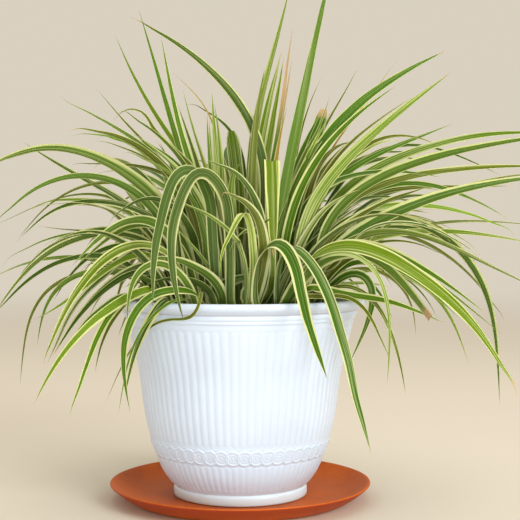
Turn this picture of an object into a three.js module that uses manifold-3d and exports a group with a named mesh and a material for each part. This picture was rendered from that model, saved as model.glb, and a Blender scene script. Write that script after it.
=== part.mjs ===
// Variegated spider plant in a white ribbed pot that stands on a terracotta saucer.
// Millimetres, +Z up. The origin is the middle of the saucer's flat underside; the front of the plant faces -Y.
import * as THREE from 'three';
import { mergeVertices } from 'three/addons/utils/BufferGeometryUtils.js';
import Module from 'manifold-3d';

// ---------------------------------------------------------------- driving dimensions
const CLEARANCE = 0.3;          // gap kept between pieces that rest on or in one another
const ROUND_STEPS = 48;         // facets round the turned pieces

const SAUCER_RIM_R = 130;       // widest radius of the saucer
const SAUCER_RIM_Z = 17;        // height of its lip
const SAUCER_BASE_R = 107;      // radius of the flat it stands on
const SAUCER_FLOOR_Z = 4;       // top of its floor
const SAUCER_FLOOR_R = 96;      // radius of the flat floor inside

const POT_BOTTOM_Z = SAUCER_FLOOR_Z + CLEARANCE;
const POT_WALL = 3;             // wall thickness
const POT_FOOT_R = 66.5;        // outside of the foot ring
const POT_FOOT_IN_R = 59;       // inside of the foot ring, under the recessed base
const POT_RECESS_Z = 9.5;       // underside of the base, inside the foot ring
const POT_FLOOR_Z = 13;         // top of the base inside
const POT_RIM_R = 126.3;        // outside of the rim band
const POT_RIM_IN_R = 118;       // mouth
const POT_TOP_Z = 200.6;        // top of the rim
const DRAIN_HOLES = 5;          // drainage holes in the base
const DRAIN_HOLE_R = 5;
const DRAIN_CIRCLE_R = 38;

const SOIL_TOP_Z = 180;         // potting mix level, about 20 mm below the rim
const CROWN_R = 7.5;            // rosette base that each fan of leaves grows from
const CROWN_LOW_Z = 172;
const CROWN_TOP_Z = 183;

const LEAF_KEEL = 0.26;         // depth of the folded midrib, as a share of half the leaf's width
const LEAF_THICK = 0.55;        // thickness added under the fold

// outside of the pot body from the foot ring to the collar: [radius, height]
const POT_OUTSIDE = [
  [65, POT_BOTTOM_Z], [POT_FOOT_R, 6.5], [POT_FOOT_R, 12], [65.6, 14], [69.8, 18.3], [76.5, 27.6], [82.6, 40], [89, 57.6],
  [95.6, 87.6], [101, 127.6], [105.5, 147.6], [114.6, 182.5], [117.1, 185], [117.3, 189], [125, 194.2], [POT_RIM_R, 197.8],
  [123.8, POT_TOP_Z],
];
// inside of the pot from the mouth down to the floor
const POT_INSIDE = [
  [119.6, POT_TOP_Z], [POT_RIM_IN_R, 199], [113.8, 189.5], [111.4, 180], [102.4, 147.6], [97.9, 127.6], [92.4, 87.6],
  [85.8, 57.6], [73, 27.6], [66, 18], [57, POT_FLOOR_Z],
];

const COLOURS = {
  pot: '#eceef2', saucer: '#a0562f', soil: '#3b2a1e', leaf: '#5f7f34', paleLeaf: '#9fae6a', deepLeaf: '#46652f',
};

// ---------------------------------------------------------------- leaves
// Each fan has the place of its crown on the soil and its leaves. A leaf is its heading in degrees about +Z and the
// stations along its midrib: [x, y, z, roll in degrees about the midrib, half width].
const FANS = {
  leaf_fan_upright_01: { crown: [6.9, 0], leaves: [
      [0, [[3.1, 0, 176, -15, 3], [5.3, 3.4, 219.3, -23, 5.1], [8, 2.2, 267.5, -39, 6.1], [9.7, 1.5, 311, -48, 6.1], [13.8, 3.4, 364, -47, 5.6], [22.3, 1.8, 406.6, -45, 4.6], [37.4, 0.2, 462.6, -43, 2.5], [50.5, 0, 514.2, -41, 0]]],
      [-169, [[8.8, 2.6, 176, 18, 3], [17.4, 1.8, 236.4, 40, 4.9], [24.4, -1.1, 296.9, 67, 5.5], [22.7, -2.6, 332.4, 73, 5.5], [15.2, -4.1, 361.8, 73, 5.2], [-4.1, -5.5, 397.5, 73, 4.5], [-31.2, -7.9, 427.6, 72, 3.4], [-63.3, -12.5, 452.1, 70, 2.1], [-107.5, -20, 475.9, 67, 0]]],
      [-34, [[6, 0.6, 176, -10, 3], [8.2, -2.6, 233, -25, 5.2], [10.9, -5.4, 293.6, -35, 5.3], [13.2, -8.3, 350.7, -32, 3.9], [17.5, -10.4, 389.7, -29, 2.2], [24.6, -12, 428.3, -26, 0]]],
      [-19, [[9.8, -1.2, 176, 0, 2.8], [14.8, -5.9, 200.6, 0, 4.3], [19.6, -11, 218.9, 1, 4.7], [25.4, -16.1, 234.8, 2, 4.7], [44.5, -24.8, 258, 7, 3.5], [59, -21.5, 276.2, 12, 1.9], [74, -22.7, 291.7, 16, 0]]],
      [-173, [[7.3, 0.6, 176, 20, 2.6], [6, 0.5, 197.5, 29, 3.4], [-5.3, -0.4, 239.2, 60, 4.3], [-14.4, -1.1, 278.2, 71, 4.2], [-17.7, -1.9, 315.1, 71, 3.4], [-20.3, -2.8, 355.1, 70, 1.9], [-25.5, -3.7, 391.8, 69, 0]]],
  ] },
  leaf_fan_upright_02: { crown: [-9.9, 9.1], leaves: [
      [85, [[-11.7, 8.2, 176, 2, 3], [-10.8, 9.3, 200.6, 3, 6.4], [-5.5, 17.8, 243.6, 7, 7.7], [-2, 18.6, 287.4, 7, 7.5], [-3.7, 22.3, 320, 6, 7.2], [-7.2, 26.1, 352.5, 5, 7], [-9.9, 28.1, 368.6, 4, 3.5]]],
      [158, [[-8.5, 9.8, 176, -12, 3], [-14.6, 15.1, 217.8, -20, 4.5], [-22.9, 17, 255.2, -32, 5.3], [-41.8, 22.6, 311.5, -39, 5.2], [-60.9, 28.5, 367.7, -35, 4.1], [-72.5, 34.2, 417.3, -31, 2.3], [-82.2, 40, 467.2, -27, 0]]],
      [150, [[-6.6, 7.2, 176, -10, 3], [-9.7, 8.8, 215.2, -18, 4.6], [-14.5, 10.9, 257.5, -30, 5.2], [-19.2, 13.1, 296.5, -31, 4.9], [-25, 16.5, 351.9, -30, 3.1], [-29, 20, 407.4, -30, 0]]],
      [-157, [[-12.9, 7.9, 176, 1, 3], [-16.7, 7.4, 201.7, 6, 4.7], [-24.4, 11.5, 226, 10, 5], [-31.2, 6.8, 241.3, 11, 4.5], [-39.3, 1, 257.6, 10, 3.4], [-47.9, -4.9, 271.4, 9, 1.9], [-57.7, -10.8, 284.5, 7, 0]]],
      [-164, [[-10, 10.5, 176, 17, 2.3], [-12.4, 9.6, 210.6, 35, 3.4], [-15.4, 3.3, 233, 51, 3.8], [-20.2, 4.6, 267.3, 62, 3.8], [-24.8, 6.9, 298.8, 62, 3.3], [-29, 5.6, 339.1, 62, 1.9], [-31.3, 4.2, 379.6, 62, 0]]],
  ] },
  leaf_fan_front_01: { crown: [1.6, -17.7], leaves: [
      [-89, [[1.5, -16.7, 176, 1, 3], [-1.5, -17, 205.3, 6, 5.3], [-6.2, -22.2, 246.6, 12, 5.9], [-7.9, -28.1, 275.4, 13, 5.3], [-8.1, -34.7, 301.7, 10, 3.9], [-5.1, -44.9, 323.5, 6, 2], [-0.7, -54.8, 329.1, 4, 0.9], [2.5, -61.2, 330.4, 3, 0.3], [2.7, -62, 328.1, 3, 0]]],
      [-118, [[0.1, -20.5, 176, -1, 3], [-0.2, -23, 201.3, -3, 5.3], [-1.1, -26.4, 226.5, -5, 5.6], [-3.2, -28.8, 251.7, -2, 4.6], [-6.2, -33.2, 273.1, 3, 2.7], [-10.3, -40.4, 293.5, 9, 0]]],
  ] },
  leaf_fan_upright_03: { crown: [12.9, 16.8], leaves: [
      [51, [[15.8, 16.7, 176, 8, 3], [14.1, 21.5, 243.6, 23, 6.1], [13.7, 26.7, 283.2, 32, 6.2], [15.5, 32.1, 322.7, 33, 5.9], [23.2, 38.8, 373.5, 32, 4.4], [32, 44.1, 412.1, 30, 2.5], [42.5, 50, 454.3, 27, 0]]],
      [1, [[11.9, 14.7, 176, 0, 3], [20.3, 9.2, 199.2, -1, 4.8], [26.6, 8.7, 214.1, -1, 5.5], [46.4, 13.6, 247.6, -3, 5.3], [64.4, 17.3, 282.3, -6, 3.6], [77.5, 17, 301.4, -8, 1.9], [90, 15.8, 318, -10, 0]]],
      [75, [[13.7, 19.9, 176, -1, 2.6], [16, 25, 199.4, -4, 4.1], [19.4, 31.3, 217.3, -5, 4.3], [23.4, 38.1, 234.9, -4, 3.9], [19.7, 52.7, 249.2, 0, 2.8], [24.2, 62.2, 261.1, 4, 1.5], [26.9, 69.9, 273, 8, 0]]],
      [48, [[14.8, 15.6, 176, 8, 1.9], [19.3, 24.3, 236.4, 22, 2.9], [26, 30.6, 292.5, 35, 3.1], [36.2, 39.8, 356.8, 36, 2.7], [45, 49.4, 416.7, 33, 1.7], [54.2, 60, 480.8, 28, 0]]],
  ] },
  leaf_fan_upright_04: { crown: [-23.8, -4.2], leaves: [
      [-33, [[-20.8, -5.3, 176, -9, 3], [-23.2, -9.4, 189, -13, 4.1], [-25.1, -14.7, 200.2, -22, 5], [-20.2, -14.9, 214.3, -32, 5], [-9, -12.7, 222.3, -37, 4.6], [3.9, -12.3, 227, -41, 3.5], [15.5, -29.6, 228.4, -43, 1.2], [21.8, -31.2, 227.5, -43, 0]]],
      [178, [[-24.2, -3, 176, -15, 2.7], [-24.4, 1.6, 206, -29, 3.9], [-26.8, -0.9, 251.5, -56, 4.5], [-38.8, -1.9, 298.5, -59, 4], [-50.8, -1.7, 319.7, -58, 3.3], [-65, -1.3, 335.5, -57, 2.4], [-84.9, -0.6, 349.5, -55, 1.2], [-104, 0, 357.3, -53, 0]]],
      [-160, [[-25.1, -6, 176, 12, 2.4], [-25.2, -8.7, 217.8, 18, 3.6], [-27.7, -10.3, 259.6, 29, 4.1], [-33, -11.6, 287, 29, 4], [-41.4, -14.1, 309.7, 27, 3.7], [-55.4, -18.8, 333.5, 26, 3.1], [-75.4, -25.6, 356.7, 27, 2.2], [-97, -33.1, 372.6, 29, 1.1], [-114.8, -39.2, 381.7, 30, 0.3], [-117.2, -40, 379.3, 30, 0]]],
      [178, [[-22.2, -2.7, 176, -20, 2.3], [-22.7, -2.6, 217.5, -38, 3.3], [-23.8, -4.2, 258.9, -63, 3.8], [-28.3, -2.3, 288.7, -71, 3.8], [-36.8, -2, 313.6, -71, 3.6], [-49.9, -1.6, 332, -71, 3.2], [-82.2, -0.7, 363.6, -70, 2.1], [-97.4, -0.3, 384.7, -69, 1.3], [-111.6, 0.1, 387.9, -69, 0.7], [-126.5, 0.5, 377.3, -68, 0]]],
      [-177, [[-27, -4.4, 176, 15, 1.5], [-28.9, -9.2, 209.2, 26, 2.1], [-34.3, -9.3, 252.7, 47, 2.4], [-41.4, -8.1, 278.6, 52, 2.4], [-53.5, -6.6, 302.6, 54, 2.3], [-68.5, -6.7, 320.7, 56, 1.9], [-89.8, -7.6, 337.2, 59, 1.5], [-114.2, -8.7, 348.5, 62, 0.8], [-143.6, -10, 355.6, 66, 0]]],
  ] },
  leaf_fan_upright_05: { crown: [22.6, -14.4], leaves: [
      [-11, [[23.9, -16.9, 176, -18, 3], [34.9, -34.7, 260.5, -43, 5.7], [44, -25.5, 310.2, -58, 5.8], [50.8, -23.3, 345.5, -59, 5.7], [63.2, -24.7, 405.9, -58, 4.6], [77.5, -27.4, 471.1, -59, 2.6], [91.4, -30, 531.1, -61, 0]]],
      [6, [[25.8, -14.1, 176, 1, 3], [32.6, -16.7, 191.6, 6, 4.7], [44.7, -21.2, 209.1, 13, 5.7], [57.1, -16.5, 228.9, 18, 5.7], [73.1, -16.5, 259.9, 22, 4.7], [84.6, -12, 272, 23, 3.6], [117, -5, 292.9, 20, 0]]],
      [-13, [[18.9, -13.5, 176, -14, 2.2], [21.2, -18.2, 209.3, -30, 3.2], [24.7, -28.4, 244.3, -51, 3.6], [28.2, -19.7, 273.4, -58, 3.6], [30.2, -17.6, 291.5, -59, 3.4], [37, -18.5, 346.3, -60, 1.8], [46.2, -20, 388.1, -59, 0]]],
  ] },
  leaf_fan_upright_06: { crown: [-7.6, 28.2], leaves: [
      [59, [[-5.9, 31, 176, 1, 2.7], [-3.5, 34.1, 197.9, 3, 3.8], [-1.4, 38.2, 217.3, 5, 4.5], [0.1, 52.1, 247.6, 7, 4.4], [8.5, 55.1, 281.9, 7, 3.2], [13.4, 61.9, 302.5, 5, 1.8], [19.2, 72.6, 323.7, 3, 0]]],
      [104, [[-6.8, 26.8, 176, -1, 2.5], [-7.1, 29.3, 193.9, -1, 3.2], [-10.5, 46.3, 239.1, 0, 4.2], [-12, 61.7, 268.6, 2, 4.2], [-17, 77.9, 296.9, 3, 3.5], [-22.3, 90.5, 307.9, 4, 3], [-25.1, 112.6, 330, 5, 1.7], [-35.2, 139.2, 347.3, 2, 0]]],
      [156, [[-6.2, 25.3, 176, -11, 2.1], [-17.7, 27.1, 222.6, -18, 3], [-36.5, 39.1, 276.1, -32, 3.5], [-55, 47.9, 325, -37, 3.4], [-73.8, 54.9, 384.5, -39, 2.8], [-89.8, 61.9, 439.7, -42, 1.7], [-107.8, 70, 499.3, -47, 0]]],
      [148, [[-11, 28.8, 176, -9, 1.9], [-15.5, 36.2, 234.3, -17, 3.1], [-23.7, 40.2, 285.5, -22, 3.2], [-35.3, 46.4, 328.7, -21, 2.6], [-49.1, 53.4, 371.1, -22, 1.5], [-60.9, 60, 414.1, -23, 0]]],
      [128, [[-8.6, 26, 176, -7, 1.9], [-3.4, 34.5, 227.2, -17, 2.9], [2.2, 46, 277.9, -28, 3.2], [3.6, 55.8, 313.9, -31, 3], [0.9, 63.7, 342.5, -36, 2.5], [-5.9, 69.9, 362.9, -41, 2.1], [-18.4, 76.4, 380.3, -48, 1.5], [-35.6, 82.8, 393, -57, 0.9], [-58.6, 90, 402.1, -66, 0]]],
  ] },
  leaf_fan_front_left_01: { crown: [-14.5, -27.9], leaves: [
      [-31, [[-11.8, -29.7, 176, -11, 3], [-26.1, -35.6, 197, -33, 6.1], [-27.3, -35.4, 204.1, -42, 6.1], [-24, -38, 210, -49, 6.1], [-12.7, -44.6, 216.6, -59, 5.7], [0.5, -49.2, 221.1, -64, 4.5], [17.3, -53.6, 224.1, -67, 2.5], [33, -56.9, 223.7, -69, 0]]],
      [-123, [[-14.3, -25.3, 176, 3, 2.8], [-16.2, -27.2, 207.4, 2, 4], [-18.3, -29.1, 242.4, 2, 4.7], [-22.2, -32, 268.8, 1, 4.7], [-26, -41.3, 291.4, 0, 4.4], [-42.1, -60.4, 339.2, -1, 2.8], [-55.7, -89.6, 382.1, 1, 0]]],
      [-154, [[-17.4, -29.3, 176, 12, 2.2], [-19.2, -30.8, 213, 26, 3.3], [-22.8, -33.2, 246.8, 42, 3.7], [-36.4, -40.2, 293.6, 47, 3.4], [-47.1, -45.1, 311.7, 47, 2.9], [-62.6, -52.1, 329.7, 46, 2.2], [-102.4, -70, 358.6, 44, 0]]],
  ] },
  leaf_fan_upright_07: { crown: [31.5, 11.5], leaves: [
      [40, [[30.8, 10.2, 176, 4, 3], [33.6, 12.7, 197.3, 8, 4.8], [46.9, 22.1, 240.7, 17, 6.1], [45.4, 27.4, 255.1, 19, 6.1], [45.4, 32.7, 263.1, 20, 6.1], [51.6, 37.9, 272.7, 21, 5.9], [64.2, 41.9, 297.1, 20, 5.2], [76.4, 49.8, 317.1, 19, 4.1], [92.7, 62.6, 340.1, 16, 2.3], [111.7, 77, 359.9, 14, 0]]],
      [18, [[30.5, 11.2, 176, 0, 3], [42.7, 14.8, 212.5, 1, 4.7], [58.7, 13.2, 243.5, 1, 5.5], [74.4, 13.7, 260.7, 1, 5.5], [90.6, 18.4, 269.8, 1, 5.5], [131.9, 43.6, 284.5, 0, 4.7], [160, 56.7, 286.1, -2, 3.7], [191.9, 66.5, 276.2, -5, 2.3], [225.6, 75.1, 251.9, -8, 0]]],
      [29, [[28.1, 9.7, 176, 12, 3], [31.3, 15.2, 207.2, 25, 4.4], [36.5, 22.9, 241.1, 44, 5.1], [43.5, 22.5, 278.8, 54, 5.1], [51, 25.1, 313, 56, 4.3], [62.8, 31.6, 348.9, 56, 2.8], [83.6, 40, 391.2, 53, 0]]],
      [39, [[31.3, 14.3, 176, 10, 1.2], [33.3, 19.9, 210.4, 22, 1.7], [36.4, 27.2, 244.4, 38, 2], [44.2, 29.2, 306.7, 50, 1.9], [52.7, 33.8, 361.8, 51, 1.2], [63, 40, 420, 49, 0]]],
  ] },
  leaf_fan_back_left_01: { crown: [-32.8, 13.5], leaves: [
      [172, [[-31.3, 13, 176, -10, 3], [-34.2, 14, 193.5, -14, 4.3], [-52.9, 21.3, 236.6, -32, 5.8], [-65.9, 28.5, 247.1, -39, 5.8], [-85.4, 29.8, 267.3, -44, 5.8], [-105.4, 34.1, 281.9, -45, 5.4], [-134.7, 38.9, 294.4, -43, 4.5], [-162.9, 41.6, 299.1, -41, 3.3], [-195.1, 44.1, 298, -36, 1.6], [-218.1, 39.5, 289.5, -33, 0]]],
      [166, [[-30.9, 12.4, 176, -10, 3], [-35, 13.8, 195.5, -13, 4.3], [-45.1, 17.8, 212.3, -19, 4.9], [-62.6, 27.7, 231.9, -28, 5.6], [-86.6, 31.6, 258.7, -40, 5.7], [-103.7, 37.9, 266.1, -42, 5.7], [-121.9, 46.4, 267.1, -43, 5.5], [-149.4, 51.8, 267.9, -43, 4.9], [-184, 58.3, 259.8, -42, 3.7], [-214.3, 63.1, 240.9, -41, 2.2], [-239.9, 65.5, 210.2, -40, 0]]],
      [132, [[-32.1, 12.8, 176, 0, 2.9], [-43.1, 17.6, 212.1, -1, 4.2], [-53.1, 25.2, 232.7, -1, 4.9], [-69.4, 46.6, 254.6, -1, 4.9], [-90.2, 70.3, 268.9, -1, 4.5], [-107.9, 91.3, 272.5, 0, 3.9], [-123.1, 109.4, 267.4, 1, 3], [-139.1, 127.8, 254.2, 3, 1.8], [-155.2, 148.1, 231.3, 4, 0]]],
      [112, [[-34, 16.5, 176, 0, 2.6], [-34.4, 22.1, 189.6, 2, 3.7], [-35.8, 34.8, 204.8, 4, 4.4], [-41.7, 41.4, 229.6, 3, 4.2], [-42.7, 49.6, 243.8, 0, 3.4], [-45, 59.8, 254.3, -4, 2.4], [-56, 71.8, 272.9, -11, 0]]],
      [177, [[-34.6, 12.4, 176, -15, 2.3], [-35.4, 10.3, 209.2, -22, 3.2], [-40.9, 13.8, 262.9, -43, 3.9], [-49, 13.5, 290.9, -49, 3.9], [-60.5, 13.8, 313, -48, 3.8], [-78.7, 14.8, 335.7, -47, 3.5], [-100.8, 16, 354.7, -46, 2.9], [-143.2, 18.1, 380.9, -44, 1.6], [-183, 20, 403.4, -42, 0]]],
      [151, [[-29.4, 11.7, 176, -10, 1.3], [-32.8, 18, 208.5, -17, 1.9], [-42.8, 21.6, 263, -35, 2.2], [-52.5, 26.7, 290.5, -38, 2.2], [-64.7, 33.4, 312.4, -40, 2.1], [-85.1, 44.5, 336.2, -44, 1.7], [-106.8, 56.1, 352.7, -49, 1.2], [-131.6, 68.8, 362.6, -53, 0.6], [-151.2, 78.7, 366.1, -54, 0.3], [-153.8, 80, 363.9, -54, 0]]],
  ] },
  leaf_fan_front_right_01: { crown: [15.8, -33.8], leaves: [
      [-69, [[14.4, -36.2, 176, -3, 3], [15.8, -36, 191.1, -4, 4], [27.5, -36.6, 205.9, -6, 4.3], [30.1, -44.3, 224.8, -8, 4.6], [30.4, -40.3, 243.7, -10, 4.9], [30.3, -44.1, 258.9, -11, 5.1], [30.3, -39.9, 289.4, -11, 5.8], [30.9, -41.2, 335.2, -2, 7.9], [31.4, -43.3, 337.2, 0, 8.4], [31.6, -58.9, 302.3, 13, 6.6], [31.9, -61.1, 277, 16, 4.9], [32.2, -78.1, 255.2, 18, 2.5], [32.4, -84, 240.6, 19, 0]]],
      [-44, [[14.1, -32.1, 176, 0, 3], [18.2, -34.2, 207.9, 2, 5.6], [19.7, -47.3, 239.3, 5, 5.5], [35.9, -51.2, 269, 10, 3.5], [46.3, -62.8, 299.4, 17, 0]]],
      [-11, [[19, -34.4, 176, 0, 3], [26, -42.3, 197.9, 1, 5.1], [36.3, -46.7, 216, 3, 5.4], [46.1, -50, 234.5, 6, 4.8], [56.6, -49.8, 247, 9, 3.6], [68.5, -46.1, 257.6, 12, 2], [80.6, -46, 268.5, 15, 0]]],
      [-133, [[13.6, -36.1, 176, 8, 2.6], [17.8, -42.7, 204.7, 18, 3.7], [23.2, -56.1, 242.8, 36, 4.3], [22.8, -57.3, 267.1, 40, 4.2], [18.5, -60.4, 288.1, 43, 3.7], [9.6, -65.9, 307.1, 47, 2.9], [-2.3, -71.9, 320.6, 54, 2], [-18.1, -78.9, 328.1, 63, 1], [-30.4, -84.2, 330.2, 65, 0.3], [-31.3, -85, 327.8, 66, 0]]],
  ] },
  leaf_fan_back_right_01: { crown: [11.7, 37.3], leaves: [
      [52, [[9.3, 34.3, 176, 6, 3], [12.1, 50.4, 229.7, 8, 5.6], [14.3, 42.9, 256.6, 10, 6], [16.4, 43.9, 276.5, 11, 6], [26.6, 59.8, 346.4, 7, 5], [36.2, 70.4, 400.8, 6, 2.9], [45.2, 80, 451.4, 5, 0]]],
      [112, [[9.3, 39.7, 176, 1, 3], [6.3, 48, 203.3, 5, 5.3], [3.5, 55.3, 229, 7, 5.6], [-0, 64, 256.2, 4, 4.7], [-4.6, 74.4, 280.5, -3, 2.7], [-9.4, 86, 302.1, -12, 0]]],
      [56, [[11.1, 36.4, 176, 0, 3], [19, 49.8, 200.2, 0, 4.3], [32.5, 66.7, 225.1, 0, 5.2], [56, 85.1, 252.1, -1, 5.3], [70.1, 98.4, 262.9, -1, 5.2], [82.6, 123.1, 271, -2, 4.6], [103.3, 157.9, 274.1, -4, 3.3], [117.5, 183.4, 271.5, -5, 2], [132.7, 215.7, 263, -7, 0]]],
      [39, [[14.2, 39.3, 176, 0, 3], [14.2, 39.3, 179.7, 0, 3], [25.4, 57.1, 205, -2, 4.2], [43.3, 75.6, 230.8, -3, 4.9], [55.4, 78.1, 238.4, -4, 4.9], [79.8, 77.9, 246.4, -5, 4.9], [93.7, 88.1, 251.4, -5, 4.7], [109, 113.1, 252.8, -5, 4.1], [127.6, 134.3, 245.6, -4, 3.2], [149.3, 152.2, 228.7, -3, 1.9], [170.1, 167.1, 202.8, -2, 0]]],
  ] },
  leaf_fan_upright_08: { crown: [-35.3, -20.4], leaves: [
      [-163, [[-38.3, -21.4, 176, 13, 2.8], [-38.3, -22.9, 220.5, 24, 4.2], [-41.3, -24.4, 261.1, 39, 4.7], [-49, -26.7, 289.6, 43, 4.7], [-61, -30.4, 312.3, 44, 4.4], [-82.5, -36.8, 336.9, 45, 3.6], [-106.2, -43.7, 353.3, 48, 2.7], [-133.4, -51.8, 361.3, 51, 1.4], [-161.3, -60, 360.4, 53, 0]]],
      [-85, [[-32.6, -21.4, 176, 0, 2.1], [-29.2, -23.6, 225.3, -1, 3.4], [-26.5, -25, 274.7, -2, 3.4], [-27.7, -26.5, 309.6, -3, 2.7], [-30.3, -28.3, 347.4, -4, 1.5], [-31.8, -30, 382.2, -6, 0]]],
  ] },
  leaf_fan_right_01: { crown: [41.4, -9.1], leaves: [
      [13, [[40.4, -9.3, 176, 18, 3], [45.3, -7.6, 240.1, 40, 6], [51.7, -5.7, 279.1, 58, 6.6], [69.3, 3.8, 329.7, 69, 6.5], [84.1, 2.4, 355.3, 71, 6.2], [99.3, 2.7, 374.7, 72, 5.6], [131.1, 12.6, 404.3, 72, 4.3], [163.4, 19.9, 426.2, 69, 2.7], [210.6, 30, 451.3, 66, 0]]],
      [20, [[37.8, -10.4, 176, 11, 3], [38, -7.4, 204.9, 14, 4.4], [38.7, -13.9, 236.9, 21, 5.3], [41.6, -12.7, 265.8, 28, 5.4], [49, -12.6, 297.7, 27, 5.3], [59.8, -14.4, 324.6, 26, 4.7], [69.9, -9.3, 342.9, 26, 4.1], [84.9, 10.9, 364.2, 28, 2.7], [119.8, 20, 399.8, 32, 0]]],
      [7, [[44.6, -8.7, 176, 14, 2.6], [45.6, 2.7, 211.8, 23, 3.8], [50.5, -4.4, 256.2, 41, 4.4], [59, -3.1, 281.2, 47, 4.4], [74.6, -1.5, 302.5, 48, 4.2], [96.8, -0.1, 316.9, 50, 3.8], [125.9, 2, 324.8, 53, 3], [159.8, 5.4, 326.2, 57, 1.8], [201, 10, 320.9, 63, 0]]],
      [10, [[41.8, -9, 176, 15, 1.9], [41.7, 1.8, 213.6, 33, 2.8], [41.7, -0.3, 223, 39, 3], [41.8, -10.9, 239.8, 51, 3.2], [47.9, -7.3, 288.3, 60, 3], [61.4, -2.4, 328.2, 59, 2.3], [70.8, -15.6, 348.6, 56, 1.6], [82, -4.6, 369.7, 54, 0.7], [91.5, -0, 386.2, 52, 0]]],
  ] },
  leaf_fan_back_left_02: { crown: [-25.3, 35.9], leaves: [
      [118, [[-26.8, 38.7, 176, -1, 3], [-26.8, 38.8, 179.9, -1, 3], [-36.6, 55.9, 204.5, -2, 4.9], [-50, 79.4, 227.6, -4, 5.9], [-68.8, 98.3, 244, -4, 5.9], [-83.9, 119.6, 249.9, -4, 5.8], [-90.4, 151.7, 251.8, -2, 5.2], [-103.6, 186.2, 240.3, 2, 4], [-118.1, 213.7, 223.4, 6, 2.4], [-135.4, 241.3, 194.9, 12, 0]]],
      [108, [[-25, 35, 176, 0, 3], [-33.8, 49.3, 215.1, 2, 4.8], [-45.1, 68.4, 246.6, 3, 5.7], [-54.2, 97.7, 270.1, 4, 5.7], [-62.2, 129.1, 282.6, 3, 5.4], [-75, 160.3, 282.3, 2, 4.7], [-86.4, 195, 270.2, 0, 3.5], [-91.8, 223.2, 251.3, -2, 2.1], [-95, 252.7, 220.5, -5, 0]]],
      [131, [[-28.1, 38.7, 176, -2, 3], [-29.4, 40, 192.4, -2, 4.1], [-37.8, 48.9, 217.2, -3, 5.2], [-40.7, 54, 235.5, -4, 5.4], [-45.5, 62, 245.5, -5, 5.4], [-56.8, 69.3, 263, -4, 5.2], [-68.6, 82.2, 287.8, -3, 4.2], [-81.4, 100.1, 308.4, -4, 2.6], [-88.2, 111.4, 312.1, -5, 1.7], [-103.9, 124.5, 320.4, -6, 0]]],
      [126, [[-26.4, 35.1, 176, -2, 3], [-33.3, 48.9, 218.8, -1, 4.5], [-31.6, 49, 238.1, -1, 5], [-34, 50.8, 250.6, -2, 5], [-53.1, 68.1, 275.4, -3, 5], [-66.7, 88.5, 301, -4, 4.7], [-80.6, 110.3, 318.6, -8, 4], [-97.4, 133.7, 330.8, -14, 3], [-115.9, 158.2, 337.1, -21, 1.7], [-137.4, 186.1, 337.3, -26, 0]]],
      [151, [[-24.5, 38, 176, -11, 2], [-24, 36, 209.2, -17, 2.6], [-24.4, 38.9, 232.7, -24, 2.9], [-28.2, 45.4, 270, -35, 3.3], [-37.1, 50.4, 301.6, -43, 3.3], [-53.9, 58.2, 334.8, -46, 3.2], [-79.4, 70.2, 372.9, -47, 2.7], [-106.3, 83.8, 415.6, -45, 1.8], [-136.7, 100, 478, -42, 0]]],
      [132, [[-22.7, 33.1, 176, -6, 1.1], [-22.6, 42.8, 210.3, -6, 1.5], [-21.8, 50.4, 265.5, -9, 1.8], [-21.7, 58.9, 316.5, -8, 1.7], [-25.6, 68.8, 363.1, -10, 1.4], [-32.3, 74.2, 385.3, -13, 1.1], [-41.6, 78.9, 402.2, -17, 0.8], [-73.5, 90, 435.8, -25, 0]]],
  ] },
  leaf_fan_upright_09: { crown: [35.9, 30.2], leaves: [
      [47, [[36.5, 32, 176, 9, 3], [37.4, 33.7, 198.9, 12, 6.1], [43.2, 43.2, 236.9, 22, 7.9], [50, 51.6, 271.6, 28, 7.9], [65.7, 66.4, 327.1, 28, 7.6], [82.2, 81, 378.8, 30, 7.2], [88.1, 86.3, 396.9, 30, 3.6]]],
      [16, [[38, 31, 176, 17, 2.7], [40.7, 31.5, 200.5, 24, 3.5], [52.3, 37.8, 248.4, 50, 4.5], [62.6, 40.8, 274.3, 59, 4.5], [81, 49.1, 307.4, 61, 4.1], [99.1, 53.1, 328.6, 64, 3.4], [127, 56.9, 349.8, 69, 2.1], [148.6, 62.4, 360.3, 71, 1.1], [168.4, 68.9, 361.6, 71, 0]]],
      [51, [[33.4, 27.3, 176, 7, 1.3], [36.7, 33.8, 213, 14, 1.8], [40.9, 41, 246, 22, 2.2], [48.9, 53.3, 296.9, 27, 2.1], [57.8, 66.4, 347.5, 25, 1.7], [68.5, 78.1, 389.9, 22, 1], [85.1, 90, 430.5, 20, 0]]],
      [14, [[38.1, 28.5, 176, 14, 0.8], [47.2, 33.2, 230.6, 33, 1.2], [56.2, 27.2, 267.5, 49, 1.3], [72.1, 36.1, 310.9, 59, 1.3], [99.1, 44.4, 358.9, 63, 1.1], [129.5, 51.9, 399.6, 66, 0.6], [163, 60, 443.3, 69, 0]]],
  ] },
  leaf_fan_left_01: { crown: [-48.3, 2], leaves: [
      [159, [[-49.4, 0.1, 176, -11, 3], [-62.3, 7.5, 221.2, -16, 4.7], [-73.1, 4, 246.6, -23, 5.3], [-79, 6.6, 256.5, -26, 5.3], [-87.6, 14, 267.9, -30, 5.3], [-103, 23.3, 283.6, -31, 5.2], [-124.3, 31.3, 299.6, -32, 4.8], [-177.4, 50.6, 329.1, -37, 3], [-229.6, 70, 360, -41, 0]]],
      [-149, [[-49.2, 2.2, 176, -10, 2.9], [-52.7, 0.1, 189.9, -12, 3.6], [-61.8, -2.3, 197, -14, 4.1], [-89.6, -28.5, 204.8, -23, 4.8], [-114, -44.9, 204.6, -19, 4.4], [-125.4, -51.6, 198.6, -16, 3.9], [-144.6, -61, 182.2, -14, 2.6], [-163.2, -67.4, 151.4, -16, 0]]],
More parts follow.
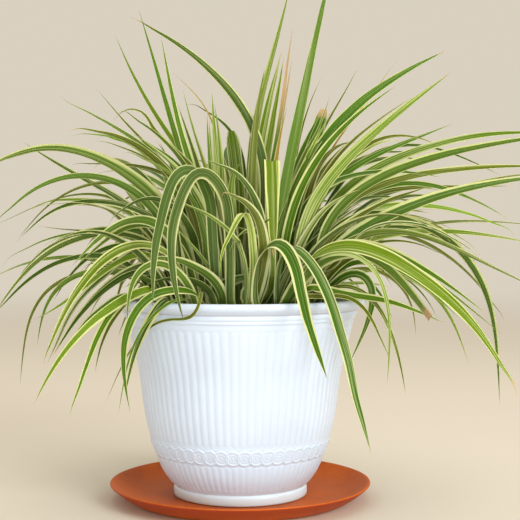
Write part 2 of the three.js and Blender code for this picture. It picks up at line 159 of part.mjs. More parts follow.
      [165, [[-47.3, 1.7, 176, -13, 2.7], [-56.6, 0.8, 209.1, -23, 3.9], [-70.2, -3.4, 233.3, -37, 4.4], [-86.7, 10.7, 245.8, -48, 4.4], [-106.5, 17.7, 251.9, -51, 4.3], [-130.8, 23.6, 251, -54, 3.8], [-153.2, 29.2, 241.5, -57, 3], [-174, 34.6, 223.2, -62, 1.8], [-193.4, 40, 195.2, -67, 0]]],
      [174, [[-51.4, 2.4, 176, 16, 2.1], [-69.5, 1, 201.2, 30, 3.1], [-92.5, 0.4, 217.9, 47, 3.6], [-122.1, 7.5, 226.6, 58, 3.6], [-150.1, 12.6, 226.1, 57, 3.4], [-173.8, 15.4, 217.8, 54, 2.9], [-190.3, 17.4, 203.2, 49, 2.2], [-200.4, 18.7, 183.6, 42, 1.5], [-207.5, 20, 149.4, 34, 0]]],
      [177, [[-44.5, 1.8, 176, -14, 2.1], [-50.9, 2, 216.7, -24, 3.1], [-61.9, 2.7, 248.4, -56, 3.6], [-79.8, 3.6, 272.3, -76, 3.6], [-101.6, 4.6, 286.6, -80, 3.4], [-137.8, 6.2, 295.8, -82, 2.9], [-171.2, 7.6, 293.4, -85, 2.1], [-198.2, 8.9, 280.8, -89, 1.2], [-222.3, 10, 257.5, -92, 0]]],
  ] },
  leaf_fan_right_02: { crown: [35.2, -35], leaves: [
      [-21, [[38, -36.6, 176, 14, 3], [38, -36.6, 178.7, 15, 3], [61.5, -40.2, 191.9, 24, 5.3], [76.3, -56.6, 202.8, 37, 6.1], [90.6, -62.7, 218, 44, 6.1], [104.7, -63.2, 226.1, 43, 6], [115.3, -65, 225.3, 42, 5.7], [124.1, -67.9, 215.6, 39, 5.2], [125.6, -70.4, 199.6, 37, 4.4], [120.1, -72.6, 178.5, 36, 3.1], [104.3, -75, 143.5, 36, 0]]],
      [-22, [[34.3, -34.7, 176, 1, 3], [48.8, -41.6, 199.6, 5, 4.3], [72.3, -42.6, 222.1, 11, 5.2], [89.5, -58.2, 232.1, 15, 5.3], [94.1, -67.2, 237.4, 16, 5.3], [99.1, -72.3, 245.7, 17, 5.3], [112.4, -70.7, 262.9, 19, 5.1], [128.1, -72.4, 271.8, 20, 4.7], [152.1, -79.9, 275.3, 20, 4], [175.4, -89.2, 270.9, 20, 3], [196.5, -98.7, 260, 18, 1.8], [219.7, -109.7, 239.8, 17, 0]]],
      [6, [[36.7, -32.6, 176, 19, 2.8], [39.5, -30, 218.8, 34, 4.1], [44.8, -38.4, 260.5, 57, 4.7], [52.5, -33.9, 290.5, 63, 4.7], [62.8, -30.7, 315.6, 63, 4.5], [79, -28, 342.2, 62, 3.9], [99.1, -25.6, 366, 61, 2.9], [154, -20, 409.6, 58, 0]]],
      [3, [[31.4, -35.3, 176, 15, 2.8], [36.9, -35.8, 201, 29, 4.1], [49.4, -41.9, 233.1, 52, 4.7], [59.3, -38, 253.8, 53, 4.5], [69.5, -35.7, 271.9, 51, 3.8], [90.1, -35.1, 294, 46, 2.2], [117, -30.5, 306.5, 41, 0]]],
  ] },
  leaf_fan_back_01: { crown: [-2.4, 51], leaves: [
      [134, [[-1.9, 53.4, 176, -3, 3], [-5.6, 57.9, 192.8, -5, 4.3], [-19.6, 74.9, 227.1, -10, 5.4], [-41.4, 105.1, 271.8, -18, 5.9], [-54.3, 116.7, 287.5, -20, 5.9], [-86.4, 150.7, 315.8, -24, 5.1], [-112.9, 177.8, 330.6, -26, 3.9], [-141.9, 205.6, 337.5, -26, 2.2], [-175.8, 235.4, 335.3, -25, 0]]],
      [108, [[-2.5, 51.3, 176, 2, 3], [-8.6, 58.6, 201, 7, 4.5], [-15.2, 70.5, 216.9, 12, 5.3], [-20.8, 98.3, 233.3, 19, 5.4], [-27.3, 127, 237.9, 22, 5.1], [-34, 143.1, 234.1, 23, 4.6], [-43, 152.2, 222.1, 24, 3.9], [-46.4, 180.3, 195.5, 21, 1.9], [-48.1, 194.3, 172.8, 19, 0]]],
      [93, [[-1.4, 53.5, 176, 1, 3], [-2.3, 57.7, 198.5, 2, 3.8], [-4.9, 72.2, 232.6, 4, 4.6], [-8.4, 88.2, 261, 5, 5.1], [-14.5, 114.2, 299.3, 6, 5.1], [-16.3, 141.4, 324.8, 5, 4.7], [-18.7, 176, 348.1, 2, 3.9], [-19.4, 210.4, 362.1, -2, 2.9], [-17.8, 246.9, 369, -11, 1.6], [-13.5, 283.8, 368.1, -19, 0]]],
      [105, [[-2.8, 52.7, 176, 1, 3], [-4.3, 57.7, 204.7, 3, 4.1], [-8, 73.9, 228.8, 6, 4.9], [-14.7, 101.2, 252.4, 9, 5], [-23.2, 133.6, 267, 11, 4.8], [-30.9, 161.7, 269.8, 12, 4.2], [-39.8, 192.5, 262.6, 13, 3.1], [-47.1, 217, 248.2, 13, 1.9], [-55.1, 242.3, 223.3, 14, 0]]],
      [104, [[-1.8, 48.6, 176, -1, 2.8], [-1.8, 48.6, 180.4, -1, 3], [-4.9, 77.5, 219.1, -4, 4.2], [-10.4, 95.7, 237.3, -5, 4.7], [-18.8, 126.4, 252.3, -7, 4.7], [-28.1, 164.5, 257.1, -7, 4.5], [-36.4, 198, 250.3, -6, 4], [-45.1, 231.3, 230.9, -3, 3], [-52.5, 257.5, 202.2, 1, 1.8], [-58.8, 278.7, 164.2, 5, 0]]],
      [110, [[-1.3, 51.6, 176, -3, 2.5], [-1.8, 53.6, 198.9, -7, 3.4], [-3.6, 61.5, 229.7, -14, 4.2], [-5.6, 71.5, 259.7, -19, 4.2], [-11.1, 85, 287.3, -19, 3.8], [-13.7, 93.8, 318.8, -17, 2.8], [-19.6, 107.3, 343.5, -13, 1.5], [-26.7, 120.7, 364.6, -10, 0]]],
  ] },
  leaf_fan_front_left_02: { crown: [-33.5, -40.2], leaves: [
      [-167, [[-35.7, -38.4, 176, 14, 3], [-40.4, -42.9, 212, 20, 6.2], [-46.8, -37.3, 238.3, 28, 7.1], [-56.5, -30.6, 263.2, 36, 7.6], [-77.6, -43.4, 296.4, 44, 7.6], [-104.1, -52.7, 320.2, 43, 7.2], [-139.9, -61.5, 339, 42, 6.1], [-175.2, -69.3, 345.4, 42, 4.5], [-210.3, -77, 338.3, 42, 2.6], [-245.6, -85, 318.5, 42, 0]]],
      [-148, [[-32.7, -39.7, 176, 10, 2.7], [-34.3, -42.3, 199.2, 14, 3.7], [-41.9, -32.8, 247.5, 29, 4.5], [-43.4, -37.1, 255.1, 30, 4.5], [-48.9, -59.9, 272.7, 33, 4.2], [-58.1, -67, 285.7, 37, 3.8], [-72.3, -69.9, 295.4, 43, 3.2], [-88.8, -75.5, 296.8, 46, 2.4], [-103.1, -83, 290.1, 48, 1.6], [-119.3, -94.6, 273, 51, 0]]],
      [-164, [[-36.6, -41.1, 176, 15, 2.5], [-40.9, -48.5, 206, 31, 3.6], [-52.1, -43.3, 241.1, 56, 4.2], [-64.7, -42.8, 260.1, 62, 4.1], [-77.8, -47.1, 270.1, 64, 3.9], [-93, -54.4, 273.2, 65, 3.5], [-110.9, -61.7, 268.1, 64, 2.8], [-131.2, -68.5, 253.7, 63, 1.7], [-152.8, -75, 231.9, 62, 0]]],
      [-146, [[-30.4, -38, 176, 11, 1.5], [-30.7, -30.6, 195.6, 17, 2], [-30.7, -29.8, 207.7, 22, 2.2], [-32.5, -36.9, 252.5, 41, 2.5], [-42.4, -49, 291.8, 45, 2.3], [-54.7, -57.2, 310.9, 47, 1.9], [-69, -66.1, 323.8, 49, 1.4], [-87.9, -77.7, 333.5, 52, 0.8], [-107.7, -90, 338.1, 53, 0]]],
  ] },
  leaf_fan_right_03: { crown: [53.1, 7.1], leaves: [
      [30, [[54.7, 5.6, 176, 13, 3], [55.5, 8.2, 202.9, 21, 5], [58.9, 22.7, 240.7, 38, 6.1], [63.9, 23.1, 279.6, 43, 5.9], [72.7, 29.7, 317, 45, 4.5], [81.7, 33.9, 335.5, 49, 3.4], [93.1, 37, 348.9, 55, 2.3], [105.6, 40.3, 356.4, 61, 1.2], [120, 43.7, 358.1, 63, 0]]],
      [14, [[52.1, 6.9, 176, 15, 2.8], [68.9, 9.3, 211.8, 48, 4.7], [83.9, 2.1, 232.6, 66, 4.7], [97.5, 3.5, 243.5, 71, 4.4], [112.6, 15.8, 247.1, 73, 3.6], [125.9, 23, 244, 72, 2.8], [139.7, 27.8, 234, 70, 1.6], [151.2, 31.7, 218.3, 68, 0]]],
      [18, [[56.1, 8.1, 176, 12, 2], [64.7, 8.4, 194.6, 19, 3], [74.8, 5.6, 203.4, 29, 3.4], [80.7, 7.3, 206.5, 34, 3.4], [95.8, 17.9, 211, 37, 3.3], [114.4, 26.6, 213.5, 36, 2.6], [133.8, 33.6, 212.6, 37, 1.5], [153.1, 40, 208.7, 39, 0]]],
      [31, [[52.7, 5.5, 176, 13, 2], [52, 6.5, 206.3, 19, 2.7], [47.7, 3.6, 253.3, 36, 3.3], [47.4, 12.8, 275.4, 39, 3.3], [49.6, 16, 295.3, 40, 3.2], [60.1, 20.3, 334.1, 42, 2.5], [78.7, 24.8, 369.7, 43, 1.3], [91.2, 29.1, 404.4, 44, 0]]],
      [13, [[54.5, 6.2, 176, 18, 2], [59.5, 8.5, 220.3, 33, 2.9], [61.9, 2.1, 244, 45, 3.2], [63.2, 2.5, 256.2, 52, 3.3], [72.6, 10.1, 282.4, 62, 3.3], [89.1, 10.2, 315.1, 65, 3.2], [97.9, 14.3, 328.3, 66, 3], [121.6, 22.2, 349.4, 69, 2.5], [150.6, 28.1, 362.7, 69, 1.8], [178.2, 34.3, 363, 69, 1], [208.6, 41.1, 353.3, 68, 0]]],
      [9, [[55.2, 5.2, 176, 15, 1.7], [57.4, -0.7, 214.7, 27, 2.4], [60.8, -4.2, 249.6, 43, 2.8], [69.8, 8.3, 289.7, 55, 2.8], [81.9, 11.6, 318.4, 55, 2.6], [94.9, 13.1, 338, 55, 2.4], [113.5, 15.6, 358, 54, 1.9], [144.1, 20.1, 382.2, 50, 1.1], [176.4, 25, 403.9, 46, 0]]],
  ] },
  leaf_fan_back_left_03: { crown: [-45, 31.3], leaves: [
      [146, [[-47.7, 33.1, 176, -1, 3], [-57.7, 41.3, 204.6, -7, 5.1], [-72.8, 51.6, 226.4, -13, 5.9], [-91.6, 61, 240.4, -17, 5.9], [-113.5, 71.9, 246.8, -19, 5.8], [-135.1, 84.7, 244.8, -20, 5.1], [-155, 101.9, 234, -19, 3.9], [-172.2, 116.1, 216.3, -17, 2.2], [-188.1, 128.2, 191.8, -14, 0]]],
      [136, [[-44.3, 30.6, 176, 1, 3], [-54.5, 38.4, 206.3, 5, 4.5], [-67.9, 47.7, 231.4, 8, 5.3], [-85.2, 60.1, 252.4, 11, 5.3], [-104, 72.7, 266.1, 13, 5.1], [-120.6, 87.9, 271.3, 15, 4.6], [-140.9, 114.2, 271, 16, 3.3], [-156.8, 134.4, 264.4, 16, 2], [-175.7, 157.7, 250.2, 15, 0]]],
      [132, [[-42.5, 28.5, 176, 0, 2.9], [-53.8, 39.8, 216, -1, 4.3], [-68.1, 56.7, 243.7, -1, 4.9], [-81.7, 75.2, 259.1, -2, 4.9], [-106.7, 113.4, 273.6, -4, 4.5], [-124.4, 133.4, 276, -6, 3.9], [-145.8, 155.7, 270, -8, 2.9], [-167, 174.7, 256.5, -10, 1.7], [-189.2, 192.5, 235.4, -13, 0]]],
      [129, [[-45.4, 28.5, 176, -3, 2.5], [-46.2, 29.9, 195.7, -3, 3.3], [-53.5, 37, 224.9, -3, 4.1], [-50.6, 43.5, 246.2, -3, 4.1], [-57.9, 50.4, 281.4, -2, 3.8], [-70.2, 65.5, 325.2, -2, 2.2], [-87.2, 80, 361.2, -5, 0]]],
      [154, [[-43.8, 33, 176, -5, 2.5], [-44.9, 33.5, 190.3, -9, 3.3], [-49.9, 35.7, 198.8, -13, 3.7], [-68.8, 45.9, 215.2, -24, 4.1], [-89.7, 54.1, 224.9, -29, 3.9], [-105.9, 62.7, 227.9, -32, 3.3], [-117.1, 68.4, 226, -33, 2.7], [-132.9, 75, 219.8, -35, 1.6], [-147.5, 82.7, 207.6, -37, 0]]],
      [156, [[-47.5, 30, 176, -11, 1.8], [-44.7, 27.7, 203.3, -14, 2.4], [-41.7, 31.2, 234.5, -22, 2.9], [-41.3, 29.9, 266, -31, 3], [-46.3, 33.2, 288.8, -36, 3], [-57.7, 38.7, 308.7, -39, 2.9], [-78, 47.4, 324.9, -46, 2.7], [-102.1, 57.6, 333.5, -51, 2.2], [-138.3, 72.4, 337.7, -57, 1.3], [-182.1, 90, 337.4, -65, 0]]],
  ] },
  leaf_fan_front_02: { crown: [12.3, -54.7], leaves: [
      [-123, [[9.5, -55.1, 176, 5, 3], [13.2, -62.9, 196.7, 6, 5.3], [19.2, -72, 219, 11, 6.2], [23.5, -74.7, 240.8, 14, 6.2], [23.9, -89.2, 251.9, 16, 5.8], [23.3, -91.7, 257.9, 17, 5.5], [19.1, -89.8, 275.3, 24, 4.4], [11, -89.7, 288.8, 34, 3.2], [-1.8, -91.4, 297.6, 49, 1.7], [-14.7, -93.5, 301, 63, 0.3], [-15.3, -93.6, 298.8, 64, 0]]],
      [-65, [[13.5, -57.6, 176, -1, 3], [7.7, -56.8, 198.1, -9, 5.7], [6.4, -54.8, 206.4, -12, 6.2], [9.9, -54.9, 212.6, -14, 6.2], [15.6, -60.4, 224.3, -18, 6.2], [19.2, -61.4, 241.7, -21, 5.6], [20.4, -64.4, 257.3, -21, 4.5], [22.2, -76, 272.5, -20, 2.5], [29.8, -92.4, 279.1, -18, 0]]],
      [-114, [[10.8, -52.8, 176, 5, 2.7], [17.9, -61.3, 201.1, 16, 4.1], [24.5, -69.5, 224.5, 29, 4.4], [25.3, -69.9, 242.2, 35, 4.3], [21.6, -71.9, 259.4, 42, 3.6], [15.3, -78.6, 266.8, 56, 3], [6, -88.9, 266.6, 71, 2.1], [3.1, -91.4, 264.9, 71, 1.8], [-4.6, -91.4, 256, 71, 0.9], [-8.5, -96, 247.7, 70, 0]]],
      [-127, [[14.5, -51.6, 176, 6, 2.4], [17.3, -50.1, 196.6, 10, 3.6], [19.2, -59.1, 207.7, 15, 4], [20.3, -64.5, 222.9, 18, 3.9], [17.4, -67, 249.9, 22, 2.9], [10.1, -72, 265, 34, 1.6], [2.1, -75.4, 269, 46, 0.8], [-4.6, -77.3, 268.4, 50, 0]]],
  ] },
  leaf_fan_back_right_02: { crown: [28.5, 49.6], leaves: [
      [38, [[27.5, 50.2, 176, 6, 3], [30.5, 54, 194.2, 11, 4.5], [37.7, 67.6, 205.1, 19, 5.4], [43.8, 71, 209.2, 23, 5.7], [58.5, 71.3, 218, 30, 5.7], [67, 78.3, 220, 34, 5.7], [72.9, 92.9, 223.7, 37, 5.7], [82.1, 102.3, 226.3, 40, 5.4], [99.1, 115.5, 223.6, 40, 4.6], [115.9, 126.8, 215.5, 40, 3.4], [131.4, 135.5, 202.7, 39, 2], [145.9, 142, 184.1, 38, 0]]],
      [44, [[28.7, 49.9, 176, 1, 3], [33.6, 45.8, 201.5, 8, 5.3], [39.1, 54.7, 231.8, 16, 5.6], [46.1, 68.9, 255.1, 20, 4.5], [61.4, 73.3, 276, 21, 2.3], [69.2, 88.8, 287, 21, 0]]],
      [54, [[26.2, 46.6, 176, 1, 3], [26.2, 46.6, 180.4, 2, 3], [41.6, 76.7, 221, 9, 4.6], [59.3, 107.2, 265.5, 17, 5.1], [68.4, 117.2, 276.7, 19, 5.1], [85.1, 134.6, 288.6, 21, 4.9], [108.6, 164.9, 298.2, 23, 4.2], [129.2, 193.4, 298.9, 23, 3.2], [149.6, 221.1, 291.6, 23, 1.9], [173.8, 253.2, 274.2, 22, 0]]],
      [45, [[30.7, 51.9, 176, 0, 2.6], [30.7, 51.9, 179.9, 0, 2.8], [40.4, 70.7, 207.6, 1, 3.7], [58.1, 93.3, 239.1, 2, 4.4], [81.6, 106.8, 261, 3, 4.4], [100.3, 121.4, 273.4, 4, 4.1], [119.4, 144.5, 280, 6, 3.6], [140.7, 166.9, 280.1, 8, 2.7], [162.9, 187.7, 274.7, 10, 1.6], [190.4, 212.1, 262.5, 13, 0]]],
      [62, [[29.1, 46.5, 176, 5, 1.6], [28.5, 45, 204.2, 9, 2.1], [28, 49.2, 232.2, 14, 2.5], [28, 45.7, 260.2, 19, 2.7], [32.6, 68, 320.6, 22, 2.5], [43.1, 81.8, 387.2, 18, 1.6], [54.6, 95, 453.6, 11, 0]]],
  ] },
  leaf_fan_left_02: { crown: [-55.6, -17.7], leaves: [
      [-175, [[-51.8, -17.4, 176, 0, 3], [-59.7, -28.6, 203.6, -2, 5.2], [-71.2, -28.5, 235.9, -3, 6.1], [-86.5, -30.2, 259.3, -3, 6.1], [-104.6, -32, 276.4, -4, 5.7], [-126.4, -33.5, 288.3, -3, 4.9], [-150.6, -34, 294.2, -3, 3.7], [-175.5, -33.1, 293.7, -2, 2.1], [-202.7, -30.6, 287.6, -1, 0]]],
      [-165, [[-58.7, -18.6, 176, -14, 2.8], [-64.8, -20.1, 201.7, -20, 4], [-74.2, -21.8, 217.6, -27, 4.7], [-87.4, -24.2, 225.8, -34, 4.7], [-102.6, -28.4, 226, -35, 4.7], [-121.1, -34.1, 217.4, -33, 4.5], [-140.9, -39.7, 200.6, -32, 3.7], [-159.4, -44.8, 178.6, -33, 2.2], [-177.2, -50, 149.4, -36, 0]]],
      [-169, [[-57.8, -15.9, 176, 15, 2.7], [-60.1, -10, 208.6, 25, 3.7], [-63.8, -14.5, 237.4, 38, 4.3], [-70.5, -17.4, 261.5, 49, 4.5], [-87, -21.9, 290.1, 56, 4.5], [-112.6, -27.1, 310.9, 56, 4.3], [-144.1, -32.8, 320.2, 55, 3.7], [-176.7, -38.8, 316.6, 52, 2.8], [-205.8, -44.3, 301.2, 49, 1.7], [-234.1, -50, 271.3, 46, 0]]],
      [-179, [[-54.6, -17.7, 176, 14, 2.7], [-60.9, -18.3, 214.3, 23, 3.8], [-74.7, -17.2, 242, 35, 4.5], [-95.9, -17.4, 258.6, 45, 4.5], [-122.3, -18.2, 264.7, 47, 4.4], [-156.8, -18.9, 260.2, 49, 4], [-188.4, -19.3, 245.4, 53, 3.1], [-214.6, -19.6, 222.4, 59, 2], [-242.2, -20, 184.9, 66, 0]]],
      [170, [[-56.2, -19.5, 176, 19, 2.6], [-58.7, -19.1, 196.3, 27, 3.4], [-73.3, -16.4, 218.2, 44, 4.2], [-85.6, -14.4, 230.6, 57, 4.3], [-96.7, -12.6, 232.5, 62, 4.3], [-120.4, -8.7, 221.5, 63, 4.2], [-138.8, -5.6, 207.1, 61, 3.7], [-165.8, -0.8, 176.3, 59, 2.2], [-188.3, 3.3, 142, 59, 0]]],
      [170, [[-55.3, -18.2, 176, 19, 2.3], [-57.2, -18.1, 216.1, 33, 3.3], [-63.5, -21.5, 236.6, 45, 3.7], [-70.4, -18.4, 244.7, 52, 3.8], [-79.8, -12.3, 249.6, 57, 3.8], [-97.3, -8.1, 249.5, 62, 3.8], [-119.3, -7.1, 237.6, 61, 3.7], [-159, -0.5, 200.1, 58, 2.6], [-173.3, 2, 179, 58, 1.9], [-194.9, 6.1, 132.6, 59, 0]]],
  ] },
  leaf_fan_right_04: { crown: [54, -25], leaves: [
      [-3, [[53, -24.9, 176, 14, 3], [65.3, -23.4, 196.2, 23, 6.3], [76.1, -37.2, 212.4, 39, 7.4], [79.7, -42.7, 218.2, 43, 7.4], [86.2, -37.8, 225.8, 44, 7.4], [104.6, -37.1, 241.3, 46, 6.5], [117.7, -33.1, 246.4, 48, 5.4], [123.5, -20.4, 245.5, 51, 4.2], [127.7, -16.4, 242.9, 53, 3.5], [141.6, -30, 222.7, 60, 0]]],
      [-9, [[55.4, -27.4, 176, -18, 3], [55.2, -26.7, 193.1, -21, 4.7], [55.1, -34.3, 222.2, -32, 5.6], [58.9, -27.5, 255.6, -47, 6.5], [66, -28.4, 280.3, -57, 6.5], [77.3, -31.2, 303.2, -58, 6.4], [95, -34.3, 327.2, -58, 6], [121.9, -38.2, 354.7, -59, 5], [161.3, -44, 387.5, -61, 2.9], [202.1, -50, 418.3, -64, 0]]],
      [2, [[50.2, -25.1, 176, 15, 2.7], [56.2, -18, 201.8, 27, 3.8], [63, -30.5, 222.2, 41, 4.5], [76, -37.3, 245.9, 55, 4.5], [83.5, -37.2, 255.6, 57, 4.5], [97.1, -21.3, 268.2, 57, 4.2], [109.1, -17.1, 276.6, 57, 3.9], [149.9, -19.5, 298.7, 56, 2.1], [188.6, -20, 308.8, 54, 0]]],
      [3, [[57.2, -24.8, 176, 16, 1.4], [63.6, -30.3, 195.3, 31, 2], [73.4, -41.4, 204.6, 48, 2.3], [78.5, -41.8, 206.5, 53, 2.3], [86, -32.3, 207.2, 58, 2.3], [95, -28.9, 207, 58, 2.3], [106.6, -29.6, 206, 57, 2.1], [120.8, -35.3, 203.1, 56, 1.7], [136.4, -24.4, 189.4, 51, 0.9], [150.7, -20, 174, 47, 0]]],
  ] },
  leaf_fan_back_left_04: { crown: [-23.4, 55.9], leaves: [
      [124, [[-21.3, 52.8, 176, 0, 3], [-21.3, 52.8, 180.3, 0, 3], [-32.8, 79.3, 217.6, -1, 4.8], [-43.1, 96.7, 239.7, -2, 5.4], [-54.7, 112.6, 256.6, -2, 5.4], [-69.6, 123, 274.3, -3, 5.4], [-97.2, 150.9, 300.7, -4, 4.7], [-110.8, 171.5, 307.9, -5, 4], [-125.9, 197.4, 309.1, -5, 3.1], [-139.9, 223.5, 304.4, -6, 1.8], [-156.2, 256.3, 292.4, -7, 0]]],
      [128, [[-25.4, 58.5, 176, 1, 2.8], [-25.4, 58.5, 179.7, 1, 3], [-34.4, 75.3, 202.5, 3, 3.9], [-48.5, 98.4, 221.8, 5, 4.7], [-70.1, 121.2, 232.8, 7, 4.7], [-86.5, 141.2, 231.9, 7, 4.6], [-103.3, 167.4, 220.3, 7, 4.1], [-118.1, 186.3, 202.8, 6, 3.2], [-133.1, 201.3, 177.1, 5, 1.9], [-147.7, 213.6, 141.1, 3, 0]]],
      [129, [[-23.7, 56.3, 176, -1, 2.7], [-26.9, 65.7, 204.5, -5, 3.7], [-38.2, 82.2, 235.8, -10, 4.5], [-54.5, 101.8, 257.7, -13, 4.5], [-71.2, 121.5, 268, -14, 4.2], [-81.9, 133.9, 270.1, -14, 3.9], [-103.2, 162.8, 262.9, -11, 2.7], [-119.8, 180.1, 250.3, -7, 1.5], [-136.6, 196.3, 231, -4, 0]]],
      [131, [[-22.8, 56.8, 176, -2, 2.6], [-24.1, 58.8, 198, -3, 3.4], [-33.4, 71.6, 233.3, -7, 4.3], [-35, 75.7, 252.5, -8, 4.3], [-46.6, 84.6, 279.9, -10, 4.2], [-68.4, 109.3, 326.7, -12, 2.7], [-95.8, 139.5, 366.6, -13, 0]]],
      [156, [[-20.3, 56.9, 176, -12, 1.3], [-33, 70.6, 245.2, -38, 2.2], [-43.5, 71.6, 277.4, -51, 2.2], [-56.3, 75.6, 303.7, -56, 2.2], [-77.8, 84.9, 333.6, -58, 1.9], [-119.8, 103, 377.6, -57, 1.2], [-160.2, 120, 423.3, -53, 0]]],
  ] },
  leaf_fan_front_left_03: { crown: [-20.9, -58.1], leaves: [
      [-121, [[-19.9, -60.8, 176, 6, 2], [-21.5, -61.3, 201.6, 8, 4], [-23.2, -67.5, 230.9, 16, 4.9], [-25.1, -69.2, 260.8, 28, 5.3], [-26.7, -76.7, 289.7, 39, 5.4], [-31.6, -88.8, 306.5, 55, 5.4], [-41.9, -107.3, 320.6, 94, 5.4], [-48, -113.1, 321.2, 108, 5.3], [-54.3, -117.3, 317.3, 119, 5.2], [-61.9, -121.5, 302.8, 131, 4.9], [-73.4, -134.4, 249.9, 140, 3.3], [-74.1, -149.3, 200.8, 142, 0]]],
      [-134, [[-20.2, -57.4, 176, 7, 3], [-14.5, -69.3, 202.7, 14, 5.4], [-16, -74.9, 209.7, 20, 5.5], [-24.2, -80.2, 222.4, 28, 5.4], [-37.7, -90.2, 232.7, 34, 4.8], [-52.9, -100.4, 240, 41, 3.4], [-66.2, -109.1, 242.6, 45, 1.9], [-79.5, -118, 241.3, 47, 0]]],
      [-162, [[-23.9, -59.3, 176, 12, 2.4], [-22.6, -65.5, 194.3, 23, 3.7], [-24.5, -66.3, 202.8, 32, 4], [-28.8, -67.9, 210.4, 40, 4], [-38.2, -73.7, 218, 42, 3.9], [-48.9, -77.7, 221.6, 40, 3.5], [-66.5, -81.3, 222.4, 39, 2.4], [-90, -80.8, 213.7, 38, 0]]],
      [-135, [[-18.2, -55.4, 176, 8, 1.3], [-18.6, -58.9, 207.8, 18, 2.1], [-28.9, -61.9, 232, 26, 2.1], [-40.6, -83, 249.9, 30, 1.5], [-50.6, -91.6, 261.9, 33, 0.9], [-62.7, -100, 274.8, 37, 0]]],
  ] },
  leaf_fan_right_05: { crown: [55.6, 29.2], leaves: [
      [-5, [[54.7, 29.5, 176, -5, 3], [59, 30.6, 197.2, -5, 4.3], [67, 34.8, 209.8, -7, 4.8], [75.8, 34.3, 219, -8, 5.2], [86.2, 29.7, 233.9, -10, 5.4], [116.9, 28.4, 264.7, -13, 5.2], [161.3, 24.5, 293.1, -19, 3.4], [213.8, 15.1, 310.4, -29, 0]]],
      [27, [[52.2, 27.5, 176, 10, 2.8], [54, 32.2, 196.1, 11, 3.6], [57.5, 46.2, 219.6, 15, 4.4], [60.8, 39.4, 235.1, 20, 4.7], [64.1, 38.8, 244.8, 23, 4.7], [77.2, 47.8, 267.5, 26, 4.7], [100.3, 48.8, 288.4, 28, 4.4], [118.8, 52.2, 297.5, 31, 3.9], [140.5, 61.6, 302.7, 33, 3.1], [167.4, 83.6, 301.3, 33, 1.6], [192.9, 100, 293.6, 34, 0]]],
      [17, [[57.7, 28.6, 176, 12, 2.3], [57.8, 26.5, 201.4, 14, 3.2], [59.3, 30.3, 235.1, 27, 3.9], [63, 27.5, 260.1, 47, 4.2], [71.1, 35, 282.9, 63, 4.2], [84.4, 41.6, 303.6, 69, 4.2], [105.2, 46.6, 324.1, 72, 3.9], [129.5, 53, 340, 75, 3.3], [174.4, 65.8, 360.6, 77, 2], [224, 80, 380.4, 77, 0]]],
      [24, [[56.9, 31.9, 176, 9, 2.5], [63.7, 33.5, 199.6, 12, 3.4], [79.1, 37.6, 215.2, 18, 4], [82.9, 43.6, 226.1, 21, 4.2], [88.1, 46.4, 247, 27, 4.2], [104.7, 57.2, 266.7, 32, 4.1], [124.5, 66.1, 279.2, 37, 3.6], [150, 74.9, 287.4, 43, 2.7], [175.7, 86.3, 289.1, 49, 1.6], [204.4, 98.4, 285.8, 55, 0]]],
      [20, [[56, 29.4, 176, 11, 1.6], [66.1, 33.4, 198.2, 15, 2.2], [82.3, 32.4, 220.8, 23, 2.7], [104.4, 45.2, 238.9, 33, 2.7], [130.9, 56.5, 251.3, 36, 2.6], [157, 65.8, 256.3, 37, 2.1], [180.5, 74, 254.7, 38, 1.6], [203, 82, 247.1, 40, 0.9], [225.1, 90, 232.1, 43, 0]]],
      [21, [[58.6, 30.4, 176, 12, 1.6], [66.6, 37.8, 198.1, 25, 2.3], [78.7, 35.6, 214.1, 55, 2.6], [91.3, 41.2, 221.7, 74, 2.6], [107.5, 48.8, 224.1, 85, 2.5], [123.9, 55.1, 219.9, 94, 2.2], [138, 60.5, 209.9, 100, 1.8], [150.1, 65.3, 194.3, 104, 1.1], [160.7, 70, 172.2, 106, 0]]],
  ] },
  leaf_fan_left_03: { crown: [-61.8, 16.3], leaves: [
      [127, [[-63.7, 18.8, 176, -1, 3], [-77.2, 27.6, 204, -3, 4.9], [-88.6, 37.8, 220.9, -4, 5.7], [-103.4, 62.3, 236.8, -7, 5.7], [-120.9, 88.9, 244.5, -9, 5.4], [-137.8, 108.8, 244.2, -11, 4.7], [-153.2, 128.3, 236.1, -13, 3.6], [-164.8, 146.4, 221.2, -14, 2.2], [-175.1, 165.8, 197.1, -16, 0]]],
      [164, [[-59.5, 15.6, 176, -12, 2], [-66.3, 23.3, 207.2, -18, 2.8], [-78.4, 24.9, 233.8, -28, 3.3], [-96.5, 28, 251.6, -39, 3.4], [-119.4, 33.7, 261.7, -42, 3.4], [-154.6, 43.2, 265.7, -40, 3], [-193.3, 53.6, 260.8, -38, 2.2], [-223.2, 61.8, 249.6, -36, 1.3], [-252.4, 70, 229.5, -34, 0]]],
      [170, [[-63.9, 14.4, 176, -13, 1.6], [-68, 18.2, 235.4, -27, 2.4], [-76.2, 19.1, 275.9, -40, 2.6], [-90, 22.9, 304.5, -45, 2.6], [-111.8, 26.4, 327.7, -46, 2.5], [-143.8, 30.6, 345, -44, 2.2], [-179.4, 36.1, 351.5, -41, 1.7], [-215.4, 42, 348.2, -38, 1.1], [-263.2, 50, 334.1, -34, 0]]],
      [170, [[-62.5, 14.2, 176, -13, 1.5], [-64.4, 16.4, 235.4, -29, 2.3], [-70.8, 14.9, 268.7, -42, 2.5], [-85.3, 15.6, 294.5, -50, 2.5], [-105.2, 19.7, 309.5, -52, 2.4], [-137.4, 27.4, 316.3, -54, 2.1], [-173.8, 34.5, 308.1, -57, 1.6], [-205.3, 40.1, 287.3, -61, 0.9], [-232.4, 45, 255.1, -65, 0]]],
  ] },
  leaf_fan_front_right_02: { crown: [35.1, -54.6], leaves: [
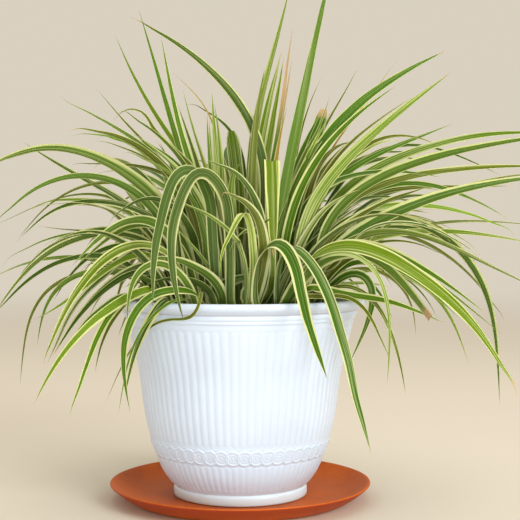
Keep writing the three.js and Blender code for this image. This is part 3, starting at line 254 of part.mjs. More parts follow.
      [-28, [[34.2, -54.1, 176, -15, 3], [34.2, -54.1, 179.1, -15, 3], [42.3, -74.2, 197.5, -26, 6.6], [47.7, -79.7, 207.2, -33, 7.2], [60.4, -74, 224, -48, 7.7], [76.4, -76, 238.8, -59, 7.7], [86.8, -78.9, 244.7, -61, 7.6], [99.9, -86.9, 248, -61, 7.4], [116.5, -95.2, 245.8, -60, 7.1], [133.7, -104.3, 235.9, -57, 6.8], [149.8, -114, 219.4, -54, 6.4], [172.6, -128, 188.8, -48, 5.8]]],
      [-21, [[37.6, -53.2, 176, -1, 3], [54.6, -56, 221.2, -7, 5.5], [65.2, -57.1, 241.2, -10, 5.8], [79.6, -61.3, 258.2, -12, 5.8], [99.8, -68.6, 272.7, -14, 5.5], [122.6, -77.7, 281.1, -14, 4.7], [146.2, -88.1, 281.7, -14, 3.6], [168.5, -98.9, 274, -13, 2.2], [192.3, -111.4, 256.4, -11, 0]]],
      [-54, [[37, -57.2, 176, 11, 3], [35, -72.1, 210.6, 17, 4.2], [37.6, -86.8, 235.9, 24, 4.7], [45.7, -99.7, 249.8, 29, 4.9], [55.2, -107.1, 248.9, 28, 4.9], [70.9, -112.5, 230.3, 29, 5], [84.3, -119.7, 200.5, 31, 5], [100.3, -140.6, 138.7, 29, 3.9], [116.3, -164.2, 73.2, 24, 0]]],
      [-45, [[32.4, -51.9, 176, 14, 1.6], [41.7, -62.4, 201.9, 20, 2.2], [51.5, -79.6, 219.8, 29, 2.6], [66.6, -81.9, 235.3, 38, 2.7], [82.6, -106.1, 244.8, 43, 2.7], [106.1, -116.2, 244.3, 38, 2.6], [123.1, -128.9, 229.4, 30, 2.3], [131.6, -138.3, 206.5, 27, 1.9], [134, -144.4, 177.3, 27, 1.3], [131.1, -150, 128.9, 30, 0]]],
  ] },
  leaf_fan_back_02: { crown: [11.2, 65], leaves: [
      [99, [[11.3, 66.7, 176, -1, 3], [10.6, 68.9, 194.1, 0, 4.8], [7.2, 79.9, 212.2, 1, 5.6], [3, 95, 248.9, 2, 6.2], [-0.9, 111.8, 285, 1, 5.7], [-4.2, 136.8, 330.6, -5, 3.3], [-4.2, 162, 369.2, -13, 0]]],
      [81, [[11, 64, 176, 0, 3], [11, 64, 180.1, 0, 3], [14.7, 86.1, 209.2, 0, 4.8], [16.8, 104.5, 225, 0, 5.5], [21, 149.5, 243.9, 0, 5.7], [27.7, 180.7, 248.9, 1, 5.5], [35.8, 210.8, 239.8, 2, 4.8], [39.9, 237.2, 221.2, 4, 3.7], [42.5, 259.5, 192.2, 6, 2.1], [44.1, 276.3, 155.3, 9, 0]]],
      [30, [[9, 65.7, 176, 9, 3], [12.5, 68, 197.8, 14, 4.2], [24.3, 79.1, 230.4, 26, 5.1], [32.4, 82.3, 246.5, 33, 5.5], [55.8, 95, 282.4, 47, 5.6], [84.2, 112.1, 312.8, 54, 5.3], [114.4, 129.7, 333.4, 58, 4.4], [144.2, 146.3, 345.1, 61, 3.3], [175.7, 163.1, 349.9, 60, 1.9], [211.8, 181.2, 346.8, 59, 0]]],
      [60, [[9.7, 63, 176, 3, 3], [12.5, 69.8, 196.6, 4, 3.9], [17.9, 86.4, 223.2, 8, 4.7], [25, 98.8, 241.3, 11, 5.2], [49.7, 139.5, 273.9, 19, 5.3], [65.1, 167.1, 290.4, 22, 4.9], [84.5, 200.6, 300.9, 29, 4.1], [102.9, 231.1, 302.1, 31, 3], [121.8, 260.5, 294.9, 32, 1.6], [139.9, 287.2, 279.7, 32, 0]]],
      [82, [[10.6, 61.2, 176, 1, 3], [10.6, 61.2, 180.3, 1, 3], [16.8, 82.9, 211.8, 5, 4.4], [23.9, 113.9, 240.7, 10, 5.1], [26.8, 141.6, 251.9, 12, 5.1], [28.5, 184.6, 257.2, 15, 4.8], [36.6, 217.5, 255.1, 15, 4.2], [42.9, 244.8, 244.3, 15, 3.3], [45.8, 272.5, 224.1, 14, 2.1], [46.4, 304.3, 189.2, 12, 0]]],
      [46, [[14, 64.7, 176, -1, 2.9], [19.4, 68.6, 201.7, -4, 3.9], [29.7, 83.2, 229.6, -8, 4.9], [42.4, 103.8, 247.3, -11, 4.9], [61.9, 123, 259.1, -12, 4.7], [80.8, 141.3, 263.2, -12, 4.1], [99.5, 159.9, 260, -10, 3.2], [119.7, 178.9, 248.7, -8, 1.8], [140.4, 196.8, 229.9, -4, 0]]],
  ] },
  leaf_fan_front_left_04: { crown: [-52.9, -41], leaves: [
      [-145, [[-51, -39.6, 176, 10, 2.3], [-52.8, -46.6, 213.8, 22, 4.8], [-59.1, -47, 245.7, 52, 5.2], [-66.7, -49.8, 261.4, 62, 5.2], [-77.9, -57.5, 272.8, 71, 5], [-94.1, -69.2, 277.5, 84, 4.5], [-110.8, -80.6, 273.3, 94, 3.7], [-129.4, -93.8, 259.5, 101, 2.3], [-150.2, -110, 235.7, 103, 0]]],
      [-144, [[-49.9, -38.8, 176, 0, 2.7], [-52.9, -50.7, 205.5, -2, 4.3], [-55.4, -53.5, 235.3, -4, 4.5], [-58, -58.9, 262.5, -4, 4], [-65.1, -56, 291.5, -3, 2.4], [-74, -56.3, 322.5, -1, 0]]],
      [-147, [[-53.3, -41.2, 176, -16, 1.8], [-54.8, -55.3, 202.5, -30, 2.6], [-60.4, -58.3, 222.8, -44, 3], [-71.1, -60.2, 237.3, -55, 3], [-86.9, -65.9, 243.9, -61, 3], [-100.6, -72.5, 242.5, -62, 2.9], [-113, -79.4, 237, -60, 2.8], [-134.9, -93.1, 220.8, -58, 2.2], [-158.2, -108.4, 202, -58, 1.2], [-183, -125, 186.8, -59, 0]]],
      [-152, [[-55.8, -42.5, 176, -14, 1.7], [-65.8, -44.2, 194.6, -24, 2.5], [-79.5, -47.1, 204.2, -35, 2.9], [-90.4, -60.1, 206.3, -44, 2.9], [-101.7, -75.5, 203.1, -39, 2.8], [-122.3, -77.6, 176, -33, 1.9], [-129.7, -81.5, 156.1, -31, 1.1], [-134, -85, 135.3, -29, 0]]],
  ] },
  leaf_fan_right_06: { crown: [67.7, -5.6], leaves: [
      [12, [[64, -6.4, 176, 14, 3], [73.8, -0.9, 208, 28, 4.3], [89.9, -5.3, 237.6, 47, 5], [106.6, 0.6, 253.6, 58, 5], [130.2, 7.4, 265.4, 61, 4.9], [159.7, 13.7, 270.3, 61, 4.2], [186.3, 18.9, 266.7, 60, 3.3], [210.9, 23.9, 256.1, 58, 2.1], [241.2, 30, 234.8, 55, 0]]],
      [5, [[66.7, -5.7, 176, 15, 2.8], [76.2, -8.5, 211, 24, 3.9], [87.9, -12.2, 232, 33, 4.5], [102.3, -9.3, 246, 41, 4.7], [127, -2.6, 258.3, 48, 4.7], [162.5, 2.6, 265.1, 48, 4.5], [207, 6.7, 266.4, 45, 3.6], [251.4, 10.5, 262.3, 42, 2.2], [303.2, 15, 252.4, 39, 0]]],
      [-8, [[66.5, -6.1, 176, -4, 2.6], [70.1, -6.5, 193, -6, 3.1], [100.6, -6.6, 231.5, -14, 4], [123.6, -12.8, 251.3, -18, 4.3], [139.2, -14, 267.7, -21, 4.3], [172.3, -17.5, 290.4, -22, 4.1], [208.6, -22.1, 307.1, -21, 3.5], [242.6, -27, 316.9, -20, 2.7], [282, -33.4, 322.1, -18, 1.5], [321.6, -40.6, 321, -15, 0]]],
      [0, [[65.5, -4.5, 176, 4, 2.5], [68.2, -4.8, 194.2, 7, 3.3], [77.7, -6.2, 215.3, 12, 4], [80.4, -11, 230.6, 16, 4.1], [91.6, -11.7, 245.5, 18, 4.1], [119.6, -8.6, 266.1, 20, 3.6], [142.5, -8.6, 279.1, 21, 2.7], [165.1, -7.7, 286, 22, 1.6], [191.3, -5.3, 287.9, 23, 0]]],
      [12, [[69.9, -7.4, 176, 14, 2.3], [70.1, -11, 197.1, 22, 3], [71.7, -8.6, 218.3, 34, 3.6], [75.9, -11.4, 239.1, 47, 3.8], [83.5, -13.3, 255.7, 55, 3.8], [95.1, -9.8, 269.4, 59, 3.8], [114.1, 0.5, 280.7, 62, 3.4], [134.2, 6.6, 284.9, 63, 2.9], [170, 13.6, 281.3, 63, 1.6], [202.6, 20, 275.7, 63, 0]]],
      [22, [[70.7, -4.4, 176, -15, 1.4], [79.8, -3.3, 201.1, -27, 2], [92.3, 2.6, 217.4, -41, 2.4], [109.7, 10.2, 227.1, -52, 2.4], [132.3, 18.4, 228, -53, 2.3], [153.3, 26, 219.1, -48, 2], [169.6, 32.6, 202.5, -41, 1.5], [177.8, 36.8, 183.3, -36, 0.9], [180.2, 40, 156.8, -32, 0]]],
  ] },
  leaf_fan_back_left_05: { crown: [-46.8, 50.6], leaves: [
      [127, [[-48.8, 49.6, 176, 0, 3], [-56.4, 60.6, 213.4, 2, 5.6], [-61.1, 71.6, 234.8, 3, 6.1], [-64.2, 90.6, 258.4, 4, 6.1], [-72.5, 108, 273, 4, 5.6], [-86.6, 118.2, 278.3, 4, 5], [-107.7, 136.1, 277.8, 3, 3.6], [-124.1, 153.2, 271.7, 1, 2.1], [-141.5, 170.5, 259.2, 0, 0]]],
      [123, [[-48.6, 53.3, 176, 0, 3], [-57.8, 65.5, 204.9, 0, 4.3], [-71.1, 84.1, 228.8, 0, 5.2], [-84.9, 102.3, 240.6, 0, 5.2], [-101.4, 121.7, 243.1, 0, 5.2], [-119.1, 158, 238.9, -2, 4.5], [-129.7, 179, 228.5, -3, 3.7], [-142.2, 198.9, 205.2, -5, 2.3], [-153.9, 216.1, 166.4, -7, 0]]],
      [139, [[-44, 50.7, 176, -3, 3], [-47.2, 53.8, 199.2, -6, 4], [-64.6, 71.7, 227.4, -14, 5], [-80.8, 86.9, 243.3, -19, 5], [-102, 107.1, 253.1, -21, 4.9], [-124.7, 128.1, 254.2, -21, 4.2], [-150, 149.8, 246.2, -16, 3], [-169.6, 164.6, 233.4, -12, 1.7], [-187.6, 177.1, 212, -7, 0]]],
      [125, [[-47.7, 48.3, 176, -5, 2.7], [-51, 52, 202.6, -8, 3.5], [-64.5, 70.1, 256.8, -20, 4.5], [-81.7, 87.7, 289.7, -28, 4.5], [-100.4, 111.2, 317.3, -33, 4.3], [-121.6, 139.7, 337.3, -40, 3.6], [-141.1, 168.6, 347.2, -48, 2.7], [-160, 199.5, 349, -52, 1.5], [-178.9, 234.7, 340.9, -52, 0]]],
      [147, [[-47.1, 48.2, 176, -9, 1.7], [-49.9, 52.7, 222.1, -17, 2.5], [-56, 55.7, 268, -29, 2.9], [-65.8, 64, 299.2, -34, 2.9], [-79.5, 73.8, 323.5, -36, 2.7], [-103.3, 88.9, 348.8, -41, 2.3], [-128.8, 104.3, 364.6, -48, 1.7], [-157, 121.1, 372.2, -51, 1], [-189.8, 140, 372.4, -52, 0]]],
      [161, [[-44.5, 49.8, 176, -12, 1.6], [-52.3, 53.8, 204.5, -20, 2.2], [-63.3, 59.9, 228, -31, 2.6], [-74.9, 66.3, 242.9, -41, 2.6], [-89.6, 74.2, 253.8, -46, 2.6], [-104.3, 79.2, 259.9, -48, 2.6], [-130.1, 83.2, 264.7, -46, 2.3], [-175.2, 94.8, 267.3, -41, 1.4], [-222.6, 110, 272, -34, 0]]],
  ] },
  leaf_fan_front_03: { crown: [0.3, -69.9], leaves: [
      [-116, [[-1.8, -69.2, 176, 5, 2.7], [-7.7, -77.8, 200.5, 7, 4.3], [-8.1, -82.5, 217.7, 9, 4.6], [-8.8, -76.4, 261.4, 22, 5.2], [-9.8, -78.6, 278.9, 29, 5.3], [-17.1, -90.9, 306.3, 47, 5.4], [-24.3, -97.7, 315.3, 64, 5.4], [-33.9, -105.6, 319.4, 90, 5.4], [-40.3, -110.8, 316.5, 108, 5.3], [-46.6, -117.3, 306.8, 126, 5.1], [-58.1, -132.8, 266.9, 145, 4.5], [-56.5, -144.4, 228.7, 148, 3], [-46.4, -157.3, 187.3, 149, 0]]],
      [-90, [[-0.8, -72.9, 176, 0, 2.3], [11.6, -76.7, 201.6, 2, 3.4], [14, -84.3, 237.2, 4, 3.9], [12, -94.5, 263.9, 6, 3.7], [6.3, -111.2, 282.8, 9, 3.1], [2.8, -114.5, 282.1, 11, 2.9], [-0.1, -115.3, 277.9, 7, 2.7], [-13.5, -108.7, 250.7, -3, 1.3], [-16.3, -111.7, 227.7, -8, 0]]],
      [-154, [[2.3, -68.5, 176, 11, 1.6], [7.2, -76.6, 223.8, 26, 2.6], [4.4, -82, 241.8, 34, 2.6], [0.3, -79.3, 254.2, 35, 2.6], [-2.6, -109.9, 260.1, 38, 2.3], [-14.9, -101.9, 272.7, 42, 1.9], [-28.2, -101.2, 281.8, 46, 1.5], [-42.3, -95.5, 288.3, 51, 1.1], [-68.9, -102.5, 299.3, 57, 0]]],
  ] },
  leaf_fan_back_right_03: { crown: [47.6, 52.5], leaves: [
      [20, [[50.6, 53.6, 176, 1, 3], [68.4, 60.1, 215.4, 6, 4.9], [92.5, 52.8, 246.7, 11, 5.5], [108.4, 56.8, 261.3, 13, 5.5], [129, 65.4, 274, 15, 5.3], [154.9, 76.6, 282.3, 17, 4.6], [183.7, 92.6, 283.6, 18, 3.4], [209, 106.1, 277.3, 18, 2.1], [238.6, 121.7, 262.4, 18, 0]]],
      [26, [[50.4, 53.8, 176, 2, 2.9], [50.7, 54, 186, 2, 3.2], [54.5, 56.7, 194.7, 2, 3.7], [85, 77.5, 217.4, 3, 4.9], [108.6, 92.4, 228.3, 4, 4.9], [134.6, 107.1, 231, 3, 4.6], [161.1, 119.8, 225.1, 2, 3.9], [183.2, 128.5, 212.9, 1, 2.9], [202.2, 134.2, 195, 1, 1.7], [217.7, 137.2, 169.5, 0, 0]]],
      [12, [[47.3, 51.4, 176, 5, 2.9], [51.1, 52.8, 192.9, 6, 3.6], [60.8, 59.5, 205.9, 8, 4.1], [68.8, 60.7, 212.7, 9, 4.4], [84.3, 55.4, 226.5, 12, 4.9], [96.2, 57.6, 244.1, 14, 4.9], [112.2, 63.1, 256.3, 14, 4.8], [136.8, 67.1, 269.3, 14, 4.5], [160.3, 73.1, 273.3, 13, 3.9], [194.5, 81, 271.8, 11, 2.6], [217.4, 86.7, 264.8, 11, 1.5], [241.5, 92.4, 251.3, 10, 0]]],
      [25, [[45.4, 51.5, 176, 11, 2.5], [51.6, 60.1, 225.6, 23, 3.8], [61.5, 62.6, 267.3, 37, 4.2], [72.2, 66.8, 292, 40, 4.2], [87.3, 74.5, 313.5, 42, 3.9], [112.4, 85.4, 335.4, 45, 3.2], [138.6, 96.2, 348.5, 46, 2.4], [167.1, 108.2, 352.8, 45, 1.3], [195.4, 120, 348.9, 44, 0]]],
      [21, [[48, 52.6, 176, 13, 1.8], [60.1, 62, 217.2, 25, 2.4], [76.5, 69.9, 252, 40, 2.9], [96.8, 78.9, 278.2, 54, 2.9], [123.7, 86.9, 298.1, 61, 2.9], [150.3, 94.5, 308.2, 64, 2.8], [183.2, 103.2, 313.5, 63, 2.4], [247.5, 127.6, 315.9, 59, 1.4], [307.4, 150, 317.1, 54, 0]]],
      [44, [[44.9, 49.9, 176, 8, 1.3], [47.7, 64.1, 210.7, 13, 1.9], [50.8, 68.4, 240, 19, 2.2], [57.1, 81, 280.1, 27, 2.2], [69, 90.5, 328.7, 29, 2.1], [85.5, 102.5, 370.6, 32, 1.6], [107.3, 116.1, 409.7, 35, 0.9], [128.7, 130, 448.8, 36, 0]]],
  ] },
  leaf_fan_right_07: { crown: [57.9, -44], leaves: [
      [-11, [[58.3, -44.1, 176, -19, 3], [58.4, -44.2, 180.6, -19, 3], [61.8, -61.7, 195.7, -25, 4.9], [73.2, -64.9, 225.6, -37, 5.9], [79.9, -61.2, 236.9, -43, 6.2], [95.6, -44, 253, -55, 6.4], [117.7, -47.9, 269, -61, 6.4], [157.5, -60.5, 289.2, -60, 6], [200.5, -70.1, 303.7, -59, 4.8], [249.7, -79.5, 313.9, -58, 2.8], [304.1, -90, 318.3, -57, 0]]],
      [-12, [[54.2, -43.2, 176, -14, 2.8], [54.2, -43.2, 180.3, -14, 3], [59.8, -59.9, 199, -19, 3.7], [74.4, -59.7, 229.3, -29, 4.5], [84.8, -55.2, 242.1, -34, 4.7], [97.8, -53.2, 252.8, -39, 4.7], [112.8, -54.1, 260.6, -42, 4.7], [133.1, -57.4, 265.9, -41, 4.7], [157.9, -63.1, 265.7, -40, 4.4], [182.1, -68.5, 259.5, -38, 4], [234.9, -79.7, 234.4, -36, 2.2], [283.5, -90, 210.1, -34, 0]]],
      [-11, [[57, -43.8, 176, 13, 2], [59.9, -52.2, 196.1, 15, 2.6], [66.7, -53.3, 217.3, 20, 3], [74.4, -51.3, 230, 24, 3.3], [89.6, -60.2, 243.7, 30, 3.4], [114.6, -57.8, 249.7, 32, 3.4], [140, -60.5, 244.7, 30, 3.2], [166.4, -64.7, 231.5, 29, 2.8], [199.7, -70.9, 208.2, 30, 1.9], [245, -80, 170.3, 34, 0]]],
      [-30, [[60.4, -45.1, 176, 14, 1.7], [60.4, -45, 178.7, 14, 1.8], [66.2, -61, 193.1, 20, 2.4], [80.7, -71.1, 210.2, 31, 2.9], [95.5, -75.6, 215.1, 39, 2.9], [113.9, -77.1, 210.9, 38, 2.8], [127.8, -81.4, 198.7, 34, 2.7], [139.2, -88.1, 177.8, 33, 2.2], [147.8, -94.5, 149.6, 38, 1.4], [153.9, -100, 114.9, 44, 0]]],
  ] },
  leaf_fan_back_03: { crown: [-13.2, 72.5], leaves: [
      [102, [[-12.4, 68.8, 176, 0, 3], [-14.2, 77.4, 193.7, 1, 5], [-15.9, 91.1, 208.4, 2, 5.8], [-16.4, 105.9, 216.3, 3, 6.4], [-14.1, 128.3, 223.3, 3, 6.5], [-13.2, 140, 229.8, 3, 6.5], [-19.8, 150.2, 241, 3, 6.4], [-27.5, 160.4, 244.6, 2, 6.2], [-34.6, 182.2, 240.1, 0, 5.4], [-40.3, 208.3, 225.8, -4, 4], [-44.9, 227.1, 207, -8, 2.4], [-49.7, 244.6, 178.8, -13, 0]]],
      [125, [[-11.6, 74, 176, 0, 3], [-11.6, 74, 180.1, 0, 3], [-17.8, 84.2, 196.6, 1, 4.9], [-25, 97.9, 209.9, 1, 5.5], [-57.2, 152.9, 246.6, 3, 6.3], [-74.7, 179.2, 254.5, 4, 6], [-93.5, 205.7, 251.9, 4, 5.2], [-112.3, 230.2, 241.3, 4, 3.9], [-130.2, 251.6, 224.3, 4, 2.4], [-151, 274.2, 197.5, 4, 0]]],
      [108, [[-14.2, 75.5, 176, 1, 3], [-14.2, 75.5, 179.5, 1, 3], [-20.3, 99.4, 199.2, 3, 5.2], [-25, 123.8, 212, 4, 6], [-30.2, 154.8, 216.8, 6, 6], [-43.4, 178.9, 214.1, 8, 5.9], [-52.7, 203.6, 204.9, 9, 5.2], [-60.1, 225.1, 188.5, 9, 4.1], [-67.6, 243.3, 164, 10, 2.5], [-75, 258.8, 129.5, 10, 0]]],
      [119, [[-12.7, 71.6, 176, 0, 3], [-12.7, 71.6, 179.3, 0, 3], [-16.4, 83.1, 190.2, -1, 3.9], [-25.8, 107.1, 210.1, -1, 4.9], [-49.4, 142.7, 233.6, -3, 5.1], [-57, 163.7, 238.3, -3, 4.8], [-65.9, 184.6, 236.4, -4, 4.2], [-78.7, 205.8, 228.1, -5, 3.2], [-92.2, 223.6, 214.7, -6, 1.9], [-108.3, 241.9, 193.2, -6, 0]]],
  ] },
  leaf_fan_front_left_05: { crown: [-39.7, -63.1], leaves: [
      [-147, [[-40, -65.9, 176, -14, 3], [-47, -64.3, 211.8, -24, 4.6], [-56.5, -71.8, 234.2, -34, 5.3], [-74.5, -87, 251.2, -45, 5.3], [-95.1, -101.6, 254, -48, 5.3], [-115.7, -113.6, 245.1, -46, 4.9], [-137, -125.9, 223.2, -45, 4], [-155.7, -138.7, 190, -50, 2.4], [-169.7, -150, 150, -57, 0]]],
      [-132, [[-37.2, -60.3, 176, 9, 2.3], [-41.2, -71.6, 199.6, 23, 3.7], [-49.3, -83.3, 219.4, 51, 4.2], [-60.5, -89.3, 231.5, 67, 4.1], [-74.2, -94.3, 236.4, 87, 3.9], [-85.5, -100.4, 233.5, 106, 3.5], [-94.2, -108.3, 223.5, 121, 2.8], [-98.4, -117.1, 208.7, 127, 1.8], [-99, -130, 185.3, 129, 0]]],
      [-150, [[-42.5, -64.7, 176, -14, 1], [-42.9, -65.9, 179.1, -15, 1.1], [-37.9, -95.5, 196.3, -24, 1.5], [-32.3, -125.7, 212.7, -30, 1.7], [-34, -136.5, 203.5, -30, 1.7], [-36.2, -138.1, 197.5, -31, 1.7], [-41.9, -134, 190.5, -31, 1.7], [-71.5, -107.4, 183.8, -31, 1.4], [-88.4, -97.5, 171.6, -30, 1.2], [-102, -98.4, 152.6, -30, 0.9], [-120.6, -110, 110.8, -30, 0]]],
      [-127, [[-39.1, -62.3, 176, -15, 0.8], [-42.9, -88.1, 197.1, -31, 1.3], [-47.1, -106.1, 203.8, -41, 1.4], [-54, -113.5, 204.8, -42, 1.4], [-74.2, -117.7, 192.7, -36, 1.4], [-89.6, -125, 172.2, -33, 1.2], [-98.4, -135.7, 146.2, -32, 0.8], [-104.9, -150, 103.3, -33, 0]]],
  ] },
  leaf_fan_right_08: { crown: [72.8, 19.9], leaves: [
      [-10, [[74.3, 21.3, 176, -12, 3], [79.2, 19.9, 205.1, -23, 5], [86.7, 14, 223.3, -34, 5.8], [96.2, 12.6, 234, -41, 5.9], [104.4, 18, 251.8, -46, 5.9], [116.3, 11.9, 267.3, -45, 5.7], [128.3, 13, 287.6, -44, 4.9], [140.6, 10.6, 295.2, -42, 4.3], [165.8, 4.8, 301.7, -38, 2.8], [203.6, -0.7, 299.2, -31, 0]]],
      [19, [[73.2, 20.1, 176, 12, 2.8], [82, 17.7, 225.1, 19, 4.1], [98.1, 9.8, 261.6, 30, 4.7], [109.5, 14.6, 274.7, 36, 4.7], [124.5, 28.4, 284.8, 41, 4.7], [157.5, 50.7, 293.7, 45, 4.4], [195.7, 65, 293.6, 48, 3.7], [251.4, 81.3, 282.3, 54, 1.9], [291.4, 94.1, 264.9, 60, 0.3], [293.8, 95, 261.2, 60, 0]]],
      [5, [[70.2, 21.9, 176, 14, 2.3], [71.6, 25.7, 235.7, 25, 4.1], [79, 29.4, 267.2, 46, 4.6], [94.7, 29.5, 295.6, 67, 4.7], [122.6, 28.2, 321.4, 79, 4.7], [171.1, 31.3, 345.7, 81, 4.2], [228.5, 36, 362.2, 83, 3.2], [282.4, 40.5, 368, 86, 1.8], [336.5, 45, 364.9, 89, 0]]],
      [31, [[72.9, 19, 176, 9, 2.8], [76.6, 22.1, 194.4, 13, 3.5], [91.6, 31.9, 210.1, 20, 4], [103.8, 41.5, 229, 28, 4.6], [121.3, 60.8, 246.5, 38, 4.6], [140.3, 70.9, 264.1, 43, 4.6], [155, 81.1, 272, 46, 4.4], [185, 99.5, 276.9, 48, 3.7], [212, 115, 273, 45, 2.8], [239.1, 127.4, 260.7, 42, 1.6], [265.4, 133.7, 238.9, 39, 0]]],
      [11, [[69, 19.2, 176, 13, 2.3], [73.9, 13.7, 228.8, 21, 3.5], [83.7, 0.8, 262.6, 43, 4.1], [94.4, 4.6, 280.4, 58, 4.1], [115, 19.7, 299.8, 74, 4.1], [146.3, 32.8, 315.4, 80, 4.1], [197.1, 44.4, 327.6, 82, 3.5], [270.5, 57.8, 334.5, 85, 2], [338.9, 70, 333.1, 89, 0]]],
      [19, [[75.8, 21, 176, -15, 1.8], [91.2, 27.3, 202.4, -26, 2.5], [112, 34.5, 219.9, -39, 2.9], [134.6, 41.6, 226.5, -51, 3], [161.2, 50.2, 223.4, -53, 3], [188.7, 59.4, 210.4, -48, 2.7], [211.5, 67.4, 189.9, -41, 2.1], [228, 73.6, 163.4, -34, 1.3], [243.2, 80, 124.4, -28, 0]]],
  ] },
  leaf_fan_back_left_06: { crown: [-67.9, 34.9], leaves: [
      [143, [[-69.3, 36.8, 176, -4, 2.5], [-71.1, 38.4, 187.1, -7, 3.1], [-76, 42.8, 196.2, -11, 3.5], [-99.2, 63, 216.3, -25, 4.1], [-113.4, 75.3, 224.7, -30, 4], [-133.2, 89.8, 230.3, -35, 3.3], [-149.8, 107.8, 228, -36, 2.1], [-157.3, 112.7, 230.4, -36, 1.5], [-167.2, 113.9, 230.8, -36, 1], [-177.2, 117.5, 222.5, -36, 0]]],
      [154, [[-64.5, 33.2, 176, -11, 1.9], [-64.5, 33.2, 179.8, -11, 2], [-81, 41.5, 198.9, -17, 2.6], [-103, 52, 217, -28, 3.1], [-127.9, 64.7, 228.9, -41, 3.2], [-157.8, 79.6, 236.4, -46, 3.1], [-188.5, 94.5, 238.5, -47, 2.8], [-219.2, 109.1, 235.5, -48, 2.2], [-249.2, 123.4, 227.3, -50, 1.3], [-284.3, 140, 211.8, -53, 0]]],
      [164, [[-68.3, 35, 176, -11, 1.6], [-75.7, 40.1, 217.3, -17, 2.3], [-88.9, 42.3, 257.4, -27, 2.7], [-105.1, 47.4, 281.6, -33, 2.7], [-128.3, 54.4, 298.4, -35, 2.6], [-155.8, 62.4, 305.5, -35, 2.4], [-184.3, 70.5, 303.6, -33, 2], [-219.5, 80.4, 292.8, -32, 1.4], [-271.6, 95, 268.7, -32, 0]]],
      [164, [[-67, 34.6, 176, 15, 1.4], [-67, 34.6, 179.9, 15, 1.5], [-85.5, 34.5, 199.9, 24, 1.9], [-100.6, 39.8, 211, 32, 2.2], [-117.4, 46.3, 218.6, 41, 2.4], [-154.1, 58.3, 223.4, 54, 2.4], [-186.9, 67.6, 215.8, 53, 2.3], [-208.7, 73.8, 200.8, 49, 2], [-223.6, 78.5, 178.5, 46, 1.6], [-231.5, 81.5, 152.5, 44, 1.1], [-238.1, 85, 102.3, 44, 0]]],
  ] },
  leaf_fan_front_right_03: { crown: [26.8, -72.4], leaves: [
      [-59, [[28.5, -75.2, 176, 10, 3], [15.2, -81, 198.5, 16, 4.9], [15.4, -89.1, 227.4, 33, 5.7], [24.1, -98.5, 250.5, 45, 5.9], [31.4, -103, 255.5, 45, 5.9], [37.1, -106.4, 255.1, 42, 6], [43.9, -111.2, 249.7, 39, 6], [50.8, -118.4, 236.3, 38, 5.9], [62.7, -139, 184.5, 37, 4.4], [78.4, -159.3, 137.4, 36, 0]]],
  ] },
  leaf_fan_back_right_04: { crown: [29.4, 72.3], leaves: [
      [62, [[29.6, 72.7, 176, -1, 3], [41, 87, 206.9, -6, 4.8], [51.8, 100.9, 227.5, -10, 5.4], [61.2, 115.8, 239.1, -12, 5.4], [72.3, 136.2, 245.9, -14, 5.2], [83.1, 157.8, 245.2, -16, 4.5], [92.5, 178.5, 237.4, -17, 3.5], [101, 198.8, 221.5, -17, 2], [107.9, 217.3, 198.6, -16, 0]]],
      [85, [[29.1, 68.5, 176, 1, 3], [30.3, 78.7, 207, 4, 4.2], [31.6, 95.1, 231, 7, 5], [33.2, 118.5, 248.4, 10, 5.1], [36.9, 145.9, 257.4, 13, 5], [41.1, 177.8, 254.9, 15, 4.4], [42, 220.1, 242.5, 17, 3], [44.2, 243.5, 225.2, 19, 1.7], [47.2, 264, 199.8, 19, 0]]],
      [32, [[26.2, 72.9, 176, 0, 2.8], [26.2, 72.9, 180.4, 0, 3], [42.3, 78.2, 206, -1, 3.8], [63.4, 87.6, 232.4, -2, 4.5], [88.9, 93.8, 262, -2, 4.6], [100.2, 100.2, 273.6, -3, 4.6], [114.4, 112.7, 284.8, -3, 4.5], [143.2, 136.2, 298, -4, 4], [175.1, 158.8, 303, -4, 3], [207.2, 181.4, 299.3, -5, 1.7], [241.1, 206.2, 287, -5, 0]]],
  ] },
  leaf_fan_left_04: { crown: [-71.3, -33.8], leaves: [
      [-172, [[-74.5, -34.2, 176, 0, 2.9], [-79, -35.1, 204.1, 3, 4.2], [-86.8, -37.4, 225.9, 5, 4.9], [-100.3, -38.5, 244.8, 7, 4.9], [-116.9, -40.1, 257.2, 8, 4.6], [-136.4, -42.7, 263.5, 10, 4], [-156.8, -45.6, 262.9, 11, 3], [-176.1, -48.3, 256, 12, 1.8], [-197.4, -51.2, 241.7, 14, 0]]],
  ] },
  leaf_fan_right_09: { crown: [76.3, -23.5], leaves: [
      [-4, [[76.7, -23.5, 176, -18, 3], [74.4, -18.6, 210.9, -25, 4.6], [74.8, -21.9, 236, -32, 5.2], [78.7, -22.9, 255.9, -39, 5.6], [91.9, -22.4, 283.1, -50, 5.8], [113, -25, 304.8, -56, 5.8], [147.9, -28.3, 324.9, -55, 5.6], [191, -31.5, 339.6, -54, 4.8], [250.3, -35.4, 352.2, -55, 3], [320.6, -40, 361, -57, 0]]],
      [-2, [[75.3, -23.5, 176, -15, 3], [84.2, -23.9, 228.4, -25, 4.9], [93.1, -23.5, 247.7, -31, 5.3], [106.7, -25, 263.9, -37, 5.7], [119.9, -26.2, 272.7, -42, 5.7], [140.3, -26.2, 278.7, -47, 5.7], [161.5, -26.4, 278, -48, 5.7], [181.8, -27.3, 271.7, -47, 5.7], [200.2, -27.9, 261, -46, 5.4], [216.1, -28.4, 246.8, -46, 5.1], [238.8, -29.1, 211, -43, 4.2], [249.4, -29.6, 169.9, -40, 2.9], [254.4, -30, 95.4, -36, 0]]],
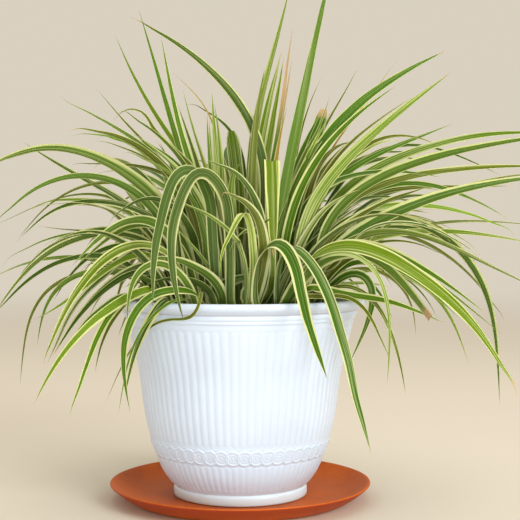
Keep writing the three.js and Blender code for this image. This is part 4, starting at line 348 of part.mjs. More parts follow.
      [-16, [[72.6, -22.5, 176, 0, 3], [83.6, -20.3, 203.2, 1, 4.2], [96.3, -18.5, 226.7, 2, 5], [112.9, -21.9, 251.1, 2, 5], [124.3, -26.3, 264.1, 1, 4.8], [146.3, -36.1, 281.5, -1, 4.1], [169.2, -43.2, 293.2, -4, 3], [190.6, -51.6, 299.1, -8, 1.7], [214.5, -63.3, 301.3, -12, 0]]],
      [-9, [[79.4, -24, 176, 14, 2.4], [79.4, -24.1, 179, 14, 2.6], [79.4, -46.3, 194.4, 21, 3.5], [80.5, -50.1, 202.2, 24, 3.7], [85.4, -39.6, 215.8, 32, 4.1], [93.4, -32.2, 225.6, 38, 4.1], [108.3, -28.8, 234.6, 40, 4], [122.8, -27.4, 237.2, 39, 3.9], [142.6, -32.6, 234.1, 39, 3.5], [161, -36.9, 225.4, 40, 2.9], [182.5, -40.4, 209.9, 42, 1.9], [210.5, -45, 183.7, 46, 0]]],
  ] },
  leaf_fan_back_left_07: { crown: [-40.8, 69.6], leaves: [
      [121, [[-40.3, 68.7, 176, -1, 3], [-40.3, 68.8, 179.7, -1, 3], [-45.8, 82.1, 196.3, -2, 4.2], [-52.6, 99.7, 213.6, -4, 4.9], [-64.4, 151.5, 227.7, -5, 5.3], [-69.2, 160.6, 231.3, -5, 5.3], [-75, 164.2, 233.6, -5, 5.2], [-90.3, 173.6, 233.3, -3, 4.9], [-112.6, 204.5, 220.5, 1, 3.7], [-129.3, 226.3, 202.1, 7, 2.4], [-149.7, 250, 171.1, 14, 0]]],
      [142, [[-37.8, 67.2, 176, -1, 3], [-52.8, 82.4, 208, -7, 4.6], [-66.8, 97.3, 227.5, -11, 5.3], [-75.8, 110, 236, -13, 5.3], [-90.3, 133, 243.2, -16, 5.2], [-110.7, 144.8, 250.2, -18, 4.9], [-131.1, 150.5, 249.6, -19, 4.3], [-151.6, 161, 240.7, -19, 3.4], [-173.6, 175.1, 222.5, -19, 2], [-194.3, 187.8, 196.7, -18, 0]]],
      [130, [[-43.6, 69.5, 176, 0, 2.8], [-47.7, 73.4, 200.9, 1, 3.7], [-53.4, 83.3, 219.5, 1, 4.3], [-64.2, 118.2, 243.7, 2, 4.7], [-72.6, 131.1, 253.8, 3, 4.7], [-80.5, 129.1, 260, 3, 4.6], [-87.4, 104.7, 270.7, 4, 4.2], [-90.5, 102.7, 276.6, 4, 4.1], [-94.3, 107, 281.8, 5, 3.9], [-104.6, 125.9, 289.4, 6, 3.3], [-116.2, 144.4, 291.7, 7, 2.5], [-129.8, 165.9, 289.1, 8, 1.4], [-143.6, 190.2, 280.9, 9, 0]]],
      [127, [[-40.9, 69.8, 176, -2, 2.7], [-42.4, 72.1, 189.4, -4, 3.4], [-46.6, 78.8, 196.8, -6, 3.8], [-67.4, 110.5, 213.6, -14, 4.5], [-81.3, 130.3, 219.6, -17, 4.4], [-91.4, 143.4, 220.1, -18, 4.2], [-107.9, 157.4, 216, -16, 3.5], [-116.9, 167.7, 217, -14, 2.9], [-121.3, 177.5, 214.5, -12, 2.4], [-135, 198.2, 202.8, -7, 0.9], [-143.7, 208.6, 199.8, -5, 0]]],
      [143, [[-42.5, 72.9, 176, 5, 2.6], [-42.9, 73.3, 188.3, 6, 3.1], [-45.8, 76.2, 196.5, 7, 3.4], [-64, 93.7, 214.3, 11, 4.3], [-82.7, 110.8, 225.3, 14, 4.3], [-103.8, 128.6, 228, 12, 4.2], [-125.5, 145, 222.5, 8, 3.6], [-146, 158.5, 209.6, 3, 2.7], [-163.7, 168.1, 190.5, -2, 1.5], [-176.9, 173.8, 166.7, -5, 0]]],
  ] },
  leaf_fan_front_left_06: { crown: [-17.1, -79.6], leaves: [
      [-137, [[-19.3, -82, 176, -15, 3], [-33.4, -91.5, 202.2, -26, 4.4], [-41.5, -99.8, 210.5, -34, 4.8], [-63.5, -118.6, 212.9, -45, 5], [-80.5, -132.5, 205.9, -37, 4.9], [-92.6, -144, 190.1, -30, 4.4], [-98.7, -151.4, 169, -26, 3.5], [-99, -156.1, 143.4, -24, 2.2], [-93.3, -160, 109.3, -23, 0]]],
  ] },
  leaf_fan_back_right_05: { crown: [67.1, 47.7], leaves: [
      [70, [[65.3, 49.5, 176, 1, 3], [65.5, 49.7, 207.5, 1, 4.5], [68.6, 62.6, 246.6, 0, 5.1], [73.8, 77, 283.7, -3, 4.7], [81.3, 100.5, 322.7, -6, 2.9], [94.5, 130.3, 355.1, -7, 0]]],
      [32, [[70.4, 49.1, 176, 4, 2.6], [72.5, 51.1, 196.9, 7, 3.3], [89.2, 66, 237.3, 16, 4.3], [103.8, 78.1, 262.9, 22, 4.3], [122.6, 92.3, 284.5, 25, 4.1], [145.3, 107.6, 300.8, 28, 3.5], [168.5, 121, 310.2, 30, 2.6], [197.1, 134.5, 314.2, 31, 1.3], [223.7, 144.1, 311.5, 31, 0]]],
      [16, [[63.4, 46.6, 176, 12, 2.2], [68.1, 47, 203.6, 14, 2.9], [75.8, 40.9, 235, 25, 3.4], [84.4, 43.2, 256.6, 42, 3.7], [107.2, 57.6, 288.8, 68, 3.7], [136, 71.4, 308.2, 76, 3.6], [166.7, 78.7, 316.8, 81, 3.3], [203.2, 86.9, 315.8, 87, 2.6], [242.4, 97, 304, 91, 1.7], [291.4, 110, 279.6, 94, 0]]],
      [20, [[68.8, 48.3, 176, 11, 1.9], [74.1, 51.7, 237.1, 20, 2.9], [85.9, 74, 281.4, 33, 3.2], [105.2, 74, 317.3, 40, 3.2], [130.5, 77, 342.4, 45, 3.1], [161.8, 86.5, 356.7, 49, 2.7], [195.6, 98.1, 358.6, 53, 2.2], [233.4, 111.3, 349.7, 58, 1.4], [287.6, 130, 327.4, 66, 0]]],
      [17, [[66.1, 47.4, 176, 13, 1.4], [66.1, 47.4, 180.5, 14, 1.5], [80.2, 49.4, 203, 21, 1.9], [102.5, 57.8, 229.5, 35, 2.2], [130.1, 67.9, 249.6, 50, 2.4], [161.2, 78.1, 263.7, 58, 2.4], [194.1, 88.5, 272.6, 59, 2.2], [232.1, 100.2, 277, 59, 1.8], [279, 114.5, 276.6, 59, 1], [330, 130, 272.1, 58, 0]]],
      [22, [[70, 48.9, 176, -16, 1.4], [84.2, 58.2, 213.2, -28, 1.9], [104.7, 65.7, 242.7, -44, 2.3], [130.2, 75.1, 259.5, -56, 2.3], [159.8, 86.3, 264, -60, 2.3], [197.3, 100.8, 254.7, -58, 2.1], [234.6, 115.5, 232.4, -51, 1.6], [266.5, 128.3, 201.8, -43, 1], [293.8, 140, 161.4, -35, 0]]],
  ] },
  leaf_fan_back_left_08: { crown: [-82.5, 10.3], leaves: [
      [133, [[-80.8, 8.5, 176, 0, 3], [-90.3, 19.4, 211.4, 2, 5.7], [-94.3, 27.4, 226.5, 3, 6.3], [-105.5, 48.6, 252.1, 6, 6.5], [-124.5, 71.8, 276.2, 8, 6.1], [-142.6, 94.3, 288.8, 10, 5.2], [-162.3, 113.3, 295, 11, 3.9], [-184.4, 130.4, 295.9, 13, 2.2], [-210.5, 147.5, 291.8, 14, 0]]],
      [120, [[-81.2, 11.1, 176, -2, 2.8], [-82.6, 13.1, 199.2, -5, 3.8], [-89.7, 18, 229.3, -10, 4.6], [-90.1, 20.1, 248.3, -12, 4.6], [-93.8, 24.9, 260, -13, 4.6], [-99, 36.9, 271.3, -14, 4.5], [-102.8, 45.4, 289.1, -16, 4], [-124.6, 83.1, 313.3, -17, 2.1], [-139.5, 113.2, 322.8, -17, 0]]],
      [173, [[-85.6, 10.6, 176, -14, 2.3], [-91.3, 8.2, 204.2, -22, 3.1], [-102.6, 12.2, 223.1, -32, 3.6], [-123.6, 15.2, 237.3, -46, 3.8], [-148.7, 18, 241.9, -49, 3.7], [-177.1, 21.2, 237.8, -51, 3.3], [-203.5, 24.2, 226.1, -54, 2.6], [-228.8, 27.2, 206.6, -59, 1.5], [-252.3, 30, 180.4, -64, 0]]],
  ] },
  leaf_fan_front_right_04: { crown: [54.4, -63.9], leaves: [
      [-33, [[54.7, -64.1, 176, 18, 3], [54.7, -64.1, 180.7, 18, 3], [53.6, -89.3, 208.3, 28, 5.8], [56.2, -94.5, 221.2, 32, 6.3], [62.1, -93.8, 234, 38, 6.7], [71.1, -88.5, 243.9, 43, 7], [79, -88.1, 248.8, 47, 7], [95.5, -96.8, 253.1, 53, 7], [116.7, -106.5, 250.8, 55, 7], [151.1, -124.3, 234.4, 49, 6.6], [190.2, -149.1, 202.4, 43, 4.9], [216.6, -168, 168.5, 39, 2.9], [237.7, -185, 125, 37, 0]]],
      [-17, [[57.4, -64.8, 176, 15, 2.8], [65.6, -74.1, 195.9, 23, 3.9], [62.7, -100.8, 212.2, 37, 4.6], [63.7, -101.7, 214.9, 42, 4.6], [77.4, -92, 213.3, 48, 4.6], [111.2, -86.3, 206.5, 49, 4.2], [145.1, -91.9, 199.9, 50, 2.9], [188.7, -105, 183.4, 53, 0]]],
      [-18, [[50.8, -62.7, 176, 15, 2.7], [54.5, -67, 204, 24, 3.6], [59.7, -64.5, 220.9, 33, 4], [66.3, -66.7, 233.5, 40, 4.4], [81.3, -70.2, 248.2, 50, 4.4], [102.3, -81.6, 255.6, 55, 4.4], [126.1, -88.4, 253.3, 54, 4.2], [151.9, -95.4, 242.9, 53, 3.6], [184.2, -105.9, 222.9, 49, 2.4], [225.1, -120, 190.9, 43, 0]]],
      [-34, [[53.6, -63.3, 176, 15, 1.6], [56.9, -66.9, 184.2, 18, 1.9], [60.2, -74, 190.4, 23, 2.2], [61.8, -110, 207.6, 49, 2.7], [90.9, -96.8, 207.1, 48, 2.6], [107, -97.6, 202.6, 41, 2.3], [120.6, -105.9, 187.6, 32, 1.7], [137.8, -120, 149.4, 21, 0]]],
  ] },
  leaf_fan_back_04: { crown: [3.1, 84.6], leaves: [
      [119, [[3.8, 82.5, 176, 0, 3], [3.2, 84.4, 195.5, 1, 4.3], [1.3, 99.4, 244.1, 6, 5.7], [-8.6, 117.8, 281.8, 8, 5.7], [-17.4, 138.1, 309.2, 10, 5.4], [-29.7, 162.7, 331.3, 10, 4.4], [-43.9, 186.9, 345.2, 8, 3.3], [-61.4, 211.9, 352.4, 5, 1.8], [-81.4, 236, 352.5, 4, 0]]],
      [75, [[3.9, 87.7, 176, 0, 3], [3.9, 87.8, 180.5, 0, 3], [18.3, 124.3, 217.3, 1, 5], [30.5, 144.5, 230.3, 2, 5.5], [50.3, 163.6, 245.5, 2, 5.5], [54.5, 175.2, 250.5, 3, 5.5], [55.9, 188.5, 252.7, 3, 5.5], [59.1, 233.1, 249.5, 3, 4.8], [64.2, 271.4, 237.6, 3, 3.7], [68.6, 305.9, 217, 2, 2.3], [71.3, 342.9, 184.4, 1, 0]]],
      [97, [[1.7, 86.5, 176, 0, 3], [1.4, 89.2, 197.7, 2, 4], [-2.2, 115.3, 253.3, 7, 5.4], [-5.3, 137.8, 285.7, 9, 5.4], [-9, 166.1, 313.1, 11, 5.1], [-13.3, 199.4, 334, 12, 4.3], [-17.4, 232.3, 345.8, 12, 3.2], [-22.1, 271.2, 350.7, 23, 1.7], [-26.2, 305.9, 347, 28, 0]]],
      [102, [[3.8, 80.9, 176, 0, 3], [1, 97.7, 209.3, 0, 4.2], [-2.4, 119.3, 234.9, -1, 5], [-7.7, 146.7, 253.6, -2, 5.1], [-15.4, 174.1, 260.7, -3, 5], [-24.3, 210.6, 257.8, -5, 4.5], [-26.3, 239.6, 252, -7, 3.8], [-28.7, 259.1, 244.5, -8, 3.2], [-34.8, 285.8, 224.9, -11, 1.9], [-43.2, 311.3, 192.7, -14, 0]]],
      [106, [[0.5, 85.8, 176, 0, 2.8], [0.5, 85.8, 180.3, 1, 3], [-0.8, 106.5, 202.2, 2, 3.8], [-0.8, 143.7, 224.1, 4, 4.7], [-6.7, 170.3, 245.3, 5, 4.7], [-9.8, 189.7, 254.1, 6, 4.7], [-15.6, 218.7, 260.6, 6, 4.4], [-30, 249.8, 262.5, 6, 3.7], [-42.8, 276.2, 255.6, 5, 2.9], [-55.3, 304, 239.3, 4, 1.8], [-69.7, 334.1, 212.1, 2, 0]]],
      [90, [[3.1, 83.6, 176, 1, 2.6], [3.1, 83.6, 180.4, 1, 2.8], [1.4, 103.1, 209.8, 5, 3.7], [-0.7, 130.9, 238, 9, 4.4], [-2.5, 166.1, 255.9, 12, 4.4], [-3.6, 205.1, 262.3, 15, 4.2], [-3.5, 240, 257.1, 16, 3.7], [-2.2, 271.8, 242, 17, 2.9], [0.6, 301.2, 215.7, 16, 1.7], [4.3, 326.3, 179.8, 15, 0]]],
  ] },
  leaf_fan_front_left_07: { crown: [-60, -60.9], leaves: [
      [-139, [[-58.9, -62.8, 176, 1, 3], [-65.8, -67.7, 201.9, 4, 5.3], [-75.8, -72.2, 224, 6, 6.2], [-91.1, -82.7, 244.2, 9, 6.2], [-107.8, -94.1, 258.2, 10, 5.8], [-123, -108.2, 265.4, 11, 4.9], [-138.3, -123.8, 266.8, 11, 3.7], [-153, -139.4, 262.5, 10, 2.1], [-168.2, -156.3, 253, 9, 0]]],
      [-131, [[-57.5, -58, 176, -15, 2.9], [-68.9, -57.7, 196.7, -22, 3.8], [-80, -57.9, 208.7, -30, 4.3], [-81.6, -63.6, 210.7, -33, 4.5], [-80.8, -94.3, 212.9, -43, 4.8], [-84.7, -102, 212.5, -44, 4.8], [-107.4, -112.9, 202.2, -42, 4.7], [-134.9, -140.5, 180.3, -36, 3.8], [-154.7, -165.7, 154.3, -30, 2.3], [-171, -190, 120.6, -24, 0]]],
      [-122, [[-61.7, -63.6, 176, -15, 2.7], [-60.4, -70.9, 189.1, -21, 3.5], [-61, -80.9, 197.6, -29, 4.1], [-64, -99.7, 204.2, -28, 4.4], [-67.5, -107.5, 203.4, -25, 4.4], [-77.1, -109, 191.8, -20, 4.4], [-86.8, -105.2, 175, -16, 3.9], [-92, -105.9, 163, -16, 3.3], [-97.1, -113, 145.3, -13, 2.3], [-101.2, -128, 118.8, -8, 0]]],
      [-134, [[-59.3, -60.2, 176, -14, 2.4], [-69.5, -69.9, 195.8, -21, 3.4], [-85.5, -74.7, 205.4, -30, 4], [-98.9, -84.1, 205.9, -37, 4.1], [-109, -99.4, 199.8, -32, 4.1], [-117.9, -112.2, 188.4, -27, 3.9], [-126.6, -123.1, 171.1, -26, 3.4], [-137.9, -137.5, 136.8, -28, 1.9], [-147.1, -150, 104.2, -32, 0]]],
  ] },
};

// ---------------------------------------------------------------- helpers
const wasm = await Module();
wasm.setup();

// closed triangle soup -> solid, with the collapsed triangles on the turning axis taken out
function solid(geometry) {
  const g = geometry.index ? geometry.clone() : geometry;
  for (const name of Object.keys(g.attributes)) if (name !== 'position') g.deleteAttribute(name);
  const merged = mergeVertices(g, 1e-4);
  const idx = merged.index.array;
  const tris = [];
  for (let i = 0; i < idx.length; i += 3) {
    const [a, b, c] = [idx[i], idx[i + 1], idx[i + 2]];
    if (a !== b && b !== c && c !== a) tris.push(a, b, c);
  }
  return new wasm.Manifold(new wasm.Mesh({
    numProp: 3, vertProperties: new Float32Array(merged.attributes.position.array), triVerts: new Uint32Array(tris),
  }));
}

function geometryOf(manifold) {
  const m = manifold.getMesh();
  const g = new THREE.BufferGeometry();
  g.setAttribute('position', new THREE.BufferAttribute(new Float32Array(m.vertProperties), 3));
  g.setIndex(new THREE.BufferAttribute(new Uint32Array(m.triVerts), 1));
  g.computeVertexNormals();
  return g;
}

// turned solid about +Z from [radius, height] points that run from the axis, round the section, back to the axis
function turned(profile, steps = ROUND_STEPS) {
  const g = new THREE.LatheGeometry(profile.map(([r, z]) => new THREE.Vector2(r, z)), steps);
  g.rotateX(Math.PI / 2);
  const s = solid(g);
  return s.volume() < 0 ? solid(flipped(g)) : s;
}

function flipped(geometry) {
  const g = geometry.clone();
  const a = g.index.array;
  for (let i = 0; i < a.length; i += 3) [a[i], a[i + 1]] = [a[i + 1], a[i]];
  return g;
}

// upright cylinder from z0 to z1 at x, y
function post(x, y, r, z0, z1, sides) {
  const g = new THREE.CylinderGeometry(r, r, z1 - z0, sides);
  g.rotateX(Math.PI / 2);
  g.translate(x, y, (z0 + z1) / 2);
  return solid(g);
}

function piece(name, manifold, colour, roughness, metalness = 0) {
  const mesh = new THREE.Mesh(geometryOf(manifold), new THREE.MeshStandardMaterial({ color: colour, roughness, metalness }));
  mesh.name = name;
  return mesh;
}

// ---------------------------------------------------------------- saucer
function saucer() {
  return turned([
    [0, 0], [SAUCER_BASE_R, 0], [114, 3.4], [121.5, 8.4], [129.2, 15], [SAUCER_RIM_R, SAUCER_RIM_Z - 0.4], [128.6, 17.8],
    [127, 17.5], [121.5, 12.6], [114, 8.2], [105, 5.2], [SAUCER_FLOOR_R, SAUCER_FLOOR_Z], [0, SAUCER_FLOOR_Z],
  ]);
}

// ---------------------------------------------------------------- pot
function pot() {
  let body = turned([
    [0, POT_RECESS_Z], [POT_FOOT_IN_R - 1, POT_RECESS_Z], [POT_FOOT_IN_R, POT_RECESS_Z - 1], [POT_FOOT_IN_R + 0.8, POT_BOTTOM_Z],
    ...POT_OUTSIDE, ...POT_INSIDE, [0, POT_FLOOR_Z],
  ]);
  for (let i = 0; i < DRAIN_HOLES; i++) {
    const a = (i / DRAIN_HOLES) * 2 * Math.PI;
    body = body.subtract(post(DRAIN_CIRCLE_R * Math.cos(a), DRAIN_CIRCLE_R * Math.sin(a), DRAIN_HOLE_R, 2, 20, 12));
  }
  return body;
}

// ---------------------------------------------------------------- soil
function insideRadius(z) {
  for (let i = 0; i + 1 < POT_INSIDE.length; i++) {
    const [r1, z1] = POT_INSIDE[i];
    const [r0, z0] = POT_INSIDE[i + 1];
    if (z <= z1 && z >= z0) return r0 + ((r1 - r0) * (z - z0)) / (z1 - z0);
  }
  return POT_INSIDE[POT_INSIDE.length - 1][0];
}

function soil() {
  const gap = CLEARANCE + 0.15;
  const wall = POT_INSIDE.filter(([, z]) => z < SOIL_TOP_Z - 2 && z > POT_FLOOR_Z + 1).map(([r, z]) => [r - gap, z + gap * 0.4]);
  let body = turned([
    [0, SOIL_TOP_Z], [insideRadius(SOIL_TOP_Z) - gap, SOIL_TOP_Z], ...wall, [56, POT_FLOOR_Z + 2 * gap], [0, POT_FLOOR_Z + gap],
  ]);
  for (const { crown } of Object.values(FANS)) {
    body = body.subtract(post(crown[0], crown[1], CROWN_R + 1.6, CROWN_LOW_Z - CLEARANCE, SOIL_TOP_Z + 5, 6));
  }
  return body;
}

// ---------------------------------------------------------------- one leaf
// A strap with a folded midrib: each station is a flat triangle of left edge, right edge and keel.
function leaf([heading, stations]) {
  const up = new THREE.Vector3(0, 0, 1);
  const a = (heading * Math.PI) / 180;
  const across = new THREE.Vector3().crossVectors(up, new THREE.Vector3(Math.cos(a), Math.sin(a), 0));
  const p = stations.map((s) => new THREE.Vector3(s[0], s[1], s[2]));
  const n = p.length;
  const last = stations[n - 1][4];
  const pos = [];
  const rings = [];
  for (let i = 0; i < n; i++) {
    const t = new THREE.Vector3();
    if (i > 0) t.add(p[i].clone().sub(p[i - 1]).normalize());
    if (i < n - 1) t.add(p[i + 1].clone().sub(p[i]).normalize());
    t.normalize();
    if (i === n - 1 && last === 0) {
      rings.push([pos.length / 3]);
      pos.push(p[i].x, p[i].y, p[i].z);
      continue;
    }
    const s0 = across.clone().addScaledVector(t, -across.dot(t)).normalize();
    const n0 = new THREE.Vector3().crossVectors(t, s0);
    const roll = (stations[i][3] * Math.PI) / 180;
    const s = s0.clone().multiplyScalar(Math.cos(roll)).addScaledVector(n0, Math.sin(roll));
    const face = new THREE.Vector3().crossVectors(t, s);
    const h = stations[i][4];
    const k = pos.length / 3;
    for (const [side, down] of [[-1, 0], [1, 0], [0, LEAF_KEEL * h + LEAF_THICK]]) {
      const q = p[i].clone().addScaledVector(s, side * h).addScaledVector(face, -down);
      pos.push(q.x, q.y, q.z);
    }
    rings.push([k, k + 1, k + 2]);
  }
  const tri = [];
  tri.push(rings[0][0], rings[0][1], rings[0][2]);
  const at = (k) => new THREE.Vector3(pos[3 * k], pos[3 * k + 1], pos[3 * k + 2]);
  for (let i = 0; i + 1 < n; i++) {
    const A = rings[i];
    const B = rings[i + 1];
    // where the leaf twists, the upper face is split along the diagonal that bulges away from the keel, and the
    // lower faces are split to match, so the two sides never cross
    let rising = true;
    if (B.length === 3) {
      const keel = at(A[2]).add(at(B[2]));
      rising = at(A[1]).add(at(B[0])).distanceTo(keel) > at(A[0]).add(at(B[1])).distanceTo(keel);
    }
    for (let j = 0; j < 3; j++) {
      const j2 = (j + 1) % 3;
      if (B.length === 1) tri.push(A[j2], A[j], B[0]);
      else if ((j === 0) === rising) tri.push(A[j2], A[j], B[j], A[j2], B[j], B[j2]);
      else tri.push(A[j2], A[j], B[j2], A[j], B[j], B[j2]);
    }
  }
  if (rings[n - 1].length === 3) tri.push(rings[n - 1][2], rings[n - 1][1], rings[n - 1][0]);
  const mesh = (t) => new wasm.Manifold(new wasm.Mesh({ numProp: 3, vertProperties: new Float32Array(pos), triVerts: new Uint32Array(t) }));
  let m = mesh(tri);
  if (m.volume() < 0) {
    for (let i = 0; i < tri.length; i += 3) [tri[i], tri[i + 1]] = [tri[i + 1], tri[i]];
    m = mesh(tri);
  }
  return m;
}

// the leaves of one rosette, grown together at their crown
function fan({ crown, leaves }) {
  let body = post(crown[0], crown[1], CROWN_R, CROWN_LOW_Z, CROWN_TOP_Z, 6);
  for (const l of leaves) body = body.add(leaf(l));
  const parts = body.decompose();
  return parts.reduce((best, x) => (x.volume() > best.volume() ? x : best));
}

// ---------------------------------------------------------------- the object
const group = new THREE.Group();
group.name = 'potted_spider_plant';
group.add(piece('saucer', saucer(), COLOURS.saucer, 0.62));
group.add(piece('pot', pot(), COLOURS.pot, 0.38));
group.add(piece('soil', soil(), COLOURS.soil, 0.95));
for (const [name, spec] of Object.entries(FANS)) {
  const colour = name.includes('back') ? COLOURS.deepLeaf : name.includes('upright') ? COLOURS.paleLeaf : COLOURS.leaf;
  group.add(piece(name, fan(spec), colour, 0.5));
}

export default group;
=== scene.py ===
# Variegated spider plant in a white ribbed pot on a terracotta saucer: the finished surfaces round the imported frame.
# Metres, +Z up, the front of the plant faces -Y.
import math

import bpy
import numpy as np
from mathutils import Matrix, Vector, geometry


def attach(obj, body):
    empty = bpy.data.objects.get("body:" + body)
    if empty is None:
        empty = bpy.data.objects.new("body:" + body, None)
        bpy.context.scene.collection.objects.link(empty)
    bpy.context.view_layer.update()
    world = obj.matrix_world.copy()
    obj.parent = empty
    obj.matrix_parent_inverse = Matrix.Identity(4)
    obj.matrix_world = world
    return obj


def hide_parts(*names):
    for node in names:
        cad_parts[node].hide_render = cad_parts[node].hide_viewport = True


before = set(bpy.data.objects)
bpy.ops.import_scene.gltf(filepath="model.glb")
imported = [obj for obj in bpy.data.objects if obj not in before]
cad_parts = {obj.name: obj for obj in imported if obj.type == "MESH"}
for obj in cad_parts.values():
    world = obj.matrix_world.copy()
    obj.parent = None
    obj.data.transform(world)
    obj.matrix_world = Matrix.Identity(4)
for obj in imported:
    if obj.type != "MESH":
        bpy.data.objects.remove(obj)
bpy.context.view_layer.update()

MM = 0.001
rng = np.random.default_rng(11)

# ------------------------------------------------------------------ camera
cam_data = bpy.data.cameras.new("view")
cam_data.sensor_fit = "HORIZONTAL"
cam_data.sensor_width = 36.0
cam_data.lens = 36.0 * 1197.0 / 520.0
cam_data.clip_end = 100.0
cam = bpy.data.objects.new("view", cam_data)
cam.location = (0.0197, -1.197, 0.2666)
cam.rotation_euler = (math.radians(88.61), 0.0, 0.0)
bpy.context.scene.collection.objects.link(cam)
bpy.context.scene.camera = cam

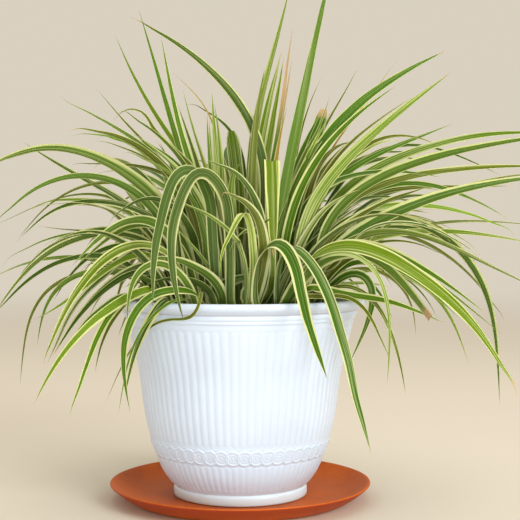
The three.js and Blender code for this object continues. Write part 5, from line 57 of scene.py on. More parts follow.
# ------------------------------------------------------------------ leaves, one row each, in millimetres
# node: (crown x, crown y, [(heading in degrees, colour, left margin, right margin as shares of half the width,
#        dry share of the length, cut end, folded, [x, y, z, roll in degrees, half width, ...]), ...])
FANS = {
    'leaf_fan_upright_01': (6.9, 0, [
        (0.0, 'l', 0.11, 0.11, 0, 0, 0, [3.1, 0, 176, -14.7, 3, 3.1, 0, 180.8, -15, 3, 4.2, 2.5, 200, -18.3, 4.53, 5.3, 3.4, 219.3, -23.5, 5.06, 7.8, 2.3, 262.7, -37.2, 6.07, 8.8, 1.7, 286.9, -44.6, 6.07, 9.7, 1.5, 311, -47.8, 6.07, 11.2, 2.5, 340, -47.4, 5.95, 13.8, 3.4, 364, -46.6, 5.6, 17, 3, 383.1, -46, 5.2, 22.3, 1.8, 406.6, -45.1, 4.56, 29.8, 0.8, 434.6, -44.1, 3.62, 36.2, 0.3, 457.9, -43.1, 2.69, 43.6, 0.1, 486, -42, 1.43, 50.5, 0, 514.2, -41.2, 0]),
        (-169.0, 'd', 0.24, 0.24, 0, 0, 0, [8.8, 2.6, 176, 18.3, 3, 8.8, 2.6, 181.1, 18.8, 3, 12.7, 2.7, 206.2, 26.7, 4.23, 18.9, 1.3, 246.4, 44.9, 5.12, 22.3, 0.1, 271.6, 56.9, 5.51, 24.4, -1.1, 296.9, 67.4, 5.51, 24.3, -1.9, 317.2, 71.5, 5.51, 22.7, -2.6, 332.4, 72.6, 5.49, 19.7, -3.4, 347.3, 73.1, 5.39, 15.2, -4.1, 361.8, 73.4, 5.22, 6.7, -4.8, 380.3, 73.5, 4.91, -4.1, -5.5, 397.5, 73.3, 4.5, -16.9, -6.5, 413.3, 72.9, 4, -31.2, -7.9, 427.6, 72.1, 3.43, -46.8, -10, 440.6, 71.1, 2.79, -63.3, -12.5, 452.1, 69.9, 2.07, -85.1, -16.1, 464.8, 68.1, 1.09, -102.8, -19.2, 474.2, 67, 0.23, -107.5, -20, 475.9, 66.9, 0]),
        (-34.0, 'o', 0.08, 0.08, 0, 0, 0, [6, 0.6, 176, -10.1, 3, 7, -2.4, 204.4, -16.1, 4.33, 7.7, -2.5, 222.2, -21.7, 4.87, 8.6, -3, 240.1, -27.6, 5.34, 10, -4.7, 272.2, -35.3, 5.34, 10.9, -5.4, 293.6, -35.4, 5.27, 11.5, -6.1, 315, -34.6, 4.92, 12.2, -7, 332.9, -33.7, 4.47, 13.2, -8.3, 350.7, -32.5, 3.88, 14.8, -9.6, 368.4, -31.1, 3.18, 17, -10.3, 386.1, -29.4, 2.37, 20.5, -11, 407.3, -27.3, 1.25, 24.6, -12, 428.3, -25.8, 0]),
        (-18.5, 'd', 0.12, 0.12, 0, 0, 0, [9.8, -1.2, 176, 0, 2.83, 11.7, -2.8, 187.5, 0, 3.61, 14.8, -5.9, 200.6, 0.2, 4.31, 17.7, -8.9, 211.6, 0.5, 4.72, 21.2, -12.8, 224.3, 1.3, 4.72, 25.4, -16.1, 234.8, 2.3, 4.69, 30.7, -18.4, 242.7, 3.4, 4.48, 36.3, -21.9, 250, 4.7, 4.13, 44.5, -24.8, 258, 6.7, 3.55, 48.4, -24.3, 262.4, 7.8, 3.2, 54.1, -22.3, 270.1, 9.8, 2.54, 59, -21.5, 276.2, 11.5, 1.94, 65.6, -21.6, 283.5, 13.8, 1.11, 74, -22.7, 291.7, 15.8, 0]),
        (-172.5, 'p', 0.29, 0.28, 0, 0, 0, [7.3, 0.6, 176, 19.5, 2.59, 7.1, 0.6, 188.3, 23.5, 3.11, 6, 0.5, 197.5, 28.9, 3.41, -1.4, -0.1, 224.3, 48.6, 4.17, -8.4, -0.6, 251.1, 67.3, 4.31, -14.4, -1.1, 278.2, 70.5, 4.22, -16.9, -1.6, 299.7, 70.7, 3.84, -18, -2.1, 324.4, 70.5, 3.14, -19.7, -2.7, 349, 70.1, 2.18, -22.1, -3.2, 370.4, 69.4, 1.17, -25.5, -3.7, 391.8, 68.9, 0]),
    ]),
    'leaf_fan_upright_02': (-9.9, 9.1, [
        (84.9, 'l', 0.20, 0.20, 0, 1, 0, [-11.7, 8.2, 176, 1.7, 3, -11.7, 8.3, 187, 2.2, 3.43, -10.8, 9.3, 200.6, 3.3, 6.38, -8.2, 11.9, 219.5, 5.1, 7.42, -6.4, 16.4, 235.5, 6.4, 7.67, -5.5, 17.8, 243.6, 6.8, 7.67, -3.2, 16.7, 265.6, 6.8, 7.61, -2, 18.6, 287.4, 6.7, 7.46, -2.9, 21.3, 311.9, 6.1, 7.29, -5, 23.9, 333.6, 5.5, 7.14, -7.2, 26.1, 352.5, 4.7, 6.95, -8.3, 27.1, 360.6, 4.4, 6.03, -9.9, 28.1, 368.6, 4.2, 3.45]),
        (157.7, 'g', 0.33, 0.35, 0, 0, 0, [-8.5, 9.8, 176, -11.8, 3, -8.5, 9.8, 180.3, -12, 3, -14.6, 15.1, 217.8, -20.3, 4.49, -22.9, 17, 255.2, -31.7, 5.27, -31.6, 19.7, 283.6, -38.6, 5.27, -41.8, 22.6, 311.5, -38.6, 5.2, -52.1, 25.5, 339.4, -37, 4.78, -60.9, 28.5, 367.7, -34.9, 4.07, -69.9, 32.7, 404.8, -31.7, 2.83, -76.6, 36.6, 438, -28.7, 1.43, -82.2, 40, 467.2, -26.8, 0]),
        (150.2, 'p', 0.14, 0.14, 0, 0, 0, [-6.6, 7.2, 176, -10.1, 3, -8.5, 8.2, 202.1, -14.6, 4.18, -11.4, 9.6, 231.5, -23.2, 5.09, -14.1, 10.8, 254.3, -29.9, 5.16, -16.5, 11.8, 273.8, -31.2, 5.16, -19.2, 13.1, 296.5, -30.6, 4.89, -21.4, 14.3, 316.1, -30.1, 4.41, -23.8, 15.7, 338.9, -29.9, 3.62, -25.6, 16.9, 358.4, -29.8, 2.77, -27.6, 18.5, 384.5, -29.8, 1.4, -29, 20, 407.4, -29.9, 0]),
        (-157.4, 'd', 0.33, 0.32, 0, 0, 0, [-12.9, 7.9, 176, 0.8, 2.98, -13.7, 7.5, 184.6, 2, 3, -15, 7.2, 193.2, 3.9, 4.23, -16.7, 7.4, 201.7, 5.7, 4.71, -18.3, 8.4, 208.4, 7, 4.96, -21.1, 11.1, 218.1, 8.6, 4.96, -24.4, 11.5, 226, 9.6, 4.96, -27.9, 9.5, 233.7, 10.3, 4.82, -33.3, 5.3, 245.8, 10.7, 4.25, -39.3, 1, 257.6, 10.2, 3.36, -44.4, -2.4, 266, 9.4, 2.51, -48.8, -5.6, 272.8, 8.4, 1.7, -57.7, -10.8, 284.5, 6.8, 0]),
        (-163.6, 'g', 0.55, 0.60, 0, 0, 0, [-10, 10.5, 176, 17.5, 2.28, -10.5, 10.3, 193.4, 23.8, 2.92, -12.4, 9.6, 210.6, 34.6, 3.39, -13.6, 7.9, 219.1, 40.5, 3.61, -14.8, 4.6, 227.4, 46.6, 3.8, -15.4, 3.3, 233, 50.7, 3.8, -17.2, 5.4, 250.2, 59.8, 3.8, -20.7, 4.7, 270.2, 61.6, 3.75, -22.8, 6.1, 284.4, 61.7, 3.56, -24.8, 6.9, 298.8, 61.7, 3.25, -26.9, 6.4, 316, 61.8, 2.76, -28.6, 5.8, 333.3, 61.8, 2.15, -30, 5, 356.5, 61.7, 1.17, -31.3, 4.2, 379.6, 61.6, 0]),
    ]),
    'leaf_fan_front_01': (1.6, -17.7, [
        (-88.6, 'l', 0.14, 0.14, 0, 0, 0, [1.5, -16.7, 176, 1, 3, 0.7, -16.6, 185.8, 2.1, 3.18, -0, -16.6, 193.1, 3.6, 4.7, -1.5, -17, 205.3, 6, 5.31, -3.9, -19.5, 224.7, 9.4, 5.95, -6.2, -22.2, 246.6, 11.9, 5.95, -7.1, -24.4, 258.6, 12.6, 5.83, -7.7, -27, 270.6, 12.8, 5.49, -8.1, -30.4, 285, 12.3, 4.86, -8.1, -34.7, 301.7, 10.5, 3.87, -7.1, -39.6, 315.5, 7.7, 2.83, -5.1, -44.9, 323.5, 5.5, 2.04, -3.6, -48.5, 326.5, 4.6, 1.61, -0.7, -54.8, 329.1, 3.7, 0.95, 2.5, -61.2, 330.4, 3.3, 0.24, 2.7, -62, 328.1, 3.3, 0]),
        (-117.6, 'd', 0.32, 0.29, 0, 0, 0, [0.1, -20.5, 176, -0.5, 3, 0, -21.1, 184.5, -1.3, 3, -0, -21.9, 192.9, -2.5, 4.73, -0.3, -23.7, 206.4, -4, 5.61, -0.6, -25, 216.4, -4.6, 5.61, -1.2, -26.6, 228.2, -4.6, 5.6, -2.1, -27.5, 240, -3.7, 5.25, -3.2, -28.8, 251.7, -2, 4.58, -4.4, -30.5, 261.7, 0.2, 3.8, -5.9, -32.8, 271.5, 2.9, 2.84, -8, -36.3, 282.7, 6.5, 1.52, -10.3, -40.4, 293.5, 9.4, 0]),
    ]),
    'leaf_fan_upright_03': (12.9, 16.8, [
        (51.2, 'p', 0.12, 0.12, 0, 0, 0, [15.8, 16.7, 176, 7.7, 3, 15, 17.8, 207.9, 13.7, 5.04, 14.1, 21.5, 243.6, 23.3, 6.12, 13.7, 24.6, 267.4, 29.3, 6.21, 13.8, 27.3, 287.1, 32, 6.21, 15.5, 32.1, 322.7, 33.1, 5.89, 18.3, 35.2, 346.3, 33.1, 5.31, 23.2, 38.8, 373.5, 32.3, 4.36, 31, 43.6, 408.3, 30.1, 2.75, 36.7, 46.8, 431.3, 28.2, 1.46, 42.5, 50, 454.3, 26.7, 0]),
        (0.8, 'g', 0.28, 0.26, 0, 0, 0, [11.9, 14.7, 176, -0.1, 3, 11.9, 14.7, 178.3, -0.1, 3, 16, 11.9, 188.8, -0.3, 4.06, 20.3, 9.2, 199.2, -0.6, 4.79, 22.9, 8.4, 205.6, -0.8, 5.11, 26.6, 8.7, 214.1, -1.1, 5.49, 31.9, 9.6, 224.3, -1.6, 5.49, 39.3, 10.6, 236.1, -2.2, 5.49, 48.4, 14.5, 251.7, -3.2, 5.21, 56.3, 15.9, 268.3, -4.5, 4.48, 64.4, 17.3, 282.3, -5.8, 3.57, 73.4, 17.4, 295.8, -7.3, 2.43, 81.6, 16.6, 307, -8.6, 1.29, 90, 15.8, 318, -9.6, 0]),
        (75.2, 'd', 0.06, 0.06, 0, 0, 0, [13.7, 19.9, 176, -0.5, 2.56, 14.6, 22, 188.6, -2.1, 3.47, 16, 25, 199.4, -3.7, 4.06, 18.5, 29.8, 212.9, -4.9, 4.27, 21.4, 34.4, 226.3, -4.9, 4.22, 23.4, 38.1, 234.9, -4.2, 3.94, 23.6, 40.7, 238.8, -3.5, 3.73, 22.9, 42.9, 241, -3, 3.57, 20.1, 49, 246.1, -1.5, 3.11, 19.7, 52.7, 249.2, -0.4, 2.78, 20.8, 56, 252.5, 0.9, 2.42, 23.3, 60.5, 258.5, 3.2, 1.75, 25.6, 65.6, 266.4, 6.3, 0.84, 26.9, 69.9, 273, 8, 0]),
        (48.4, 'g', 0.23, 0.23, 0.35, 0, 0, [14.8, 15.6, 176, 8.3, 1.87, 14.8, 15.6, 180.4, 8.5, 1.99, 16, 19.5, 197.4, 11.6, 2.32, 17.3, 22.1, 214.7, 15.9, 2.59, 21.1, 26.1, 253.7, 26.5, 3.11, 26, 30.6, 292.5, 34.6, 3.11, 30.6, 34.7, 322.6, 35.9, 3.05, 34.8, 38.5, 348.2, 35.9, 2.82, 39.6, 43.1, 378.1, 35, 2.41, 44.5, 48.7, 412.4, 33, 1.76, 49, 54.3, 446.7, 30.4, 0.96, 54.2, 60, 480.8, 28.5, 0]),
    ]),
    'leaf_fan_upright_04': (-23.8, -4.2, [
        (-32.8, 'p', 0.14, 0.14, 0, 0, 0, [-20.8, -5.3, 176, -9, 3, -21.1, -5.7, 178.7, -9.3, 3, -22.6, -8.2, 186.5, -12.1, 3.47, -24.5, -12.7, 195, -17.5, 4.77, -25.1, -14.7, 200.2, -21.9, 5.03, -24.3, -15.2, 207.1, -27.8, 5.03, -20.2, -14.9, 214.3, -31.9, 5.03, -15, -13.8, 218.8, -34.3, 4.88, -9, -12.7, 222.3, -36.7, 4.56, -1.3, -11.6, 225.4, -39.3, 4, 3.9, -12.3, 227, -40.9, 3.53, 6.1, -13.9, 227.6, -41.5, 3.27, 8.7, -17.2, 228.1, -42.1, 2.85, 12, -23.5, 228.5, -42.4, 2.06, 15.5, -29.6, 228.4, -42.6, 1.18, 17.7, -31.3, 228.2, -42.8, 0.8, 21.5, -32.6, 227.6, -42.9, 0.21, 21.8, -31.2, 227.5, -42.9, 0]),
        (177.9, 'd', 0.39, 0.13, 0, 0, 0, [-24.2, -3, 176, -15.5, 2.72, -24.2, -3, 179, -15.9, 2.9, -24.3, 0.6, 197, -23.7, 3.58, -24.4, 1.6, 206, -29, 3.86, -25, -0.7, 230.3, -44.2, 4.53, -26.8, -0.9, 251.5, -55.8, 4.53, -31, -1.6, 275.5, -58.7, 4.47, -34.4, -1.8, 287.2, -58.8, 4.29, -38.8, -1.9, 298.5, -58.7, 4.03, -44.2, -1.9, 309.4, -58.4, 3.7, -50.8, -1.7, 319.7, -57.9, 3.29, -58.5, -1.5, 329.1, -57.2, 2.82, -65, -1.3, 335.5, -56.6, 2.43, -74.5, -1, 343.1, -55.7, 1.86, -84.9, -0.6, 349.5, -54.6, 1.23, -101, -0.1, 357.9, -53.2, 0.19, -104, 0, 357.3, -53.2, 0]),
        (-159.7, 'g', 0.15, 0.15, 0, 0, 0, [-25.1, -6, 176, 11.7, 2.43, -25.1, -6.9, 200.4, 14.5, 3.2, -25.5, -9.5, 228.3, 20.8, 3.85, -27.7, -10.3, 259.6, 29, 4.05, -29.8, -10.8, 273.4, 29.7, 4.05, -33, -11.6, 287, 28.8, 4.02, -37.3, -12.9, 300.2, 27.7, 3.89, -41.4, -14.1, 309.7, 27.1, 3.73, -47.9, -16.2, 322, 26.6, 3.47, -55.4, -18.8, 333.5, 26.3, 3.13, -65.9, -22.4, 346.9, 26.2, 2.64, -75.4, -25.6, 356.7, 26.6, 2.17, -85.7, -29.2, 365.3, 27.4, 1.66, -97, -33.1, 372.6, 28.8, 1.1, -114.8, -39.2, 381.7, 30.4, 0.17, -117.2, -40, 379.3, 30.4, 0]),
        (178.2, 'o', 0.29, 0.23, 0, 0, 0, [-22.2, -2.7, 176, -19.6, 2.26, -22.5, -2.6, 198.6, -27.2, 2.89, -22.8, -2.7, 225, -42.2, 3.44, -23.1, -4.6, 247.6, -56.3, 3.77, -23.8, -4.2, 258.9, -63, 3.77, -25.6, -2.7, 273.9, -69.2, 3.77, -28.3, -2.3, 288.7, -71.1, 3.77, -32.5, -2.2, 303.2, -71.4, 3.69, -36.8, -2, 313.6, -71.5, 3.58, -42.7, -1.8, 323.2, -71.5, 3.42, -49.9, -1.6, 332, -71.4, 3.23, -66, -1.2, 347.8, -71, 2.74, -82.2, -0.7, 363.6, -70.4, 2.14, -86.8, -0.6, 369.5, -70.1, 1.91, -92.4, -0.4, 379.3, -69.7, 1.55, -97.4, -0.3, 384.7, -69.4, 1.29, -104.2, -0.1, 387.6, -69, 1.02, -111.6, 0.1, 387.9, -68.7, 0.74, -118.2, 0.3, 385, -68.4, 0.45, -126.5, 0.5, 377.3, -68.2, 0]),
        (-177.2, 'o', 0.20, 0.20, 0, 0, 0, [-27, -4.4, 176, 14.8, 1.47, -27, -4.4, 179.4, 15.1, 1.57, -28.2, -8.3, 199.2, 21.2, 1.93, -28.9, -9.2, 209.2, 25.5, 2.09, -31.2, -9.1, 232.7, 36.9, 2.41, -34.3, -9.3, 252.7, 46.9, 2.45, -37.3, -9, 265.8, 50.8, 2.45, -41.4, -8.1, 278.6, 52, 2.44, -46.8, -7.1, 291, 52.8, 2.38, -53.5, -6.6, 302.6, 53.7, 2.26, -59.5, -6.6, 310.8, 54.5, 2.14, -68.5, -6.7, 320.7, 55.7, 1.95, -78.7, -7.1, 329.6, 57.1, 1.72, -89.8, -7.6, 337.2, 58.6, 1.46, -101.7, -8.1, 343.5, 60.3, 1.16, -114.2, -8.7, 348.5, 62.1, 0.84, -140.2, -9.8, 355.6, 65.4, 0.1, -143.6, -10, 355.6, 65.5, 0]),
    ]),
    'leaf_fan_upright_05': (22.6, -14.4, [
        (-10.9, 'g', 0.04, 0.04, 0, 0, 0, [23.9, -16.9, 176, -18, 3, 23.9, -16.9, 181.1, -18.3, 3, 27.7, -23.2, 211.1, -25.1, 4.57, 32.5, -32.9, 245.4, -37.3, 5.38, 34.9, -34.7, 260.5, -43, 5.71, 36.7, -33.6, 270.6, -47, 5.78, 41.2, -27.9, 295.3, -55.6, 5.78, 44, -25.5, 310.2, -58.2, 5.78, 46.9, -24.1, 325.3, -58.7, 5.78, 50.8, -23.3, 345.5, -58.6, 5.67, 56.9, -23.6, 375.7, -58.4, 5.25, 62.2, -24.5, 400.8, -58.5, 4.72, 67.5, -25.5, 425.9, -58.7, 4.06, 75.2, -26.9, 461.1, -59.3, 2.93, 83.2, -28.5, 496.1, -60.1, 1.57, 91.4, -30, 531.1, -60.8, 0]),
        (5.7, 'd', 0.13, 0.13, 0, 0, 0, [25.8, -14.1, 176, 1.5, 3, 25.8, -14.1, 178.2, 1.7, 3, 28.7, -15.1, 184, 3.1, 3, 32.6, -16.7, 191.6, 5.9, 4.65, 39.5, -20, 202.2, 10.1, 5.34, 44.7, -21.2, 209.1, 12.7, 5.74, 51, -19.5, 217.8, 15.5, 5.74, 57.1, -16.5, 228.9, 18.4, 5.74, 62.1, -16.2, 238.6, 20.2, 5.62, 68.8, -17.1, 252.3, 21.9, 5.11, 73.1, -16.5, 259.9, 22.4, 4.68, 78.3, -14.2, 266.5, 22.6, 4.17, 84.6, -12, 272, 22.5, 3.58, 95.4, -9.8, 279, 21.9, 2.54, 108.1, -6.3, 286.7, 20.5, 1.13, 117, -5, 292.9, 19.8, 0]),
        (-13.4, 'y', 0.22, 0.22, 0, 0, 0, [18.9, -13.5, 176, -14.5, 2.19, 20, -15.5, 194.2, -20.9, 2.8, 21.2, -18.2, 209.3, -29.5, 3.18, 22.2, -21.6, 221, -36.9, 3.46, 23.7, -27, 235.3, -46.3, 3.64, 24.7, -28.4, 244.3, -51.5, 3.64, 25.4, -27.5, 250.3, -54.1, 3.64, 28.2, -19.7, 273.4, -57.8, 3.6, 30.2, -17.6, 291.5, -58.9, 3.36, 33, -17.5, 315.9, -59.7, 2.82, 34.8, -18, 331.1, -59.8, 2.37, 37, -18.5, 346.3, -59.7, 1.85, 41, -19.2, 367.3, -59.3, 0.99, 46.2, -20, 388.1, -58.8, 0]),
    ]),
    'leaf_fan_upright_06': (-7.6, 28.2, [
        (58.9, 'g', 0.27, 0.31, 0, 0, 0, [-5.9, 31, 176, 0.6, 2.69, -3.8, 33.7, 195.7, 2.7, 3.74, -2.5, 35.7, 206.6, 4, 4.18, -1.4, 38.2, 217.3, 5.2, 4.49, -0.8, 42, 227.8, 6.2, 4.49, -0.5, 49.6, 241.4, 7.2, 4.48, 0.1, 52.1, 247.6, 7.4, 4.4, 1.3, 53.1, 254, 7.5, 4.26, 5.2, 53.3, 269.1, 7.4, 3.76, 8.5, 55.1, 281.9, 6.9, 3.15, 12.9, 61.1, 300.5, 5.5, 1.99, 16, 66.5, 312.3, 4.2, 1.05, 19.2, 72.6, 323.7, 3.2, 0]),
        (104.2, 'd', 0.12, 0.12, 0, 0, 0, [-6.8, 26.8, 176, -1.2, 2.54, -6.9, 27.4, 185.1, -1, 2.95, -7.1, 29.3, 193.9, -0.8, 3.25, -8.4, 38.4, 216.3, -0.2, 3.94, -10.5, 46.3, 239.1, 0.3, 4.23, -11, 54.5, 255.3, 1.1, 4.23, -12.2, 63.1, 271.3, 2, 4.14, -14.4, 72.3, 286.8, 2.4, 3.84, -17, 77.9, 296.9, 2.9, 3.54, -20.2, 82.9, 303, 3.6, 3.27, -22.3, 90.5, 307.9, 4.5, 2.97, -22.4, 95.7, 312, 5.1, 2.75, -22.4, 102.1, 319.3, 5.6, 2.4, -23.2, 106.1, 324, 5.6, 2.14, -25.1, 112.6, 330, 5.2, 1.74, -29.3, 124.4, 338.6, 3.6, 0.99, -35.2, 139.2, 347.3, 2.2, 0]),
        (156.2, 'g', 0.07, 0.07, 0, 0, 0, [-6.2, 25.3, 176, -11.2, 2.1, -6.2, 25.3, 180.8, -11.4, 2.24, -11.2, 25, 199.5, -13.7, 2.6, -17.7, 27.1, 222.6, -18.3, 2.98, -25.1, 31.7, 245.1, -23.9, 3.32, -38.2, 40, 280.5, -33.5, 3.49, -46.7, 44.4, 302.6, -36.3, 3.49, -55, 47.9, 325, -36.7, 3.45, -64.1, 51.2, 352.3, -37.2, 3.22, -71.1, 53.8, 375.3, -38.1, 2.92, -79.1, 57.1, 402.9, -39.6, 2.45, -87.1, 60.6, 430.5, -41.7, 1.88, -98.1, 65.6, 467.2, -45, 0.95, -107.8, 70, 499.3, -47.2, 0]),
        (148.0, 'p', 0.18, 0.18, 0, 0, 0, [-11, 28.8, 176, -9.1, 1.91, -12.4, 31.6, 200.1, -11, 2.52, -13.8, 34, 217.2, -13.7, 2.84, -15.5, 36.2, 234.3, -17.1, 3.14, -19.2, 38.3, 261.7, -22.3, 3.18, -23.7, 40.2, 285.5, -21.9, 3.16, -31.4, 44.2, 315.6, -20.9, 2.84, -40.6, 49.2, 345, -20.9, 2.24, -50.1, 53.9, 374.4, -21.7, 1.41, -55.8, 57, 394.2, -22.5, 0.75, -60.9, 60, 414.1, -23.2, 0]),
        (128.0, 'd', 0.17, 0.17, 0, 0, 0, [-8.6, 26, 176, -6.9, 1.89, -8.6, 26, 179.7, -7.1, 2.02, -5.6, 31.5, 208.9, -12.4, 2.63, -2.5, 35.9, 234.5, -18.7, 3.05, 0.1, 40.6, 256.3, -24.2, 3.16, 2.2, 46, 277.9, -27.8, 3.16, 3.4, 50.9, 295.9, -29.3, 3.11, 3.6, 55.8, 313.9, -31.1, 2.95, 2.9, 59.7, 328.3, -33, 2.76, 0.9, 63.7, 342.5, -35.5, 2.51, -1.9, 66.8, 353, -37.9, 2.29, -5.9, 69.9, 362.9, -40.9, 2.05, -11.4, 73.2, 372.1, -44.4, 1.79, -18.4, 76.4, 380.3, -48.3, 1.5, -26.5, 79.6, 387.2, -52.7, 1.19, -35.6, 82.8, 393, -57.5, 0.86, -55, 89, 402.4, -65.5, 0.13, -58.6, 90, 402.1, -65.9, 0]),
    ]),
    'leaf_fan_front_left_01': (-14.5, -27.9, [
        (-31.2, 'b', 0.35, 0.38, 0, 0, 0, [-11.8, -29.7, 176, -10.7, 3, -11.8, -29.7, 177.5, -11, 3, -12.7, -30.1, 178.6, -11.6, 3, -15.7, -31.7, 183.4, -15.5, 3, -20.9, -34.3, 190, -23.6, 4.88, -23.7, -35.3, 193.3, -28.1, 5.75, -26.1, -35.6, 197, -33, 6.05, -27.4, -35.3, 201.2, -38.3, 6.05, -27.3, -35.4, 204.1, -41.8, 6.05, -26.4, -36.1, 206.8, -45.2, 6.05, -24, -38, 210, -49.4, 6.05, -19.8, -40.8, 213.1, -53.9, 6.01, -13.9, -44, 216.1, -58.4, 5.74, -6.2, -47.2, 219, -62.1, 5.18, 0.5, -49.2, 221.1, -64, 4.55, 8.9, -51.3, 223.1, -65.4, 3.61, 17.3, -53.6, 224.1, -66.8, 2.48, 24.5, -55.2, 224.3, -67.8, 1.42, 31.8, -56.1, 224, -68.7, 0.25, 33, -56.9, 223.7, -68.7, 0]),
        (-122.7, 'd', 0.39, 0.38, 0, 0, 0, [-14.3, -25.3, 176, 3.4, 2.79, -14.8, -25.8, 195, 2.6, 3.57, -17.3, -28.7, 222.8, 1.9, 4.42, -18.3, -29.1, 242.4, 2.1, 4.65, -20.9, -30.1, 259, 2, 4.65, -22.2, -32, 268.8, 1.4, 4.65, -24.2, -38.2, 283, 0.4, 4.56, -26, -41.3, 291.4, -0, 4.41, -28.8, -43.7, 300.1, -0.3, 4.22, -34.5, -49.1, 314.1, -0.6, 3.8, -42.1, -60.4, 339.2, -0.7, 2.77, -49.5, -74.5, 362.8, 0.3, 1.43, -55.7, -89.6, 382.1, 1.2, 0]),
        (-154.4, 'p', 0.11, 0.11, 0, 0, 0, [-17.4, -29.3, 176, 12.3, 2.2, -18.1, -29.9, 194.5, 17.5, 2.81, -19.4, -31, 216.1, 27.4, 3.34, -20.8, -32, 231.5, 35.1, 3.66, -22.8, -33.2, 246.8, 42.3, 3.66, -27.9, -36, 270.8, 46.6, 3.65, -31.7, -37.9, 282.4, 46.9, 3.55, -36.4, -40.2, 293.6, 47, 3.37, -47.1, -45.1, 311.7, 47, 2.91, -54.5, -48.5, 321.1, 46.8, 2.57, -62.6, -52.1, 329.7, 46.4, 2.18, -80.5, -60.1, 344.7, 45.2, 1.25, -99.7, -68.8, 357.6, 43.9, 0.15, -102.4, -70, 358.6, 43.9, 0]),
    ]),
    'leaf_fan_upright_07': (31.5, 11.5, [
        (39.5, 'o', 0.33, 0.35, 0, 0, 0, [30.8, 10.2, 176, 4.1, 3, 31.5, 10.8, 185.2, 5, 3.07, 33.6, 12.7, 197.3, 7.5, 4.79, 37.7, 15.9, 211.9, 11, 5.41, 43.5, 18.9, 229.3, 14.9, 6.06, 46.9, 22.1, 240.7, 17.3, 6.06, 47.2, 24, 246.5, 18.3, 6.06, 45.4, 27.4, 255.1, 19.4, 6.06, 44.8, 30.8, 260.6, 19.9, 6.06, 45.4, 32.7, 263.1, 20.1, 6.06, 48, 36, 267.9, 20.4, 6.02, 51.6, 37.9, 272.7, 20.6, 5.93, 58.6, 39.6, 286.3, 20.8, 5.59, 64.2, 41.9, 297.1, 20.5, 5.18, 76.4, 49.8, 317.1, 19.2, 4.1, 84.2, 56, 329, 17.9, 3.25, 92.7, 62.6, 340.1, 16.5, 2.28, 101.9, 69.7, 350.4, 14.9, 1.2, 111.7, 77, 359.9, 13.7, 0]),
        (18.2, 'd', 0.04, 0.04, 0, 0, 0, [30.5, 11.2, 176, 0.2, 3, 30.5, 11.2, 179.9, 0.2, 3, 37.1, 13.6, 198, 0.6, 4.25, 42.7, 14.8, 212.5, 0.9, 4.72, 50.8, 14.3, 230.2, 1.3, 5.26, 58.7, 13.2, 243.5, 1.4, 5.54, 65.9, 13.1, 252.7, 1.5, 5.54, 74.4, 13.7, 260.7, 1.4, 5.54, 84.1, 15.5, 266.8, 1.3, 5.54, 90.6, 18.4, 269.8, 1.2, 5.54, 115.7, 34.1, 279.7, 0.4, 5.18, 131.9, 43.6, 284.5, -0.5, 4.74, 145.6, 50.7, 286.5, -1.3, 4.28, 160, 56.7, 286.1, -2.3, 3.75, 174.4, 61.5, 283.1, -3.4, 3.14, 191.9, 66.5, 276.2, -5, 2.27, 211.2, 71.6, 264.1, -7, 1.09, 223.5, 74.6, 255.1, -8.1, 0.23, 225.6, 75.1, 251.9, -8.2, 0]),
        (28.7, 'b', 0.30, 0.24, 0, 0, 0, [28.1, 9.7, 176, 12.1, 3, 28.1, 9.7, 179.2, 12.5, 3, 30.5, 13.8, 201, 21.7, 4.17, 34.4, 20.8, 228.7, 37.4, 5.07, 36.5, 22.9, 241.1, 44.3, 5.13, 38.7, 23.3, 253.7, 49.9, 5.13, 41.6, 22.6, 269.4, 53.1, 5.13, 44.7, 22.5, 285.1, 54.5, 4.98, 51, 25.1, 313, 55.9, 4.3, 56.2, 28.1, 331.2, 56.1, 3.61, 62.8, 31.6, 348.9, 55.8, 2.76, 70.6, 35.1, 366, 55, 1.76, 83.6, 40, 391.2, 53.5, 0]),
        (39.1, 'd', 0.11, 0.11, 0, 0, 0, [31.3, 14.3, 176, 10.3, 1.23, 31.3, 14.3, 179.5, 10.6, 1.31, 32.6, 17.6, 200.2, 17.6, 1.61, 35, 25.1, 230.6, 31.7, 1.98, 36.4, 27.2, 244.4, 38.1, 2.04, 38.7, 27.6, 265.2, 45.6, 2.04, 40.8, 27.8, 282.5, 48.3, 2.04, 44.2, 29.2, 306.7, 50.2, 1.91, 47.3, 30.9, 327.4, 51.1, 1.71, 51.1, 32.9, 351.5, 51.4, 1.38, 54.4, 34.7, 372.1, 50.9, 1.04, 58.5, 37.2, 396.1, 49.9, 0.55, 63, 40, 420, 49, 0]),
    ]),
    'leaf_fan_back_left_01': (-32.8, 13.5, [
        (171.9, 'l', 0.29, 0.31, 0, 0, 0, [-31.3, 13, 176, -10, 3, -31.8, 13.2, 183.2, -10.9, 3, -34.2, 14, 193.5, -14, 4.33, -43.6, 16.8, 212.8, -22.2, 5.07, -48.6, 18, 226.9, -28, 5.52, -51.2, 19.8, 233.7, -31, 5.73, -52.9, 21.3, 236.6, -32.4, 5.81, -57.4, 24.8, 241.3, -35.3, 5.81, -65.9, 28.5, 247.1, -39.3, 5.81, -71.2, 28.9, 251.6, -41.3, 5.81, -78.2, 28.8, 259.5, -43.1, 5.81, -85.4, 29.8, 267.3, -44, 5.8, -93.6, 31.6, 274.1, -44.5, 5.69, -105.4, 34.1, 281.9, -44.7, 5.44, -121.3, 37, 289.7, -44.2, 4.97, -134.7, 38.9, 294.4, -43.3, 4.5, -148.6, 40.4, 297.6, -42.1, 3.94, -162.9, 41.6, 299.1, -40.6, 3.29, -184.3, 43.8, 299, -37.8, 2.19, -195.1, 44.1, 298, -36.2, 1.58, -205.3, 42.6, 295.3, -34.7, 0.93, -218.1, 39.5, 289.5, -33.4, 0]),
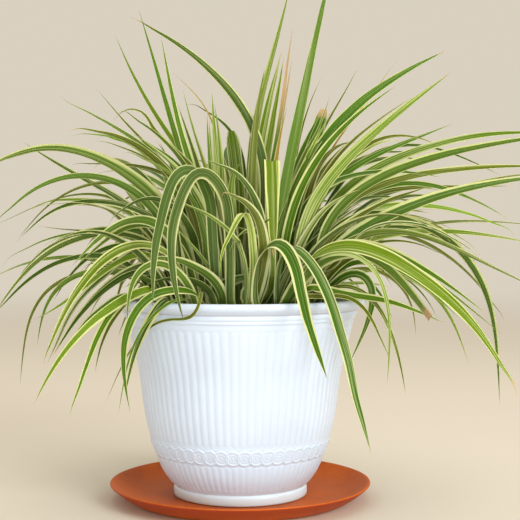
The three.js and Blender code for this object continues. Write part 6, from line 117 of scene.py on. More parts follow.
        (165.8, 'g', 0.31, 0.30, 0, 0, 0, [-30.9, 12.4, 176, -9.9, 3, -31.7, 12.7, 184, -10.6, 3, -35, 13.8, 195.5, -13.2, 4.27, -38.5, 15, 202.6, -15.3, 4.52, -45.1, 17.8, 212.3, -18.9, 4.88, -54.7, 23.9, 223.7, -24, 5.33, -62.6, 27.7, 231.9, -28.1, 5.65, -80.9, 30.4, 253.1, -37.6, 5.72, -86.6, 31.6, 258.7, -39.5, 5.72, -93.1, 33.2, 263, -40.9, 5.72, -96.7, 34.5, 264.4, -41.4, 5.72, -103.7, 37.9, 266.1, -42.1, 5.71, -114.3, 43.7, 266.8, -42.6, 5.61, -121.9, 46.4, 267.1, -42.7, 5.5, -137.6, 49.6, 268.1, -42.8, 5.19, -149.4, 51.8, 267.9, -42.8, 4.9, -168.9, 55.6, 264.8, -42.6, 4.3, -184, 58.3, 259.8, -42.4, 3.73, -198.1, 60.8, 252.6, -42, 3.07, -214.3, 63.1, 240.9, -41.4, 2.16, -228.2, 64.6, 226.5, -40.7, 1.13, -239.9, 65.5, 210.2, -40.2, 0]),
        (132.3, 'g', 0.11, 0.11, 0, 0, 0, [-32.1, 12.8, 176, -0.1, 2.91, -32.1, 12.8, 179.5, -0.2, 3, -37.2, 15.2, 195.9, -0.5, 3.73, -43.1, 17.6, 212.1, -0.8, 4.23, -48.8, 20.8, 224.3, -1, 4.61, -53.1, 25.2, 232.7, -1.1, 4.85, -60.7, 35.4, 244.6, -1.2, 4.85, -69.4, 46.6, 254.6, -1.2, 4.85, -79.4, 58.1, 262.9, -1.1, 4.79, -90.2, 70.3, 268.9, -0.7, 4.54, -99.1, 80.6, 271.8, -0.4, 4.24, -107.9, 91.3, 272.5, 0.1, 3.86, -114.5, 99.3, 271.2, 0.5, 3.53, -123.1, 109.4, 267.4, 1.1, 3.03, -131.5, 118.9, 261.6, 1.9, 2.46, -139.1, 127.8, 254.2, 2.6, 1.83, -154.2, 146.6, 234.2, 4.3, 0.2, -155.2, 148.1, 231.3, 4.3, 0]),
        (111.7, 'd', 0.03, 0.03, 0, 0, 0, [-34, 16.5, 176, 0.5, 2.64, -34.1, 18.4, 182.2, 1, 3, -34.4, 22.1, 189.6, 2.1, 3.67, -34.9, 30.9, 199.5, 3.4, 4.35, -35.8, 34.8, 204.8, 3.9, 4.41, -37.8, 37.2, 212.4, 4.1, 4.41, -40.2, 39.1, 221.8, 3.8, 4.38, -41.7, 41.4, 229.6, 3, 4.18, -42.4, 44.8, 237.1, 1.9, 3.85, -42.7, 49.6, 243.8, 0.2, 3.41, -43.3, 55.5, 249.6, -1.8, 2.87, -45, 59.8, 254.3, -3.7, 2.37, -51, 66.1, 264.2, -8.1, 1.2, -56, 71.8, 272.9, -11.2, 0]),
        (177.1, 'g', 0.20, 0.20, 0, 0, 0, [-34.6, 12.4, 176, -14.8, 2.34, -35, 10.6, 196.7, -18.5, 2.91, -35.4, 10.3, 209.2, -22.5, 3.17, -37.8, 13.3, 242.3, -34.6, 3.78, -40.9, 13.8, 262.9, -42.7, 3.91, -44.9, 13.6, 279.1, -47.5, 3.91, -49, 13.5, 290.9, -48.8, 3.91, -54.2, 13.5, 302.2, -48.8, 3.9, -60.5, 13.8, 313, -48.5, 3.83, -67.7, 14.2, 323.2, -48, 3.7, -78.7, 14.8, 335.7, -47.4, 3.48, -87.8, 15.3, 344.2, -46.9, 3.27, -100.8, 16, 354.7, -46.2, 2.93, -125.1, 17.2, 370.7, -44.8, 2.21, -154.2, 18.6, 386.9, -43, 1.2, -179.9, 19.8, 400.6, -41.7, 0.16, -183, 20, 403.4, -41.6, 0]),
        (151.2, 'g', 0.16, 0.16, 0, 0, 0, [-29.4, 11.7, 176, -10.5, 1.34, -29.4, 11.7, 179.7, -10.7, 1.43, -31.5, 16.2, 197.6, -14.1, 1.72, -32.8, 18, 208.5, -17.1, 1.86, -37.8, 19.7, 241.4, -27.6, 2.23, -42.8, 21.6, 263, -34.6, 2.23, -47.1, 23.7, 277, -37, 2.23, -52.5, 26.7, 290.5, -38.1, 2.22, -59.1, 30.3, 303.3, -39.2, 2.15, -64.7, 33.4, 312.4, -40.2, 2.06, -73.2, 38, 323.6, -41.7, 1.91, -85.1, 44.5, 336.2, -44.1, 1.68, -95.6, 50.1, 345.1, -46.5, 1.45, -106.8, 56.1, 352.7, -49.3, 1.2, -118.8, 62.3, 358.7, -52, 0.92, -131.6, 68.8, 362.6, -53.5, 0.61, -151.2, 78.7, 366.1, -54.1, 0.09, -153.8, 80, 363.9, -54.2, 0]),
    ]),
    'leaf_fan_front_right_01': (15.8, -33.8, [
        (-69.3, 'l', 0.26, 0.26, 0, 0, 1, [14.4, -36.2, 176, -3.5, 3, 14.4, -36.2, 183.6, -3.8, 3, 15.8, -36, 191.1, -4.4, 4.02, 19.8, -35.6, 197.5, -5.1, 4.13, 25.2, -35.9, 202.9, -5.9, 4.25, 27.5, -36.6, 205.9, -6.3, 4.3, 29.1, -37.6, 209.4, -6.7, 4.36, 29.7, -39, 213.1, -7.1, 4.42, 30.1, -44.3, 224.8, -8.1, 4.59, 30.2, -44.8, 228.6, -8.4, 4.65, 30.2, -44.1, 232.4, -8.7, 4.7, 30.4, -41, 239.9, -9.3, 4.82, 30.4, -40.3, 243.7, -9.6, 4.88, 30.3, -44.1, 258.9, -10.8, 5.14, 30.3, -43.9, 262.7, -11, 5.23, 30.3, -40.5, 278, -11.3, 5.58, 30.3, -39.9, 289.4, -11, 5.85, 30.4, -40.8, 323.8, -5.8, 6.65, 30.9, -41.2, 335.2, -1.6, 7.87, 31.4, -43.3, 337.2, 0, 8.41, 31.4, -45.3, 333.9, 1.7, 8.26, 31.6, -48.8, 327.1, 5.1, 7.97, 31.6, -58.9, 302.3, 12.9, 6.59, 31.7, -60.5, 295.1, 14.1, 6.1, 31.9, -60.2, 280.6, 15.7, 5.16, 31.9, -61.1, 277, 16.1, 4.94, 31.9, -63.1, 273.4, 16.5, 4.71, 32, -72.7, 262.5, 17.5, 3.74, 32.2, -78.1, 255.2, 18.3, 2.49, 32.3, -81.8, 247.9, 18.9, 1.25, 32.4, -84, 240.6, 19.2, 0]),
        (-43.5, 'd', 0.10, 0.10, 0, 0, 0, [14.1, -32.1, 176, 0.1, 3, 14.9, -32.2, 185.5, 0.4, 3.11, 16.1, -32.5, 194.9, 0.8, 4.84, 18.2, -34.2, 207.9, 1.5, 5.6, 19.3, -36.5, 215.1, 2.1, 5.67, 19.8, -40.1, 223.9, 2.9, 5.67, 19, -44.9, 234.2, 4.1, 5.64, 19.7, -47.3, 239.3, 4.7, 5.51, 22.2, -48.6, 244.3, 5.5, 5.31, 29.9, -50.1, 255.1, 7.6, 4.63, 35.9, -51.2, 269, 10.4, 3.54, 40, -54.8, 281.1, 13.1, 2.33, 43.5, -59, 291.2, 15.6, 1.12, 46.3, -62.8, 299.4, 17, 0]),
        (-10.6, 'd', 0.31, 0.30, 0, 0, 0, [19, -34.4, 176, 0.1, 3, 19, -34.4, 177.6, 0.1, 3, 20.9, -37.2, 185.1, 0.4, 3.18, 22.8, -39.6, 190.9, 0.7, 4.59, 26, -42.3, 197.9, 1.2, 5.11, 29.9, -44.3, 204.8, 1.7, 5.38, 34, -46.1, 211.7, 2.4, 5.38, 37.7, -47, 218.9, 3.2, 5.38, 41.2, -48.4, 226.2, 4.2, 5.23, 46.1, -50, 234.5, 5.7, 4.8, 50, -50.3, 239.8, 6.7, 4.4, 56.6, -49.8, 247, 8.5, 3.65, 63.7, -47.7, 253.5, 10.6, 2.73, 70.9, -45.6, 259.8, 12.7, 1.65, 80.6, -46, 268.5, 15, 0]),
        (-132.6, 'd', 0.10, 0.36, 0, 0, 0, [13.6, -36.1, 176, 8.4, 2.57, 13.6, -36.1, 178.7, 8.6, 2.74, 15.7, -39.2, 191.8, 12.7, 3.29, 17.8, -42.7, 204.7, 18.3, 3.74, 21.2, -49.4, 225.1, 28, 4.28, 23.2, -56.1, 242.8, 35.6, 4.28, 23.5, -57, 250.9, 37.5, 4.28, 22.8, -57.3, 267.1, 39.9, 4.16, 21.2, -58.4, 277.8, 41.4, 3.95, 18.5, -60.4, 288.1, 43.1, 3.67, 14.6, -63, 297.9, 45, 3.31, 9.6, -65.9, 307.1, 47.4, 2.9, 3.3, -69.2, 315.3, 50.6, 2.43, -2.3, -71.9, 320.6, 53.6, 2.04, -8.7, -74.8, 324.7, 57.3, 1.61, -18.1, -78.9, 328.1, 62.5, 1.01, -30.4, -84.2, 330.2, 65.5, 0.18, -31.3, -85, 327.8, 65.6, 0]),
    ]),
    'leaf_fan_back_right_01': (11.7, 37.3, [
        (51.9, 'p', 0.20, 0.20, 0, 0, 0, [9.3, 34.3, 176, 5.8, 3, 9.3, 34.3, 180, 5.8, 3, 9.9, 37.9, 191.5, 5.9, 4.35, 11.6, 48.7, 221.8, 7.1, 5.38, 12.1, 50.4, 229.7, 7.6, 5.62, 12.7, 49.7, 237.7, 8.2, 5.84, 14.3, 42.9, 256.6, 10, 6.03, 15.1, 42.3, 264.6, 10.7, 6.03, 16.4, 43.9, 276.5, 11.1, 6.03, 21, 52, 311.5, 9.1, 5.86, 26.6, 59.8, 346.4, 7.2, 5.05, 32.7, 66.7, 381.4, 5.9, 3.76, 39, 73.3, 416.4, 5.3, 2.07, 45.2, 80, 451.4, 5.1, 0]),
        (112.0, 'd', 0.38, 0.34, 0, 0, 0, [9.3, 39.7, 176, 0.7, 3, 9.3, 39.7, 177.9, 0.8, 3, 7.6, 44.5, 192.4, 3.2, 4.64, 5.6, 49.7, 208.8, 5.8, 5.58, 4, 53.9, 223.4, 6.9, 5.58, 2.7, 57.4, 236.3, 6.7, 5.51, 1.4, 61, 247.2, 5.6, 5.14, -0, 64, 256.2, 4, 4.67, -1.9, 68, 266.8, 1.3, 3.92, -3.9, 72.7, 277.1, -2.2, 2.99, -6.7, 79.6, 290.5, -7.7, 1.51, -9.4, 86, 302.1, -11.5, 0]),
        (55.9, 'g', 0.39, 0.42, 0, 0, 0, [11.1, 36.4, 176, -0, 3, 11.1, 36.5, 179.7, -0, 3, 19, 49.8, 200.2, -0.1, 4.31, 24.3, 57.5, 211.5, -0.2, 4.74, 32.5, 66.7, 225.1, -0.3, 5.23, 44.2, 77.5, 240.3, -0.6, 5.31, 56, 85.1, 252.1, -0.9, 5.31, 63.5, 90.6, 258.1, -1.1, 5.29, 70.1, 98.4, 262.9, -1.4, 5.2, 76.6, 110.5, 267.8, -1.8, 4.97, 82.6, 123.1, 271, -2.2, 4.64, 91.7, 139.2, 273.2, -2.9, 4.11, 103.3, 157.9, 274.1, -3.8, 3.31, 110.7, 170.6, 273.3, -4.4, 2.69, 117.5, 183.4, 271.5, -5.1, 2, 131.5, 212.6, 264.5, -6.6, 0.22, 132.7, 215.7, 263, -6.6, 0]),
        (39.3, 'o', 0.37, 0.42, 0, 0, 0, [14.2, 39.3, 176, -0.4, 2.96, 14.2, 39.3, 179.7, -0.4, 3, 20, 49.7, 193.6, -1.2, 3.79, 25.4, 57.1, 205, -1.9, 4.21, 31.8, 64.3, 216, -2.6, 4.6, 36.9, 70.4, 223.6, -3, 4.87, 43.3, 75.6, 230.8, -3.5, 4.94, 49, 77.4, 235.1, -3.7, 4.94, 55.4, 78.1, 238.4, -3.9, 4.94, 72.8, 77.5, 244.2, -4.4, 4.94, 79.8, 77.9, 246.4, -4.5, 4.93, 86.2, 80.5, 248.7, -4.6, 4.87, 89, 82.7, 249.7, -4.6, 4.84, 93.7, 88.1, 251.4, -4.7, 4.74, 101.2, 100.6, 253.2, -4.7, 4.48, 109, 113.1, 252.8, -4.6, 4.13, 117.9, 124.4, 250.2, -4.3, 3.71, 127.6, 134.3, 245.6, -4, 3.21, 137.4, 142.9, 239.1, -3.5, 2.65, 149.3, 152.2, 228.7, -2.9, 1.86, 168.6, 166.2, 206, -1.6, 0.2, 170.1, 167.1, 202.8, -1.6, 0]),
    ]),
    'leaf_fan_upright_08': (-35.3, -20.4, [
        (-162.6, 'o', 0.15, 0.15, 0, 0, 0, [-38.3, -21.4, 176, 13.1, 2.81, -38.2, -22.5, 201.9, 18, 3.69, -38.5, -23.2, 227.9, 26.6, 4.35, -39.5, -23.8, 246.4, 33.6, 4.68, -41.3, -24.4, 261.1, 39, 4.68, -44.4, -25.3, 275.6, 42.1, 4.68, -49, -26.7, 289.6, 42.8, 4.67, -53.5, -28.1, 299.7, 43.1, 4.58, -61, -30.4, 312.3, 43.5, 4.38, -69.8, -33, 323.9, 44.3, 4.09, -82.5, -36.8, 336.9, 45.5, 3.62, -93.8, -40.1, 345.9, 46.7, 3.17, -106.2, -43.7, 353.3, 48.2, 2.65, -119.5, -47.6, 358.5, 49.7, 2.07, -133.4, -51.8, 361.3, 51.1, 1.44, -158.3, -59.1, 362.3, 52.7, 0.19, -161.3, -60, 360.4, 52.8, 0]),
        (-84.9, 'g', 0.31, 0.29, 0, 0, 0, [-32.6, -21.4, 176, -0.5, 2.05, -31.2, -22.5, 199.2, -0.6, 2.78, -29.6, -23.3, 219.5, -1, 3.25, -27.8, -24, 242.7, -1.4, 3.42, -26.8, -24.5, 260.2, -1.7, 3.42, -26.5, -25, 274.7, -1.9, 3.35, -27.2, -26.1, 300.9, -2.4, 2.93, -28.5, -27.1, 321.2, -3.1, 2.41, -29.9, -28, 341.5, -3.9, 1.73, -31.1, -29, 361.9, -4.8, 0.93, -31.8, -30, 382.2, -5.5, 0]),
    ]),
    'leaf_fan_right_01': (41.4, -9.1, [
        (13.0, 'b', 0.15, 0.15, 0, 0, 0, [40.4, -9.3, 176, 18.2, 3, 40.4, -9.3, 181, 18.6, 3, 41.5, -7.6, 195.7, 22.2, 4.76, 42.1, -7.1, 205.6, 25.7, 5.06, 45.3, -7.6, 240.1, 40.2, 6.01, 48, -7.4, 259.7, 49.2, 6.5, 51.7, -5.7, 279.1, 58.3, 6.59, 58.3, -2, 302.7, 66.6, 6.59, 69.3, 3.8, 329.7, 69.5, 6.55, 76.3, 4.5, 342.8, 70.1, 6.4, 84.1, 2.4, 355.3, 70.7, 6.17, 89.9, 1.4, 363.2, 71, 5.98, 99.3, 2.7, 374.7, 71.5, 5.64, 116.3, 8.4, 391.9, 72, 4.95, 131.1, 12.6, 404.3, 71.6, 4.29, 146.9, 16.3, 415.7, 70.6, 3.54, 163.4, 19.9, 426.2, 69.4, 2.71, 184.6, 24.5, 438.1, 67.7, 1.55, 210.6, 30, 451.3, 66.2, 0]),
        (20.4, 'g', 0.20, 0.38, 0, 0, 0, [37.8, -10.4, 176, 11.1, 3, 37.8, -10.4, 179.6, 11.2, 3, 37.9, -7.9, 194, 12.5, 4.02, 38, -7.4, 204.9, 14.1, 4.38, 38.1, -9, 215.7, 16.1, 4.71, 38.7, -13.9, 236.9, 21.1, 5.33, 39.1, -14.1, 244.2, 23, 5.4, 41.6, -12.7, 265.8, 27.5, 5.4, 45.1, -12.7, 283.7, 27.5, 5.4, 49, -12.6, 297.7, 26.7, 5.29, 53.9, -13.4, 311.4, 26.1, 5.05, 59.8, -14.4, 324.6, 25.8, 4.72, 64.8, -13.4, 334.2, 25.7, 4.41, 69.9, -9.3, 342.9, 25.9, 4.05, 73.1, -5.1, 347.9, 26.2, 3.79, 81.1, 7.3, 359.2, 27.3, 3.06, 84.9, 10.9, 364.2, 27.9, 2.74, 89.4, 13, 369.5, 28.5, 2.39, 101.5, 15.3, 382.8, 30.3, 1.47, 116.8, 19, 398, 32.2, 0.22, 119.8, 20, 399.8, 32.3, 0]),
        (6.8, 'b', 0.22, 0.22, 0, 0, 0, [44.6, -8.7, 176, 14.1, 2.64, 44.6, -8.7, 179.8, 14.4, 2.82, 44.7, -6.9, 183.1, 14.8, 2.95, 45.2, 0.4, 200.7, 19.4, 3.48, 45.6, 2.7, 211.8, 23.1, 3.76, 46.2, 1.6, 223.1, 27.2, 4.02, 47.9, -3.6, 241.3, 34.7, 4.41, 49, -4.5, 248.7, 37.9, 4.41, 50.5, -4.4, 256.2, 41, 4.41, 54.6, -3.5, 270.7, 45.5, 4.41, 59, -3.1, 281.2, 46.8, 4.41, 67, -2.3, 294.1, 47.5, 4.35, 74.6, -1.5, 302.5, 47.9, 4.23, 83.5, -0.9, 309.6, 48.6, 4.06, 96.8, -0.1, 316.9, 49.7, 3.77, 111.1, 0.8, 321.8, 51, 3.41, 125.9, 2, 324.8, 52.7, 2.98, 141, 3.4, 326.2, 54.6, 2.5, 159.8, 5.4, 326.2, 57.3, 1.81, 182.4, 7.9, 324.1, 60.9, 0.87, 201, 10, 320.9, 62.9, 0]),
        (10.3, 'p', 0.18, 0.18, 0, 0, 0, [41.8, -9, 176, 15, 1.9, 41.8, -9, 179.3, 15.4, 2.03, 41.7, -0.3, 204, 27.3, 2.64, 41.7, 1.8, 213.6, 32.9, 2.83, 41.7, 1.1, 220.1, 36.8, 2.95, 41.7, -0.3, 223, 38.8, 3.01, 41.7, -8.6, 233.6, 46.7, 3.17, 41.8, -10.9, 239.8, 50.5, 3.17, 42.1, -10.8, 246.3, 54, 3.17, 43.9, -8.7, 265.7, 59.3, 3.17, 47.9, -7.3, 288.3, 60.3, 3.05, 52.3, -5.8, 304, 60.2, 2.83, 58.9, -2.3, 322.2, 59.3, 2.45, 61.4, -2.4, 328.2, 58.8, 2.31, 63.8, -5, 333.7, 58.3, 2.15, 68, -13.9, 343, 57.1, 1.8, 69.3, -15.3, 345.7, 56.8, 1.7, 70.8, -15.6, 348.6, 56.5, 1.61, 73.6, -13.7, 354.2, 55.8, 1.41, 82, -4.6, 369.7, 53.8, 0.75, 89.6, -0.2, 383.6, 52.3, 0.13, 91.5, -0, 386.2, 52.2, 0]),
    ]),
    'leaf_fan_back_left_02': (-25.3, 35.9, [
        (118.2, 'o', 0.38, 0.33, 0, 0, 0, [-26.8, 38.7, 176, -0.5, 3, -26.8, 38.8, 179.9, -0.6, 3, -36.6, 55.9, 204.5, -2.2, 4.88, -42, 66.1, 215.3, -3.1, 5.35, -50, 79.4, 227.6, -3.9, 5.86, -58.6, 88.8, 236.7, -4.3, 5.86, -68.8, 98.3, 244, -4.4, 5.86, -74.1, 103.6, 246.5, -4.4, 5.86, -78.8, 109.5, 248.2, -4.3, 5.86, -83.9, 119.6, 249.9, -4, 5.79, -86, 127.3, 250.8, -3.7, 5.69, -88.1, 139.8, 252, -3.1, 5.49, -90.4, 151.7, 251.8, -2.3, 5.22, -93.8, 162.3, 249.3, -1.3, 4.91, -103.6, 186.2, 240.3, 1.5, 3.97, -109.9, 199.1, 233.8, 3.6, 3.32, -118.1, 213.7, 223.4, 6.4, 2.41, -127.8, 229.4, 208.6, 10.1, 1.16, -134.1, 239.3, 198.1, 12, 0.24, -135.4, 241.3, 194.9, 12.2, 0]),
        (107.8, 'g', 0.07, 0.07, 0, 0, 0, [-25, 35, 176, 0.4, 3, -25, 35, 180.3, 0.4, 3, -33.8, 49.3, 215.1, 1.8, 4.83, -40.1, 58.7, 233.4, 2.5, 5.38, -45.1, 68.4, 246.6, 3, 5.66, -49.4, 80.5, 258.1, 3.3, 5.66, -54.2, 97.7, 270.1, 3.5, 5.66, -58, 112.9, 277.6, 3.5, 5.63, -62.2, 129.1, 282.6, 3.3, 5.44, -64.9, 137.2, 283.9, 3.1, 5.3, -68.1, 145, 284.3, 2.9, 5.14, -75, 160.3, 282.3, 2.3, 4.74, -82.1, 179.7, 276.7, 1.4, 4.12, -86.4, 195, 270.2, 0.4, 3.53, -89.5, 209.6, 261.6, -0.7, 2.87, -91.8, 223.2, 251.3, -1.9, 2.13, -93.4, 235.7, 239.7, -3.2, 1.33, -95, 250.6, 224.3, -4.5, 0.23, -95, 252.7, 220.5, -4.6, 0]),
        (131.5, 'b', 0.37, 0.34, 0, 0, 0, [-28.1, 38.7, 176, -1.9, 3, -28.3, 38.9, 184.3, -1.9, 3, -29.4, 40, 192.4, -2.1, 4.12, -33.6, 44.4, 204.8, -2.5, 4.69, -37.8, 48.9, 217.2, -3.1, 5.2, -40, 51.2, 227.8, -3.7, 5.37, -40.7, 54, 235.5, -4.2, 5.37, -41.8, 57.4, 239.7, -4.4, 5.37, -45.5, 62, 245.5, -4.5, 5.37, -49.9, 64.9, 251.8, -4.4, 5.36, -56.8, 69.3, 263, -4, 5.16, -63.3, 76.2, 276.6, -3.4, 4.69, -68.6, 82.2, 287.8, -3.1, 4.16, -77.2, 92.3, 301.9, -3.5, 3.2, -81.4, 100.1, 308.4, -4.3, 2.55, -83.5, 104.9, 310.3, -4.8, 2.2, -88.2, 111.4, 312.1, -5.4, 1.65, -94.1, 116.7, 314.7, -5.8, 1.06, -103.9, 124.5, 320.4, -5.8, 0]),
        (126.3, 'b', 0.27, 0.23, 0, 0, 0, [-26.4, 35.1, 176, -1.9, 3, -26.4, 35.2, 179.9, -1.9, 3, -28, 38.2, 191.1, -1.5, 3.64, -32.6, 46.8, 212.1, -0.9, 4.31, -33.3, 48.9, 218.8, -0.9, 4.51, -32.8, 49.6, 225.8, -1, 4.7, -31.6, 49, 238.1, -1.4, 4.98, -32.7, 49.7, 246.7, -1.8, 5.05, -34, 50.8, 250.6, -2, 5.05, -39.7, 56, 260.1, -2.8, 5.05, -53.1, 68.1, 275.4, -3.4, 5.05, -61.7, 81.6, 293, -3.6, 4.9, -66.7, 88.5, 301, -4.1, 4.73, -73.5, 99, 310.4, -5.5, 4.41, -80.6, 110.3, 318.6, -7.7, 4.02, -88.7, 121.9, 325.4, -10.6, 3.55, -97.4, 133.7, 330.8, -14.1, 3.01, -106.5, 145.9, 334.7, -18, 2.4, -115.9, 158.2, 337.1, -21.5, 1.73, -125.4, 170.6, 338, -23.9, 1, -137.4, 186.1, 337.3, -25.7, 0]),
        (151.1, 'p', 0.10, 0.10, 0, 0, 0, [-24.5, 38, 176, -11.1, 1.98, -24, 36, 209.2, -17, 2.61, -24.4, 38.9, 232.7, -23.6, 2.95, -25.7, 42.3, 251.4, -29.3, 3.2, -28.2, 45.4, 270, -35.3, 3.3, -32.6, 48.1, 288.3, -40.7, 3.3, -37.1, 50.4, 301.6, -43.3, 3.3, -44.7, 54, 318.6, -45, 3.29, -53.9, 58.2, 334.8, -46, 3.2, -71.6, 66.5, 361.6, -46.9, 2.89, -89.6, 75.3, 388.2, -46.6, 2.4, -106.3, 83.8, 415.6, -45.4, 1.77, -121.3, 91.7, 444.2, -43.8, 1.01, -136.7, 100, 478, -42.2, 0]),
        (131.8, 'y', 0.19, 0.19, 0, 0, 0, [-22.7, 33.1, 176, -5.8, 1.09, -22.7, 33.1, 180, -5.7, 1.16, -22.7, 40, 198.7, -5.7, 1.39, -22.6, 42.8, 210.3, -5.9, 1.51, -22.1, 47, 241.8, -7.6, 1.79, -21.8, 51, 269.4, -9.7, 1.81, -21.6, 54.7, 293, -9, 1.81, -21.7, 58.9, 316.5, -7.9, 1.74, -22.9, 64.5, 343.8, -8.1, 1.55, -25.6, 68.8, 363.1, -9.5, 1.36, -28.4, 71.5, 374.3, -11, 1.23, -32.3, 74.2, 385.3, -12.9, 1.08, -41.6, 78.9, 402.2, -16.7, 0.8, -53.8, 83.6, 417.2, -20.8, 0.49, -73.5, 90, 435.8, -24.9, 0]),
    ]),
    'leaf_fan_upright_09': (35.9, 30.2, [
        (46.7, 'b', 0.10, 0.10, 0, 1, 0, [36.5, 32, 176, 9.3, 3, 36.5, 32, 185.9, 10, 3.2, 37.4, 33.7, 198.9, 12.2, 6.06, 39.4, 37.5, 211.4, 15.1, 6.91, 42.7, 42.4, 233.7, 21.2, 7.92, 46, 46.9, 252.8, 26.4, 7.92, 50, 51.6, 271.6, 27.7, 7.92, 54.6, 56.4, 290.3, 27.6, 7.8, 58.9, 60.5, 305.7, 27.6, 7.71, 66.7, 67.2, 330.1, 28, 7.55, 74.6, 74.1, 354.4, 28.6, 7.4, 82.2, 81, 378.8, 29.6, 7.18, 85, 83.6, 387.9, 30, 6.22, 88.1, 86.3, 396.9, 30.3, 3.57]),
        (16.5, 'p', 0.34, 0.33, 0, 0, 0, [38, 31, 176, 16.7, 2.68, 38.9, 31.1, 190.1, 19.8, 3.23, 40.7, 31.5, 200.5, 24.1, 3.53, 46.4, 33.9, 224.5, 36.2, 4.16, 49.4, 36.3, 238.3, 43.9, 4.47, 52.3, 37.8, 248.4, 49.8, 4.47, 58.5, 38.9, 264.7, 57, 4.47, 62.6, 40.8, 274.3, 58.6, 4.47, 71.7, 45.7, 292.8, 60, 4.34, 81, 49.1, 307.4, 61.4, 4.06, 89.5, 51.6, 318.4, 62.8, 3.74, 99.1, 53.1, 328.6, 64.4, 3.36, 112.5, 54.6, 340, 66.7, 2.79, 127, 56.9, 349.8, 69, 2.13, 139.1, 59.8, 356.5, 70.2, 1.53, 148.6, 62.4, 360.3, 70.8, 1.05, 158.4, 65.5, 362.1, 71.2, 0.54, 168.4, 68.9, 361.6, 71.5, 0]),
        (50.5, 'o', 0.23, 0.23, 0, 0, 0, [33.4, 27.3, 176, 7.2, 1.29, 33.4, 27.3, 179.8, 7.4, 1.38, 36, 32.3, 205.7, 11.9, 1.75, 38.5, 36.9, 227.7, 17.1, 2, 40.9, 41, 246, 21.5, 2.15, 44.7, 47, 271.5, 26.2, 2.15, 48.9, 53.3, 296.9, 26.5, 2.12, 53.2, 59.8, 322.2, 25.8, 1.95, 57.8, 66.4, 347.5, 24.6, 1.67, 62.5, 72.2, 368.9, 23.4, 1.34, 68.5, 78.1, 389.9, 22.2, 0.95, 76.1, 84, 410.5, 21, 0.51, 85.1, 90, 430.5, 20.2, 0]),
        (14.2, 'y', 0.22, 0.22, 0, 0, 0, [38.1, 28.5, 176, 14.1, 0.81, 38.1, 28.5, 180.3, 14.5, 0.86, 40.9, 29.1, 197.2, 18.9, 1, 47.2, 33.2, 230.6, 32.5, 1.23, 49, 32.6, 239, 36.3, 1.28, 53.9, 28, 259.3, 45.8, 1.34, 56.2, 27.2, 267.5, 49.4, 1.34, 60, 28.6, 279.7, 53.8, 1.34, 67.2, 33.6, 299.3, 57.5, 1.34, 72.1, 36.1, 310.9, 58.7, 1.33, 83.4, 40, 333.6, 60.8, 1.24, 99.1, 44.4, 358.9, 63.2, 1.07, 119.1, 49.4, 386.2, 65.3, 0.8, 139.7, 54.4, 413.1, 67, 0.46, 160, 59.3, 440.4, 68.7, 0.06, 163, 60, 443.3, 68.7, 0]),
    ]),
    'leaf_fan_left_01': (-48.3, 2, [
        (158.8, 'd', 0.36, 0.29, 0, 0, 0, [-49.4, 0.1, 176, -10.6, 3, -49.4, 0.1, 180, -10.7, 3, -57.1, 5.5, 206.2, -13.6, 4.26, -62.3, 7.5, 221.2, -16.4, 4.69, -66.6, 6.6, 232.2, -19, 4.99, -73.1, 4, 246.6, -23.1, 5.25, -75, 4.3, 250, -24.2, 5.25, -79, 6.6, 256.5, -26.4, 5.25, -87.6, 14, 267.9, -29.7, 5.25, -94.9, 19.1, 275.9, -30.7, 5.25, -103, 23.3, 283.6, -31.2, 5.22, -111.8, 26.8, 290.8, -31.7, 5.1, -124.3, 31.3, 299.6, -32.4, 4.84, -144, 38.3, 311.2, -33.9, 4.29, -167.4, 46.9, 323.7, -35.7, 3.42, -190.6, 55.6, 336.4, -37.7, 2.33, -210.2, 62.8, 348, -39.8, 1.23, -229.6, 70, 360, -41.4, 0]),
        (-148.6, 'g', 0.37, 0.35, 0, 0, 0, [-49.2, 2.2, 176, -10.3, 2.85, -50.2, 1.4, 183.2, -10.7, 3, -52.7, 0.1, 189.9, -11.5, 3.65, -57.4, -1.2, 195, -12.8, 3.95, -61.8, -2.3, 197, -13.8, 4.15, -66.1, -4.6, 198.1, -15, 4.33, -69.8, -7.9, 198.7, -16.3, 4.51, -78.9, -19, 201.6, -20.9, 4.75, -89.6, -28.5, 204.8, -23.1, 4.75, -101.6, -37.1, 205.6, -21.4, 4.69, -114, -44.9, 204.6, -18.7, 4.38, -119.9, -48.5, 202.3, -17.2, 4.15, -125.4, -51.6, 198.6, -15.9, 3.88, -136.2, -57.2, 190.2, -14.5, 3.22, -144.6, -61, 182.2, -14.3, 2.55, -154.6, -64.9, 168.8, -15, 1.46, -163.2, -67.4, 151.4, -16.3, 0]),
        (165.3, 'd', 0.31, 0.26, 0, 0, 0, [-47.3, 1.7, 176, -12.6, 2.66, -47.3, 1.7, 179.1, -12.8, 2.83, -50.6, 1.4, 191.3, -15.7, 3.3, -56.6, 0.8, 209.1, -22.6, 3.86, -60.4, -0.2, 217.7, -26.8, 4.12, -64.8, -2.6, 225.7, -31.4, 4.37, -68.2, -3.7, 230.9, -34.8, 4.43, -70.2, -3.4, 233.3, -36.6, 4.43, -72.2, -2.5, 235.5, -38.3, 4.43, -76.1, 1, 239.2, -41.8, 4.43, -82.1, 7.3, 243.3, -46, 4.43, -86.7, 10.7, 245.8, -48, 4.43, -94.7, 14.3, 249.1, -49.8, 4.42, -106.5, 17.7, 251.9, -51.2, 4.3, -118.7, 20.7, 252.6, -52.3, 4.08, -130.8, 23.6, 251, -53.6, 3.79, -142.4, 26.5, 247.2, -55.1, 3.43, -153.2, 29.2, 241.5, -56.8, 3, -163.1, 31.7, 234.1, -58.8, 2.51, -174, 34.6, 223.2, -61.5, 1.82, -183.5, 37.2, 210.9, -64.5, 1.04, -193.4, 40, 195.2, -67, 0]),
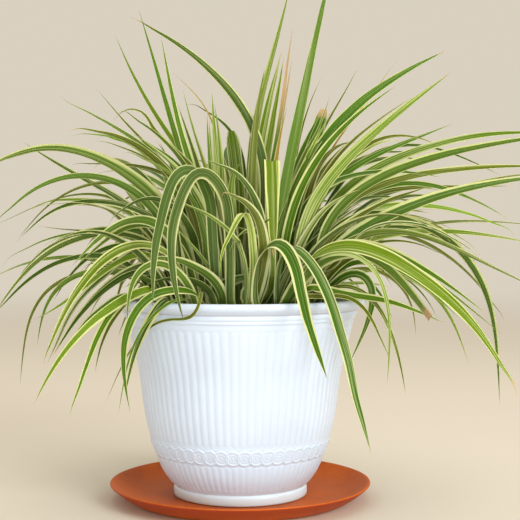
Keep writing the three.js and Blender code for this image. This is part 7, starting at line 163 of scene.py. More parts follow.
        (173.5, 'g', 0.13, 0.13, 0, 0, 0, [-51.4, 2.4, 176, 15.6, 2.15, -51.4, 2.4, 179.2, 16, 2.29, -63.1, 1.6, 194.2, 24.1, 2.83, -69.5, 1, 201.2, 29.5, 3.05, -81.6, 0.1, 211.4, 39, 3.4, -92.5, 0.4, 217.9, 46.8, 3.58, -107, 3.4, 223.6, 55, 3.58, -122.1, 7.5, 226.6, 58.1, 3.58, -137.6, 10.7, 227.4, 57.9, 3.51, -150.1, 12.6, 226.1, 57.1, 3.35, -162.3, 14.1, 223, 55.9, 3.13, -173.8, 15.4, 217.8, 54.1, 2.85, -183.9, 16.6, 210.2, 51.2, 2.52, -190.3, 17.4, 203.2, 48.5, 2.23, -195.4, 18, 195.2, 45.7, 1.92, -200.4, 18.7, 183.6, 42, 1.47, -204.4, 19.4, 168.2, 37.5, 0.84, -207.5, 20, 149.4, 34, 0]),
        (177.4, 'd', 0.11, 0.35, 0, 0, 0, [-44.5, 1.8, 176, -13.9, 2.13, -46.7, 1.9, 194.6, -16.1, 2.65, -50.9, 2, 216.7, -24.1, 3.1, -56, 2.3, 234.7, -40.7, 3.44, -61.9, 2.7, 248.4, -56.2, 3.55, -69.8, 3.1, 261.2, -68.9, 3.55, -79.8, 3.6, 272.3, -76.4, 3.55, -88.6, 4, 279.3, -78.4, 3.55, -101.6, 4.6, 286.6, -79.5, 3.45, -119.3, 5.4, 292.8, -80.8, 3.22, -137.8, 6.2, 295.8, -82.2, 2.9, -156.5, 7, 295.9, -83.8, 2.5, -171.2, 7.6, 293.4, -85.4, 2.12, -185.3, 8.3, 288.4, -87.1, 1.69, -198.2, 8.9, 280.8, -88.8, 1.22, -212.4, 9.5, 268.6, -90.5, 0.57, -220.4, 9.9, 260.7, -91.3, 0.15, -222.3, 10, 257.5, -91.5, 0]),
    ]),
    'leaf_fan_right_02': (35.2, -35, [
        (-20.8, 'd', 0.22, 0.22, 0, 0, 0, [38, -36.6, 176, 14.3, 3, 38, -36.6, 178.7, 14.6, 3, 42.9, -37, 181, 15.7, 3, 54.7, -38, 188.1, 20.7, 4.93, 59.3, -39, 190.8, 23.2, 5.18, 61.5, -40.2, 191.9, 24.5, 5.3, 65.3, -43.8, 193.9, 27.2, 5.54, 68.5, -47.9, 195.9, 29.9, 5.77, 71.6, -51.8, 198.3, 32.8, 5.99, 76.3, -56.6, 202.8, 37.2, 6.08, 82.9, -61.2, 210.2, 42.1, 6.08, 90.6, -62.7, 218, 43.9, 6.08, 97.1, -62.8, 222.9, 43.7, 6.06, 104.7, -63.2, 226.1, 43.1, 5.95, 110.1, -63.9, 226.6, 42.6, 5.83, 115.3, -65, 225.3, 41.8, 5.69, 119.7, -66.2, 222.3, 40.8, 5.51, 124.1, -67.9, 215.6, 39.1, 5.2, 125.8, -69.3, 207.7, 37.6, 4.83, 125.6, -70.4, 199.6, 36.7, 4.42, 123.5, -71.6, 188.9, 36.2, 3.79, 120.1, -72.6, 178.5, 36.1, 3.08, 113.7, -73.8, 163.3, 36.1, 1.87, 104.3, -75, 143.5, 36.1, 0]),
        (-22.0, 'd', 0.40, 0.46, 0, 0, 0, [34.3, -34.7, 176, 1.3, 3, 34.3, -34.7, 179.7, 1.5, 3, 42.2, -38.9, 191.2, 3.5, 3.92, 48.8, -41.6, 199.6, 5.4, 4.27, 53.6, -42.2, 205.1, 6.7, 4.49, 63.8, -41.1, 215.4, 9.2, 4.9, 72.3, -42.6, 222.1, 11, 5.19, 78.1, -45.5, 225.5, 12.1, 5.27, 83.4, -49.7, 228.2, 13.2, 5.27, 89.5, -58.2, 232.1, 14.6, 5.27, 94.1, -67.2, 237.4, 15.9, 5.27, 97.3, -71.3, 242.6, 16.7, 5.27, 99.1, -72.3, 245.7, 17.1, 5.27, 105, -71.9, 254.9, 18, 5.2, 112.4, -70.7, 262.9, 18.8, 5.06, 118.3, -70.7, 267.2, 19.2, 4.93, 128.1, -72.4, 271.8, 19.7, 4.69, 138.3, -75.2, 274.4, 20, 4.41, 152.1, -79.9, 275.3, 20.1, 3.95, 162.3, -83.8, 274.3, 20, 3.57, 175.4, -89.2, 270.9, 19.7, 2.98, 184.8, -93.3, 266.9, 19.2, 2.5, 196.5, -98.7, 260, 18.5, 1.8, 217.9, -108.8, 242.9, 16.9, 0.22, 219.7, -109.7, 239.8, 16.8, 0]),
        (6.1, 'g', 0.16, 0.42, 0, 0, 0, [36.7, -32.6, 176, 19, 2.84, 38.6, -30.2, 207.1, 28.8, 3.84, 39.5, -30, 218.8, 34.3, 4.13, 40.6, -32.2, 230.3, 40.3, 4.4, 42.8, -37.5, 249, 50.7, 4.73, 44.8, -38.4, 260.5, 56.8, 4.73, 47.2, -37.1, 271.9, 61.2, 4.73, 52.5, -33.9, 290.5, 63.4, 4.73, 56.5, -32.4, 301.4, 63.2, 4.67, 62.8, -30.7, 315.6, 62.7, 4.49, 70.4, -29.3, 329.2, 62.2, 4.22, 79, -28, 342.2, 61.7, 3.86, 88.6, -26.7, 354.5, 61.2, 3.44, 99.1, -25.6, 366, 60.6, 2.95, 110.4, -24.4, 376.8, 60, 2.4, 122.3, -23.2, 386.8, 59.4, 1.78, 138, -21.6, 398.5, 58.7, 0.93, 154, -20, 409.6, 58.2, 0]),
        (3.2, 'l', 0.37, 0.43, 0, 0, 0, [31.4, -35.3, 176, 15.2, 2.8, 34, -35, 189.7, 21, 3.59, 36.9, -35.8, 201, 28.9, 4.08, 42.2, -38.7, 216.2, 41.1, 4.67, 49.4, -41.9, 233.1, 52.2, 4.67, 53.3, -41.3, 241.6, 53.2, 4.67, 62.4, -36.6, 259.9, 52, 4.31, 69.5, -35.7, 271.9, 50.5, 3.82, 79.5, -35.9, 284.8, 48.2, 3.04, 90.1, -35.1, 294, 45.8, 2.22, 102.1, -33.7, 300.9, 43.1, 1.27, 114.8, -30.8, 306.2, 40.8, 0.19, 117, -30.5, 306.5, 40.7, 0]),
    ]),
    'leaf_fan_back_01': (-2.4, 51, [
        (133.7, 'g', 0.39, 0.31, 0, 0, 0, [-1.9, 53.4, 176, -3.3, 3, -1.9, 53.4, 180.5, -3.4, 3, -5.6, 57.9, 192.8, -4.6, 4.27, -19.6, 74.9, 227.1, -10.2, 5.4, -25.2, 81.7, 237.5, -12.2, 5.74, -34.2, 94.2, 253.9, -15.4, 5.92, -38.2, 101.1, 264.4, -17.2, 5.92, -41.4, 105.1, 271.8, -18.3, 5.92, -45.9, 109.3, 278.9, -19.2, 5.92, -54.3, 116.7, 287.5, -20.3, 5.91, -75.6, 139.1, 306.9, -22.6, 5.46, -86.4, 150.7, 315.8, -23.5, 5.07, -100.7, 165.6, 324.9, -24.7, 4.45, -112.9, 177.8, 330.6, -25.7, 3.86, -128.7, 193.3, 335.5, -26.5, 3, -141.9, 205.6, 337.5, -26.4, 2.23, -158.8, 220.7, 337.5, -25.7, 1.17, -175.8, 235.4, 335.3, -25.2, 0]),
        (107.7, 'g', 0.27, 0.24, 0, 0, 0, [-2.5, 51.3, 176, 1.6, 3, -2.5, 51.3, 179, 1.8, 3, -6.1, 55.5, 193, 4.9, 4.17, -8.6, 58.6, 201, 7.3, 4.52, -12.5, 64.5, 210.7, 10.3, 4.95, -15.2, 70.5, 216.9, 12.4, 5.26, -18.7, 85, 226.9, 16.3, 5.43, -20.8, 98.3, 233.3, 18.9, 5.43, -23.6, 112.5, 237, 21, 5.39, -27.3, 127, 237.9, 22.5, 5.15, -30.2, 135.5, 236.9, 23.1, 4.92, -34, 143.1, 234.1, 23.5, 4.65, -38.8, 148.5, 229, 23.6, 4.32, -43, 152.2, 222.1, 23.6, 3.95, -45.2, 157.6, 215.3, 23.3, 3.53, -46, 171.8, 203.9, 22.3, 2.58, -46.4, 180.3, 195.5, 21.3, 1.86, -46.9, 185.8, 188.4, 20.4, 1.27, -48, 193.8, 175.7, 19.1, 0.22, -48.1, 194.3, 172.8, 19.1, 0]),
        (93.0, 'd', 0.12, 0.12, 0, 0, 0, [-1.4, 53.5, 176, 0.6, 3, -1.7, 54.7, 189.8, 1.1, 3.53, -2.3, 57.7, 198.5, 1.6, 3.78, -3.5, 63.9, 210.8, 2.5, 4.11, -4.9, 72.2, 232.6, 3.9, 4.62, -8.4, 88.2, 261, 5.2, 5.07, -11.3, 103, 284.4, 5.6, 5.07, -14.5, 114.2, 299.3, 5.6, 5.07, -15.9, 124.1, 309.4, 5.4, 5, -16.3, 141.4, 324.8, 4.7, 4.74, -17.7, 160, 338.6, 3.3, 4.34, -18.7, 176, 348.1, 1.8, 3.92, -19.3, 192.9, 355.9, 0.1, 3.43, -19.4, 210.4, 362.1, -2, 2.87, -18.9, 228.5, 366.5, -5.3, 2.25, -17.8, 246.9, 369, -10.8, 1.56, -16, 265.4, 369.6, -16.2, 0.81, -13.5, 283.8, 368.1, -18.5, 0]),
        (105.4, 'l', 0.08, 0.08, 0, 0, 0, [-2.8, 52.7, 176, 0.7, 3, -3.5, 54.8, 194.2, 1.8, 3.74, -4.3, 57.7, 204.7, 2.9, 4.07, -5.9, 64.8, 217.5, 4.3, 4.48, -8, 73.9, 228.8, 5.6, 4.86, -11.1, 86.8, 241.5, 7.2, 5.02, -14.7, 101.2, 252.4, 8.6, 5.02, -18.7, 116.8, 261.1, 9.8, 5, -23.2, 133.6, 267, 10.9, 4.82, -27, 147.5, 269.5, 11.6, 4.55, -30.9, 161.7, 269.8, 12.2, 4.2, -34.9, 175.7, 267.9, 12.7, 3.77, -39.8, 192.5, 262.6, 13.1, 3.13, -43.6, 205.2, 256.2, 13.3, 2.54, -47.1, 217, 248.2, 13.5, 1.89, -54.5, 240.8, 226.6, 13.6, 0.21, -55.1, 242.3, 223.3, 13.6, 0]),
        (103.9, 'g', 0.38, 0.33, 0, 0, 0, [-1.8, 48.6, 176, -0.7, 2.81, -1.8, 48.6, 180.4, -0.8, 3, -2, 51.8, 183.4, -0.9, 3, -2.8, 62.8, 197.3, -2, 3.59, -4.9, 77.5, 219.1, -3.9, 4.18, -7.4, 85.8, 229, -4.7, 4.44, -10.4, 95.7, 237.3, -5.4, 4.68, -14.7, 110.5, 246.1, -6.1, 4.68, -18.8, 126.4, 252.3, -6.6, 4.68, -24, 147.4, 256.6, -6.9, 4.67, -28.1, 164.5, 257.1, -6.8, 4.54, -32.3, 181.5, 255, -6.4, 4.32, -36.4, 198, 250.3, -5.6, 4.01, -40.4, 213.6, 243, -4.6, 3.62, -45.1, 231.3, 230.9, -3, 3.05, -48.6, 243.9, 219.1, -1.4, 2.51, -52.5, 257.5, 202.2, 0.9, 1.76, -55.2, 266.9, 187.5, 2.9, 1.1, -58.4, 277.6, 168.5, 5, 0.19, -58.8, 278.7, 164.2, 5.1, 0]),
        (110.2, 'o', 0.33, 0.39, 0, 0, 0, [-1.3, 51.6, 176, -2.8, 2.55, -1.4, 51.9, 187.6, -4.4, 3.06, -1.8, 53.6, 198.9, -7.1, 3.44, -2.8, 58.2, 215.6, -11.2, 3.95, -3.9, 63.1, 235.2, -15.4, 4.25, -5.6, 71.5, 259.7, -18.8, 4.24, -6.7, 76.3, 270.1, -19.4, 4.16, -11.1, 85, 287.3, -19.3, 3.78, -12.1, 87.4, 295.8, -18.8, 3.55, -12.7, 89.9, 308.5, -17.9, 3.19, -13.7, 93.8, 318.8, -16.8, 2.76, -18.9, 105.8, 341, -13.7, 1.6, -22.6, 113.1, 353, -11.5, 0.84, -26.7, 120.7, 364.6, -9.9, 0]),
    ]),
    'leaf_fan_front_left_02': (-33.5, -40.2, [
        (-167.5, 'g', 0.12, 0.41, 0, 0, 0, [-35.7, -38.4, 176, 13.8, 3, -35.7, -38.4, 180.6, 14.1, 3, -36.4, -39.9, 184.9, 14.5, 3.05, -38.1, -42.7, 198.4, 16.8, 5.69, -40.4, -42.9, 212, 20, 6.2, -43.2, -40.8, 225.4, 23.6, 6.66, -46.8, -37.3, 238.3, 27.6, 7.11, -52.8, -31.4, 254.8, 33.4, 7.64, -56.5, -30.6, 263.2, 36.4, 7.64, -58.5, -31.1, 267.3, 37.8, 7.64, -62.7, -33.6, 275.2, 40.5, 7.64, -69.6, -38.7, 286.1, 43, 7.64, -77.6, -43.4, 296.4, 43.6, 7.64, -90.1, -48.4, 309, 43.2, 7.54, -104.1, -52.7, 320.2, 42.7, 7.24, -123.3, -57.6, 331.9, 42.1, 6.67, -139.9, -61.5, 339, 41.8, 6.08, -157.3, -65.3, 343.8, 41.7, 5.36, -175.2, -69.3, 345.4, 41.6, 4.55, -193.1, -73.2, 343.5, 41.6, 3.63, -210.3, -77, 338.3, 41.7, 2.62, -222.7, -79.8, 332.7, 41.8, 1.79, -242.6, -84.3, 321.9, 42, 0.31, -245.6, -85, 318.5, 42, 0]),
        (-147.6, 'd', 0.16, 0.16, 0, 0, 0, [-32.7, -39.7, 176, 10.2, 2.72, -32.7, -39.7, 178.9, 10.3, 2.9, -33.5, -42.2, 190.4, 12, 3.38, -34.3, -42.3, 199.2, 14.1, 3.68, -37.6, -37.8, 225, 21.9, 4.47, -40.7, -33.2, 241.8, 27.5, 4.53, -41.9, -32.8, 247.5, 28.7, 4.53, -42.5, -33.6, 250.3, 29.1, 4.53, -43.4, -37.1, 255.1, 29.6, 4.53, -45.9, -51.4, 265.3, 30.9, 4.44, -48.9, -59.9, 272.7, 33, 4.24, -52.7, -64.6, 279.2, 35, 4.04, -58.1, -67, 285.7, 37.4, 3.79, -64.7, -68.3, 291.3, 40.2, 3.51, -72.3, -69.9, 295.4, 43, 3.18, -80.6, -72.3, 297.3, 45.1, 2.83, -88.8, -75.5, 296.8, 46.4, 2.43, -96.4, -79.1, 294.2, 47.3, 2.01, -103.1, -83, 290.1, 48.2, 1.55, -118.2, -93.6, 275.6, 50.5, 0.19, -119.3, -94.6, 273, 50.5, 0]),
        (-163.7, 'g', 0.30, 0.26, 0, 0, 0, [-36.6, -41.1, 176, 14.7, 2.5, -36.6, -41.1, 178.9, 15.1, 2.67, -37.6, -44.5, 186.7, 18.3, 3.01, -38.8, -47.1, 194.8, 23.2, 3.29, -40.9, -48.5, 206, 30.6, 3.64, -45.1, -46.7, 222.6, 42.5, 4.11, -52.1, -43.3, 241.1, 56, 4.17, -57.7, -42.5, 251.1, 60.3, 4.17, -64.7, -42.8, 260.1, 62.4, 4.14, -70.9, -44.3, 265.8, 63.5, 4.05, -77.8, -47.1, 270.1, 64.1, 3.9, -85.3, -50.7, 272.6, 64.4, 3.72, -93, -54.4, 273.2, 64.6, 3.49, -100.8, -57.8, 272, 64.6, 3.23, -110.9, -61.7, 268.1, 64.4, 2.82, -120.2, -65, 262.4, 64.1, 2.36, -131.2, -68.5, 253.7, 63.5, 1.71, -141.4, -71.6, 244.2, 62.6, 0.98, -151.4, -74.5, 234.3, 61.9, 0.17, -152.8, -75, 231.9, 61.8, 0]),
        (-146.1, 'g', 0.08, 0.08, 0, 0, 0, [-30.4, -38, 176, 10.8, 1.51, -30.4, -38, 179, 11.1, 1.61, -30.5, -33.9, 187.1, 13.3, 1.82, -30.7, -30.6, 195.6, 16.6, 1.99, -30.7, -29.6, 201.6, 19.2, 2.09, -30.7, -29.8, 207.7, 21.8, 2.2, -30.9, -31.9, 222.7, 28.6, 2.44, -31.4, -33.6, 237.7, 35.6, 2.52, -32.5, -36.9, 252.5, 40.7, 2.52, -35.8, -43.1, 272.5, 42.9, 2.48, -39.1, -46.4, 283.7, 43.8, 2.39, -42.4, -49, 291.8, 44.5, 2.28, -48, -52.8, 301.8, 45.6, 2.11, -54.7, -57.2, 310.9, 46.7, 1.89, -60.5, -60.8, 316.9, 47.6, 1.7, -69, -66.1, 323.8, 48.9, 1.43, -78.2, -71.7, 329.2, 50.2, 1.12, -87.9, -77.7, 333.5, 51.7, 0.77, -105.3, -88.5, 339.1, 53.2, 0.1, -107.7, -90, 338.1, 53.3, 0]),
    ]),
    'leaf_fan_right_03': (53.1, 7.1, [
        (30.2, 'o', 0.32, 0.12, 0, 0, 0, [54.7, 5.6, 176, 13.1, 3, 54.8, 5.8, 185.1, 14.5, 3.02, 54.9, 6.1, 191.1, 16.3, 4.34, 55.5, 8.2, 202.9, 20.7, 5.04, 56.6, 12.2, 214.4, 25.7, 5.52, 58.3, 20.8, 231.7, 34.2, 6.06, 58.9, 22.7, 240.7, 38.5, 6.06, 60.2, 23, 258.7, 43.1, 6.06, 62.4, 22.5, 270.6, 43.4, 6.02, 63.9, 23.1, 279.6, 43.5, 5.88, 67.2, 25.5, 297.1, 43.8, 5.4, 72.7, 29.7, 317, 45.3, 4.55, 77.3, 32.1, 327.8, 47.2, 3.94, 81.7, 33.9, 335.5, 49.3, 3.43, 86.9, 35.5, 342.6, 52, 2.88, 93.1, 37, 348.9, 55.4, 2.28, 100.3, 38.9, 354, 59, 1.64, 105.6, 40.3, 356.4, 60.9, 1.2, 111.2, 41.7, 357.7, 62.1, 0.73, 120, 43.7, 358.1, 62.8, 0]),
        (14.1, 'd', 0.23, 0.23, 0, 0, 0, [52.1, 6.9, 176, 14.8, 2.81, 52.1, 6.9, 178.2, 15.3, 3, 58.1, 7.4, 192.6, 26.7, 3.8, 65.4, 9.4, 206.2, 41.6, 4.45, 68.9, 9.3, 211.8, 48.1, 4.68, 78.4, 4.1, 225.9, 62.9, 4.68, 83.9, 2.1, 232.6, 66.3, 4.68, 92.1, 2, 240.1, 69.3, 4.54, 97.5, 3.5, 243.5, 71, 4.38, 104.3, 8.5, 246.3, 72.7, 4.09, 112.6, 15.8, 247.1, 73.2, 3.62, 118.2, 19.4, 246.4, 73, 3.29, 125.9, 23, 244, 72.4, 2.79, 133.2, 25.7, 239.7, 71.4, 2.23, 139.7, 27.8, 234, 70.3, 1.6, 146.5, 30.2, 225.6, 68.6, 0.75, 151.2, 31.7, 218.3, 67.8, 0]),
        (18.2, 'p', 0.09, 0.09, 0, 0, 0, [56.1, 8.1, 176, 11.6, 2.02, 56.1, 8.1, 177.7, 11.7, 2.16, 59.4, 8.4, 185.7, 14, 2.59, 64.7, 8.4, 194.6, 19.2, 3.01, 69.4, 7.2, 199.4, 23.7, 3.27, 74.8, 5.6, 203.4, 29, 3.38, 77.8, 6, 205.1, 31.6, 3.38, 80.7, 7.3, 206.5, 33.9, 3.38, 88.7, 13.3, 209.3, 36.5, 3.37, 95.8, 17.9, 211, 36.6, 3.28, 104.9, 22.4, 212.6, 36.4, 3.01, 114.4, 26.6, 213.5, 36.2, 2.61, 124.1, 30.3, 213.5, 36.5, 2.1, 132.2, 33.1, 212.9, 37.1, 1.6, 141.9, 36.3, 211.3, 38.1, 0.92, 153.1, 40, 208.7, 39.1, 0]),
        (31.5, 'p', 0.29, 0.32, 0, 0, 0, [52.7, 5.5, 176, 12.7, 1.97, 52, 6.5, 206.3, 19.4, 2.73, 50, 3.6, 226.5, 26.5, 3.12, 47.7, 3.6, 253.3, 36.3, 3.28, 47, 5.6, 259.8, 37.9, 3.28, 47.4, 12.8, 275.4, 39.2, 3.28, 49.6, 16, 295.3, 39.6, 3.15, 53.9, 18.1, 314.9, 40.5, 2.87, 60.1, 20.3, 334.1, 41.7, 2.46, 65.7, 21.8, 346.3, 42.5, 2.14, 78.7, 24.8, 369.7, 43.4, 1.35, 85.8, 27.1, 388.5, 43.6, 0.65, 91.2, 29.1, 404.4, 43.8, 0]),
        (12.7, 'o', 0.16, 0.16, 0, 0, 0, [54.5, 6.2, 176, 17.6, 1.97, 55.9, 7, 196.4, 22.5, 2.44, 59.5, 8.5, 220.3, 33.2, 2.86, 60.7, 7.4, 228, 37.1, 2.99, 61.9, 2.1, 244, 45.3, 3.24, 62.2, 1.6, 248.1, 47.4, 3.28, 63.2, 2.5, 256.2, 51.7, 3.28, 67.6, 7.6, 271.5, 59.1, 3.28, 72.6, 10.1, 282.4, 62.3, 3.28, 78, 10.9, 293.3, 63.6, 3.28, 89.1, 10.2, 315.1, 65.1, 3.15, 93.2, 11.7, 322, 65.7, 3.07, 97.9, 14.3, 328.3, 66.3, 2.98, 109, 19.1, 339.5, 67.8, 2.75, 121.6, 22.2, 349.4, 68.8, 2.46, 135.5, 25, 357.5, 69, 2.13, 150.6, 28.1, 362.7, 68.9, 1.76, 162.4, 30.6, 364.2, 68.8, 1.45, 178.2, 34.3, 363, 68.6, 1.01, 193.6, 38.1, 359, 68.4, 0.52, 204.9, 40.8, 355, 68.3, 0.13, 208.6, 41.1, 353.3, 68.3, 0]),
        (9.3, 'o', 0.20, 0.20, 0, 0, 0, [55.2, 5.2, 176, 14.7, 1.69, 55.2, 5.2, 179.9, 15.1, 1.8, 57.1, -0.2, 210.8, 25.7, 2.34, 59.4, -3.7, 238, 38, 2.72, 60.8, -4.2, 249.6, 43.5, 2.81, 62.6, -2.3, 261.1, 48.6, 2.81, 66.6, 4.9, 278.9, 53.9, 2.81, 69.8, 8.3, 289.7, 54.9, 2.81, 75.1, 10.6, 304.3, 55.3, 2.75, 81.9, 11.6, 318.4, 55.4, 2.63, 94.9, 13.1, 338, 55.2, 2.35, 102.5, 14, 347, 54.9, 2.17, 113.5, 15.6, 358, 53.9, 1.9, 137.8, 19.2, 377.6, 50.9, 1.25, 156.9, 22.1, 391.1, 48.3, 0.66, 176.4, 25, 403.9, 46.3, 0]),
    ]),
    'leaf_fan_back_left_03': (-45, 31.3, [
        (145.9, 'g', 0.12, 0.12, 0, 0, 0, [-47.7, 33.1, 176, -1.4, 3, -47.7, 33.1, 179.2, -1.6, 3, -53, 37.4, 193.5, -4.4, 4.56, -57.7, 41.3, 204.6, -7.1, 5.06, -65.2, 47.1, 217.3, -10.4, 5.64, -72.8, 51.6, 226.4, -12.8, 5.94, -81.7, 56.1, 234.2, -14.8, 5.94, -91.6, 61, 240.4, -16.6, 5.94, -102.3, 66.4, 244.6, -18, 5.92, -113.5, 71.9, 246.8, -19.1, 5.76, -124.7, 77.8, 246.9, -19.7, 5.48, -135.1, 84.7, 244.8, -20, 5.08, -144.3, 92.5, 241, -19.9, 4.59, -155, 101.9, 234, -19.3, 3.86, -163, 108.7, 226.8, -18.4, 3.19, -172.2, 116.1, 216.3, -17, 2.24, -180.6, 122.5, 204.5, -15.3, 1.17, -187, 127.3, 194.6, -14.2, 0.24, -188.1, 128.2, 191.8, -14.1, 0]),
        (136.0, 'd', 0.10, 0.10, 0, 0, 0, [-44.3, 30.6, 176, 0.9, 3, -44.3, 30.6, 179.3, 1, 3, -54.5, 38.4, 206.3, 4.5, 4.54, -61.5, 43.2, 220.7, 6.7, 5.05, -67.9, 47.7, 231.4, 8.3, 5.32, -75.1, 53, 241.2, 9.7, 5.32, -85.2, 60.1, 252.4, 11.4, 5.32, -94.3, 66, 260.1, 12.5, 5.29, -104, 72.7, 266.1, 13.4, 5.11, -111.4, 78.6, 269.1, 14, 4.91, -120.6, 87.9, 271.3, 14.7, 4.55, -130.9, 101, 272.3, 15.2, 4, -140.9, 114.2, 271, 15.5, 3.32, -148.9, 124.5, 268.4, 15.6, 2.7, -156.8, 134.4, 264.4, 15.6, 2.01, -174.1, 155.6, 252.3, 15.3, 0.22, -175.7, 157.7, 250.2, 15.3, 0]),
        (131.8, 'g', 0.32, 0.29, 0, 0, 0, [-42.5, 28.5, 176, -0.1, 2.95, -42.5, 28.5, 180, -0.1, 3, -46.6, 32.6, 194.6, -0.2, 3.66, -53.8, 39.8, 216, -0.6, 4.28, -61.3, 48.1, 232.2, -0.9, 4.75, -68.1, 56.7, 243.7, -1.3, 4.91, -75.7, 66.6, 253.3, -1.7, 4.91, -81.7, 75.2, 259.1, -2.1, 4.91, -87.7, 85.3, 263.5, -2.5, 4.91, -97.7, 103, 269.1, -3.3, 4.76, -106.7, 113.4, 273.6, -4.1, 4.53, -114.1, 121.5, 275.6, -4.8, 4.29, -124.4, 133.4, 276, -5.7, 3.91, -135, 144.9, 274.1, -6.8, 3.45, -145.8, 155.7, 270, -7.9, 2.92, -156.6, 165.6, 264.1, -9.2, 2.33, -167, 174.7, 256.5, -10.5, 1.68, -187.1, 191.1, 238.5, -12.8, 0.2, -189.2, 192.5, 235.4, -12.8, 0]),
        (129.1, 'd', 0.39, 0.45, 0, 0, 0, [-45.4, 28.5, 176, -2.9, 2.49, -45.5, 28.8, 187.3, -2.7, 2.99, -46.2, 29.9, 195.7, -2.6, 3.27, -47.7, 31.9, 203.8, -2.6, 3.53, -52, 35.3, 216.8, -2.7, 3.94, -53.5, 37, 224.9, -2.8, 4.14, -53.3, 38.7, 230.3, -3, 4.14, -51.5, 41.6, 238.1, -3.2, 4.14, -50.6, 43.5, 246.2, -3.2, 4.14, -51.5, 43.8, 251.8, -3, 4.14, -53.6, 44.7, 259.9, -2.6, 4.13, -57.9, 50.4, 281.4, -1.7, 3.82, -63.6, 58.1, 304.9, -1.5, 3.11, -70.2, 65.5, 325.2, -2.3, 2.23, -77.3, 72.2, 342.4, -3.6, 1.27, -87.2, 80, 361.2, -4.9, 0]),
        (154.4, 'd', 0.36, 0.42, 0, 0, 0, [-43.8, 33, 176, -5.2, 2.47, -43.9, 33.1, 184.3, -6.7, 2.97, -44.9, 33.5, 190.3, -8.7, 3.25, -46.4, 34.2, 194, -10.2, 3.43, -49.9, 35.7, 198.8, -12.7, 3.67, -61.8, 41.2, 208.6, -19.8, 4.12, -68.8, 45.9, 215.2, -24, 4.12, -74.4, 48.2, 218.2, -25.7, 4.12, -81.1, 50.1, 221.6, -27.3, 4.09, -89.7, 54.1, 224.9, -29.3, 3.9, -98.8, 58.3, 227.1, -31.2, 3.6, -105.9, 62.7, 227.9, -32.2, 3.27, -111.3, 66.2, 227.4, -32.9, 2.99, -117.1, 68.4, 226, -33.5, 2.68, -124.4, 70.9, 223.8, -34.3, 2.21, -132.9, 75, 219.8, -35.3, 1.55, -140.6, 79, 214.3, -36.2, 0.81, -147.5, 82.7, 207.6, -36.9, 0]),
        (156.0, 'o', 0.18, 0.18, 0, 0, 0, [-47.5, 30, 176, -10.7, 1.82, -47.5, 30, 179.9, -10.8, 1.94, -44.7, 27.7, 203.3, -14.2, 2.4, -42.4, 30.8, 226.7, -19.6, 2.77, -41.7, 31.2, 234.5, -21.7, 2.88, -40.8, 30, 254.2, -27.5, 3.03, -41.3, 29.9, 266, -31.1, 3.03, -43.1, 31.1, 277.6, -33.8, 3.03, -46.3, 33.2, 288.8, -35.5, 3.03, -51.1, 35.7, 299.3, -37.1, 3.01, -57.7, 38.7, 308.7, -39.2, 2.94, -65.6, 42.2, 316.7, -41.7, 2.84, -78, 47.4, 324.9, -45.5, 2.65, -88, 51.7, 329.4, -48.3, 2.48, -102.1, 57.6, 333.5, -51.2, 2.21, -120.1, 65, 336.4, -54.2, 1.81, -138.3, 72.4, 337.7, -57.3, 1.34, -160.3, 81.3, 338.3, -61.6, 0.71, -178.6, 88.6, 338.4, -64.5, 0.12, -182.1, 90, 337.4, -64.7, 0]),
    ]),
    'leaf_fan_front_02': (12.3, -54.7, [
        (-122.8, 'o', 0.15, 0.40, 0, 0, 0, [9.5, -55.1, 176, 4.9, 3, 9.5, -55.1, 178.3, 4.9, 3, 10.7, -57.6, 184.4, 5.1, 3.01, 12.3, -61, 192.6, 5.6, 4.96, 15.8, -67.4, 206.7, 7.7, 5.93, 19.2, -72, 219, 10.9, 6.25, 21.7, -74.4, 229.7, 13.1, 6.25, 23.5, -74.7, 240.8, 13.7, 6.23, 23.8, -75.6, 242.8, 13.8, 6.21, 24, -78.9, 245.9, 14.1, 6.12, 23.9, -89.2, 251.9, 15.8, 5.76, 23.8, -90.5, 253.6, 16.3, 5.67, 23.3, -91.7, 257.9, 17.5, 5.46, 21.7, -90.6, 266.7, 20.3, 4.97, 19.1, -89.8, 275.3, 24, 4.39, 15.1, -89.5, 283.4, 29, 3.72, 11, -89.7, 288.8, 33.7, 3.16, 4.2, -90.5, 294.6, 41.5, 2.35, -1.8, -91.4, 297.6, 49, 1.7, -14.7, -93.5, 301, 63, 0.26, -15.3, -93.6, 298.8, 63.7, 0]),
        (-64.9, 'g', 0.35, 0.36, 0, 0, 0, [13.5, -57.6, 176, -1.4, 3, 12.4, -57.5, 186.6, -4.3, 3.36, 10.1, -57.3, 193.3, -7.1, 4.89, 7.7, -56.8, 198.1, -9.1, 5.65, 6.1, -55.7, 203, -11, 6, 6.4, -54.8, 206.4, -12.2, 6.2, 7.9, -54.4, 209.6, -13.3, 6.2, 9.9, -54.9, 212.6, -14.4, 6.2, 13.4, -57.6, 218.2, -16.4, 6.2, 15.6, -60.4, 224.3, -18, 6.2, 18.9, -61.1, 239.9, -20.6, 5.72, 20.3, -62.9, 252.1, -21.4, 4.93, 20.4, -64.4, 257.3, -21.4, 4.51, 20.2, -70.4, 266.2, -21.1, 3.51, 22.2, -76, 272.5, -20.4, 2.54, 26, -83, 276.3, -19.3, 1.46, 29.8, -90.7, 278.6, -18.4, 0.25, 29.8, -92.4, 279.1, -18.3, 0]),
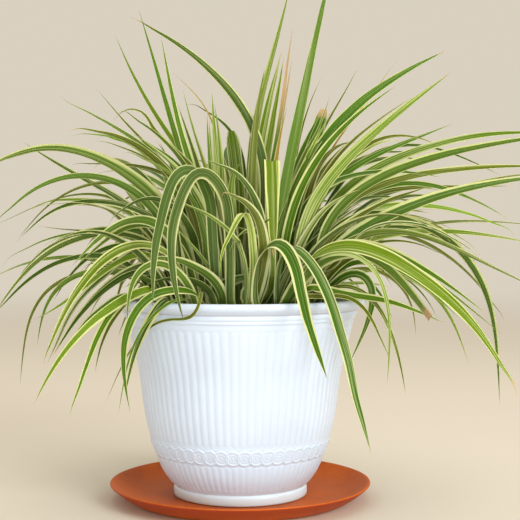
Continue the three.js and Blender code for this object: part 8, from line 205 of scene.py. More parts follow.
        (-114.1, 'g', 0.35, 0.31, 0, 0, 0, [10.8, -52.8, 176, 5.1, 2.67, 10.8, -52.8, 178, 5.3, 2.84, 13.8, -56.4, 188.8, 9.6, 3.51, 17.3, -60.6, 199.4, 15.1, 4.05, 21.4, -65.7, 211.6, 22.3, 4.44, 24.5, -69.5, 224.5, 29.1, 4.44, 25.3, -69.8, 232.4, 31.7, 4.43, 25.3, -69.9, 242.2, 34.6, 4.27, 23.5, -70.7, 253.9, 38.8, 3.88, 21.6, -71.9, 259.4, 42, 3.63, 18.9, -74.7, 263.9, 47.3, 3.34, 15.3, -78.6, 266.8, 55.9, 3.01, 11.2, -82.8, 267.7, 65.2, 2.65, 6, -88.9, 266.6, 70.9, 2.11, 3.1, -91.4, 264.9, 71.3, 1.82, -1.2, -91.1, 260.9, 71, 1.37, -4.6, -91.4, 256, 70.5, 0.88, -6.4, -94.2, 252.6, 70.2, 0.54, -8.5, -96, 247.7, 69.9, 0]),
        (-126.7, 'o', 0.20, 0.20, 0, 0, 0, [14.5, -51.6, 176, 6.3, 2.37, 16.3, -49.7, 190.3, 8.8, 3.29, 17.3, -50.1, 196.6, 10.2, 3.61, 18, -52.8, 200.6, 11.3, 3.83, 19.2, -59.1, 207.7, 14.6, 3.96, 20, -61.8, 215.3, 17.1, 3.96, 20.3, -64.5, 222.9, 18.2, 3.93, 20.2, -65.4, 227.6, 18.7, 3.84, 19.4, -65.5, 237.3, 19.6, 3.53, 17.4, -67, 249.9, 22.1, 2.88, 14.4, -69.2, 258.9, 26.9, 2.24, 10.1, -72, 265, 34.3, 1.62, 6.4, -73.8, 267.5, 40.4, 1.22, 2.1, -75.4, 269, 46.2, 0.78, -4, -77, 269.9, 50.1, 0.16, -4.6, -77.3, 268.4, 50.4, 0]),
    ]),
    'leaf_fan_back_right_02': (28.5, 49.6, [
        (37.8, 'd', 0.07, 0.07, 0, 0, 0, [27.5, 50.2, 176, 5.9, 3, 28.6, 51.4, 186.8, 7.9, 3.43, 30.5, 54, 194.2, 10.7, 4.54, 33.1, 58.9, 200, 14, 4.9, 35, 63.3, 202.8, 16.3, 5.13, 37.7, 67.6, 205.1, 18.8, 5.35, 41.5, 70.4, 207.7, 21.3, 5.56, 43.8, 71, 209.2, 22.6, 5.67, 53.4, 70.5, 215.5, 27.7, 5.75, 58.5, 71.3, 218, 30, 5.75, 63.3, 74, 219.5, 31.9, 5.75, 67, 78.3, 220, 33.5, 5.75, 70.1, 86, 221, 35.5, 5.75, 72.9, 92.9, 223.7, 37.3, 5.67, 76.1, 96.9, 225.4, 38.4, 5.58, 82.1, 102.3, 226.3, 39.5, 5.38, 90.6, 109.1, 225.7, 40.1, 5.02, 99.1, 115.5, 223.6, 40.2, 4.57, 107.6, 121.5, 220.2, 40.1, 4.04, 115.9, 126.8, 215.5, 39.9, 3.42, 123.9, 131.5, 209.7, 39.4, 2.73, 131.4, 135.5, 202.7, 38.8, 1.97, 138.2, 138.7, 194.9, 38.2, 1.14, 145.9, 142, 184.1, 37.6, 0]),
        (43.8, 'd', 0.32, 0.36, 0, 0, 0, [28.7, 49.9, 176, 1.1, 3, 28.7, 49.9, 177.9, 1.3, 3, 30.1, 48.1, 185.1, 3, 3.1, 31.6, 46.4, 192.3, 5.2, 4.69, 33.6, 45.8, 201.5, 7.9, 5.25, 35.1, 47.8, 210.6, 10.5, 5.64, 36.9, 51.2, 221.2, 13.2, 5.64, 39.1, 54.7, 231.8, 15.6, 5.63, 40.5, 58.3, 238.3, 16.9, 5.47, 42.9, 64.6, 247.3, 18.5, 5.03, 46.1, 68.9, 255.1, 19.5, 4.49, 51, 70.7, 263, 20.2, 3.82, 56.8, 71.3, 270.4, 20.7, 3.03, 61.4, 73.3, 276, 20.9, 2.31, 65, 77.8, 280.7, 20.9, 1.53, 69.2, 88.8, 287, 20.9, 0]),
        (54.5, 'd', 0.39, 0.33, 0, 0, 0, [26.2, 46.6, 176, 1.5, 3, 26.2, 46.6, 180.4, 1.7, 3, 36.1, 66.1, 208, 6.7, 4.24, 46.1, 84.3, 230.8, 11.5, 4.93, 50.5, 91, 241.2, 13.3, 5.09, 55.2, 100.1, 255.4, 15.6, 5.09, 59.3, 107.2, 265.5, 17.2, 5.09, 63.4, 112, 271.5, 18.1, 5.09, 68.4, 117.2, 276.7, 19, 5.09, 76.7, 125.7, 283.3, 20.2, 5.03, 85.1, 134.6, 288.6, 21.2, 4.89, 95.7, 147.6, 294, 22.2, 4.62, 108.6, 164.9, 298.2, 23.1, 4.16, 118.8, 179.2, 299.5, 23.4, 3.7, 129.2, 193.4, 298.9, 23.4, 3.18, 139.4, 207.5, 296.2, 23.3, 2.58, 149.6, 221.1, 291.6, 22.8, 1.92, 171.7, 250.5, 276.9, 21.6, 0.21, 173.8, 253.2, 274.2, 21.6, 0]),
        (45.1, 'd', 0.36, 0.33, 0, 0, 0, [30.7, 51.9, 176, 0.1, 2.62, 30.7, 51.9, 179.9, 0.1, 2.8, 40.4, 70.7, 207.6, 0.6, 3.72, 49.2, 83.2, 225, 1, 4.23, 58.1, 93.3, 239.1, 1.5, 4.37, 67.3, 99.9, 249.7, 2, 4.37, 81.6, 106.8, 261, 2.7, 4.37, 92.9, 114.1, 268.7, 3.3, 4.28, 100.3, 121.4, 273.4, 3.9, 4.14, 109.6, 132.7, 277.7, 4.7, 3.89, 119.4, 144.5, 280, 5.6, 3.57, 129.8, 155.9, 280.8, 6.6, 3.18, 140.7, 166.9, 280.1, 7.6, 2.72, 151.8, 177.5, 278, 8.8, 2.21, 162.9, 187.7, 274.7, 10, 1.65, 187.8, 209.9, 264.3, 12.5, 0.18, 190.4, 212.1, 262.5, 12.6, 0]),
        (62.3, 'o', 0.22, 0.22, 0.3, 0, 0, [29.1, 46.5, 176, 5.4, 1.6, 28.7, 44.9, 196.1, 7.5, 1.99, 28.5, 45, 204.2, 8.8, 2.1, 28.1, 48.5, 224.2, 12.4, 2.38, 28, 49.2, 232.2, 13.8, 2.48, 27.9, 45.6, 252.1, 17.4, 2.66, 28, 45.7, 260.2, 18.7, 2.66, 28.2, 47.9, 268, 19.9, 2.66, 30.1, 61, 297.6, 21.8, 2.66, 32.6, 68, 320.6, 21.8, 2.53, 35.4, 72.4, 340.2, 21.2, 2.33, 38.5, 76.4, 359.8, 20.1, 2.06, 43.8, 82.5, 391.1, 17.5, 1.51, 49.3, 88.7, 422.3, 14, 0.82, 54.6, 95, 453.6, 10.9, 0]),
    ]),
    'leaf_fan_left_02': (-55.6, -17.7, [
        (-175.0, 'o', 0.36, 0.30, 0, 0, 0, [-51.8, -17.4, 176, -0.3, 3, -51.8, -17.4, 179.1, -0.3, 3, -52.8, -19.1, 181.6, -0.4, 3, -56.1, -24.6, 192.3, -0.9, 4.71, -59.7, -28.6, 203.6, -1.5, 5.24, -64.2, -28.7, 218.5, -2.2, 5.83, -71.2, -28.5, 235.9, -2.8, 6.14, -79.1, -29.4, 249.3, -3.3, 6.14, -86.5, -30.2, 259.3, -3.5, 6.14, -95.1, -31.1, 268.4, -3.6, 6.01, -104.6, -32, 276.4, -3.6, 5.75, -115.1, -32.8, 283.1, -3.5, 5.37, -126.4, -33.5, 288.3, -3.3, 4.88, -138.3, -33.9, 292.1, -3, 4.31, -150.6, -34, 294.2, -2.7, 3.66, -163.1, -33.7, 294.7, -2.2, 2.92, -175.5, -33.1, 293.7, -1.6, 2.1, -200, -31.1, 289.1, -0.6, 0.25, -202.7, -30.6, 287.6, -0.6, 0]),
        (-165.1, 'd', 0.10, 0.10, 0, 0, 0, [-58.7, -18.6, 176, -13.6, 2.84, -61.1, -19.2, 189, -15.5, 3.52, -64.8, -20.1, 201.7, -19.5, 4.03, -69.4, -21, 211.3, -23.5, 4.4, -74.2, -21.8, 217.6, -26.9, 4.66, -80.2, -22.8, 222.6, -30.5, 4.73, -87.4, -24.2, 225.8, -33.7, 4.73, -95, -26.1, 226.9, -35.4, 4.73, -102.6, -28.4, 226, -35.3, 4.73, -112.2, -31.3, 222.6, -34.3, 4.66, -121.1, -34.1, 217.4, -33.4, 4.48, -131.4, -37, 209.5, -32.6, 4.13, -140.9, -39.7, 200.6, -32.3, 3.66, -149.7, -42.1, 191, -32.5, 3.07, -159.4, -44.8, 178.6, -33.2, 2.25, -168.1, -47.3, 165.4, -34.5, 1.28, -177.2, -50, 149.4, -35.9, 0]),
        (-169.1, 'g', 0.11, 0.11, 0, 0, 0, [-57.8, -15.9, 176, 15.4, 2.73, -57.8, -15.9, 180.2, 15.7, 2.91, -59.1, -10.9, 196.2, 20.1, 3.39, -60.1, -10, 208.6, 25, 3.69, -63.8, -14.5, 237.4, 37.5, 4.32, -66.6, -15.9, 249.6, 43.2, 4.55, -70.5, -17.4, 261.5, 48.7, 4.55, -77.6, -19.6, 276.5, 54.2, 4.55, -87, -21.9, 290.1, 56.2, 4.55, -98.8, -24.4, 301.8, 56.4, 4.49, -112.6, -27.1, 310.9, 56.1, 4.31, -127.9, -29.9, 317.1, 55.5, 4.05, -144.1, -32.8, 320.2, 54.7, 3.71, -160.6, -35.8, 320, 53.6, 3.31, -176.7, -38.8, 316.6, 52.3, 2.83, -191.9, -41.7, 310.2, 50.9, 2.3, -205.8, -44.3, 301.2, 49.2, 1.71, -218.3, -46.8, 290.2, 47.5, 1.07, -232.6, -49.6, 275.2, 45.7, 0.19, -234.1, -50, 271.3, 45.6, 0]),
        (-179.3, 'd', 0.34, 0.28, 0, 0, 0, [-54.6, -17.7, 176, 14.3, 2.67, -56.9, -18.1, 195.3, 17.4, 3.32, -60.9, -18.3, 214.3, 23.2, 3.8, -66.4, -17.9, 228.8, 28.8, 4.14, -74.7, -17.2, 242, 34.9, 4.45, -82.8, -17.1, 250.3, 39.6, 4.45, -89.1, -17.2, 254.9, 42.4, 4.45, -95.9, -17.4, 258.6, 44.6, 4.45, -106.9, -17.8, 262.4, 46.3, 4.45, -122.3, -18.2, 264.7, 47.1, 4.42, -137.8, -18.6, 264.1, 47.9, 4.27, -156.8, -18.9, 260.2, 49.3, 3.97, -174.9, -19.2, 253.2, 51.4, 3.54, -188.4, -19.3, 245.4, 53.4, 3.13, -200.8, -19.5, 236, 55.8, 2.65, -214.6, -19.6, 222.4, 59.1, 1.97, -229.1, -19.8, 204.1, 63.3, 1.05, -242.2, -20, 184.9, 66.2, 0]),
        (170.2, 'd', 0.29, 0.34, 0, 0, 0, [-56.2, -19.5, 176, 18.9, 2.58, -56.5, -19.5, 187.8, 22.3, 3.1, -58.7, -19.1, 196.3, 26.9, 3.39, -61.5, -18.6, 201.4, 30.4, 3.58, -73.3, -16.4, 218.2, 44.1, 4.16, -78.8, -15.5, 225.1, 50.5, 4.3, -85.6, -14.4, 230.6, 56.5, 4.3, -90.9, -13.5, 232.8, 59.8, 4.3, -96.7, -12.6, 232.5, 61.9, 4.3, -107.6, -10.8, 228.5, 63.1, 4.3, -120.4, -8.7, 221.5, 62.8, 4.17, -130, -7.1, 214.8, 61.8, 3.96, -138.8, -5.6, 207.1, 60.8, 3.68, -154.8, -2.8, 190, 59.4, 2.91, -165.8, -0.8, 176.3, 58.8, 2.18, -177.3, 1.3, 159.3, 58.5, 1.17, -188.3, 3.3, 142, 58.7, 0]),
        (170.1, 'd', 0.55, 0.60, 0, 0, 0, [-55.3, -18.2, 176, 18.8, 2.26, -55.8, -17.9, 201.7, 26.5, 2.97, -57.2, -18.1, 216.1, 33.5, 3.28, -59.4, -19.9, 226.6, 39.2, 3.5, -63.5, -21.5, 236.6, 45.3, 3.71, -65.5, -21, 239.6, 47.4, 3.76, -70.4, -18.4, 244.7, 51.6, 3.76, -79.8, -12.3, 249.6, 57.2, 3.76, -86.8, -9.2, 251, 59.8, 3.76, -90.3, -8.4, 250.9, 60.7, 3.76, -97.3, -8.1, 249.5, 61.7, 3.76, -107.1, -8.3, 245.3, 61.9, 3.75, -119.3, -7.1, 237.6, 61.1, 3.65, -135.3, -4.5, 222.7, 59.6, 3.35, -151.6, -1.8, 208.1, 58.7, 2.91, -159, -0.5, 200.1, 58.3, 2.64, -167.7, 1, 188.4, 57.8, 2.24, -173.3, 2, 179, 57.6, 1.91, -184, 4, 155.8, 57.9, 1.02, -194.9, 6.1, 132.6, 58.7, 0]),
    ]),
    'leaf_fan_right_04': (54, -25, [
        (-3.3, 'o', 0.16, 0.16, 0, 0, 0, [53, -24.9, 176, 14.1, 3, 53.1, -24.9, 178.2, 14.3, 3, 60.3, -22.9, 189.1, 18.9, 4.39, 62.8, -22.6, 192.7, 21.1, 5.34, 65.3, -23.4, 196.2, 23.5, 6.29, 68.5, -27.1, 200.8, 27.4, 6.91, 71.6, -30.8, 205.3, 31.6, 7.32, 73.8, -32.5, 208.5, 34.6, 7.42, 76.1, -37.2, 212.4, 38.9, 7.42, 77.5, -41, 214.9, 41.3, 7.42, 78.5, -42.4, 216.4, 42.1, 7.42, 79.7, -42.7, 218.2, 42.8, 7.42, 82.2, -40.9, 221.4, 43.5, 7.42, 86.2, -37.8, 225.8, 43.9, 7.41, 89.1, -37.3, 229, 44, 7.33, 93.9, -37.4, 233.6, 44.3, 7.13, 104.6, -37.1, 241.3, 45.6, 6.49, 112.4, -36.3, 245, 46.8, 5.91, 116.1, -34.5, 246.1, 47.6, 5.57, 117.7, -33.1, 246.4, 48, 5.4, 119.9, -29.3, 246.5, 48.9, 5.03, 123.5, -20.4, 245.5, 51, 4.21, 126, -17, 244.1, 52.1, 3.76, 127.7, -16.4, 242.9, 52.7, 3.53, 130.8, -17.7, 240.1, 53.9, 3.05, 134.3, -21.6, 235.9, 55.8, 2.28, 141.1, -29.9, 224.8, 59.7, 0.3, 141.6, -30, 222.7, 59.9, 0]),
        (-8.7, 'p', 0.08, 0.08, 0, 0, 0, [55.4, -27.4, 176, -18.5, 3, 55.3, -26.8, 184.5, -19.4, 3, 55.2, -26.7, 193.1, -21.3, 4.66, 55, -28.7, 201.5, -23.9, 4.96, 54.9, -33.1, 213.7, -28.4, 5.37, 55.1, -34.3, 222.2, -31.8, 5.64, 55.9, -32.3, 234.9, -37.2, 6.01, 57.4, -28.9, 247.2, -42.9, 6.37, 58.9, -27.5, 255.6, -46.8, 6.46, 61.9, -27.3, 268.1, -52.5, 6.46, 66, -28.4, 280.3, -56.6, 6.46, 71.1, -29.8, 292, -58.3, 6.46, 77.3, -31.2, 303.2, -58.4, 6.44, 84.4, -32.6, 313.8, -58.2, 6.32, 95, -34.3, 327.2, -58.2, 6.04, 106.5, -36, 339.9, -58.3, 5.64, 121.9, -38.2, 354.7, -58.8, 5, 138, -40.5, 368.7, -59.6, 4.2, 154.5, -43, 382.2, -60.8, 3.27, 178.2, -46.5, 400.4, -62.8, 1.75, 202.1, -50, 418.3, -64.4, 0]),
        (2.1, 'o', 0.10, 0.44, 0, 0, 0, [50.2, -25.1, 176, 15.4, 2.71, 50.3, -25, 179.1, 15.7, 2.89, 53.8, -18.9, 192.9, 21.6, 3.47, 55.4, -17.8, 198.8, 24.9, 3.67, 56.2, -18, 201.8, 26.6, 3.76, 57.8, -20.4, 207.3, 30.1, 3.94, 60.9, -28, 217, 37.5, 4.29, 63, -30.5, 222.2, 41.3, 4.46, 68.2, -33.4, 233, 48.8, 4.52, 76, -37.3, 245.9, 55.4, 4.52, 79.6, -38, 250.8, 56.5, 4.52, 83.5, -37.2, 255.6, 57, 4.52, 85.4, -36, 257.8, 57.2, 4.51, 88.8, -32.2, 261.4, 57.3, 4.46, 93.4, -25.2, 265.4, 57.4, 4.34, 97.1, -21.3, 268.2, 57.5, 4.23, 101.5, -18.7, 271.4, 57.4, 4.1, 109.1, -17.1, 276.6, 57.4, 3.87, 130.3, -18.4, 289.5, 56.7, 3.06, 149.9, -19.5, 298.7, 55.7, 2.15, 170.5, -20, 305.5, 54.4, 1.06, 185.6, -20.1, 309.2, 53.6, 0.18, 188.6, -20, 308.8, 53.6, 0]),
        (2.9, 'o', 0.16, 0.16, 0, 0, 0, [57.2, -24.8, 176, 15.5, 1.39, 57.2, -24.8, 178, 15.9, 1.48, 60, -26.3, 187.2, 22.1, 1.77, 63.6, -30.3, 195.3, 30.9, 2.02, 68.7, -35.6, 201.4, 40.4, 2.24, 73.4, -41.4, 204.6, 48.1, 2.31, 76.8, -42.6, 206, 51.6, 2.31, 78.5, -41.8, 206.5, 53.2, 2.31, 86, -32.3, 207.2, 57.8, 2.31, 89.4, -30.4, 207.2, 58, 2.31, 95, -28.9, 207, 58, 2.26, 100.9, -28.6, 206.6, 57.8, 2.19, 106.6, -29.6, 206, 57.4, 2.1, 117.2, -34.5, 204.4, 56.2, 1.84, 120.8, -35.3, 203.1, 55.7, 1.74, 125.5, -33.1, 200.1, 54.8, 1.56, 131.5, -27.7, 194.5, 52.9, 1.24, 136.4, -24.4, 189.4, 51.2, 0.95, 142.8, -21.8, 182.5, 48.9, 0.54, 150.7, -20, 174, 46.8, 0]),
    ]),
    'leaf_fan_back_left_04': (-23.4, 55.9, [
        (123.5, 'd', 0.11, 0.11, 0, 0, 0, [-21.3, 52.8, 176, -0.2, 3, -21.3, 52.8, 180.3, -0.2, 3, -23.4, 58, 186.7, -0.3, 3.75, -32.8, 79.3, 217.6, -1.2, 4.81, -38.2, 88.8, 230.8, -1.6, 5.22, -43.1, 96.7, 239.7, -1.9, 5.39, -50.4, 107.8, 250.7, -2.3, 5.39, -54.7, 112.6, 256.6, -2.5, 5.39, -64.3, 119.3, 268.9, -2.9, 5.39, -69.6, 123, 274.3, -3.1, 5.38, -87.6, 139.7, 291.8, -3.7, 5.04, -97.2, 150.9, 300.7, -4.1, 4.71, -104.1, 160.8, 305.2, -4.4, 4.4, -110.8, 171.5, 307.9, -4.7, 4.05, -117.4, 182.5, 309.3, -5, 3.65, -125.9, 197.4, 309.1, -5.3, 3.05, -132.1, 208.6, 307.7, -5.6, 2.56, -139.9, 223.5, 304.4, -6, 1.85, -154.7, 252.9, 294.6, -6.6, 0.22, -156.2, 256.3, 292.4, -6.6, 0]),
        (128.2, 'g', 0.32, 0.29, 0, 0, 0, [-25.4, 58.5, 176, 0.6, 2.84, -25.4, 58.5, 179.7, 0.7, 3, -34.4, 75.3, 202.5, 2.6, 3.94, -39.9, 85.2, 212.1, 3.7, 4.32, -48.5, 98.4, 221.8, 4.9, 4.74, -59.9, 111.1, 229.3, 5.9, 4.74, -70.1, 121.2, 232.8, 6.5, 4.74, -77.7, 129.3, 233.5, 6.9, 4.74, -86.5, 141.2, 231.9, 7.2, 4.64, -94.1, 153.2, 228, 7.3, 4.44, -103.3, 167.4, 220.3, 7.2, 4.06, -110.8, 177.5, 212.4, 6.9, 3.67, -118.1, 186.3, 202.8, 6.5, 3.21, -125.1, 193.7, 192, 5.8, 2.69, -133.1, 201.3, 177.1, 4.8, 1.94, -141.5, 208.7, 157.8, 3.5, 0.94, -146.8, 213, 144.7, 2.7, 0.19, -147.7, 213.6, 141.1, 2.7, 0]),
        (128.9, 'l', 0.33, 0.33, 0, 0, 0, [-23.7, 56.3, 176, -1.1, 2.7, -23.7, 56.3, 179.4, -1.3, 2.88, -25.5, 61.7, 195.3, -3.5, 3.46, -26.9, 65.7, 204.5, -5.1, 3.75, -30.8, 73.4, 219.1, -7.7, 4.19, -38.2, 82.2, 235.8, -10.4, 4.5, -45.8, 91.5, 247.7, -12.1, 4.5, -54.5, 101.8, 257.7, -13.3, 4.5, -60.3, 108.6, 262.2, -13.7, 4.45, -71.2, 121.5, 268, -14, 4.21, -78, 128.7, 270.1, -13.9, 4.01, -81.9, 133.9, 270.1, -13.6, 3.85, -92.8, 150.3, 267.3, -12.5, 3.27, -103.2, 162.8, 262.9, -10.9, 2.68, -111.7, 171.8, 257.4, -9.3, 2.14, -119.8, 180.1, 250.3, -7.5, 1.54, -135.1, 195, 233.7, -3.9, 0.18, -136.6, 196.3, 231, -3.8, 0]),
        (131.4, 'b', 0.34, 0.35, 0, 0, 0, [-22.8, 56.8, 176, -1.7, 2.57, -23.1, 57.3, 188.7, -2.3, 3.09, -24.1, 58.8, 198, -3.1, 3.39, -29.6, 64.9, 218.4, -5.1, 3.99, -33.4, 71.6, 233.3, -6.6, 4.29, -33.8, 74.7, 243.2, -7.5, 4.29, -35, 75.7, 252.5, -8.3, 4.29, -40, 78, 263.6, -9, 4.29, -46.6, 84.6, 279.9, -9.8, 4.16, -56.8, 96.2, 304.1, -10.7, 3.59, -68.4, 109.3, 326.7, -11.5, 2.67, -81.4, 123.8, 347.6, -12.3, 1.47, -95.8, 139.5, 366.6, -12.7, 0]),
        (155.7, 'o', 0.20, 0.20, 0, 0, 0, [-20.3, 56.9, 176, -12.5, 1.31, -20.3, 56.9, 180.2, -12.9, 1.4, -24.3, 61.8, 204.8, -20.4, 1.72, -30, 68.7, 233, -32.5, 2.03, -33, 70.6, 245.2, -37.9, 2.15, -37.8, 71.1, 261.4, -45.1, 2.18, -43.5, 71.6, 277.4, -51, 2.18, -48.5, 72.9, 288.9, -53.6, 2.18, -56.3, 75.6, 303.7, -55.5, 2.17, -65.2, 79.4, 317.5, -56.9, 2.09, -77.8, 84.9, 333.6, -58.2, 1.94, -91.4, 90.9, 348.6, -58.7, 1.74, -108.4, 98.2, 366, -58.2, 1.42, -128.1, 106.5, 386.4, -56.4, 0.97, -144.3, 113.3, 404.8, -54.6, 0.51, -160.2, 120, 423.3, -53.4, 0]),
    ]),
    'leaf_fan_front_left_03': (-20.9, -58.1, [
        (-121.2, 'd', 0.25, 0.12, 0, 0, 0, [-19.9, -60.8, 176, 5.7, 2.04, -20.2, -60.7, 188.8, 6.5, 2.37, -21.5, -61.3, 201.6, 8, 4.03, -23.2, -67.5, 230.9, 15.9, 4.85, -25.1, -69.2, 260.8, 28.1, 5.26, -25.8, -71.8, 273.3, 32.8, 5.3, -26.7, -76.7, 289.7, 38.7, 5.37, -28, -80.7, 297.2, 43.3, 5.4, -31.6, -88.8, 306.5, 55, 5.44, -37.4, -101.1, 316.8, 79.8, 5.47, -41.9, -107.3, 320.6, 94, 5.37, -44.8, -110.3, 321.4, 101.1, 5.31, -48, -113.1, 321.2, 107.8, 5.26, -51.3, -115.4, 319.8, 113.9, 5.21, -54.3, -117.3, 317.3, 119.1, 5.15, -58.9, -119.9, 310.6, 126.7, 5.05, -61.9, -121.5, 302.8, 130.9, 4.94, -69.1, -127.7, 274.4, 137.7, 4.35, -73.4, -134.4, 249.9, 140.4, 3.34, -74.6, -140.5, 229.4, 141.2, 2.26, -74.1, -149.3, 200.8, 141.7, 0]),
        (-134.4, 'g', 0.15, 0.43, 0, 0, 0, [-20.2, -57.4, 176, 7, 3, -19.6, -58.1, 179.3, 7.1, 3, -17.2, -61.2, 187.4, 8.1, 3.77, -15.2, -64.6, 195.5, 10.2, 4.87, -14.5, -67, 200.1, 12.3, 5.18, -14.5, -69.3, 202.7, 14.2, 5.38, -15, -73.2, 206.7, 17.7, 5.45, -16, -74.9, 209.7, 20.3, 5.45, -19.1, -76.7, 215.9, 24.7, 5.45, -24.2, -80.2, 222.4, 28.1, 5.44, -30, -84.6, 227.6, 30.7, 5.24, -36.4, -89.3, 231.9, 33.4, 4.86, -44.4, -94.8, 236.4, 36.7, 4.22, -52.9, -100.4, 240, 40.7, 3.4, -60.3, -105.1, 241.9, 43.6, 2.59, -66.2, -109.1, 242.6, 45, 1.87, -78.2, -117, 242.1, 47.2, 0.22, -79.5, -118, 241.3, 47.3, 0]),
        (-161.6, 'd', 0.07, 0.07, 0, 0, 0, [-23.9, -59.3, 176, 12.5, 2.41, -22.8, -62, 186, 16.7, 3.17, -22.6, -65.5, 194.3, 23.3, 3.66, -23.2, -66.6, 198.6, 27.3, 3.88, -24.5, -66.3, 202.8, 31.7, 4.01, -26.4, -66.4, 206.8, 36.2, 4.01, -28.8, -67.9, 210.4, 39.8, 4.01, -32.6, -70.5, 214.2, 41.8, 4.01, -38.2, -73.7, 218, 41.6, 3.93, -43.3, -76.1, 220.1, 40.9, 3.76, -48.9, -77.7, 221.6, 40.2, 3.51, -57.8, -78.8, 222.7, 39.3, 3.01, -66.5, -81.3, 222.4, 38.6, 2.39, -71, -81.6, 221.7, 38.4, 2.03, -79.5, -79.8, 219.1, 37.9, 1.23, -90, -80.8, 213.7, 37.6, 0]),
        (-135.0, 'p', 0.18, 0.18, 0, 0, 0, [-18.2, -55.4, 176, 7.7, 1.26, -17.6, -56.2, 186.6, 9.4, 1.61, -17.4, -57.2, 195.5, 12.3, 1.83, -18.6, -58.9, 207.8, 17.8, 2.1, -22.3, -60.9, 219.5, 23.7, 2.1, -28.9, -61.9, 232, 25.6, 2.07, -31.2, -64.5, 236, 26.1, 2.01, -35.9, -76, 243.4, 28.2, 1.75, -40.6, -83, 249.9, 30.1, 1.47, -48.5, -90, 259.5, 32.6, 1, -54.9, -94.6, 266.7, 34.9, 0.57, -62.7, -100, 274.8, 37.1, 0]),
    ]),
    'leaf_fan_right_05': (55.6, 29.2, [
        (-5.2, 'l', 0.31, 0.33, 0, 0, 0, [54.7, 29.5, 176, -4.7, 3, 55.8, 29.6, 185.3, -4.9, 3.08, 59, 30.6, 197.2, -5.4, 4.26, 63.1, 33, 205.1, -6, 4.6, 67, 34.8, 209.8, -6.6, 4.81, 71.6, 35.4, 214.3, -7.2, 5.02, 75.8, 34.3, 219, -7.9, 5.22, 80.9, 31.3, 226.6, -9.1, 5.39, 86.2, 29.7, 233.9, -10.4, 5.39, 103, 29, 252.1, -12, 5.39, 116.9, 28.4, 264.7, -12.6, 5.18, 139.6, 26.8, 281.1, -14.9, 4.4, 161.3, 24.5, 293.1, -18.5, 3.36, 187.2, 20.5, 303.4, -23.9, 1.85, 213.8, 15.1, 310.4, -28.8, 0]),
        (27.3, 'd', 0.16, 0.16, 0, 0, 0, [52.2, 27.5, 176, 9.6, 2.84, 52.2, 27.5, 179.5, 9.7, 3, 53, 29, 186.3, 10, 3.29, 54, 32.2, 196.1, 10.9, 3.63, 54.7, 35.7, 202.2, 11.7, 3.83, 56.4, 44.1, 213.1, 13.9, 4.22, 56.9, 45.6, 216.2, 14.5, 4.31, 57.5, 46.2, 219.6, 15.2, 4.4, 58.7, 44.4, 226.1, 16.8, 4.57, 60.8, 39.4, 235.1, 19.5, 4.73, 61.8, 38.5, 238.3, 20.5, 4.73, 64.1, 38.8, 244.8, 22.5, 4.73, 66.7, 41.2, 250.8, 24.2, 4.73, 71.4, 45.2, 259.2, 25.8, 4.73, 77.2, 47.8, 267.5, 26.5, 4.72, 86.6, 48.6, 277.7, 27.1, 4.63, 100.3, 48.8, 288.4, 28.4, 4.36, 109.4, 49.9, 293.5, 29.5, 4.13, 118.8, 52.2, 297.5, 30.8, 3.86, 131.4, 56.8, 301.2, 32.1, 3.44, 140.5, 61.6, 302.7, 32.5, 3.07, 151.6, 70, 303.2, 32.7, 2.54, 167.4, 83.6, 301.3, 33, 1.62, 181.5, 93.3, 297.7, 33.5, 0.75, 190.1, 98.6, 295.2, 33.7, 0.19, 192.9, 100, 293.6, 33.7, 0]),
        (17.2, 'g', 0.12, 0.12, 0, 0, 0, [57.7, 28.6, 176, 11.7, 2.33, 57.8, 26.5, 201.4, 13.8, 3.21, 57.9, 27.1, 209.9, 15.3, 3.4, 58.7, 29.9, 226.6, 21.8, 3.74, 59.3, 30.3, 235.1, 27.3, 3.9, 61.3, 27.9, 251.8, 40.5, 4.19, 63, 27.5, 260.1, 47.2, 4.19, 65.2, 28.9, 268.2, 53.3, 4.19, 71.1, 35, 282.9, 62.9, 4.19, 77.1, 39, 293.4, 67, 4.19, 84.4, 41.6, 303.6, 68.8, 4.16, 92.7, 43.7, 313, 70.1, 4.06, 105.2, 46.6, 324.1, 71.9, 3.86, 115.4, 49.2, 331.4, 73.1, 3.66, 129.5, 53, 340, 74.6, 3.33, 159.2, 61.4, 354.3, 76.4, 2.49, 189.7, 70.2, 366.7, 77.1, 1.43, 224, 80, 380.4, 76.9, 0]),
        (24.3, 'd', 0.29, 0.30, 0, 0, 0, [56.9, 31.9, 176, 8.7, 2.52, 56.9, 31.9, 179.1, 8.8, 2.69, 59, 32.7, 188.2, 9.9, 3.03, 63.7, 33.5, 199.6, 12.4, 3.41, 67.5, 33.7, 204.5, 13.8, 3.58, 72.2, 34.3, 208.8, 15.4, 3.75, 79.1, 37.6, 215.2, 17.8, 3.99, 81.8, 41, 220.3, 19.5, 4.15, 82.9, 43.6, 226.1, 21.4, 4.2, 85, 45, 238.3, 25.1, 4.2, 88.1, 46.4, 247, 27.4, 4.2, 94.5, 50.5, 256.9, 29.4, 4.2, 104.7, 57.2, 266.7, 31.9, 4.08, 114.1, 62.1, 273.3, 34.4, 3.88, 124.5, 66.1, 279.2, 37.1, 3.6, 135.6, 69.7, 283.6, 40.1, 3.25, 150, 74.9, 287.4, 43.4, 2.74, 161.4, 79.8, 289, 45.8, 2.26, 175.7, 86.3, 289.1, 49, 1.58, 190, 92.5, 288, 52.4, 0.83, 204.4, 98.4, 285.8, 54.6, 0]),
